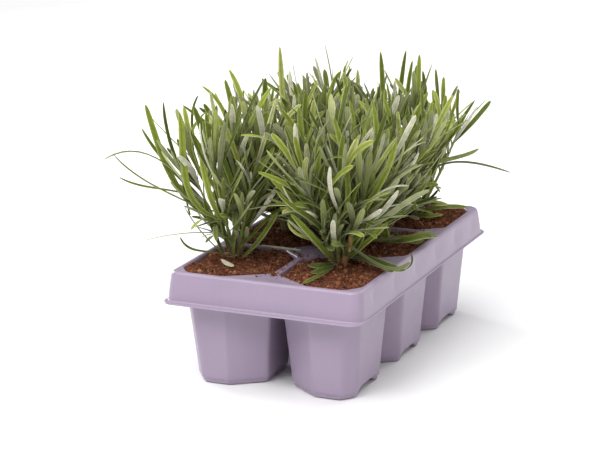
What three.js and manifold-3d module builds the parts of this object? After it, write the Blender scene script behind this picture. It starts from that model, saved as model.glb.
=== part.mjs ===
// Lavender in a tray: six young plants in a moulded tray of six cells, two across and three deep.
// Millimetres, +Z up. The origin is the middle of the object's underside, where the pots stand.
// X runs across the two cells, Y along the three, and the front short end faces -Y.
import * as THREE from "three";
import { mergeVertices } from "three/addons/utils/BufferGeometryUtils.js";
import Module from "manifold-3d";

// ---- driving dimensions
const TRAY_HALF_WIDTH = 74; // of the skirt just under the deck
const TRAY_HALF_LENGTH = 123;
const TRAY_HEIGHT = 84.4;
const DECK_THICKNESS = 1.2;
const SKIRT_BOTTOM = 62.4;
const LIP_THICKNESS = 1.3;
const LIP_SIDE = 2.6; // how far the lip stands out beyond the skirt's top, long sides
const LIP_END = 8.5; // the same on the short ends, where it is a broad shelf
const WALL = 1.0; // pot walls
const FLOOR = 1.2; // pot floors
const FOOT_HEIGHT = 4;
const FOOT_STEP = 0.9;
const ROW_PITCH = 80;
const RIDGE = 2.5; // half of the narrow ridge of deck between two cells
const DRAIN_RADIUS = 5;
const SLOT_WIDTH = 30; // arch between the feet under each outer wall
const SLOT_HEIGHT = 5;
const GAP = 0.35; // between one piece and the next
const SOIL_EDGE = 81.6; // height of the soil where it meets the wall
const SOIL_CROWN = 83.4; // and around the middle
const CROWN_TOP = 90.9; // of the woody base
const BLADE_RINGS = [1, 0.78, 0.4, 0]; // stations along a leaf, tip first
const BLADE_WIDTHS = [0, 0.95, 0.92, 0.3]; // share of the full width at each
const BLADE_KEEL = 0.2; // keel depth as a share of the width

const wasm = await Module();
wasm.setup();

// ---- helpers
const V = (x, y, z) => new THREE.Vector3(x, y, z);

// A closed three.js mesh as a solid that can be joined and cut.
function solid(geometry) {
  const g = geometry.index ? geometry.toNonIndexed() : geometry.clone();
  g.deleteAttribute("normal");
  g.deleteAttribute("uv");
  const m = mergeVertices(g, 1e-4);
  return new wasm.Manifold(
    new wasm.Mesh({
      numProp: 3,
      vertProperties: new Float32Array(m.attributes.position.array),
      triVerts: new Uint32Array(m.index.array),
    }),
  );
}

// The other way: a solid as a BufferGeometry with flat-shaded normals.
function geometryOf(s) {
  const m = s.getMesh();
  const p = new Float32Array(m.numVert * 3);
  for (let i = 0; i < m.numVert; i++)
    p.set(m.vertProperties.subarray(i * m.numProp, i * m.numProp + 3), i * 3);
  const g = new THREE.BufferGeometry();
  g.setAttribute("position", new THREE.BufferAttribute(p, 3));
  g.setIndex(new THREE.BufferAttribute(new Uint32Array(m.triVerts), 1));
  g.computeVertexNormals();
  return g;
}

// A cylinder whose rings are moved to where place(k, row, middle) says: k counts round it
// anticlockwise seen from its top end, row counts down from the top, and middle is true
// for the centre of an end cap.
function lofted(sides, rows, place, pointed = false) {
  const g = new THREE.CylinderGeometry(pointed ? 0 : 1, 1, 1, sides, rows - 1);
  const p = g.attributes.position;
  for (let i = 0; i < p.count; i++) {
    const x = p.getX(i), y = p.getY(i), z = p.getZ(i);
    const row = Math.round((0.5 - y) * (rows - 1));
    const ring = pointed ? row > 0 : true;
    const middle = ring && Math.hypot(x, z) < 1e-6;
    const k = ((Math.round((Math.atan2(x, z) / (2 * Math.PI)) * sides) % sides) + sides) % sides;
    const q = place(k, row, middle);
    p.setXYZ(i, q.x, q.y, q.z);
  }
  return solid(g);
}

// Rings of outline points [x, y], each at a height, top first. The outlines run anticlockwise.
function stack(rings) {
  const n = rings[0].points.length;
  return lofted(n, rings.length, (k, row, middle) => {
    const r = rings[row];
    if (middle) {
      const c = r.points.reduce((s, q) => [s[0] + q[0] / n, s[1] + q[1] / n], [0, 0]);
      return V(c[0], c[1], r.z);
    }
    return V(r.points[k][0], r.points[k][1], r.z);
  });
}

// A convex anticlockwise outline moved inwards by d.
function inset(points, d) {
  const n = points.length;
  const lines = points.map((p, i) => {
    const q = points[(i + 1) % n];
    const l = Math.hypot(q[0] - p[0], q[1] - p[1]);
    const nx = -(q[1] - p[1]) / l, ny = (q[0] - p[0]) / l;
    return { nx, ny, c: nx * (p[0] + nx * d) + ny * (p[1] + ny * d) };
  });
  return points.map((_, i) => {
    const a = lines[(i + n - 1) % n], b = lines[i];
    const det = a.nx * b.ny - a.ny * b.nx;
    return [(a.c * b.ny - a.ny * b.c) / det, (a.nx * b.c - a.c * b.nx) / det];
  });
}

const mix = (a, b, t) => a.map((p, i) => [p[0] + (b[i][0] - p[0]) * t, p[1] + (b[i][1] - p[1]) * t]);

// ---- the tray
// A rectangle with round corners.
function roundRect(hx, hy, r, per = 4) {
  const out = [];
  for (const [sx, sy, a0] of [[1, -1, -90], [1, 1, 0], [-1, 1, 90], [-1, -1, 180]])
    for (let i = 0; i < per; i++) {
      const a = THREE.MathUtils.degToRad(a0 + (90 * i) / (per - 1));
      out.push([sx * (hx - r) + r * Math.cos(a), sy * (hy - r) + r * Math.sin(a)]);
    }
  return out;
}

// One cell's outline at the deck (level 1) or at the floor (level 0): eight sides, with long
// chamfers towards the neighbouring cells and short ones at the tray's corners.
const CHAMFER = {
  end: [[23, 16], [30, 18]], // between the two cells of an end row
  corner: [[8, 10], [9, 11]], // the tray's own corner
  side: [[15, 10.5], [17, 12]], // on a long side, between two rows
  inner: [[14, 12], [16, 14]], // where four cells meet
};
function cellOutline(side, row, level) {
  const x0 = level ? RIDGE : 10.6, x1 = level ? 69 : 60.8;
  const draft = level ? 0 : 7.4;
  const low = row < 0 ? -118.5 : row * ROW_PITCH - 40 + RIDGE;
  const high = row > 0 ? 118.5 : row * ROW_PITCH + 40 - RIDGE;
  const y0 = low + draft, y1 = high - draft;
  const inF = CHAMFER[row < 0 ? "end" : "inner"][level];
  const outF = CHAMFER[row < 0 ? "corner" : "side"][level];
  const outB = CHAMFER[row > 0 ? "corner" : "side"][level];
  const inB = CHAMFER[row > 0 ? "end" : "inner"][level];
  const eight = [
    [x0 + inF[0], y0], [x1 - outF[0], y0], [x1, y0 + outF[1]], [x1, y1 - outB[1]],
    [x1 - outB[0], y1], [x0 + inB[0], y1], [x0, y1 - inB[1]], [x0, y0 + inF[1]],
  ];
  return side < 0 ? eight.map(([x, y]) => [-x, y]).reverse() : eight;
}
const atHeight = (side, row, z) => mix(cellOutline(side, row, 0), cellOutline(side, row, 1), z / TRAY_HEIGHT);

const CELLS = [];
for (const [row, rowName] of [[-1, "front"], [0, "middle"], [1, "back"]])
  for (const [side, sideName] of [[-1, "left"], [1, "right"]])
    CELLS.push({ row, side, name: rowName + "_" + sideName });

function tray() {
  const W = TRAY_HALF_WIDTH, L = TRAY_HALF_LENGTH, H = TRAY_HEIGHT, B = SKIRT_BOTTOM;
  const ring = (z, ox, oy, r) => ({ z, points: roundRect(W + ox, L + oy, r) });
  let t = stack([
    ring(H, -2.4, -2.4, 6), ring(H - 0.8, -0.7, -0.7, 7.5), ring(H - 2.4, 0, 0, 8),
    ring(B + LIP_THICKNESS + 0.9, 1.3, 3.4, 9), ring(B + LIP_THICKNESS, LIP_SIDE, LIP_END, 10), ring(B, LIP_SIDE, LIP_END, 10),
  ]);
  t = t.subtract(stack([ring(H - DECK_THICKNESS, -2.6, -2.6, 6), ring(H - 3, -1.3, -1.3, 7), ring(B - 1, 0.2, 2.2, 8.5)]));
  for (const { row, side } of CELLS) {
    const outer = (z) => inset(atHeight(side, row, z), -WALL);
    t = t.add(stack([
      { z: H - 0.3, points: outer(H - 0.3) },
      { z: FOOT_HEIGHT + 0.6, points: outer(FOOT_HEIGHT + 0.6) },
      { z: FOOT_HEIGHT, points: inset(outer(FOOT_HEIGHT), FOOT_STEP) },
      { z: 0, points: inset(outer(0), FOOT_STEP) },
    ]));
  }
  for (const { row, side } of CELLS) {
    t = t.subtract(stack([
      { z: H + 1, points: atHeight(side, row, H + 1) },
      { z: FOOT_HEIGHT + 0.6, points: atHeight(side, row, FOOT_HEIGHT + 0.6) },
      { z: FOOT_HEIGHT, points: inset(atHeight(side, row, FOOT_HEIGHT), FOOT_STEP) },
      { z: FLOOR, points: inset(atHeight(side, row, FLOOR), FOOT_STEP) },
    ]));
    // a round drain in the floor, and a drain slot at the foot of each long-side wall
    const cx = side * 35.7, cy = row * ROW_PITCH;
    const drain = new THREE.CylinderGeometry(DRAIN_RADIUS, DRAIN_RADIUS, 4, 16);
    drain.rotateX(Math.PI / 2);
    drain.translate(cx, cy, 0.5);
    t = t.subtract(solid(drain));
    const slot = new THREE.BoxGeometry(8, SLOT_WIDTH, SLOT_HEIGHT + 1);
    slot.translate(side * 61, cy, (SLOT_HEIGHT - 1) / 2);
    t = t.subtract(solid(slot));
  }
  return t;
}

// ---- the soil: a plug in each cell with an uneven top
function noise(x, y) {
  return 0.55 * Math.sin(0.31 * x + 1.3) * Math.cos(0.27 * y - 0.4) + 0.35 * Math.sin(0.71 * x - 0.53 * y);
}
function soil(side, row) {
  const edge = inset(atHeight(side, row, SOIL_EDGE), GAP + 0.05);
  const foot = inset(atHeight(side, row, FOOT_HEIGHT + 0.6), FOOT_STEP + GAP);
  const base = inset(atHeight(side, row, FLOOR + GAP), FOOT_STEP + GAP + 0.3);
  const c = edge.reduce((s, q) => [s[0] + q[0] / edge.length, s[1] + q[1] / edge.length], [0, 0]);
  const toward = (t) => mix(edge, edge.map(() => c), t);
  const rings = [
    { z: SOIL_CROWN, points: toward(0.62), rough: 1 },
    { z: SOIL_CROWN - 0.5, points: toward(0.28), rough: 1 },
    { z: SOIL_EDGE, points: edge, rough: 0 },
    { z: FOOT_HEIGHT + 0.6, points: foot, rough: 0 },
    { z: FLOOR + GAP, points: base, rough: 0 },
  ];
  const n = edge.length;
  return lofted(n, rings.length, (k, r, middle) => {
    const g = rings[r];
    if (middle) return V(c[0], c[1], g.z + (r ? 0 : noise(c[0], c[1])));
    const [x, y] = g.points[k];
    return V(x, y, g.z + g.rough * noise(x, y));
  });
}

// ---- the woody base of a plant, knobbly and wider where the shoots leave it
function crown(x, y, grow) {
  const rings = [
    [CROWN_TOP, 5.3], [CROWN_TOP - 1, 5.7], [87.5, 4.3], [84.6, 4.9], [80, 3.6], [74 - grow, 2.2],
  ];
  return lofted(7, rings.length, (k, row, middle) => {
    const [z, r] = rings[row];
    if (middle) return V(x, y, z);
    const a = (k / 7) * 2 * Math.PI;
    const knob = row === 0 || row === rings.length - 1 ? 0 : 0.45 * Math.sin(k * 2.4 + row * 1.7 + x);
    const q = r + grow + knob;
    return V(x + q * Math.cos(a), y + q * Math.sin(a), z);
  });
}

// ---- shoots
// A stem is a cubic Bezier, thinning from r[0] to r[1].
function stem(points, r) {
  const curve = new THREE.CubicBezierCurve3(...points.map((p) => V(...p)));
  const rows = 4, sides = 4;
  return lofted(sides, rows, (k, row, middle) => {
    const u = 1 - row / (rows - 1);
    const c = curve.getPoint(u), t = curve.getTangent(u).normalize();
    if (middle) return c;
    const side = new THREE.Vector3().crossVectors(V(0.02, 1, 0.01), t).normalize();
    const up = new THREE.Vector3().crossVectors(t, side);
    const a = (k / sides) * 2 * Math.PI, q = r[0] + (r[1] - r[0]) * u;
    return c.addScaledVector(side, q * Math.cos(a)).addScaledVector(up, q * Math.sin(a));
  });
}
// A leaf is a narrow blade along a cubic Bezier: flat on its upper face, keeled below.
// normal is the way its upper face looks, and twist turns that by so many degrees at the tip.
function leaf([points, full, normal, twist]) {
  const curve = new THREE.CubicBezierCurve3(...points.map((p) => V(...p)));
  const n0 = V(...normal);
  return lofted(3, BLADE_RINGS.length, (k, row, middle) => {
    const u = BLADE_RINGS[row];
    const c = curve.getPoint(u), t = curve.getTangent(u).normalize();
    const m = n0.clone().addScaledVector(t, -n0.dot(t)).normalize();
    const s = new THREE.Vector3().crossVectors(t, m);
    const a = THREE.MathUtils.degToRad(twist) * u;
    const up = m.clone().multiplyScalar(Math.cos(a)).addScaledVector(s, Math.sin(a));
    const side = new THREE.Vector3().crossVectors(t, up);
    if (middle || row === 0) return c;
    const w = (full * BLADE_WIDTHS[row]) / 2, d = Math.max(0.5, full * BLADE_KEEL * (0.5 + BLADE_WIDTHS[row] / 2));
    const lift = d * 0.35;
    if (k === 0) return c.addScaledVector(up, -(d - lift));
    return c.addScaledVector(side, k === 1 ? -w : w).addScaledVector(up, lift);
  }, true);
}

// ---- where each plant stands, and its shoots: [cell, stem, stem radii, leaves]. A leaf is
// [four points from its foot to its tip, full width, the way its upper face looks, twist].
const CROWN_AT = {
  front_left: [-45, -71],
  front_right: [33, -66],
  middle_left: [-37, 3],
  middle_right: [38, 6],
  back_left: [-35, 82],
  back_right: [37, 80],
};
const SHOOTS = [
  ["front_left", [[-45,-71,92], [-43.9,-71.8,119.4], [-42.6,-72.8,142.2], [-40.7,-74.3,168]], [1.3, 0.7], [
    [[[-42.8,-72.7,137.2], [-37.4,-72.6,165], [-58.5,-77.3,181.6], [-77.5,-84,196.4]], 3.31, [0.813,-0.428,0.396], 10],
    [[[-43.1,-72.4,131.5], [-52.2,-66.9,154.8], [-62.5,-61.2,177.6], [-69.6,-55.9,201.6]], 3.68, [0.646,-0.651,0.399], -3],
    [[[-42.9,-72.6,135.3], [-51.5,-62.3,158.7], [-53,-45.5,187.5], [-78,-52.2,203.9]], 3.68, [0.705,-0.495,0.508], 4],
    [[[-41.1,-74,162.3], [-44.7,-71.4,171.6], [-48.1,-69,180.7], [-51.3,-66.7,189.7]], 3.85, [0.781,-0.609,0.138], -24],
    [[[-40.8,-74.2,166.5], [-38.8,-81,177.9], [-37,-86.5,189.6], [-35.4,-90.9,201.8]], 4.53, [-0.468,0.799,0.378], 6],
    [[[-42.5,-72.9,141.7], [-40.7,-65.9,156], [-38.9,-60,170.3], [-37.3,-54.9,185]], 4.26, [0.234,-0.602,0.763], 3],
    [[[-41.9,-73.4,151.1], [-35.8,-79.6,162.4], [-29.1,-86.4,172.3], [-21.7,-94,181.2]], 3.93, [-0.545,0.351,0.761], -27],
  ]],
  ["front_left", [[-41,-69.7,92], [-31.2,-66.3,115.8], [-25.8,-64.5,136.6], [-23.2,-63.6,161]], [1.3, 0.7], [
    [[[-23.5,-63.7,158.6], [-17,-63.2,168.8], [-11.8,-62.7,179.4], [-7.7,-62.2,190.4]], 3.79, [-0.883,-0.049,0.466], -20],
    [[[-23.7,-63.8,156.7], [-27,-62.8,169.6], [-29.6,-61.9,182.4], [-31.5,-61.1,195.2]], 4.56, [0.985,-0.023,-0.174], 30],
    [[[-24.8,-64.2,148.5], [-26.1,-57.8,159.9], [-27.4,-51.4,170.9], [-28.8,-44.9,181.8]], 3.56, [0.19,-0.697,0.691], 7],
    [[[-24.5,-64.1,150.3], [-23.8,-71.1,163.7], [-22.7,-76.7,177.2], [-21.4,-81,191.1]], 3.84, [-0.254,0.833,0.492], -16],
    [[[-26.7,-64.8,138.2], [-28.3,-66,154], [-29.2,-66.8,169.4], [-29.7,-67.5,184.8]], 3.76, [0.515,0.593,-0.619], 27],
  ]],
  ["front_left", [[-43.3,-67.2,92], [-39.7,-59,111.7], [-37.2,-53.5,128.7], [-35.1,-48.7,148.5]], [1.3, 0.7], [
    [[[-36.6,-52.2,135.2], [-45.4,-45,161.4], [-48.3,-34.6,189.6], [-65.7,-32.3,213.1]], 4.23, [0.372,-0.857,0.357], 1],
    [[[-35.5,-49.7,144.4], [-38.7,-44.8,154], [-42.2,-39.8,163], [-46.3,-34.7,171.6]], 4.37, [0.942,-0.193,0.276], 2],
    [[[-35.4,-49.3,145.9], [-31.2,-48.3,155.9], [-27.1,-47.2,165.5], [-23,-46.2,175.2]], 3.71, [-0.871,0.138,0.472], -10],
    [[[-36.4,-51.7,136.8], [-37.2,-50.6,151.6], [-38.5,-50.1,165.8], [-40.1,-50.1,180.1]], 3.52, [0.865,0.502,-0.014], -15],
    [[[-36.4,-51.7,136.7], [-32.3,-45.9,148.8], [-27.7,-39.8,160.1], [-22.5,-33.2,170.9]], 3.95, [-0.98,0.132,0.148], -16],
  ]],
  ["front_left", [[-46.9,-67.3,92], [-52.8,-55.9,112.1], [-56.3,-49.1,130.4], [-58.6,-44.8,152.4]], [1.3, 0.7], [
    [[[-58.1,-45.8,147.7], [-61.9,-48.5,160.5], [-65.6,-50.9,172.9], [-69.2,-53.2,185.4]], 3.98, [0.384,0.922,-0.055], -24],
    [[[-58.5,-45.1,151.1], [-57.8,-37,160.1], [-57.4,-29.6,169.4], [-57.2,-22.7,179]], 4.31, [-0.232,-0.466,0.854], -10],
    [[[-57.6,-46.7,143.6], [-52.6,-47.4,160.8], [-46.4,-49.2,176.8], [-38.7,-52.1,192.1]], 3.92, [-0.835,0.519,-0.184], -15],
    [[[-57.6,-46.7,143.5], [-66.1,-41.3,156.3], [-75.4,-35.8,167.9], [-85.6,-30.2,178.7]], 4.49, [0.375,-0.38,0.845], -24],
    [[[-55.7,-50.4,130.3], [-61.8,-51.3,147.5], [-67,-50.6,164.5], [-71.4,-48.4,181.6]], 4.46, [0.988,-0.041,0.148], 7],
  ]],
  ["front_left", [[-49.2,-70.4,92], [-62.2,-68.6,115.9], [-71.5,-67.4,136.6], [-80.1,-66.2,160.8]], [1.3, 0.7], [
    [[[-67.5,-67.9,128.9], [-71.8,-62.9,151.7], [-89.4,-65.5,176.5], [-80.6,-53.1,197.3]], 2.94, [0.978,-0.06,0.2], -14],
    [[[-78.1,-66.5,155.4], [-80.7,-70.9,167.4], [-83.8,-73.8,179.3], [-87.4,-75.3,191.3]], 4.57, [-0.553,0.803,0.223], -25],
    [[[-78.5,-66.4,156.2], [-83.7,-62.3,167.5], [-88.9,-57.1,177.9], [-94.3,-50.6,187.4]], 4.03, [-0.074,-0.707,0.703], -9],
    [[[-74.1,-67,144.9], [-75.4,-57.4,158.3], [-76.9,-48.4,171.5], [-78.7,-39.9,185]], 3.79, [-0.376,-0.79,0.484], -22],
    [[[-76.5,-66.7,150.9], [-89,-70.1,162.2], [-100.4,-72.8,174], [-111.2,-75,186.5]], 3.9, [0.616,0.499,0.61], -4],
    [[[-71.5,-67.4,138.4], [-75,-72.2,151.2], [-78.6,-76.2,163.8], [-82.5,-79.6,176.5]], 3.71, [-0.267,0.935,0.232], -6],
  ]],
  ["front_left", [[-48.3,-73.5,92], [-55.6,-79.1,109.6], [-61,-83.2,124.6], [-66.3,-87.2,142.1]], [1.3, 0.7], [
    [[[-60.9,-83.1,125.2], [-76.5,-93.1,147.9], [-97.9,-102.9,178.8], [-119.39,-126.1,162.5]], 2.76, [0.544,-0.043,0.838], 15],
    [[[-60.5,-82.8,124], [-78.9,-86.8,139], [-101.3,-99.6,133.5], [-119.6,-105.3,145.1]], 2.94, [0.32,0.046,0.946], -19],
    [[[-56.4,-79.7,112.7], [-80.5,-101.4,130.5], [-90.9,-95.1,165.9], [-104.6,-89.3,196]], 4.78, [0.645,-0.706,0.291], -20],
    [[[-57.4,-80.4,115.2], [-79.8,-83,137.8], [-93.9,-80.2,164.2], [-99.5,-71.8,194.6]], 3.68, [0.858,-0.194,0.476], -4],
    [[[-58.7,-81.5,119], [-74,-86.4,139.5], [-94.6,-91.4,156.9], [-109.9,-86.5,177.8]], 3.5, [0.66,-0.535,0.528], 20],
    [[[-65.6,-86.7,139.9], [-72.4,-84.1,150], [-78.4,-82.5,160.2], [-84,-81.8,170.9]], 4.52, [0.143,-0.35,0.926], 27],
    [[[-64.1,-85.5,134.9], [-74.6,-90.6,146.9], [-83.4,-95.3,159.7], [-90.6,-99.6,173.6]], 4.7, [-0.33,0.282,0.901], 0],
  ]],
  ["front_left", [[-44.8,-75.2,92], [-44.3,-88.3,115.3], [-44,-96.6,135.9], [-43.7,-103,160.3]], [1.3, 0.7], [
    [[[-44.4,-86,112.9], [-67.7,-95.9,131.7], [-96.5,-114.5,141.4], [-117.2,-117.1,165.6]], 3.31, [0.523,0.186,0.832], -6],
    [[[-44.3,-87.6,116.3], [-73.4,-111.1,124.2], [-70.2,-93.4,163.7], [-77.1,-89.6,192.1]], 4.97, [0.58,-0.781,0.23], -5],
    [[[-44.2,-89.8,121.5], [-58.8,-85.5,142.5], [-88.9,-85.9,168.1], [-66.3,-69.6,189.2]], 3.68, [-0.281,-0.941,0.189], -11],
    [[[-44.5,-81.8,104.3], [-53.7,-106.7,112.3], [-80.6,-114.1,110.2], [-99.1,-131.5,103.2]], 2.94, [-0.029,0.009,1], 16],
    [[[-44.4,-86,112.9], [-44.7,-107.9,126.1], [-51.8,-101.7,147.9], [-56.8,-98.9,168.6]], 4.42, [0.651,-0.758,-0.03], -2],
    [[[-43.7,-102.5,158.2], [-41.1,-102.8,168.2], [-37.9,-102.6,177.7], [-34.3,-101.9,186.9]], 3.96, [-0.114,-0.95,-0.29], 5],
    [[[-43.7,-102.6,158.8], [-45.7,-106.7,168.3], [-46.9,-110.1,177.7], [-47.2,-113.1,187.4]], 3.56, [0.809,0.45,-0.379], 12],
  ]],
  ["front_left", [[-41.6,-73.5,92], [-34.2,-78.9,111.3], [-28.7,-83,127.8], [-23.3,-86.9,146.9]], [1.3, 0.7], [
    [[[-31.5,-80.9,120.2], [-29,-74.9,152.8], [-42.8,-67.3,182.3], [-54.4,-61.7,212.1]], 4.97, [0.475,-0.83,0.292], -21],
    [[[-37.3,-76.7,103.6], [-24.9,-87,132.2], [-15.4,-59.1,153.6], [-16.8,-51,183.1]], 4.05, [0.666,-0.742,0.069], -20],
    [[[-34.3,-78.9,112], [-27.3,-97.5,130.8], [-39,-89.2,153.9], [-50.3,-89.6,174.3]], 4.23, [0.698,-0.714,0.056], 12],
    [[[-24.3,-86.2,143.6], [-22.9,-92.1,155.1], [-21.7,-98,166.3], [-20.5,-104.1,177.5]], 3.8, [0.755,0.483,-0.443], 28],
    [[[-23.8,-86.5,145], [-17.3,-85.6,153.9], [-11.3,-85,162.8], [-5.6,-84.8,172]], 4.34, [-0.497,-0.857,0.139], -3],
    [[[-26.1,-84.9,137.2], [-15,-89.8,148.9], [-4.5,-94.5,160.5], [5.8,-99.2,172.5]], 4.52, [-0.799,-0.113,0.591], 20],
    [[[-29.6,-82.3,126], [-20.8,-77.1,139.8], [-12.5,-72.7,153.4], [-4.3,-68.7,167.3]], 3.6, [-0.191,-0.906,0.377], -24],
  ]],
  ["front_right", [[33,-66,92], [33.2,-65.5,120], [32.9,-66.1,143.3], [32.2,-68.2,169.6]], [1.3, 0.7], [
    [[[32.3,-67.8,164.8], [36.1,-67.1,175.5], [40.3,-66.1,185.6], [45,-64.9,195.5]], 3.56, [-0.923,0.045,0.382], 8],
    [[[32.2,-68.1,168], [26.8,-72.1,177.8], [22.3,-75.5,188], [18.5,-78.6,198.5]], 3.76, [0.76,-0.158,0.63], -12],
    [[[32.6,-67,152.4], [29.1,-59.7,168.9], [25.2,-51.2,184], [20.7,-41.3,198.1]], 4.54, [-0.102,-0.854,0.511], -25],
    [[[32.6,-67.1,154.3], [33.1,-72.4,170], [33.5,-77.1,185.3], [33.8,-81.3,200.8]], 3.77, [-0.338,0.82,0.463], -20],
    [[[32.8,-66.4,140.3], [41.1,-66.4,155.4], [49.9,-66.3,169.6], [59.4,-66.1,183.3]], 3.96, [-0.78,-0.238,0.579], 18],
  ]],
  ["front_right", [[37.2,-66.5,92], [46.7,-67.6,111.3], [52,-68.2,128.4], [54.9,-68.6,148.6]], [1.3, 0.7], [
    [[[43.7,-67.3,106.5], [56.5,-78.6,131], [71.4,-60.8,149.5], [72.6,-52.1,175.8]], 4.6, [0.541,-0.84,-0.041], -21],
    [[[44.8,-67.4,109.3], [66.6,-64.3,115.2], [76.7,-54.9,133.5], [95.4,-45.6,140.3]], 4.23, [-0.51,0.821,0.255], -15],
    [[[46.4,-67.6,113.6], [55,-54.2,140.3], [59.6,-42.3,170], [48.8,-37.5,199.6]], 4.23, [0.692,-0.687,0.221], 7],
    [[[54.6,-68.6,146.4], [52.4,-62.9,158.2], [51,-58.4,170.2], [50.2,-54.8,182.5]], 3.72, [-0.02,-0.991,0.134], 1],
    [[[53.4,-68.4,139.8], [49.9,-71.7,155.6], [47.2,-74.7,171.2], [45.3,-77.3,187]], 3.96, [0.667,0.479,0.571], -22],
    [[[54.7,-68.6,147.4], [57.7,-71.6,156.4], [60.7,-75,164.8], [64.1,-79,172.9]], 3.66, [-0.772,0.468,0.43], -20],
    [[[53.5,-68.4,140.3], [60.4,-64.4,153.9], [67.5,-60,166.6], [75,-55.1,178.9]], 3.87, [-0.29,-0.446,-0.847], 4],
  ]],
  ["front_right", [[36.1,-63.2,92], [46.9,-53.7,111.9], [54,-47.4,129.9], [59.8,-42.3,151.7]], [1.3, 0.7], [
    [[[59.5,-42.6,150.4], [60.1,-42.2,160.9], [61.1,-41.4,171.1], [62.5,-40.2,181.2]], 4.14, [0.214,0.96,0.183], -3],
    [[[59.5,-42.6,150.4], [66.7,-36.8,158.8], [74.3,-30.8,166.1], [82.4,-24.4,172.5]], 4.59, [-0.58,-0.098,0.809], -11],
    [[[55.8,-45.8,137.9], [62.6,-36.6,146.6], [69.1,-28.1,155.6], [75.4,-20,165.1]], 4.32, [-0.683,-0.686,0.249], -14],
    [[[55.7,-45.9,137.7], [60.2,-49.1,153.7], [64.5,-52.4,169.3], [68.7,-56.1,184.8]], 3.95, [0.301,0.763,0.572], -23],
    [[[53.1,-48.2,129.9], [63.7,-47.6,140.8], [75,-47.8,150.5], [87,-48.8,159.1]], 3.92, [-0.663,0.712,0.231], 0],
    [[[52.7,-48.5,128.9], [51.4,-39.5,142.2], [51,-31.1,155.4], [51.5,-23.3,169]], 4.64, [0.929,-0.354,0.108], 3],
  ]],
  ["front_right", [[33.1,-61.8,92], [33.4,-49.3,111.8], [33.5,-41.6,129.8], [33.6,-36.3,151.3]], [1.3, 0.7], [
    [[[33.6,-38.6,142.7], [30.6,-32.1,154.4], [28.4,-26.4,166.1], [26.9,-21.3,178.3]], 4.59, [0.928,0.088,-0.361], -24],
    [[[33.6,-36.7,149.6], [36.7,-32,159], [40.5,-27,167.5], [45.1,-21.6,175.4]], 3.99, [-0.838,-0.28,0.468], 21],
    [[[33.6,-37,148.5], [31.7,-38.4,158.7], [30.1,-39.2,168.8], [28.8,-39.5,178.9]], 4.48, [0.747,0.663,0.052], 26],
    [[[33.5,-39.3,140.4], [38.9,-38.7,155.9], [43,-37.2,171.3], [46.1,-34.8,186.7]], 4.38, [-0.486,0.874,-0.002], -6],
  ]],
  ["front_right", [[29.7,-63.5,92], [21.8,-57.5,109.3], [16.4,-53.5,124.5], [11.7,-49.9,142.3]], [1.3, 0.7], [
    [[[12.1,-50.2,140.7], [14.4,-51.5,151.8], [17.8,-53.5,162.1], [22.2,-56.3,171.8]], 3.76, [-0.597,0.668,0.445], 1],
    [[[12,-50.1,141.2], [5.3,-45.9,149.6], [-1,-41.9,157.9], [-7,-38.1,166.5]], 4.64, [0.753,-0.349,0.558], 18],
    [[[14.1,-51.7,133.7], [10.6,-40.3,146.9], [7,-29.8,160.2], [3.2,-20.2,174]], 4.3, [-0.097,-0.865,0.493], -23],
    [[[13.7,-51.5,134.9], [7.1,-52.8,150.5], [0.5,-54.8,165.5], [-6.3,-57.6,180.3]], 4.54, [-0.314,0.665,0.677], -16],
    [[[16.6,-53.6,125.6], [18,-50.6,139.7], [19.9,-47.7,153.4], [22.1,-44.9,167]], 4.48, [-0.899,0.368,-0.237], -26],
  ]],
  ["front_right", [[28.9,-67,92], [19.1,-69.4,115.9], [12.9,-71,136.5], [8.1,-72.2,160.4]], [1.3, 0.7], [
    [[[18.5,-69.6,120.2], [-13.3,-82.2,137.6], [-40.4,-87.8,171.1], [6.3,-67.5,180.1]], 3.13, [0.953,-0.226,0.201], -23],
    [[[9.2,-71.9,154.9], [9,-78,162.5], [9,-84.7,169.1], [9.5,-92.1,174.9]], 4.35, [-0.285,0.568,0.773], 23],
    [[[8.4,-72.1,159], [2.8,-74.2,168.3], [-1.9,-75.8,177.7], [-5.8,-77.2,187.6]], 4.37, [0.738,-0.007,0.675], 21],
    [[[10.1,-71.7,151.2], [4.7,-78,163.7], [-1.1,-85.7,174.6], [-7.2,-94.8,184.1]], 4.14, [0.217,0.97,-0.111], 27],
    [[[11.3,-71.4,146], [6.8,-64.5,162.2], [2.4,-57.7,177.9], [-1.9,-50.7,193.4]], 4.58, [0.044,-0.989,0.141], 20],
  ]],
  ["front_right", [[31.7,-70,92], [27.8,-82,112.7], [25.3,-89.7,131.2], [23.3,-95.9,153.1]], [1.3, 0.7], [
    [[[26.7,-85.4,122.9], [21.1,-88.4,142.4], [7.1,-96.7,151.4], [-8.5,-106.1,158.5]], 3.86, [0.714,-0.603,0.356], 12],
    [[[29,-78.4,107.6], [33,-92.2,125.7], [18.2,-105.1,131], [5.7,-107.6,147.3]], 3.86, [0.893,-0.375,0.248], 10],
    [[[28.2,-80.7,112.2], [14,-81.6,141.2], [13,-58,170.4], [-8.4,-67.8,195]], 4.23, [0.586,-0.72,0.37], -23],
    [[[23.4,-95.5,151.7], [19.4,-93.2,161.8], [16.1,-91.9,171.9], [13.2,-91.6,182.3]], 4.12, [0.827,-0.556,0.087], -11],
    [[[23.4,-95.5,151.8], [26.4,-100.2,161.9], [28.4,-104.4,172.1], [29.3,-108.2,182.5]], 4.14, [-0.358,0.932,0.057], 30],
    [[[24.5,-92.1,140.8], [17.4,-103.2,152.7], [11.3,-113.1,165.4], [6.2,-122.1,179.1]], 4.12, [0.492,0.508,0.707], 22],
    [[[24.7,-91.5,138.8], [28.3,-91.4,151.8], [31.1,-92.1,164.5], [33,-93.5,177.4]], 4.28, [-0.476,-0.876,0.079], 26],
  ]],
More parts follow.
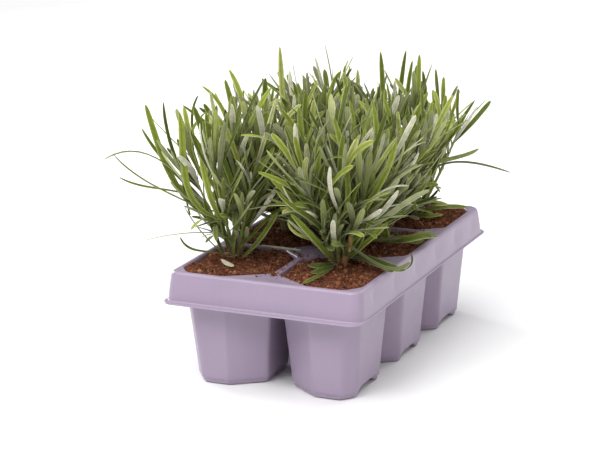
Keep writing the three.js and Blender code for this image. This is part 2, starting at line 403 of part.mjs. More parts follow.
  ["front_right", [[35.1,-69.6,92], [39.4,-77,113.3], [42.3,-81.9,131.5], [44.7,-86,152.6]], [1.3, 0.7], [
    [[[37.3,-73.4,103.2], [56.2,-83.8,108.7], [76.1,-84.2,79.5], [91.6,-74.7,95.5]], 3.5, [0.108,0.77,0.629], -8],
    [[[38.7,-75.8,111], [36.3,-96,133.6], [22,-85.9,160.1], [27.3,-76.6,186.1]], 4.6, [0.52,-0.851,0.069], 3],
    [[[39.5,-77.1,115.5], [57.5,-88.4,139.9], [45.5,-77.9,167.6], [35.8,-75,193.5]], 4.6, [0.575,-0.817,0.049], 10],
    [[[44.5,-85.7,150.9], [48.1,-84.7,161.7], [51.8,-83.2,171.9], [55.9,-81.3,181.9]], 4.68, [0.075,-0.997,-0.026], 11],
    [[[44.2,-85.2,148.3], [43.5,-89.6,159.4], [42.5,-94.4,169.9], [41,-99.5,180.2]], 3.93, [0.462,0.882,0.094], -14],
    [[[43.7,-84.3,144.4], [41.1,-84.2,157.7], [38.1,-83.7,170.6], [34.6,-82.9,183.4]], 4.66, [0.986,0.116,0.117], 21],
    [[[42.1,-81.6,132.3], [41.6,-78.2,143.8], [40.5,-73.6,154.4], [39,-67.7,164.4]], 4.41, [0.739,-0.655,0.156], -10],
  ]],
  ["middle_left", [[-37,3,92], [-34.7,4.6,119.3], [-33.1,5.7,142], [-31.7,6.7,167.9]], [1.3, 0.7], [
    [[[-35.7,3.9,108.3], [-43.2,14.6,145], [-50.4,25.5,181.7], [-57,36.8,218.5]], 4.42, [0.542,-0.771,0.335], 11],
    [[[-31.9,6.5,163.8], [-27.6,12.1,175.2], [-23.6,17.2,186.5], [-19.8,22,198]], 4.55, [-0.313,-0.835,0.452], -16],
    [[[-31.8,6.6,166.3], [-32.6,4.3,177.6], [-34,0.7,188], [-36,-4,197.9]], 4.1, [0.723,0.587,0.365], 5],
    [[[-32.7,6,150.9], [-37.5,8.3,163.3], [-43.7,11,174.6], [-51.1,14,185]], 3.92, [0.943,-0.242,0.229], -25],
    [[[-32.6,6,151.7], [-24.4,2,165], [-17.2,-1.4,178.5], [-10.6,-4.4,192.4]], 3.62, [-0.641,0.574,0.51], 18],
  ]],
  ["middle_left", [[-40.4,5.5,92], [-50.8,13.4,112.9], [-58.5,19.3,131.1], [-66.1,25,152.3]], [1.3, 0.7], [
    [[[-65.3,24.4,150], [-62.7,26.4,161.8], [-59.7,28.3,173.1], [-56.1,30,184.3]], 3.79, [-0.852,0.44,0.284], -30],
    [[[-65.6,24.7,151], [-73.7,27.1,160.9], [-82.2,29.3,169.9], [-91.1,31.4,178.5]], 4.54, [0.957,-0.015,0.289], 3],
    [[[-60.8,21,138.2], [-64.7,18.5,151.8], [-68.5,16.6,165.1], [-72.4,15.1,178.4]], 3.65, [-0.126,0.946,0.298], 2],
    [[[-62.4,22.2,142.3], [-65.3,30.8,152.9], [-68.5,38.3,163.6], [-72,44.8,174.9]], 4.66, [0.052,-0.546,0.836], -25],
  ]],
  ["middle_left", [[-40.7,1,92], [-54.5,-6.4,113.5], [-64,-11.6,132.8], [-72.4,-16.1,156.1]], [1.3, 0.7], [
    [[[-71.6,-15.7,154], [-70.5,-15.5,164.5], [-68.2,-14.8,174.5], [-64.8,-13.6,184.2]], 3.78, [-0.921,-0.317,-0.226], 19],
    [[[-71.1,-15.4,152.4], [-79,-18.2,162.5], [-85.9,-20.9,173], [-91.9,-23.5,184]], 4.35, [0.526,-0.408,0.747], -30],
    [[[-67.9,-13.7,144.4], [-71.5,-19.9,156.5], [-75,-25.9,168.2], [-78.5,-31.9,179.9]], 4.42, [-0.449,0.845,-0.292], -9],
    [[[-68.5,-14,145.7], [-76.6,-9.3,159.8], [-84.3,-6.6,174.2], [-91.4,-5.8,189]], 3.71, [-0.315,-0.918,-0.242], 7],
  ]],
  ["middle_left", [[-37.6,-1.2,92], [-39.3,-12.2,116.3], [-40.3,-19,137.6], [-41.1,-23.8,162.4]], [1.3, 0.7], [
    [[[-39,-10.2,113.8], [-43,-1.5,142.7], [-45.2,8.3,171.9], [-60.2,11.1,199]], 4.23, [0.609,-0.721,0.332], 1],
    [[[-40.9,-22.7,156.8], [-44.9,-21.4,169.1], [-49.5,-19.3,180.8], [-54.8,-16.3,191.8]], 4.09, [0.634,-0.31,0.709], -12],
    [[[-41,-23.3,159.9], [-38.3,-29.3,170.7], [-36.5,-34.2,181.9], [-35.7,-38,193.6]], 3.87, [-0.564,0.767,0.306], 23],
    [[[-40.7,-21.1,149.6], [-37.5,-21.6,164.2], [-35.5,-23,178.5], [-34.7,-25.4,192.7]], 3.68, [-0.623,-0.748,0.229], 9],
    [[[-40.5,-20.3,146.2], [-47.4,-30.5,157.9], [-54.3,-40.6,168.8], [-61.7,-51.1,179.1]], 3.61, [0.01,0.969,0.248], -5],
  ]],
  ["middle_left", [[-33.7,0.4,92], [-22.6,-8.4,112], [-15,-14.4,130], [-8.4,-19.6,151.6]], [1.3, 0.7], [
    [[[-24.4,-7,110.1], [-25.1,1.8,136.1], [-25,10.8,162], [-19.3,21.6,186.8]], 4.42, [0.627,-0.743,0.235], 5],
    [[[-8.8,-19.3,150.3], [-11.7,-20.9,163.1], [-14.7,-22.4,175.4], [-17.7,-24,187.8]], 4.58, [0.815,-0.577,0.052], -7],
    [[[-8.9,-19.2,150.1], [0.7,-21.9,158.7], [11.1,-24.3,165.8], [22.4,-26.4,171.4]], 4.29, [-0.778,0.096,0.621], 15],
    [[[-11.2,-17.4,142.7], [-6.7,-26.4,157], [-2.2,-34.9,171], [2.4,-43.2,185.1]], 3.85, [-0.103,0.299,0.949], -5],
    [[[-14.5,-14.8,133.6], [-3.4,-18.9,141.8], [8,-22.8,148.7], [20.1,-26.6,154.5]], 3.55, [-0.44,0.362,0.822], -23],
    [[[-12.9,-16.1,138], [-13.2,-13.1,152.5], [-13.8,-9.8,166.4], [-14.8,-6,180.2]], 4.01, [0.586,-0.766,0.262], -24],
    [[[-15.2,-14.3,131.7], [-15.1,-18.9,144.9], [-15.2,-23.5,157.7], [-15.5,-28.1,170.5]], 3.61, [0.749,0.485,-0.452], -12],
  ]],
  ["middle_left", [[-33.2,4.7,92], [-25.1,8.2,111.4], [-19.2,10.8,128], [-13.5,13.3,147.2]], [1.3, 0.7], [
    [[[-14.2,13,144.7], [-13.4,9.5,155.2], [-12.5,6.5,165.5], [-11.3,3.9,175.8]], 4.59, [0.101,0.928,0.358], -11],
    [[[-13.8,13.1,146.1], [-7.8,19.3,155.5], [-1.9,25.4,164.5], [4.1,31.7,173.3]], 4.55, [-0.444,-0.514,0.734], -22],
    [[[-16.1,12.2,138.8], [-9.2,11.2,148.8], [-1.6,9.4,157.7], [6.8,6.7,165.6]], 3.74, [-0.465,0.726,0.507], 4],
    [[[-20.2,10.4,126.1], [-14.8,6.7,139.4], [-9.5,4.3,152.6], [-4.4,3,166]], 4.04, [-0.19,0.954,0.232], 23],
    [[[-16,12.2,139.1], [-16.8,15.8,152.9], [-19.4,19.7,166], [-23.6,24,178.5]], 4.09, [0.946,-0.055,0.318], 8],
  ]],
  ["middle_left", [[-36.9,7.2,92], [-36.6,18.1,113.1], [-36.5,25.5,131.5], [-36.3,32,153]], [1.3, 0.7], [
    [[[-36.3,31.6,151.7], [-33.9,31.8,161.6], [-31.9,32.3,171.2], [-30.1,33.2,180.8]], 4.18, [-0.12,0.771,0.625], 6],
    [[[-36.4,28.5,142.1], [-42.5,28.5,153.2], [-47.9,28.8,164.2], [-52.7,29.6,175.5]], 4.45, [0.707,0.629,0.323], 11],
    [[[-36.3,31.6,151.7], [-40.7,37.7,159.6], [-45,43.7,167.3], [-49.3,49.7,174.8]], 3.82, [0.617,-0.518,0.593], 11],
    [[[-36.4,27.8,140], [-30.8,37.2,152.8], [-24.7,46.6,164.7], [-18,56.5,175.8]], 3.5, [-0.682,-0.538,0.495], -27],
  ]],
  ["middle_right", [[38,6,92], [38.1,6,118.7], [39.1,6.2,141], [41.1,6.5,166.2]], [1.3, 0.7], [
    [[[38.5,6.1,119.4], [34,19.9,151.9], [29.5,33.6,184.4], [23,42.1,218.4]], 4.42, [0.467,-0.805,0.366], 22],
    [[[40.9,6.5,163.3], [44.4,5.1,174.9], [49,3.1,185.7], [54.6,0.4,195.8]], 4.48, [-0.006,0.916,0.4], -21],
    [[[41,6.5,164.7], [39.2,10.9,175.1], [37.7,14.7,185.5], [36.7,17.9,196.1]], 3.7, [0.871,-0.492,0.009], 0],
    [[[40.3,6.4,155.2], [38.2,3,172.7], [34.9,-1.6,189.2], [30.3,-7.4,204.9]], 4.05, [0.791,0.61,0.044], 19],
    [[[40.3,6.4,154.8], [45.1,9,169.9], [49.7,11.4,184.5], [54.3,13.8,199.1]], 4.11, [-0.838,0.103,0.536], 8],
  ]],
  ["middle_right", [[38.4,1.8,92], [39.4,-10.1,111.5], [40.2,-18,128.7], [40.8,-24.8,149.2]], [1.3, 0.7], [
    [[[39.7,-12.4,118.1], [30.2,-8.1,141.5], [22.1,-3.9,165.3], [15.8,0.3,189.7]], 4.42, [0.668,-0.662,0.34], 22],
    [[[40.8,-24.4,148], [38.3,-22.4,160.4], [35.4,-19.1,172], [32,-14.4,183]], 3.96, [0.692,-0.72,0.043], -26],
    [[[40.5,-21.9,140.7], [46.2,-24.9,154.9], [50.2,-28.5,169], [52.8,-32.8,183.2]], 3.51, [-0.961,-0.175,-0.213], -9],
    [[[40.8,-24.4,148], [43.9,-33.6,155.7], [47.1,-42.9,162.6], [50.5,-52.5,168.9]], 4.34, [-0.343,0.589,0.731], 26],
    [[[40.4,-20.6,137.5], [36.7,-17.4,150.1], [32.6,-13.1,161.8], [28,-7.8,172.9]], 4.31, [0.488,-0.803,0.343], 22],
  ]],
  ["middle_right", [[41.5,3.6,92], [50.8,-2.8,113.3], [56.5,-6.7,132.2], [60.5,-9.4,154.4]], [1.3, 0.7], [
    [[[49.7,-2,112.7], [50.4,3.5,142.1], [56.8,13.1,169], [67,25.3,194.3]], 4.6, [0.542,-0.825,0.161], -13],
    [[[60.3,-9.2,153.1], [65.7,-12.4,162.8], [71.4,-15.7,171.9], [77.5,-19.2,180.7]], 4.51, [-0.687,0.705,0.176], -1],
    [[[58,-7.7,142.1], [59.6,-12.7,154.1], [60.8,-18.1,165.6], [61.8,-23.9,176.9]], 3.6, [0.401,0.895,0.194], -8],
    [[[59.7,-8.9,150.2], [56.9,-5.5,161.5], [54.8,-2.8,172.8], [53.3,-0.6,184.3]], 3.97, [0.127,-0.732,0.669], -26],
    [[[57.8,-7.6,141.1], [62.3,-5.6,155.1], [67,-1.9,168.1], [72.1,3.4,180.4]], 4.57, [-0.267,-0.881,0.392], -21],
    [[[56,-6.3,133.6], [66.1,-5.1,145.9], [76.2,-3.6,157.5], [86.6,-1.8,168.7]], 4.33, [-0.248,-0.638,0.729], -23],
  ]],
  ["middle_right", [[42.1,6.9,92], [55.4,9.7,113.6], [63.4,11.4,133.2], [68.9,12.5,156.6]], [1.3, 0.7], [
    [[[68.4,12.4,154.5], [78.3,14.7,163.8], [88.9,17.3,171.4], [100.4,20.1,177.5]], 4.38, [-0.702,-0.23,0.674], -2],
    [[[66.1,11.9,145.7], [68.2,15.9,160], [69.2,21.2,173.6], [69.3,27.7,186.7]], 4.47, [0.953,-0.226,0.201], -20],
    [[[68.6,12.4,155.2], [66.2,12.3,165.7], [63.1,12.1,175.7], [59.2,11.8,185.4]], 3.6, [0.945,0.282,0.166], -22],
    [[[66.1,11.9,145.9], [71.6,9.6,158], [76.2,8.5,170.2], [80.3,8.5,182.7]], 4.59, [-0.8,0.364,0.477], -17],
    [[[62.6,11.2,134.5], [70.5,18.9,144.4], [78.2,26.4,153.8], [85.9,34,163.3]], 4.48, [-0.402,-0.621,0.673], -26],
    [[[62.5,11.2,134.4], [62.2,8.5,149.1], [61.4,5.5,163.3], [60,2.2,177.4]], 4.6, [0.957,0.281,0.073], 17],
  ]],
  ["middle_right", [[40,9.7,92], [45.7,20,107.5], [49.5,26.9,121.7], [52.6,32.6,138.9]], [1.3, 0.7], [
    [[[52.1,31.6,135.9], [51.1,37.8,143.6], [50.5,43.5,151.3], [50.2,48.8,159.3]], 3.74, [0.103,-0.88,0.465], 4],
    [[[52.4,32.3,137.9], [56.3,30.2,147.4], [59.8,28.9,156.8], [63.2,28.1,166.3]], 3.88, [-0.359,0.906,0.223], -10],
    [[[50.7,29.1,129.2], [59.4,35.9,142.8], [69.1,42.5,155.1], [80,49,166.3]], 4.06, [-0.936,0.289,0.2], -14],
    [[[51.2,30,131.4], [45.4,34.3,144.6], [38.2,38,156.7], [29.3,41.3,167.8]], 3.95, [0.995,0.099,0.017], 21],
  ]],
  ["middle_right", [[35.9,9.7,92], [31.1,18.3,112.5], [28.4,23.1,130.6], [26.9,25.9,151.9]], [1.3, 0.7], [
    [[[27.3,25.2,147.2], [23.6,22.5,159.7], [19.8,19.5,171.6], [15.8,16.1,183.4]], 3.68, [0.513,0.372,0.774], 9],
    [[[27.3,25.2,147.1], [28.9,31.8,158.6], [30.5,38.4,169.8], [32.2,45,180.9]], 4.6, [-0.434,-0.266,0.86], 6],
    [[[28,23.9,139.1], [26.7,18.9,155.8], [25.3,14.7,172.1], [24,10.9,188.5]], 3.85, [-0.167,0.984,0.056], 1],
    [[[27.5,24.7,143.7], [21.5,29.8,154.2], [16.7,34.2,165.2], [13.1,37.8,176.9]], 4.61, [0.535,-0.756,0.378], -5],
    [[[28.7,22.7,132.9], [32.2,27.8,149.4], [36.7,33,165.1], [42.4,38.5,180.3]], 4.24, [-0.676,0.373,0.636], 9],
    [[[29.1,21.8,129], [22.5,22.4,141.4], [16.4,23.1,153.5], [10.4,23.9,165.7]], 4.34, [0.323,-0.261,0.91], 23],
  ]],
  ["middle_right", [[34,7.2,92], [21.3,11.2,114], [12.9,13.8,133.6], [5.8,16,156.7]], [1.3, 0.7], [
    [[[6.2,15.9,155.3], [1.3,11.9,165.9], [-3.6,7.3,175.9], [-8.5,1.9,185.4]], 3.8, [0.21,0.919,0.334], 24],
    [[[6.2,15.9,155.3], [3.1,20.3,166.2], [0.1,24.5,176.7], [-3,28.5,187.4]], 3.68, [0.028,-0.746,0.665], -2],
    [[[8.8,15.1,147.2], [11.4,15.5,163.7], [12.1,16.2,179.9], [11.2,17.1,196.1]], 4.68, [-0.978,-0.178,-0.108], -5],
    [[[10.3,14.6,143.2], [5.2,7.4,153.5], [0.2,1.8,164.3], [-4.8,-2.5,175.7]], 4.48, [-0.375,0.867,0.329], -3],
    [[[13.9,13.5,133.4], [8.6,21.2,147.5], [3.5,29,161], [-1.5,37,174.4]], 4.63, [0.02,-0.984,0.177], -6],
  ]],
  ["middle_right", [[34.8,3.2,92], [28.4,-2.4,111.2], [24.3,-6,127.8], [21,-9,147.2]], [1.3, 0.7], [
    [[[33.4,1.9,96.4], [24.8,-36,83.9], [63.9,-1.8,96.3], [83.4,-0.4,93.2]], 4.23, [0.076,0.752,0.655], -2],
    [[[21.7,-8.4,143.2], [20.7,-5.6,152], [19.7,-3.2,160.7], [18.7,-1,169.4]], 4.39, [-0.108,-0.963,0.246], 5],
    [[[21.6,-8.4,143.6], [19.1,-13.1,153.6], [16.8,-17,163.6], [14.6,-20.3,173.8]], 4.16, [-0.473,0.389,0.79], -1],
    [[[23.1,-7.1,135.9], [12.6,-9.2,147], [1.7,-11.1,157], [-9.8,-13,166.4]], 4.55, [0.585,0.054,0.809], 14],
    [[[24.6,-5.7,128.5], [21.2,0.6,144], [17.7,5,159.6], [14.2,7.6,175.6]], 4.11, [-0.403,-0.897,0.183], -29],
    [[[23,-7.2,136.1], [25.7,-11.1,148.8], [26.8,-14.5,161.4], [26.4,-17.5,174.1]], 3.75, [-0.623,0.696,-0.358], 18],
  ]],
  ["back_left", [[-35,82,92], [-36.1,83.6,120.6], [-37.2,85.2,144.5], [-38.8,87.5,171.4]], [1.3, 0.7], [
    [[[-35.8,83.1,111.1], [-34.4,94.9,144.1], [-40.8,103.4,176.7], [-52.3,109.6,209.1]], 2.76, [0.948,-0.23,0.222], 23],
    [[[-38.5,87.1,167.1], [-43.9,86.9,175.8], [-50,86.4,183.7], [-56.8,85.8,191]], 4.59, [0.675,0.711,0.197], -19],
    [[[-38.7,87.3,169.4], [-32.8,90.5,180.6], [-27.3,93.6,191.7], [-22.1,96.5,202.9]], 4.02, [-0.833,-0.356,0.423], -8],
    [[[-38.1,86.4,158.5], [-36.6,94.9,171.5], [-35.1,103.4,183.9], [-33.5,112.2,196.2]], 4.31, [-0.512,-0.758,0.405], -14],
    [[[-37.9,86.2,155.7], [-39.9,82.5,172.3], [-42,78.3,188.4], [-44.1,73.4,204.2]], 3.59, [0.321,0.774,0.546], -4],
    [[[-37.2,85.2,142.2], [-45.3,86.5,158.2], [-54,87.8,173.2], [-63.5,89,187.8]], 3.7, [0.865,0.502,-0.019], 16],
  ]],
  ["back_left", [[-33,85.7,92], [-26.3,98.6,109.8], [-22,106.8,126.5], [-18.6,113.2,146.9]], [1.3, 0.7], [
    [[[-18.8,112.8,145.7], [-15,114.4,155.6], [-11.3,115.8,165.1], [-7.5,117.2,174.7]], 4.64, [0.278,0.613,0.739], -11],
    [[[-19,112.4,144.5], [-19,117.7,153.6], [-18.6,122.4,162.6], [-17.8,126.6,171.9]], 4.01, [0.703,-0.678,0.215], 18],
    [[[-20.6,109.4,135.7], [-21.4,112.2,149], [-22.4,114.7,162], [-23.6,117.1,174.9]], 4.28, [0.753,0.013,-0.658], -10],
    [[[-20.9,108.8,134.1], [-10.5,114.5,145.4], [-0.3,120.1,156.2], [9.9,125.6,167.1]], 4.51, [-0.451,0.546,0.706], 30],
  ]],
  ["back_left", [[-36.9,85.8,92], [-42.9,98,114.7], [-46.7,105.7,135.1], [-49.5,111.4,159.4]], [1.3, 0.7], [
    [[[-49.3,111.1,157.9], [-52.7,109.6,169.3], [-56.3,107.7,180.2], [-60.1,105.1,190.9]], 4.12, [0.121,0.986,0.117], 19],
    [[[-48.8,110,153.8], [-47,115.5,164.4], [-45.7,120.4,174.9], [-45,124.9,185.7]], 4.18, [-0.919,-0.161,0.361], -11],
    [[[-47.9,108.1,146.5], [-46.5,108.1,161.7], [-45.8,108.7,176.4], [-45.5,110,191.2]], 4.49, [-0.98,0.019,0.198], 21],
    [[[-45.7,103.7,132.5], [-53.9,101.7,147.3], [-61.9,99.6,161.6], [-70,97.5,175.9]], 3.65, [0.222,0.963,0.156], -1],
    [[[-46,104.4,134.4], [-45.6,112.9,146.7], [-45.7,120.5,159.1], [-46.5,127.2,172]], 4.35, [-0.738,-0.568,0.364], -23],
    [[[-47.5,107.3,143.8], [-54.4,113.3,156.5], [-62,119.3,168.2], [-70.3,125.5,179.3]], 4.65, [0.63,0.73,0.265], 5],
  ]],
  ["back_left", [[-39.1,82.9,92], [-51,85.3,115.5], [-58.8,87,135.9], [-65.3,88.3,160]], [1.3, 0.7], [
    [[[-64.9,88.2,158.6], [-65.6,86.3,171.7], [-66.9,85.1,184.5], [-68.9,84.6,197.2]], 3.8, [-0.987,-0.155,0.051], 28],
    [[[-64,88,155.2], [-69.2,90.6,165.1], [-74,92.8,174.9], [-78.5,94.7,184.9]], 3.74, [0.204,-0.052,0.978], -1],
    [[[-58.7,86.9,138.2], [-69.8,92.3,150.1], [-80.3,97.4,161.9], [-90.6,102.2,174.1]], 3.91, [0.301,-0.693,0.655], -3],
    [[[-62.6,87.7,150.4], [-70.7,84.7,163.5], [-78.7,81.7,176], [-86.8,78.4,188.5]], 4.46, [0.17,0.855,0.49], -25],
    [[[-61.5,87.5,146.7], [-60.5,91.9,158.7], [-59.2,96.4,170.2], [-57.3,101.2,181.6]], 3.75, [-0.316,-0.667,0.674], -15],
    [[[-58.9,87,138.7], [-61.3,82.1,151.4], [-63,75.9,163.1], [-64.1,68.5,174.2]], 4.24, [-0.505,0.239,0.83], 8],
  ]],
  ["back_left", [[-38.1,79.1,92], [-44.5,73.1,113.1], [-48.3,69.5,131.4], [-50.9,67.1,152.7]], [1.3, 0.7], [
    [[[-50.5,67.5,149.4], [-47.6,68.2,158.8], [-45.8,68.5,168.1], [-44.8,68.3,177.6]], 4.55, [0.228,-0.968,0.108], 19],
    [[[-50.7,67.2,151.4], [-56,63.8,159.3], [-61.6,60.2,166.5], [-67.6,56.5,173.3]], 4.02, [0.793,0.304,0.528], -27],
    [[[-49.7,68.2,143.6], [-46.9,63,160.2], [-45.8,58.8,176.8], [-46.4,55.5,193.6]], 3.7, [-0.662,0.677,0.322], 8],
    [[[-49.5,68.4,142.4], [-54,72.4,156], [-58.6,76.9,168.9], [-63.4,82.1,181.5]], 3.79, [-0.027,-0.869,0.494], 6],
    [[[-48.2,69.6,134], [-55.7,66,144.7], [-64.2,62.1,154], [-73.8,58.1,162.1]], 4.06, [0.801,-0.168,0.574], -20],
    [[[-47.5,70.2,130.5], [-45.7,72.2,143.4], [-43,75,155.5], [-39.5,78.6,167.2]], 4.28, [-0.733,-0.541,0.412], -28],
  ]],
  ["back_left", [[-34.6,77.8,92], [-33.7,66.3,115.1], [-33.1,59.4,135.5], [-32.7,54.8,159.4]], [1.3, 0.7], [
    [[[-33.9,68.4,112.7], [-32.2,80.6,139.2], [-30.6,92.7,165.6], [-31.2,100.9,193.7]], 4.23, [0.558,-0.776,0.293], 15],
    [[[-32.7,55.1,158], [-37.1,51.5,166], [-41.3,48,173.9], [-45.4,44.6,181.8]], 4.17, [0.758,0.243,0.605], 1],
    [[[-32.7,55.1,158], [-28.1,55.7,167.6], [-23.6,56.4,176.8], [-19.1,57.1,186.1]], 4.49, [-0.885,-0.384,0.265], -11],
    [[[-33,57.9,145.3], [-35.3,61.5,157.7], [-37.3,64.2,170], [-39,66.2,182.5]], 3.6, [0.298,-0.552,0.779], 27],
    [[[-32.9,57.3,147.7], [-30.5,50.5,161], [-27.8,43.2,173.6], [-24.6,35.3,185.6]], 3.76, [0.352,0.917,-0.186], 20],
    [[[-33.2,60.2,136.7], [-26.5,58.2,148.9], [-19.1,56.6,160.2], [-10.8,55.3,171]], 3.67, [-0.727,-0.299,0.618], -13],
  ]],
  ["back_left", [[-31.6,79.5,92], [-20.7,71.6,115.6], [-13.2,66.1,136.1], [-6.4,61.1,160.4]], [1.3, 0.7], [
    [[[-22.4,72.8,113.1], [-18.1,83.8,138.5], [-16.7,93.5,164.5], [-20.3,100.6,191.4]], 4.23, [0.556,-0.788,0.265], 3],
    [[[-7.4,61.8,156.9], [-5.5,55.1,164.7], [-3.9,47.9,171.6], [-2.5,40,177.8]], 3.97, [-0.141,0.946,0.292], 15],
    [[[-7.8,62.2,155.4], [-10.6,64.2,165.9], [-14.3,66.8,175.8], [-18.9,70.1,185]], 4.19, [0.868,-0.362,0.339], -15],
    [[[-9.3,63.3,150.3], [-0.6,59.4,162], [7.2,55.8,173.9], [14.2,52.2,186.3]], 4.6, [-0.94,0.032,0.339], -6],
    [[[-9.3,63.2,150.4], [-9.3,58.8,166.3], [-8,54.7,181.8], [-5.5,50.9,197.3]], 3.91, [0.795,0.135,0.591], 16],
    [[[-14.3,66.9,134.9], [-12.8,69.4,148.1], [-10.7,70.6,161], [-8,70.7,173.9]], 4.47, [0.497,-0.839,-0.223], -26],
  ]],
  ["back_left", [[-30.9,82.9,92], [-23.5,84.5,110.3], [-18.5,85.6,126], [-14.2,86.5,144.3]], [1.3, 0.7], [
    [[[-14.5,86.4,143.2], [-16.2,83.7,156], [-16.8,81.8,168.7], [-16.3,80.7,181.5]], 4.61, [0.955,0.193,0.227], -12],
    [[[-14.5,86.4,143.2], [-8.2,87.4,154.8], [-2.6,88.3,166.3], [2.5,89.1,178]], 4.6, [-0.834,-0.538,-0.122], 0],
    [[[-16.4,86,135.3], [-11.3,82.2,147.2], [-6.5,78.9,158.9], [-1.8,75.9,170.7]], 3.57, [0.39,0.457,0.8], 18],
    [[[-19.3,85.4,125], [-13.2,88.2,136.1], [-7.2,90.9,146.8], [-1.3,93.7,157.5]], 4.31, [-0.785,-0.413,0.462], -1],
    [[[-18.7,85.5,127.1], [-20.2,87.8,144.2], [-23.8,90.3,160.4], [-29.5,93.1,175.9]], 3.78, [0.758,-0.589,-0.28], -28],
    [[[-16.6,86,134.8], [-14.9,90.8,148.5], [-12.7,94.5,162], [-10,97.1,175.7]], 3.55, [0.686,-0.723,-0.086], 8],
  ]],
  ["back_right", [[37,80,92], [37.4,79.4,120.8], [37.7,78.9,144.8], [38.1,78.3,172]], [1.3, 0.7], [
    [[[37.2,79.7,107.1], [51.3,87.1,129.9], [56,98.7,154.3], [60.6,110.3,178.7]], 3.86, [0.728,-0.684,0.055], 19],
    [[[38.1,78.3,170.4], [41.7,78.9,182], [45.4,79.6,193.1], [49.3,80.3,204.2]], 4.14, [0.127,-0.133,0.983], -18],
    [[[38,78.4,167.1], [33,76.6,176], [27.7,74.7,184.4], [22.2,72.7,192.6]], 4.66, [0.985,-0.091,0.146], -19],
    [[[37.9,78.6,160.5], [38.5,73.7,173.8], [39,69.9,187.1], [39.5,66.9,200.5]], 3.63, [-0.05,0.998,0.024], 20],
    [[[37.9,78.6,157.8], [36.2,84.6,174.6], [34.5,90.3,191], [32.9,96,207.3]], 4.27, [-0.023,-0.61,0.792], -20],
  ]],
  ["back_right", [[40.7,77.9,92], [51.5,71.8,110], [58.1,68,126.5], [62.8,65.4,146.5]], [1.3, 0.7], [
    [[[61.8,66,142.4], [65.5,60.4,149.9], [69.1,54.6,156.7], [72.8,48.3,163.1]], 4.31, [0.296,0.605,0.739], 14],
    [[[61.8,65.9,142.5], [61.5,69.8,155.6], [61.7,72.8,168.6], [62.4,75.1,181.7]], 4.07, [0.574,-0.818,-0.038], 13],
    [[[60.1,66.9,136.3], [67.7,66,148], [75.1,65.2,159.4], [82.5,64.5,170.7]], 4.49, [-0.875,-0.416,-0.249], 5],
    [[[60.7,66.6,138.3], [58.5,63,151.7], [56.6,59.5,164.9], [55,56.1,178.1]], 3.55, [0.674,0.628,0.388], 6],
    [[[57.3,68.5,127.2], [55.4,70.2,140.2], [53.3,72,152.8], [51,74,165.3]], 3.76, [0.927,-0.24,-0.288], -12],
  ]],
  ["back_right", [[40.9,81.5,92], [51.9,85.6,113.5], [59.8,88.6,132], [67.3,91.4,153.7]], [1.3, 0.7], [
    [[[66.8,91.2,152.4], [65.9,90.2,163.2], [65.9,89.7,173.7], [66.9,89.7,184.2]], 3.57, [0.852,-0.157,-0.5], -24],
    [[[63,89.8,141.7], [70.8,86.6,152.4], [78.1,83.8,163.1], [85.3,81.5,174]], 4.63, [-0.798,0.567,0.205], 20],
    [[[66.8,91.2,152.4], [73.5,93.4,160.5], [80,95.6,168.3], [86.6,97.7,176.1]], 3.9, [-0.562,-0.285,0.776], -5],
    [[[58.6,88.1,130.4], [60.8,86.5,146], [62.5,84.6,161.2], [63.8,82.2,176.3]], 4.65, [0.454,-0.207,0.867], 22],
    [[[62.6,89.7,140.8], [69.9,99.1,150.5], [76.9,107.7,160.5], [83.8,115.9,170.8]], 4.14, [-0.136,-0.788,0.6], 17],
  ]],
  ["back_right", [[38.6,83.9,92], [43.3,95.7,114.1], [46.2,102.8,133.9], [48.1,107.6,157.4]], [1.3, 0.7], [
    [[[48,107.2,155.6], [45.9,112.7,165.5], [44.3,117.7,175.4], [43,122.3,185.5]], 3.54, [0.511,-0.699,0.501], -1],
    [[[47.9,107.1,155.2], [51.6,107.3,164.8], [55.6,107.2,174], [60.1,106.7,183]], 3.68, [-0.879,0.361,-0.313], 0],
    [[[46.8,104.4,143.7], [53,111.7,153.3], [59.8,119.5,161.5], [67.5,127.8,168.3]], 3.86, [-0.654,-0.316,0.688], 0],
    [[[47.1,105.1,146.5], [46.1,104.2,163.2], [45.1,103.3,179.3], [44,102.3,195.5]], 4.54, [0.41,0.548,0.729], 7],
  ]],
  ["back_right", [[34.5,83.4,92], [27.8,92.6,116.1], [24,97.8,137.4], [21.9,100.6,162.3]], [1.3, 0.7], [
    [[[22,100.4,160.8], [25.5,100.3,170.4], [28.9,100.1,179.6], [32.3,100,188.9]], 4.12, [-0.776,0.102,0.622], -5],
    [[[22.2,100.3,159.4], [13.8,102.3,169.7], [6.5,104.3,180.3], [-0.1,106.3,191.4]], 4.52, [0.841,0.322,0.434], -16],
    [[[23,99.1,150.6], [13.6,96.9,161.3], [5.3,95.4,172.6], [-1.9,94.5,184.6]], 4.08, [0.218,0.483,0.848], -25],
    [[[23,99.1,150.7], [22,106.4,165.5], [21.2,114,179.5], [20.4,122,193.4]], 3.93, [0.094,-0.873,0.479], -28],
  ]],
  ["back_right", [[32.8,80.1,92], [21,80.3,116], [12.4,80.4,136.5], [4,80.5,160.2]], [1.3, 0.7], [
    [[[22,80.3,115.1], [17,88.7,146], [14.8,98.4,176.7], [16.5,110.1,207]], 4.05, [0.553,-0.782,0.286], 23],
    [[[8.3,80.4,148.4], [2.1,72.6,163.5], [-3.9,65.3,178.3], [-10,58.3,193.1]], 4.69, [0.1,0.994,0.038], -23],
    [[[4.5,80.5,158.8], [-2.5,80,167.2], [-8.9,79.6,175.8], [-14.9,79.2,184.5]], 4.15, [0.41,0.822,0.396], 18],
    [[[4.5,80.5,158.8], [6.1,80.7,171.1], [8.7,80.9,182.9], [12.3,81.1,194.4]], 3.65, [-0.947,0.242,-0.212], 9],
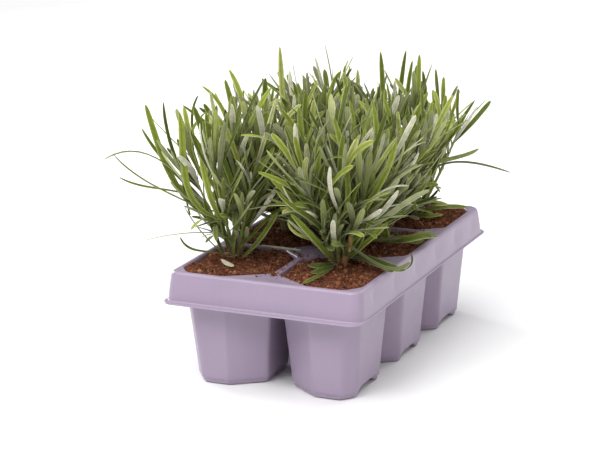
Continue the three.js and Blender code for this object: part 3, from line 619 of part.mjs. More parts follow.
    [[[11.9,80.4,139.1], [13.3,80.5,152], [13.2,80.5,164.6], [11.6,80.6,177]], 4.53, [-0.995,0.047,-0.087], 15],
    [[[13.5,80.4,135], [1.1,78.6,143.2], [-11.4,76.7,150.5], [-24.2,74.7,157.2]], 4.52, [0.17,0.305,0.937], 25],
    [[[8.3,80.4,148.4], [3.5,87.9,159.4], [-1,96.2,169.2], [-5.4,105.4,178.3]], 3.86, [-0.132,-0.778,0.614], -7],
  ]],
  ["back_right", [[33.9,77.2,92], [28.4,72.3,112.1], [24.9,69.1,129.4], [22.2,66.6,149.3]], [1.3, 0.7], [
    [[[29,72.8,111.4], [37.3,81.9,138.6], [43.2,90.8,166], [34.7,98.6,194.3]], 4.23, [0.554,-0.805,0.212], 8],
    [[[28.1,72,115.7], [24.5,83.1,143.8], [21.7,94.2,171.9], [23.9,104.6,200.4]], 3.68, [0.689,-0.664,0.29], 4],
    [[[22.4,66.8,148.1], [26,66.2,160.3], [30.7,65.9,171.7], [36.6,66,182.6]], 4.62, [-0.975,-0.042,0.219], -15],
    [[[22.6,66.9,146.6], [15.9,65.8,154], [10.3,64.6,161.9], [5.7,63.4,170.4]], 3.99, [0.777,-0.425,0.464], 25],
    [[[23.4,67.7,141.3], [21.9,60.7,154.2], [20.7,53.2,166.3], [19.6,44.8,177.9]], 3.71, [-0.294,0.955,-0.032], 9],
    [[[23.9,68.2,137.7], [21.9,71.5,150.9], [20.1,75.5,163.6], [18.2,80.2,176.1]], 3.72, [0.037,-0.841,0.539], -16],
    [[[25,69.2,131.1], [28.2,69.7,145.1], [30.8,69.9,158.8], [32.6,69.8,172.5]], 3.54, [-0.832,-0.406,0.378], 5],
  ]],
  ["back_right", [[37.4,75.8,92], [38.2,65.8,109], [38.8,59.3,124.1], [39.3,54,142]], [1.3, 0.7], [
    [[[38.2,66.3,109.8], [57.2,66.3,137.9], [85.78,62.4,138.1], [119.47,59.3,130.3]], 2.76, [-0.151,0.642,0.752], -19],
    [[[38.3,65.1,112.3], [42.5,69.6,134.4], [69.3,80.3,128.5], [84.1,88.5,139.2]], 3.86, [-0.587,0.716,0.377], -10],
    [[[38,68.1,106], [50.3,80.8,128.3], [62.4,93.7,150.5], [74,107.7,172.4]], 3.86, [0.802,-0.591,-0.082], 5],
    [[[39.2,55.1,138.4], [35.3,54.6,151.3], [32,53.7,163.8], [29.1,52.5,176.5]], 4.42, [0.966,-0.104,0.236], 15],
    [[[39.3,54.3,140.9], [42.2,47.7,149.5], [45.3,40.8,157.3], [48.8,33.6,164.7]], 3.56, [0.001,0.521,0.854], -12],
    [[[39.1,56.6,133.6], [36.9,49,146], [35.8,42.7,158.7], [35.9,37.6,172.1]], 4.64, [0.341,0.908,-0.241], -12],
    [[[38.7,60.9,122.1], [33,60.2,137.4], [28.1,59,152.3], [23.6,57.3,167.4]], 3.73, [0.99,-0.123,-0.063], 7],
  ]],
];

// ---- assembly
const group = new THREE.Group();
const MATERIALS = {
  tray: new THREE.MeshStandardMaterial({ color: 0xb5a4b9, roughness: 0.42, metalness: 0 }),
  soil: new THREE.MeshStandardMaterial({ color: 0x5e3a2b, roughness: 0.97, metalness: 0 }),
  wood: new THREE.MeshStandardMaterial({ color: 0x7a5f45, roughness: 0.9, metalness: 0 }),
  leaf: new THREE.MeshStandardMaterial({ color: 0x7b8a4e, roughness: 0.7, metalness: 0 }),
};
function add(name, s, material) {
  const mesh = new THREE.Mesh(geometryOf(s), MATERIALS[material].clone());
  mesh.name = name;
  group.add(mesh);
}

add("tray", tray(), "tray");
for (const { row, side, name } of CELLS) {
  const [x, y] = CROWN_AT[name];
  add("soil_" + name, soil(side, row).subtract(crown(x, y, GAP)), "soil");
  add("crown_" + name, crown(x, y, 0), "wood");
}
const count = {};
for (const [name, stemPoints, radii, leaves] of SHOOTS) {
  count[name] = (count[name] || 0) + 1;
  let s = stem(stemPoints, radii);
  for (const one of leaves) s = s.add(leaf(one));
  add("shoot_" + name + "_" + count[name], s, "leaf");
}

export default group;
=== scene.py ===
# Lavender in a lilac six-cell tray: the looks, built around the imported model. Metres, +Z up.
import bpy, math
import numpy as np
from mathutils import Matrix, Vector
from mathutils.geometry import delaunay_2d_cdt


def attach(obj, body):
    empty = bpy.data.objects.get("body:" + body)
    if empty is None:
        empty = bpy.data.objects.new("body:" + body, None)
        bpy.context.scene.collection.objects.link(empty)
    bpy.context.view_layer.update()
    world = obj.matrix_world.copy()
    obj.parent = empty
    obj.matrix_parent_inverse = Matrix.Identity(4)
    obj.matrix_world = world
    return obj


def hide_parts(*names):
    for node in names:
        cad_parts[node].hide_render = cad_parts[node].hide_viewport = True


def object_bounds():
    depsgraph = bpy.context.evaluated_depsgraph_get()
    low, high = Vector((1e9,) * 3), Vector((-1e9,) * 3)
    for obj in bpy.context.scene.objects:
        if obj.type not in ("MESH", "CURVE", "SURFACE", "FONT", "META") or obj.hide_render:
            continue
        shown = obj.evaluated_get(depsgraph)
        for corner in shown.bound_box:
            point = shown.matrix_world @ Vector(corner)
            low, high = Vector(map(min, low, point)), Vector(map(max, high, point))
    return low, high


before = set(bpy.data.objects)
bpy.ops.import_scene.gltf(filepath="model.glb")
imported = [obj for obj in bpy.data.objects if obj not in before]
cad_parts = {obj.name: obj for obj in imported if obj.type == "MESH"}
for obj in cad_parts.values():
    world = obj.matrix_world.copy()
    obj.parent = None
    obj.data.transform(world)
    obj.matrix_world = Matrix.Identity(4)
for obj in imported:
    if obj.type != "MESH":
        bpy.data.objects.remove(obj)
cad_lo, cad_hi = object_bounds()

MM = 0.001
scene = bpy.context.scene
col = scene.collection

# ------------------------------------------------------------------ camera
def look():
    f, az, el, roll = 2000.0, math.radians(24.7), math.radians(15.5), math.radians(-1.1)
    target, D = np.array([-103.2, 167.6, 40.0]) * MM, 1.692
    back = np.array([math.sin(az) * math.cos(el), -math.cos(az) * math.cos(el), math.sin(el)])
    right = np.array([math.cos(az), math.sin(az), 0.0])
    up = np.cross(back, right)
    r2 = right * math.cos(roll) + up * math.sin(roll)
    u2 = -right * math.sin(roll) + up * math.cos(roll)
    pos = target + back * D
    cam = bpy.data.cameras.new("camera")
    cam.sensor_width = 36.0
    cam.lens = f / 600.0 * 36.0
    cam.clip_start, cam.clip_end = 0.05, 30.0
    o = bpy.data.objects.new("camera", cam)
    m = Matrix.Identity(4)
    for i in range(3):
        m[i][0], m[i][1], m[i][2], m[i][3] = r2[i], u2[i], back[i], pos[i]
    o.matrix_world = m
    col.objects.link(o)
    scene.camera = o
look()

# ------------------------------------------------------------------ light
scene.view_settings.view_transform = "Standard"
scene.view_settings.look = "None"
scene.view_settings.exposure = 0.0
scene.view_settings.gamma = 1.0
world = bpy.data.worlds.new("studio")
scene.world = world
world.use_nodes = True
world.node_tree.nodes["Background"].inputs["Color"].default_value = (0.93, 0.95, 1.0, 1)
world.node_tree.nodes["Background"].inputs["Strength"].default_value = 0.10

def area(name, pos, aim, size, power, colour=(1, 1, 1), size_y=None):
    l = bpy.data.lights.new(name, "AREA")
    l.energy, l.color = power, colour
    l.shape = "RECTANGLE"; l.size = size; l.size_y = size_y or size
    o = bpy.data.objects.new(name, l)
    o.location = pos
    o.rotation_euler = (Vector(aim) - Vector(pos)).to_track_quat("-Z", "Y").to_euler()
    col.objects.link(o)
    return o
area("key", (1.15, -0.80, 0.80), (0.0, 0.0, 0.07), 0.30, 3.2, (1.0, 0.985, 0.965), 0.8)
area("left", (-1.25, 0.55, 0.50), (-0.05, 0.0, 0.08), 0.45, 10.0, (0.97, 0.985, 1.0), 0.7)
area("front", (-0.25, -1.15, 1.50), (0.0, 0.0, 0.10), 0.7, 11.0)
area("back", (0.70, 1.15, 1.0), (0.0, 0.0, 0.12), 0.5, 6.0)
# an even light from above, wide enough to leave only a soft shadow
sky = bpy.data.lights.new("overhead", "SUN"); sky.energy = 2.9; sky.angle = math.radians(75)
so = bpy.data.objects.new("overhead", sky); so.rotation_euler = (math.radians(18), math.radians(-7), 0); col.objects.link(so)

# ------------------------------------------------------------------ node helpers
def material(name):
    m = bpy.data.materials.new(name)
    m.use_nodes = True
    nt = m.node_tree
    bsdf = nt.nodes["Principled BSDF"]
    return m, nt, bsdf
def node(nt, kind, **values):
    n = nt.nodes.new(kind)
    for k, v in values.items():
        if k in n.inputs: n.inputs[k].default_value = v
        else: setattr(n, k, v)
    return n
def link(nt, a, ao, b, bi): nt.links.new(a.outputs[ao], b.inputs[bi])
def mix_rgb(nt, a, b, fac, mode="MIX"):
    """a and b are (node, output) or a colour, fac a (node, output) or a number."""
    n = nt.nodes.new("ShaderNodeMix"); n.data_type = "RGBA"; n.blend_type = mode
    for s, v in ((6, a), (7, b)):
        if isinstance(v[0], (int, float)): n.inputs[s].default_value = tuple(v) + ((1,) if len(v) == 3 else ())
        else: nt.links.new(v[0].outputs[v[1]], n.inputs[s])
    if isinstance(fac, (int, float)): n.inputs[0].default_value = fac
    else: nt.links.new(fac[0].outputs[fac[1]], n.inputs[0])
    return (n, 2)
def ramp(nt, src, stops):
    n = nt.nodes.new("ShaderNodeValToRGB")
    e = n.color_ramp.elements
    while len(e) > 1: e.remove(e[-1])
    e[0].position, e[0].color = stops[0][0], tuple(stops[0][1]) + ((1,) if len(stops[0][1]) == 3 else ())
    for p, c in stops[1:]:
        q = e.new(p); q.color = tuple(c) + ((1,) if len(c) == 3 else ())
    nt.links.new(src[0].outputs[src[1]], n.inputs[0])
    return n
def maths(nt, op, a, b=None, c=None, clamp=False):
    n = nt.nodes.new("ShaderNodeMath"); n.operation = op; n.use_clamp = clamp
    for i, v in enumerate((a, b, c)):
        if v is None: continue
        if isinstance(v, (int, float)): n.inputs[i].default_value = v
        else: nt.links.new(v[0].outputs[v[1]], n.inputs[i])
    return (n, 0)
def grey(v): return (v, v, v)
def srgb(r, g, b):
    return tuple(((c / 255) / 12.92 if c / 255 <= 0.04045 else ((c / 255 + 0.055) / 1.055) ** 2.4) for c in (r, g, b))

# ------------------------------------------------------------------ mesh helpers
def inside_box(verts):
    """Keeps vertices, in millimetres, a hair inside the model's own box."""
    lo = np.array(cad_lo) / MM + 0.03; hi = np.array(cad_hi) / MM - 0.03
    return np.clip(np.asarray(verts, float), lo, hi)
def make_object(name, verts, faces, mat, smooth=True, attrs=None, bounded=True):
    """verts (n,3) in millimetres; faces a list of (k,m) arrays of vertex numbers."""
    if bounded: verts = inside_box(verts)
    me = bpy.data.meshes.new(name)
    faces = [np.asarray(f, np.int32) for f in faces if len(f)]
    nv = len(verts)
    loops = np.concatenate([f.reshape(-1) for f in faces])
    sizes = np.concatenate([np.full(len(f), f.shape[1], np.int32) for f in faces])
    starts = np.r_[0, np.cumsum(sizes)[:-1]].astype(np.int32)
    me.vertices.add(nv); me.loops.add(len(loops)); me.polygons.add(len(sizes))
    me.vertices.foreach_set("co", (np.asarray(verts, np.float64) * MM).astype(np.float32).reshape(-1))
    me.loops.foreach_set("vertex_index", loops)
    me.polygons.foreach_set("loop_start", starts)
    me.polygons.foreach_set("loop_total", sizes)
    me.polygons.foreach_set("use_smooth", np.full(len(sizes), smooth, bool))
    me.update(calc_edges=True)
    me.validate(clean_customdata=False)
    for k, (kind, values) in (attrs or {}).items():
        a = me.attributes.new(k, kind, "POINT")
        a.data.foreach_set("color" if kind == "FLOAT_COLOR" else "vector" if kind == "FLOAT_VECTOR" else "value", np.asarray(values, np.float32).reshape(-1))
    o = bpy.data.objects.new(name, me)
    if mat is not None: me.materials.append(mat)
    col.objects.link(o)
    return o
def grid_faces(rows, n, close=True, base=0, flip=False):
    """Quads between rows of n vertices each, closed round."""
    i = np.arange(rows - 1)[:, None] * n; k = np.arange(n if close else n - 1)[None]
    k1 = (k + 1) % n
    f = np.stack([i + k, i + k1, i + n + k1, i + n + k], -1).reshape(-1, 4) + base
    return f[:, ::-1] if flip else f

# smooth value noise in numpy, so that shapes don't depend on any state
def _hash(ix, iy, iz, seed):
    h = (ix.astype(np.int64) * 374761393 + iy.astype(np.int64) * 668265263 + iz.astype(np.int64) * 2147483647 + seed * 974711) & 0xFFFFFFFF
    h = ((h ^ (h >> 13)) * 1274126177) & 0xFFFFFFFF
    h = ((h ^ (h >> 16)) * 2246822519) & 0xFFFFFFFF
    return ((h ^ (h >> 15)) & 0xFFFFFF) / float(0xFFFFFF) * 2 - 1
def noise3(p, freq, seed=0):
    q = np.asarray(p, float) * freq
    i = np.floor(q).astype(np.int64); f = q - i; f = f * f * f * (f * (f * 6 - 15) + 10)
    out = 0
    for dx in (0, 1):
        for dy in (0, 1):
            for dz in (0, 1):
                w = (f[..., 0] if dx else 1 - f[..., 0]) * (f[..., 1] if dy else 1 - f[..., 1]) * (f[..., 2] if dz else 1 - f[..., 2])
                out = out + w * _hash(i[..., 0] + dx, i[..., 1] + dy, i[..., 2] + dz, seed)
    return out

# ------------------------------------------------------------------ the tray, one thermoformed sheet
W, L, H, LIP_Z = 74.0, 123.0, 84.4, 63.7
ROWS, PITCH, RIDGE = (-1, 0, 1), 80.0, 2.5
CHAMFER = {"end": ((23, 16), (30, 18)), "corner": ((8, 10), (9, 11)), "side": ((15, 10.5), (17, 12)), "inner": ((14, 12), (16, 14))}
def cell8(side, row, level):
    x0, x1 = (RIDGE, 69.0) if level else (10.6, 60.8)
    draft = 0.0 if level else 7.4
    low = -118.5 if row < 0 else row * PITCH - 40 + RIDGE
    high = 118.5 if row > 0 else row * PITCH + 40 - RIDGE
    y0, y1 = low + draft, high - draft
    inf = CHAMFER["end" if row < 0 else "inner"][level]; outf = CHAMFER["corner" if row < 0 else "side"][level]
    outb = CHAMFER["corner" if row > 0 else "side"][level]; inb = CHAMFER["end" if row > 0 else "inner"][level]
    p = np.array([[x0 + inf[0], y0], [x1 - outf[0], y0], [x1, y0 + outf[1]], [x1, y1 - outb[1]], [x1 - outb[0], y1], [x0 + inb[0], y1], [x0, y1 - inb[1]], [x0, y0 + inf[1]]], float)
    o0, o1 = (9 if row < 0 else 4.5), (9 if row > 0 else 4.5)
    rad = np.array([4.5, o0, o0, o1, o1, 4.5, 4.5, 4.5], float)
    if side < 0:
        p = (p * [-1, 1])[::-1]; rad = rad[::-1]
    return p, rad
def cell_at(side, row, z):
    a, r = cell8(side, row, 0); b, _ = cell8(side, row, 1)
    t = max(z, 0) / H
    t = t - 0.16 * t * (1 - t)
    return a + (b - a) * t, r * (0.55 + 0.45 * t)
def inset8(p, d):
    e = np.roll(p, -1, 0) - p; e /= np.linalg.norm(e, axis=1)[:, None]
    n = np.stack([-e[:, 1], e[:, 0]], 1); c = (n * (p + n * d)).sum(1)
    na, ca = np.roll(n, 1, 0), np.roll(c, 1)
    det = na[:, 0] * n[:, 1] - na[:, 1] * n[:, 0]
    return np.stack([(ca * n[:, 1] - na[:, 1] * c) / det, (na[:, 0] * c - ca * n[:, 0]) / det], 1)
def rounded(p, r, arc=7, seg=12):
    """An eight-sided outline with round corners, as arc+1 points at each and seg-1 between them."""
    out = []
    n = len(p)
    for i in range(n):
        a, b, c = p[i - 1], p[i], p[(i + 1) % n]
        u, v = (a - b), (c - b); lu, lv = np.linalg.norm(u), np.linalg.norm(v); u, v = u / lu, v / lv
        half = math.acos(np.clip(u @ v, -1, 1)) / 2
        t = min(r[i] / math.tan(half), 0.42 * lu, 0.42 * lv); rr = t * math.tan(half)
        m = (u + v) / np.linalg.norm(u + v); cen = b + m * (rr / math.sin(half))
        s, e = b + u * t - cen, b + v * t - cen
        a0 = math.atan2(s[1], s[0]); da = (math.atan2(e[1], e[0]) - a0 + math.pi) % (2 * math.pi) - math.pi
        for k in range(arc + 1):
            ang = a0 + da * k / arc
            out.append(cen + rr * np.array([math.cos(ang), math.sin(ang)]))
        nb, nc = p[(i + 1) % n], p[(i + 2) % n]
        u2, v2 = (b - nb), (nc - nb); lu2, lv2 = np.linalg.norm(u2), np.linalg.norm(v2)
        half2 = math.acos(np.clip((u2 / lu2) @ (v2 / lv2), -1, 1)) / 2
        t2 = min(r[(i + 1) % n] / math.tan(half2), 0.42 * lu2, 0.42 * lv2)
        s2, e2 = b + v * t, nb + u2 / lu2 * t2
        for k in range(1, seg): out.append(s2 + (e2 - s2) * k / seg)
    return np.array(out)
def round_rect(hx, hy, r, arc=9, sx=36, sy=110):
    out = []
    for cx, cy, a0, seg in ((1, -1, -90, sy), (1, 1, 0, sx), (-1, 1, 90, sy), (-1, -1, 180, sx)):
        c = np.array([cx * (hx - r), cy * (hy - r)])
        for k in range(arc + 1):
            a = math.radians(a0 + 90 * k / arc); out.append(c + r * np.array([math.cos(a), math.sin(a)]))
        a = math.radians(a0 + 90); s = c + r * np.array([math.cos(a), math.sin(a)])
        nx, ny = {(1, -1): (1, 1), (1, 1): (-1, 1), (-1, 1): (-1, -1), (-1, -1): (1, -1)}[(cx, cy)]
        nc = np.array([nx * (hx - r), ny * (hy - r)]); e = nc + r * np.array([math.cos(a), math.sin(a)])
        for k in range(1, seg): out.append(s + (e - s) * k / seg)
    return np.array(out)

def build_tray():
    V, F = [], []
    def add(ring, z):
        i = sum(len(v) for v in V)
        V.append(np.column_stack([ring, np.full(len(ring), 0.0) + z])); return i
    holes = []
    R = 1.4
    for row in ROWS:
        for side in (-1, 1):
            rings = []
            for th in np.linspace(0, 90, 7):  # rolled edge of the deck
                th = math.radians(th)
                z = H - R * (1 - math.cos(th)); d = R * (1 - math.sin(th)) - 0.15
                p, r = cell_at(side, row, H)
                p2, r2 = cell_at(side, row, z)
                rings.append((rounded(inset8(p2, -d * 1.0), r2 + d), z))
            for z in np.linspace(H - R - 1.5, 6.5, 15):
                p, r = cell_at(side, row, z); rings.append((rounded(p, r), z))
            for z, d, rr in ((5.3, 0.02, 1), (4.9, 0.12, 1), (4.5, 0.45, .95), (4.1, 0.8, .9), (3.7, 0.93, .9), (2.6, 0.98, .9), (1.9, 1.15, .85), (1.35, 1.55, .8), (1.05, 2.3, .75), (1.0, 3.4, .7)):
                p, r = cell_at(side, row, z); rings.append((rounded(inset8(p, d), r * rr), z))
            cen = np.array([side * 35.7, row * PITCH])
            last = rings[-1][0]
            ang = np.arctan2(last[:, 1] - cen[1], last[:, 0] - cen[0])
            hole = cen + 5.0 * np.stack([np.cos(ang), np.sin(ang)], 1)
            for t in (0.05, 0.11, 0.18, 0.28, 0.5, 0.75, 0.95, 1.0): rings.append((last + (hole - last) * t, 1.0 if t < 1 else 0.85))
            n = len(rings[0][0]); base = add(*rings[0])
            for q, z in rings[1:]: add(q, z)
            # the wall and floor rise into a low arch between the feet on the outer side
            for ring in V[-len(rings):]:
                low = ring[:, 2] < 11
                span = np.clip(1 - (np.abs(ring[:, 1] - row * PITCH) / 17.5) ** 5, 0, 1)
                near = np.clip((np.abs(ring[:, 0]) - 47) / 8, 0, 1); near = near * near * (3 - 2 * near)
                rise = 4.8 * span * near
                ring[:, 2] = np.where(low, rise + ring[:, 2] * (1 - rise / 11), ring[:, 2])
            F.append(grid_faces(len(rings), n, base=base, flip=False))
            holes.append((base, n))
    # the skirt, from the deck's edge outwards and down
    def ring(ox, oy, r, wave=0.0):
        q = round_rect(W + ox, L + oy, r)
        side = np.abs(q[:, 0]) > W + ox - 0.4
        y = q[:, 1]
        fade = np.clip((L - 16 - np.abs(y)) / 10, 0, 1)
        bulge = np.abs(np.sin(np.pi * (y + 18) / 41.0)) ** 0.75
        dx = np.where(side, -wave * 1.15 * fade * (1 - bulge), 0.0)
        q[:, 0] += np.sign(q[:, 0]) * dx
        bow = 0.5 * wave * (1 - (q[:, 0] / W) ** 2) * (np.abs(q[:, 1]) > L + oy - 0.4)
        q[:, 1] += np.sign(q[:, 1]) * bow
        return q
    rings = [(ring(-3.6, -3.6, 5.4), H)]
    for th in np.linspace(8, 82, 8):
        a = math.radians(th); rings.append((ring(-3.3 + 2.9 * math.sin(a), -3.3 + 2.9 * math.sin(a), 5.7 + 2 * math.sin(a), 0.15 * math.sin(a)), H - 2.9 * (1 - math.cos(a))))
    for t in np.linspace(0.04, 1, 12):
        z = 81.0 + (65.2 - 81.0) * t
        rings.append((ring(-0.15 + 1.35 * t ** 1.3 + .25 * math.sin(math.pi * t), -0.15 + 3.3 * t ** 1.15 + .5 * math.sin(math.pi * t), 8 + 1.2 * t, 0.25 + 0.75 * math.sin(math.pi * min(1, t * 1.15)) ** .8), z))
    for th in np.linspace(20, 90, 5):  # cove into the lip
        a = math.radians(th); rings.append((ring(1.2 + 0.6 * (1 - math.cos(a)), 3.15 + 1.5 * (1 - math.cos(a)), 9.2, 0.25 * math.cos(a)), 65.2 - 1.5 * math.sin(a)))
    for t in (0.3, 0.65, 0.9): rings.append((ring(1.8 + 0.35 * t, 4.65 + 3.0 * t, 9.4 + .3 * t), LIP_Z - 0.02))
    for th in np.linspace(15, 90, 5):
        a = math.radians(th); rings.append((ring(2.1 + 0.45 * math.sin(a), 7.6 + 0.8 * math.sin(a), 9.8), LIP_Z - 0.55 * (1 - math.cos(a))))
    rings.append((ring(2.55, 8.4, 9.8), LIP_Z - 0.95))
    n = len(rings[0][0]); base = add(*rings[0])
    for q, z in rings[1:]: add(q, z)
    F.append(grid_faces(len(rings), n, base=base, flip=True))
    outer = (base, n)
    # the deck between them
    allv = np.concatenate(V)
    coords, edges, index = [], [], []
    def loop(base, n):
        s = len(coords)
        for k in range(n): coords.append(Vector(allv[base + k, :2])); index.append(base + k)
        edges.extend((s + k, s + (k + 1) % n) for k in range(n))
    loop(*outer)
    for h in holes: loop(*h)
    outs = [allv[b:b + n, :2] for b, n in holes]; rim = allv[outer[0]:outer[0] + n, :2]
    def inside(poly, p):
        """Which of the points p (n,2) lie inside the closed outline poly."""
        q = np.roll(poly, -1, 0); x, y = p[:, 0:1], p[:, 1:2]
        cross = (poly[None, :, 1] > y) != (q[None, :, 1] > y)
        dy = np.where(np.abs(q[:, 1] - poly[:, 1]) < 1e-12, 1e-12, q[:, 1] - poly[:, 1])
        return ((cross & (x < (q[:, 0] - poly[:, 0])[None] * (y - poly[None, :, 1]) / dy[None] + poly[None, :, 0])).sum(1) % 2) == 1
    gx, gy = np.meshgrid(np.arange(-70, 70.1, 2.0), np.arange(-119, 119.1, 2.0))
    pts = np.stack([gx.ravel(), gy.ravel()], 1)
    bound = np.concatenate([rim] + outs)
    gap = np.sqrt(((pts[:, None] - bound[None]) ** 2).sum(2)).min(1)
    keep = (gap > 1.2) & inside(rim, pts)
    for q in outs: keep &= ~inside(q, pts)
    pts = pts[keep]
    for p in pts: coords.append(Vector(p)); index.append(-1)
    vo, eo, fo, vi, ei, fi = delaunay_2d_cdt(coords, edges, [], 0, 1e-5)
    vo = np.array([tuple(v) for v in vo])
    remap = []
    extra = []
    nbase = len(allv)
    for k, src in enumerate(vi):
        src = [s for s in src if index[s] >= 0]
        if src: remap.append(index[src[0]])
        else:
            p = vo[k]; d = np.sqrt(((bound - p) ** 2).sum(1).min())
            sag = -1.0 * (1 - math.exp(-max(0, d - 0.3) / 3.2))
            remap.append(nbase + len(extra)); extra.append([p[0], p[1], H + sag])
    mids = np.array([vo[list(f)].mean(0) for f in fo])
    good = inside(rim, mids)
    for q in outs: good &= ~inside(q, mids)
    tris = [[remap[i] for i in f] for f, g in zip(fo, good) if g]
    V.append(np.array(extra).reshape(-1, 3))
    allv = np.concatenate(V)
    tris = np.array(tris)
    a, b, c = allv[tris[:, 0]], allv[tris[:, 1]], allv[tris[:, 2]]
    up = np.cross(b - a, c - a)[:, 2] > 0
    tris[~up] = tris[~up][:, ::-1]
    F.append(tris)
    o = make_object("tray_sheet", allv, F, tray_mat)
    # every face's outer or upper side points up or out before the sheet is given its thickness
    import bmesh
    bm = bmesh.new(); bm.from_mesh(o.data)
    bmesh.ops.recalc_face_normals(bm, faces=bm.faces)
    top = max((f for f in bm.faces if abs(f.normal.z) > .9 and f.calc_center_median().z > (H - 1.5) * MM), key=lambda f: f.calc_area())
    if top.normal.z < 0: bmesh.ops.reverse_faces(bm, faces=bm.faces)
    bm.to_mesh(o.data); bm.free()
    s = o.modifiers.new("thickness", "SOLIDIFY"); s.thickness = 0.9 * MM; s.offset = -1.0; s.use_even_offset = True; s.use_rim = True
    s.thickness_clamp = 0.0
    bpy.context.view_layer.update()
    dg = bpy.context.evaluated_depsgraph_get()
    final = bpy.data.meshes.new_from_object(o.evaluated_get(dg))
    final.name = "tray_moulded"
    out = bpy.data.objects.new("tray_moulded", final); col.objects.link(out)
    bpy.data.objects.remove(o)
    final.materials.clear(); final.materials.append(tray_mat)
    final.polygons.foreach_set("use_smooth", np.ones(len(final.polygons), bool))
    co = np.empty(len(final.vertices) * 3, np.float32); final.vertices.foreach_get("co", co)
    final.vertices.foreach_set("co", (inside_box(co.reshape(-1, 3) / MM) * MM).astype(np.float32).reshape(-1))
    final.set_sharp_from_angle(angle=math.radians(50))
    return out

def tray_material():
    m, nt, b = material("lilac_plastic")
    tc = node(nt, "ShaderNodeTexCoord")
    big = node(nt, "ShaderNodeTexNoise", Scale=14.0, Detail=3.0, Roughness=0.5); link(nt, tc, "Object", big, "Vector")
    fine = node(nt, "ShaderNodeTexNoise", Scale=900.0, Detail=2.0, Roughness=0.6); link(nt, tc, "Object", fine, "Vector")
    mid = node(nt, "ShaderNodeTexNoise", Scale=120.0, Detail=4.0, Roughness=0.6); link(nt, tc, "Object", mid, "Vector")
    base = mix_rgb(nt, srgb(151, 135, 157), srgb(159, 144, 165), (big, 0))
    # faint drawing marks that run down the walls, as the sheet was pulled
    mp = node(nt, "ShaderNodeMapping"); mp.inputs["Scale"].default_value = (260.0, 260.0, 9.0); link(nt, tc, "Object", mp, "Vector")
    st = node(nt, "ShaderNodeTexNoise", Scale=1.0, Detail=2.0, Roughness=0.5); link(nt, mp, 0, st, "Vector")
    streak = ramp(nt, (st, 0), [(0.30, grey(0.975)), (0.55, grey(1.0)), (0.78, grey(1.015))])
    base = mix_rgb(nt, base, (streak, 0), 0.6, "MULTIPLY")
    dust = ramp(nt, (mid, 0), [(0.60, grey(0.0)), (0.76, grey(1.0))])
    base = mix_rgb(nt, base, srgb(146, 128, 149), maths(nt, "MULTIPLY", (dust, 0), 0.25))
    nt.links.new(base[0].outputs[base[1]], b.inputs["Base Color"])
    rg = ramp(nt, (mid, 0), [(0.3, grey(0.29)), (0.7, grey(0.38))])
    nt.links.new(rg.outputs[0], b.inputs["Roughness"])
    b.inputs["Specular IOR Level"].default_value = 0.5
    b.inputs["IOR"].default_value = 1.49
    bump = node(nt, "ShaderNodeBump", Strength=0.06, Distance=0.0004)
    h = maths(nt, "ADD", maths(nt, "MULTIPLY", (fine, 0), 0.25), maths(nt, "MULTIPLY", (st, 0), 0.25))
    nt.links.new(h[0].outputs[0], bump.inputs["Height"])
    nt.links.new(bump.outputs[0], b.inputs["Normal"])
    return m
tray_mat = tray_material()
tray = build_tray()
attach(tray, "root"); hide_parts("tray")

# ------------------------------------------------------------------ soil: coir and peat, crumbs and fibres
rng = np.random.default_rng(11)
def ico(level=1):
    t = (1 + 5 ** .5) / 2
    v = [(-1, t, 0), (1, t, 0), (-1, -t, 0), (1, -t, 0), (0, -1, t), (0, 1, t), (0, -1, -t), (0, 1, -t), (t, 0, -1), (t, 0, 1), (-t, 0, -1), (-t, 0, 1)]
    f = [(0, 11, 5), (0, 5, 1), (0, 1, 7), (0, 7, 10), (0, 10, 11), (1, 5, 9), (5, 11, 4), (11, 10, 2), (10, 7, 6), (7, 1, 8), (3, 9, 4), (3, 4, 2), (3, 2, 6), (3, 6, 8), (3, 8, 9), (4, 9, 5), (2, 4, 11), (6, 2, 10), (8, 6, 7), (9, 8, 1)]
    v = [np.array(p) / np.linalg.norm(p) for p in v]
    for _ in range(level):
        mid, nf = {}, []
        def m(a, b):
            k = (min(a, b), max(a, b))
            if k not in mid: q = v[a] + v[b]; v.append(q / np.linalg.norm(q)); mid[k] = len(v) - 1
            return mid[k]
        for a, b, c in f:
            ab, bc, ca = m(a, b), m(b, c), m(c, a); nf += [(a, ab, ca), (b, bc, ab), (c, ca, bc), (ab, bc, ca)]
        f = nf
    return np.array(v), np.array(f)
ICO_V, ICO_F = ico(1)
ICO_V0, ICO_F0 = ico(0)
CROWNS = {"front_left": (-45, -71), "front_right": (33, -66), "middle_left": (-37, 3), "middle_right": (38, 6), "back_left": (-35, 82), "back_right": (37, 80)}
def soil_height(x, y, rho, cx, cy):
    p = np.stack([x, y, 0 * x], -1)
    h = 82.9 + 1.0 * (1 - rho ** 2.2)
    h = h + 1.0 * noise3(p, 1 / 17, 3) + 0.75 * noise3(p, 1 / 6.5, 4) + 0.62 * noise3(p, 1 / 2.9, 5) + 0.42 * noise3(p, 1 / 1.5, 6) + 0.18 * noise3(p, 1 / .8, 7)
    # small pits between the clods
    h = h - 1.5 * np.clip(noise3(p, 1 / 4.2, 9) - .28, 0, 1) ** 1.0
    h = h + 2.2 * np.exp(-((x - cx) ** 2 + (y - cy) ** 2) / 60)
    edge = np.clip((rho - .93) / .07, 0, 1)
    return h - 1.3 * edge ** 2
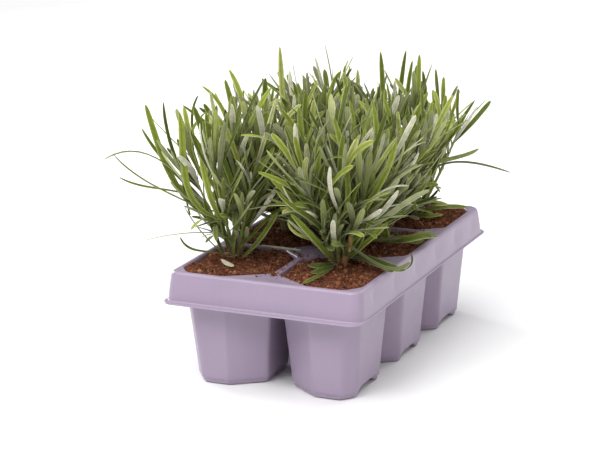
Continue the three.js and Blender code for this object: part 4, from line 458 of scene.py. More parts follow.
def tube(pts, rad, n=4, seed_angle=0.0, squash=1.0):
    """A tube along pts with radius rad per point; returns verts, quads and end fans."""
    pts = np.asarray(pts, float); rad = np.asarray(rad, float)
    t = np.gradient(pts, axis=0); t /= np.linalg.norm(t, axis=1)[:, None] + 1e-12
    ref = np.array([0.13, 0.31, 0.94]) if abs(t[0, 2]) < .8 else np.array([0.94, 0.31, 0.13])
    e = np.cross(t, ref); e /= np.linalg.norm(e, axis=1)[:, None]; g = np.cross(t, e)
    a = seed_angle + np.arange(n) * 2 * math.pi / n
    v = pts[:, None] + rad[:, None, None] * (np.cos(a)[None, :, None] * e[:, None] + squash * np.sin(a)[None, :, None] * g[:, None])
    return v.reshape(-1, 3), grid_faces(len(pts), n), [list(range(n - 1, -1, -1)), list(range((len(pts) - 1) * n, len(pts) * n))]
def build_soil(name, side, row, mat):
    cx, cy = CROWNS[name]
    N, M = 220, 84
    p, r = cell_at(side, row, 82.0)
    outline = rounded(inset8(p, 0.40), r, 9, 10)
    d = np.r_[0, np.cumsum(np.linalg.norm(np.diff(np.vstack([outline, outline[:1]]), axis=0), axis=1))]
    s = np.linspace(0, d[-1], N, endpoint=False); o2 = np.vstack([outline, outline[:1]])
    outline = np.stack([np.interp(s, d, o2[:, 0]), np.interp(s, d, o2[:, 1])], 1)
    cen = outline.mean(0)
    rho = (np.linspace(1, 0.004, M)) ** 0.9
    q = cen + rho[:, None, None] * (outline - cen)[None]
    q = q + rho[:, None, None] * 0
    jit = np.stack([noise3(np.concatenate([q, 0 * q[..., :1]], -1), .9, 21), noise3(np.concatenate([q, 0 * q[..., :1]], -1), .9, 22)], -1) * 0.3
    jit[0] = 0
    q = q + jit
    z = soil_height(q[..., 0], q[..., 1], np.broadcast_to(rho[:, None], q.shape[:2]), cx, cy)
    V = [np.concatenate([q, z[..., None]], -1).reshape(-1, 3)]
    F4 = [grid_faces(M, N, flip=False)]
    # the side of the root ball, down to the floor of the pot
    base = M * N; rings = []
    for zz, ins in ((79.0, .5), (70, .6), (55, .7), (38, .8), (22, .9), (9, 1.0), (5.4, 1.5), (4.2, 2.2), (2.6, 3.2)):
        p, r = cell_at(side, row, zz); ol = rounded(inset8(p, ins), r, 9, 10)
        dd = np.r_[0, np.cumsum(np.linalg.norm(np.diff(np.vstack([ol, ol[:1]]), axis=0), axis=1))]; oo = np.vstack([ol, ol[:1]]); ss = np.linspace(0, dd[-1], N, endpoint=False)
        ol = np.stack([np.interp(ss, dd, oo[:, 0]), np.interp(ss, dd, oo[:, 1])], 1)
        pp = np.column_stack([ol, np.full(N, zz)])
        nz = noise3(pp, .35, 13) * .25
        c = ol.mean(0); dirn = c - ol; dirn /= np.linalg.norm(dirn, axis=1)[:, None]
        pp[:, :2] += dirn * np.abs(nz)[:, None]
        if zz < 12:  # the pot's floor rises into an arch on its outer side
            arch = np.abs(pp[:, 1] - row * PITCH) < 21
            pp[:, 0] = np.where(arch & (pp[:, 0] * side > 45), side * np.minimum(pp[:, 0] * side, 45 + (pp[:, 0] * side - 45) * (.85 if zz > 8 else .15)), pp[:, 0])
        rings.append(pp)
    bottom = rings[-1].copy(); cb = bottom[:, :2].mean(0); bottom[:, :2] = cb + (bottom[:, :2] - cb) * .05
    rings.append(bottom)
    V += rings
    nb = len(rings)
    k = np.arange(N); k1 = (k + 1) % N
    F4.append(np.stack([k, base + k, base + k1, k1], -1))
    F4.append(grid_faces(nb, N, base=base, flip=True))
    # close the middle of the top and the bottom
    FN = [list(range((M - 1) * N, M * N)), list(range(base + (nb - 1) * N + N - 1, base + (nb - 1) * N - 1, -1))]
    verts = np.concatenate(V); T3 = []
    n0 = len(verts)
    tone = [np.zeros(n0)]
    extra_v = []
    # crumbs
    def place(n, rmax=.97):
        a = rng.random(n) * N; rr = np.sqrt(rng.random(n)) * rmax
        i = a.astype(int); f = (a - i)[:, None]
        ol = outline[i] * (1 - f) + outline[(i + 1) % N] * f
        xy = cen + (ol - cen) * rr[:, None]
        return xy, soil_height(xy[:, 0], xy[:, 1], rr, cx, cy)
    def rot(v, a):
        ca, sa = np.cos(a), np.sin(a)
        x, y, z = v[..., 0], v[..., 1], v[..., 2]
        c0, s0 = ca[:, 0:1], sa[:, 0:1]; x, y = x * c0 - y * s0, x * s0 + y * c0
        c1, s1 = ca[:, 1:2], sa[:, 1:2]; y, z = y * c1 - z * s1, y * s1 + z * c1
        c2, s2 = ca[:, 2:3], sa[:, 2:3]; x, z = x * c2 - z * s2, x * s2 + z * c2
        return np.stack([x, y, z], -1)
    off = n0
    def bits(xy, zz, size, ball, tones, lift):
        """Lumpy crumbs of the given sizes, each turned its own way."""
        nonlocal off
        bv, bf = ball; m = len(xy); k = len(bv)
        lump = 1 + .34 * noise3(bv[None] + rng.uniform(-50, 50, (m, 1, 3)), 1.6, 31)
        cv = rot(bv[None] * rng.uniform(.55, 1.35, (m, 1, 3)) * lump[..., None], rng.uniform(0, 2 * math.pi, (m, 3))) * size[:, None, None]
        cv[..., 0] += xy[:, 0:1]; cv[..., 1] += xy[:, 1:2]; cv[..., 2] += (zz + size * lift)[:, None]
        T3.append((bf[None] + (off + np.arange(m) * k)[:, None, None]).reshape(-1, 3))
        extra_v.append(cv.reshape(-1, 3)); tone.append(np.repeat(tones, k)); off += m * k
    xy, zz = place(230); bits(xy, zz, 0.75 + .95 * rng.random(230) ** 2.2, (ICO_V, ICO_F), rng.random(230) * .9 + .1, .18)
    xy, zz = place(900); bits(xy, zz, 0.30 + .45 * rng.random(900) ** 1.5, (ICO_V0, ICO_F0), rng.random(900) * .9 + .1, .25)
    # crumbs spilled on the ridges and corners of the deck beside this cell
    pe, re_ = cell_at(side, row, H)
    ns = 200
    oe = rounded(inset8(pe, -1.0), re_, 9, 10)
    nrm_out = oe - oe.mean(0); nrm_out /= np.linalg.norm(nrm_out, axis=1)[:, None]
    w_in = np.exp(-np.clip(np.abs(oe[:, 0]) - 4, 0, 99) / 9.0) * (1.0 if row == -1 else .7) + .03
    w_in *= (np.abs(oe[:, 1]) < 112)
    pick = rng.choice(len(oe), ns, p=w_in / w_in.sum())
    away = rng.random(ns) ** 1.6 * 5.5
    xy2 = oe[pick] + nrm_out[pick] * away[:, None] + rng.normal(0, .8, (ns, 2))
    far = np.ones(ns, bool)
    for rr_ in ROWS:
        for ss_ in (-1, 1):
            qq, _ = cell_at(ss_, rr_, H); ee = np.roll(qq, -1, 0) - qq
            far &= ~np.all(ee[None, :, 0] * (xy2[:, None, 1] - qq[None, :, 1]) - ee[None, :, 1] * (xy2[:, None, 0] - qq[None, :, 0]) > -.4 * np.linalg.norm(ee, axis=1)[None], axis=1)
    far &= (np.abs(xy2[:, 0]) < 67) & (np.abs(xy2[:, 1]) < 116) & (xy2[:, 0] * side > -.4)
    xy2 = xy2[far]; ns = len(xy2)
    bits(xy2, np.full(ns, H - .5), 0.22 + .65 * rng.random(ns) ** 3.0, (ICO_V0, ICO_F0), rng.random(ns) * .7 + .1, .6)
    # coir fibres lying across the top
    nf = 210
    xy, zz = place(nf, .9)
    for j in range(nf):
        ln = rng.uniform(3.5, 12); th = rng.uniform(0, 2 * math.pi); bend = rng.normal(0, .9); m = 7
        u = np.linspace(-.5, .5, m); a = th + bend * u
        step = ln / (m - 1); px = np.cumsum(np.cos(a)) * step; py = np.cumsum(np.sin(a)) * step
        px -= px.mean(); py -= py.mean()
        x, y = xy[j, 0] + px, xy[j, 1] + py
        pp, rr = cell_at(side, row, 82.0); ins = inset8(pp, 1.4)
        ed = np.roll(ins, -1, 0) - ins
        inside_all = np.all(ed[None, :, 0] * (y[:, None] - ins[None, :, 1]) - ed[None, :, 1] * (x[:, None] - ins[None, :, 0]) > 0)
        if not inside_all: continue
        hz = soil_height(x, y, np.full(m, .5), cx, cy)
        lift = np.abs(u) * rng.uniform(-.6, 1.6) + rng.uniform(.05, .4)
        hz = np.convolve(np.pad(hz, 1, mode="edge"), np.ones(3) / 3, "valid")
        pts = np.stack([x, y, hz + lift], 1)
        v, fq, ends = tube(pts, np.interp(np.linspace(0, 1, m), [0, .2, .8, 1], [.03, .1, .09, .02]) * rng.uniform(.7, 1.6), 4)
        extra_v.append(v); F4.append(fq + off); T3.append(np.array([[e[0], e[1], e[2]] for e in ends] + [[e[0], e[2], e[3]] for e in ends]) + off)
        tone.append(np.full(len(v), rng.uniform(1.2, 1.9))); off += len(v)
    verts = np.concatenate([verts] + extra_v)
    tone = np.concatenate(tone)
    FNa = [np.array([f]) for f in FN]
    o = make_object("rootball_" + name, verts, F4 + T3 + FNa, mat, attrs={"tone": ("FLOAT", tone)})
    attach(o, "root"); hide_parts("soil_" + name)
    return o
def soil_material():
    m, nt, b = material("coir_mix")
    tc = node(nt, "ShaderNodeTexCoord")
    at = node(nt, "ShaderNodeAttribute"); at.attribute_name = "tone"
    n1 = node(nt, "ShaderNodeTexNoise", Scale=70.0, Detail=5.0, Roughness=0.65); link(nt, tc, "Object", n1, "Vector")
    n2 = node(nt, "ShaderNodeTexNoise", Scale=620.0, Detail=4.0, Roughness=0.7); link(nt, tc, "Object", n2, "Vector")
    vo = node(nt, "ShaderNodeTexVoronoi", Scale=520.0); link(nt, tc, "Object", vo, "Vector")
    c = ramp(nt, (n2, 0), [(0.28, srgb(48, 25, 17)), (0.45, srgb(84, 46, 32)), (0.56, srgb(112, 66, 47)), (0.70, srgb(138, 88, 62)), (0.82, srgb(172, 120, 86))])
    c2 = mix_rgb(nt, (c, 0), (ramp(nt, (n1, 0), [(0.35, grey(0.62)), (0.65, grey(1.18))]), 0), 0.8, "MULTIPLY")
    # crumbs are lighter and redder, fibres pale
    crumb = ramp(nt, (at, 2), [(0.0, srgb(90, 50, 35)), (0.2, srgb(60, 32, 22)), (0.5, srgb(118, 66, 44)), (0.8, srgb(156, 98, 66)), (1.0, srgb(176, 128, 92))])
    fac = maths(nt, "MINIMUM", maths(nt, "MULTIPLY", (at, 2), 3.0), 0.72)
    c3 = mix_rgb(nt, c2, (crumb, 0), fac)
    nt.links.new(c3[0].outputs[c3[1]], b.inputs["Base Color"])
    b.inputs["Roughness"].default_value = 0.93
    b.inputs["Specular IOR Level"].default_value = 0.18
    bump = node(nt, "ShaderNodeBump", Strength=0.55, Distance=0.0005)
    h = maths(nt, "ADD", (n2, 0), maths(nt, "MULTIPLY", (vo, 0), 0.5))
    nt.links.new(h[0].outputs[0], bump.inputs["Height"]); nt.links.new(bump.outputs[0], b.inputs["Normal"])
    return m
soil_mat = soil_material()
for row, rn in ((-1, "front"), (0, "middle"), (1, "back")):
    for side, sn in ((-1, "left"), (1, "right")):
        build_soil(rn + "_" + sn, side, row, soil_mat)

# name, plant, stem (a cubic curve, in tenths of a millimetre), leaves (curve, width in hundredths, upper face x100, twist in degrees, main leaf or small, and on some the tone and silver x100)
SHOOTS = [
 ('shoot_front_left_1', 'front_left', [-450,-710,920,-439,-718,1194,-426,-728,1422,-407,-743,1680], [
  [-428,-727,1372,-374,-726,1650,-585,-773,1816,-775,-840,1964,331,81,-43,40,10,1],
  [-431,-724,1315,-522,-669,1548,-625,-612,1776,-696,-559,2016,368,65,-65,40,-3,1],
  [-429,-726,1353,-515,-623,1587,-530,-455,1875,-780,-522,2039,368,70,-50,51,4,1],
  [-411,-740,1623,-447,-714,1716,-481,-690,1807,-513,-667,1897,385,78,-61,14,-24,1],
  [-408,-742,1665,-388,-810,1779,-370,-865,1896,-354,-909,2018,453,-47,80,38,6,1],
  [-425,-729,1417,-407,-659,1560,-389,-600,1703,-373,-549,1850,426,23,-60,76,3,1],
  [-419,-734,1511,-358,-796,1624,-291,-864,1723,-217,-940,1812,393,-55,35,76,-27,1],
  [-446,-714,982,-370,-811,1117,-284,-902,1252,-250,-988,1412,314,-43,59,68,-13,0],
  [-448,-709,982,-464,-657,1049,-481,-612,1123,-503,-545,1175,344,27,-71,65,0,0],
  [-440,-714,1087,-335,-680,1220,-264,-690,1380,-116,-643,1462,492,-70,-31,65,12,0],
  [-445,-717,1087,-485,-763,1146,-520,-799,1217,-536,-833,1296,413,51,45,73,-57,0],
  [-436,-722,1189,-355,-876,1235,-284,-1044,1249,-208,-1209,1224,400,-9,24,97,23,0],
  [-439,-716,1189,-468,-651,1239,-478,-581,1294,-471,-531,1368,428,26,-50,83,26,0],
  [-443,-712,1090,-443,-549,1241,-504,-381,1377,-537,-183,1479,389,6,-67,74,48,0],
  [-441,-718,1183,-558,-699,1365,-660,-702,1560,-769,-733,1748,362,81,-18,56,-20,0],
  [-435,-719,1183,-335,-724,1374,-267,-690,1577,-112,-742,1719,482,-88,-4,48,0,0],
  [-433,-725,1274,-432,-828,1359,-414,-933,1444,-390,-1045,1516,490,6,63,77,2,0],
  [-432,-720,1274,-391,-656,1475,-335,-603,1676,-260,-544,1870,345,-34,-87,36,-28,0],
  [-431,-725,1364,-466,-706,1490,-515,-702,1614,-579,-723,1729,388,82,-48,33,16,0],
  [-426,-728,1363,-337,-780,1454,-271,-825,1568,-178,-898,1643,445,-57,32,76,40,0],
  [-423,-734,1453,-421,-813,1641,-422,-890,1832,-477,-1069,1917,450,15,91,39,-13,0],
  [-422,-728,1453,-388,-611,1590,-342,-535,1751,-303,-366,1813,506,-10,-74,67,-5,0],
  [-419,-738,1543,-467,-804,1677,-500,-863,1821,-516,-921,1968,339,62,58,53,0,0],
  [-414,-736,1543,-370,-749,1660,-347,-773,1782,-293,-829,1882,399,-91,16,39,18,0],
  [-409,-743,1635,-382,-811,1735,-348,-854,1848,-312,-962,1900,338,-22,77,60,3,0],
  [-409,-738,1635,-373,-710,1824,-291,-733,2000,-197,-683,2163,341,-46,-86,23,-5,0],
  [-408,-739,1673,-407,-736,1698,-406,-733,1723,-405,-731,1748,169,20,-97,11,0,0],
  [-410,-745,1672,-418,-763,1717,-427,-781,1762,-433,-796,1808,182,59,70,39,0,0],
  [-404,-743,1672,-392,-746,1699,-381,-749,1726,-371,-752,1753,177,-90,13,41,0,0],
  [-409,-739,1673,-408,-734,1710,-408,-729,1748,-407,-726,1786,184,33,-94,12,0,0],
  [-408,-746,1672,-406,-758,1716,-404,-769,1759,-402,-779,1803,158,15,96,25,0,0],
  [-404,-741,1672,-392,-738,1702,-379,-735,1732,-368,-733,1762,180,-82,-41,40,0,0],
  [-439,-716,1101,-311,-731,1250,-201,-737,1416,-62,-763,1556,340,-75,4,66,-7,0],
  [-437,-722,1196,-426,-876,1325,-403,-1019,1468,-404,-1168,1607,429,2,64,77,-22,0],
  [-436,-721,1276,-504,-665,1367,-575,-622,1466,-627,-578,1575,343,55,-44,71,-29,0],
  [-425,-725,1384,-362,-663,1573,-298,-580,1756,-139,-471,1840,321,-50,-75,43,-6,0],
  [-421,-729,1434,-332,-721,1626,-232,-684,1811,-177,-661,2016,482,-87,-23,43,-7,0],
  [-419,-737,1521,-451,-822,1630,-474,-900,1748,-473,-922,1890,331,39,66,65,-8,0],
  [-417,-731,1522,-383,-673,1722,-327,-595,1911,-260,-449,2051,469,-24,-91,32,6,0],
  [-406,-741,1657,-343,-725,1773,-282,-710,1892,-159,-691,1944,461,-79,-36,50,1,0],
  [-411,-740,1657,-419,-735,1758,-401,-732,1858,-384,-743,1957,302,81,-58,13,30,0],
 ]),
 ('shoot_front_left_2', 'front_left', [-410,-697,920,-312,-663,1158,-258,-645,1366,-232,-636,1610], [
  [-235,-637,1586,-170,-632,1688,-118,-627,1794,-77,-622,1904,379,-88,-5,47,-20,1],
  [-237,-638,1567,-270,-628,1696,-296,-619,1824,-315,-611,1952,456,98,-2,-17,30,1],
  [-248,-642,1485,-261,-578,1599,-274,-514,1709,-288,-449,1818,356,19,-70,69,7,1],
  [-245,-641,1503,-238,-711,1637,-227,-767,1772,-214,-810,1911,384,-25,83,49,-16,1],
  [-267,-648,1382,-283,-660,1540,-292,-668,1694,-297,-675,1848,376,52,59,-62,27,1],
  [-297,-575,1460,-211,-517,1461,-127,-460,1476,-43,-402,1494,460,38,-68,63,0,0,90,100],
  [-278,-452,1686,-232,-396,1768,-169,-339,1838,-105,-282,1906,380,21,-85,49,0,0,90,100],
  [-358,-442,1840,-325,-412,1892,-284,-379,1932,-229,-339,1946,260,21,-82,54,0,0,90,80],
  [-387,-692,974,-345,-751,1005,-307,-803,1055,-285,-848,1119,328,14,52,84,-3,0],
  [-389,-687,974,-409,-611,1009,-447,-535,988,-478,-462,950,441,49,-24,84,24,0],
  [-352,-680,1066,-243,-722,1173,-153,-766,1297,-64,-793,1426,383,-42,60,68,-10,0],
  [-354,-675,1066,-345,-580,1129,-341,-465,1148,-371,-355,1122,386,36,-53,77,22,0],
  [-323,-670,1157,-254,-727,1277,-152,-790,1369,-39,-887,1396,314,-19,83,53,30,0],
  [-324,-664,1157,-286,-550,1231,-271,-421,1294,-236,-281,1292,394,16,-56,81,-6,0],
  [-328,-669,1153,-332,-682,1345,-341,-712,1537,-358,-720,1730,436,89,46,6,16,0],
  [-324,-666,1151,-192,-564,1277,-60,-479,1416,107,-354,1390,482,-36,-50,79,0,0],
  [-300,-662,1233,-155,-753,1376,-44,-842,1550,26,-896,1758,503,-34,59,73,21,0],
  [-304,-658,1234,-356,-606,1331,-396,-555,1436,-456,-469,1502,446,77,-28,58,-19,0],
  [-280,-650,1315,-186,-556,1474,-67,-487,1632,60,-428,1788,331,-36,-68,63,-31,0],
  [-262,-649,1398,-204,-684,1554,-131,-709,1708,-80,-726,1871,443,-42,83,36,5,0],
  [-266,-646,1398,-345,-614,1540,-432,-575,1678,-560,-467,1675,333,85,-12,51,14,0],
  [-249,-645,1482,-219,-673,1651,-214,-690,1825,-228,-758,1985,468,-4,98,19,25,0],
  [-247,-639,1481,-206,-606,1631,-187,-580,1787,-102,-504,1899,373,-52,-79,33,-25,0],
  [-234,-636,1567,-167,-607,1684,-117,-580,1811,-5,-499,1821,406,-76,-35,55,-2,0],
  [-240,-637,1568,-305,-608,1720,-365,-576,1875,-446,-546,2021,354,88,-20,43,28,0],
  [-234,-633,1603,-235,-626,1627,-236,-618,1650,-236,-612,1675,205,47,-84,28,0,0],
  [-235,-639,1603,-234,-645,1651,-234,-651,1699,-232,-656,1747,150,52,85,10,0,0],
  [-229,-636,1602,-209,-631,1647,-189,-626,1691,-172,-621,1736,160,-89,-19,42,0,0],
  [-234,-633,1603,-234,-623,1629,-234,-613,1654,-233,-605,1681,217,31,-89,33,0,0],
  [-234,-640,1603,-230,-644,1644,-227,-648,1684,-224,-651,1725,219,22,97,8,0,0],
  [-230,-635,1602,-219,-631,1650,-208,-627,1697,-198,-623,1744,182,-90,-37,24,0,0],
  [-324,-670,1161,-340,-789,1310,-366,-854,1492,-397,-902,1678,438,46,67,59,9,0],
  [-324,-664,1160,-296,-534,1344,-280,-389,1521,-322,-171,1575,490,37,-78,51,33,0],
  [-294,-658,1250,-144,-630,1325,-18,-593,1436,55,-490,1555,395,-43,-3,90,-15,0],
  [-300,-659,1251,-367,-690,1469,-433,-730,1687,-612,-865,1745,432,88,35,33,4,0],
  [-280,-655,1320,-238,-726,1488,-244,-818,1653,-221,-912,1815,328,5,92,39,20,0],
  [-264,-646,1384,-113,-548,1517,23,-507,1692,111,-445,1891,370,-45,-38,81,-16,0],
  [-269,-649,1385,-324,-666,1542,-391,-684,1696,-534,-684,1784,317,89,29,36,-19,0],
  [-246,-644,1493,-205,-695,1650,-171,-741,1810,-83,-863,1892,340,-20,91,37,-2,0],
  [-248,-638,1493,-234,-600,1653,-229,-588,1819,-244,-586,1984,422,35,-92,21,14,0],
  [-236,-639,1553,-196,-634,1682,-159,-620,1812,-92,-589,1926,349,-95,8,31,18,0],
  [-241,-640,1554,-258,-655,1735,-280,-646,1917,-373,-673,2073,415,86,49,14,8,0],
 ]),
 ('shoot_front_left_3', 'front_left', [-433,-672,920,-397,-590,1117,-372,-535,1287,-351,-487,1485], [
  [-366,-522,1352,-454,-450,1614,-483,-346,1896,-657,-323,2131,423,37,-86,36,1,1],
  [-355,-497,1444,-387,-448,1540,-422,-398,1630,-463,-347,1716,437,94,-19,28,2,1],
  [-354,-493,1459,-312,-483,1559,-271,-472,1655,-230,-462,1752,371,-87,14,47,-10,1],
  [-364,-517,1368,-372,-506,1516,-385,-501,1658,-401,-501,1801,352,86,50,-1,-15,1],
  [-364,-517,1367,-323,-459,1488,-277,-398,1601,-225,-332,1709,395,-98,13,15,-16,1],
  [-354,-550,1554,-273,-485,1632,-197,-394,1701,-79,-330,1712,380,27,-76,59,0,0,90,100],
  [-366,-445,865,-257,-482,873,-145,-499,877,-29,-495,875,170,-13,-72,68,0,0,150,100],
  [-427,-656,966,-472,-693,1104,-512,-741,1243,-545,-821,1368,343,52,76,39,-17,0],
  [-412,-627,1042,-400,-729,1111,-414,-835,1179,-420,-949,1232,486,14,56,82,-30,0],
  [-413,-621,1040,-463,-516,1035,-544,-431,1060,-616,-352,1114,379,25,17,95,-35,0],
  [-402,-597,1116,-470,-573,1246,-595,-536,1320,-736,-489,1338,350,85,34,40,-19,0],
  [-398,-594,1115,-317,-479,1230,-252,-399,1380,-212,-377,1557,399,-47,-43,77,12,0],
  [-425,-648,981,-518,-618,1091,-607,-582,1205,-713,-538,1300,342,76,31,57,-14,0],
  [-399,-591,1137,-444,-584,1351,-530,-571,1555,-625,-603,1751,390,73,66,15,5,0],
  [-394,-587,1135,-265,-450,1201,-128,-363,1320,34,-288,1414,487,-33,-13,94,2,0],
  [-383,-566,1213,-280,-587,1408,-174,-593,1604,14,-656,1705,354,-52,77,37,16,0],
  [-384,-561,1212,-334,-434,1289,-267,-305,1353,-200,-161,1346,498,-15,-46,88,-65,0],
  [-377,-539,1289,-448,-468,1439,-514,-391,1590,-639,-351,1717,399,87,-10,48,-5,0],
  [-371,-540,1289,-285,-501,1442,-209,-470,1604,-78,-462,1730,441,-86,23,45,7,0],
  [-364,-520,1368,-345,-621,1567,-340,-693,1781,-347,-735,2004,443,8,89,45,6,0],
  [-365,-515,1366,-363,-417,1509,-348,-299,1637,-336,-138,1703,333,30,-78,55,-6,0],
  [-353,-495,1446,-324,-459,1548,-298,-417,1649,-214,-375,1711,349,-81,-43,40,31,0],
  [-353,-485,1478,-351,-469,1521,-349,-453,1563,-347,-437,1606,162,43,-85,31,0,0],
  [-353,-491,1480,-353,-489,1503,-352,-486,1527,-351,-483,1550,219,50,86,-11,0,0],
  [-348,-487,1478,-339,-479,1499,-329,-471,1520,-320,-464,1542,174,-85,-22,48,0,0],
  [-354,-486,1479,-353,-469,1524,-352,-451,1568,-350,-436,1614,224,56,-78,28,0,0],
  [-353,-492,1480,-353,-497,1520,-353,-503,1560,-352,-505,1601,217,27,95,13,0,0],
  [-348,-487,1478,-333,-474,1518,-318,-461,1558,-306,-448,1598,162,-89,-22,41,0,0],
  [-412,-616,1056,-535,-508,1115,-644,-374,1075,-756,-268,989,361,49,10,86,-14,0],
  [-401,-597,1120,-463,-600,1317,-502,-604,1520,-558,-580,1718,484,73,64,25,30,0],
  [-396,-594,1119,-238,-503,1207,-81,-448,1325,53,-426,1478,315,-50,4,87,18,0],
  [-383,-566,1209,-273,-573,1295,-190,-591,1409,-74,-586,1490,484,-52,46,72,18,0],
  [-376,-537,1296,-495,-475,1429,-578,-444,1598,-722,-409,1719,318,75,8,65,23,0],
  [-370,-537,1295,-263,-471,1429,-167,-416,1579,-95,-341,1733,390,-75,-5,65,-24,0],
  [-365,-516,1360,-367,-368,1429,-368,-236,1530,-361,-78,1579,472,16,-40,90,16,0],
  [-357,-494,1456,-401,-456,1640,-402,-443,1833,-416,-414,2024,465,96,16,21,-11,0],
 ]),
 ('shoot_front_left_4', 'front_left', [-469,-673,920,-528,-559,1121,-563,-491,1304,-586,-448,1524], [
  [-581,-458,1477,-619,-485,1605,-656,-509,1729,-692,-532,1854,398,38,92,-6,-24,1],
  [-585,-451,1511,-578,-370,1601,-574,-296,1694,-572,-227,1790,431,-23,-47,85,-10,1],
  [-576,-467,1436,-526,-474,1608,-464,-492,1768,-387,-521,1921,392,-84,52,-18,-15,1],
  [-576,-467,1435,-661,-413,1563,-754,-358,1679,-856,-302,1787,449,38,-38,84,-24,1],
  [-557,-504,1303,-618,-513,1475,-670,-506,1645,-714,-484,1816,446,99,-4,15,7,1],
  [-481,-650,967,-461,-695,1124,-410,-771,1264,-326,-859,1378,329,-42,85,31,-2,0],
  [-482,-645,965,-495,-553,994,-516,-489,1067,-518,-430,1147,293,-21,-30,93,0,0],
  [-500,-606,1045,-452,-532,1126,-411,-478,1227,-339,-393,1274,378,-82,-6,57,-16,0],
  [-506,-608,1044,-561,-585,1102,-605,-574,1173,-686,-561,1189,285,72,39,57,-42,0],
  [-522,-574,1124,-538,-592,1200,-555,-623,1273,-560,-669,1339,362,-7,97,25,25,0],
  [-523,-569,1122,-570,-494,1158,-626,-413,1164,-662,-328,1130,330,24,-28,93,49,0],
  [-509,-596,1062,-630,-426,1154,-808,-281,1160,-934,-93,1122,442,31,-26,91,21,0],
  [-527,-565,1146,-547,-582,1264,-570,-620,1378,-600,-655,1492,401,-10,98,15,10,0],
  [-526,-559,1143,-551,-420,1284,-587,-312,1449,-614,-155,1571,341,-22,-70,67,34,0],
  [-541,-532,1227,-536,-515,1349,-573,-492,1465,-585,-503,1588,365,-71,71,-4,-29,0],
  [-546,-528,1225,-681,-408,1336,-790,-293,1479,-920,-132,1532,315,52,-17,84,-7,0],
  [-560,-504,1309,-637,-522,1463,-668,-563,1631,-756,-672,1735,391,49,80,35,-4,0],
  [-556,-499,1308,-523,-383,1386,-495,-307,1507,-461,-228,1624,486,-45,-39,80,20,0],
  [-568,-479,1394,-509,-490,1566,-427,-518,1727,-316,-550,1869,339,-76,57,31,13,0],
  [-573,-476,1393,-664,-403,1453,-739,-330,1535,-772,-231,1618,333,44,-16,88,-7,0],
  [-581,-460,1482,-595,-464,1602,-595,-457,1723,-603,-428,1840,339,-1,100,6,-10,0],
  [-582,-454,1481,-610,-355,1598,-666,-283,1725,-749,-165,1790,419,10,-74,67,18,0],
  [-586,-446,1517,-590,-435,1549,-594,-424,1581,-598,-414,1613,178,14,-93,34,0,0],
  [-587,-452,1518,-596,-448,1566,-605,-444,1615,-612,-439,1664,190,53,85,2,0,0],
  [-582,-450,1518,-581,-445,1548,-580,-440,1579,-580,-435,1609,153,-98,22,0,0,0],
  [-587,-446,1517,-594,-432,1549,-601,-418,1580,-608,-406,1613,226,41,-80,44,0,0],
  [-586,-453,1518,-591,-457,1544,-596,-462,1569,-601,-464,1595,166,19,96,21,0,0],
  [-582,-449,1518,-578,-440,1561,-574,-430,1605,-572,-421,1649,176,-99,-5,10,0,0],
  [-523,-569,1135,-532,-567,1285,-535,-537,1434,-566,-529,1583,327,-36,93,-1,11,0],
  [-525,-564,1132,-606,-412,1218,-693,-290,1342,-741,-130,1443,374,21,-38,90,5,0],
  [-544,-522,1243,-511,-418,1435,-478,-345,1642,-437,-270,1847,415,-89,-32,34,-49,0],
  [-548,-526,1243,-662,-558,1398,-751,-616,1563,-820,-671,1739,367,45,73,50,-3,0],
  [-553,-510,1292,-527,-567,1482,-519,-573,1684,-459,-578,1877,447,-42,85,32,11,0],
  [-556,-505,1290,-613,-393,1442,-648,-319,1623,-696,-195,1770,331,35,-68,65,2,0],
  [-566,-480,1379,-443,-381,1541,-340,-307,1731,-175,-204,1849,376,-76,-8,64,2,0],
  [-580,-460,1480,-580,-502,1630,-570,-558,1776,-539,-636,1909,314,-23,93,28,13,0],
  [-582,-454,1479,-622,-350,1628,-623,-250,1786,-622,-161,1951,339,21,-76,61,-5,0],
 ]),
 ('shoot_front_left_5', 'front_left', [-492,-704,920,-622,-686,1159,-715,-674,1366,-801,-662,1608], [
  [-675,-679,1289,-718,-629,1517,-894,-655,1765,-806,-531,1973,294,98,-6,20,-14,1],
  [-781,-665,1554,-807,-709,1674,-838,-738,1793,-874,-753,1913,457,-55,80,22,-25,1],
  [-785,-664,1562,-837,-623,1675,-889,-571,1779,-943,-506,1874,403,-7,-71,70,-9,1],
  [-741,-670,1449,-754,-574,1583,-769,-484,1715,-787,-399,1850,379,-38,-79,48,-22,1],
  [-765,-667,1509,-890,-701,1622,-1004,-728,1740,-1112,-750,1865,390,62,50,61,-4,1],
  [-715,-674,1384,-750,-722,1512,-786,-762,1638,-825,-796,1765,371,-27,94,23,-6,1],
  [-522,-703,974,-572,-750,1015,-636,-788,1052,-700,-833,1074,400,-6,67,74,-21,0],
  [-522,-697,974,-584,-634,1022,-650,-571,1073,-721,-498,1087,351,-3,-60,80,-7,0],
  [-567,-693,1068,-536,-679,1172,-524,-668,1283,-442,-618,1338,406,-95,-4,31,-51,0],
  [-572,-694,1066,-652,-707,1074,-725,-701,1114,-808,-699,1106,430,5,16,98,-23,0],
  [-615,-690,1157,-679,-834,1225,-737,-967,1320,-776,-1063,1460,336,-29,50,81,-26,0],
  [-614,-684,1157,-645,-534,1196,-676,-390,1261,-716,-234,1264,374,-39,-30,87,10,0],
  [-530,-698,984,-654,-670,1033,-754,-656,1127,-844,-629,1229,312,32,-14,94,8,0],
  [-572,-690,1069,-647,-575,1130,-717,-439,1144,-779,-300,1127,320,-18,-54,82,-17,0],
  [-649,-680,1234,-667,-517,1373,-688,-398,1553,-683,-188,1605,403,-48,-59,65,-1,0],
  [-683,-678,1316,-619,-671,1464,-585,-656,1623,-552,-626,1781,360,-91,3,41,-26,0],
  [-720,-670,1397,-751,-570,1527,-741,-455,1650,-698,-301,1703,467,-40,-76,51,-12,0],
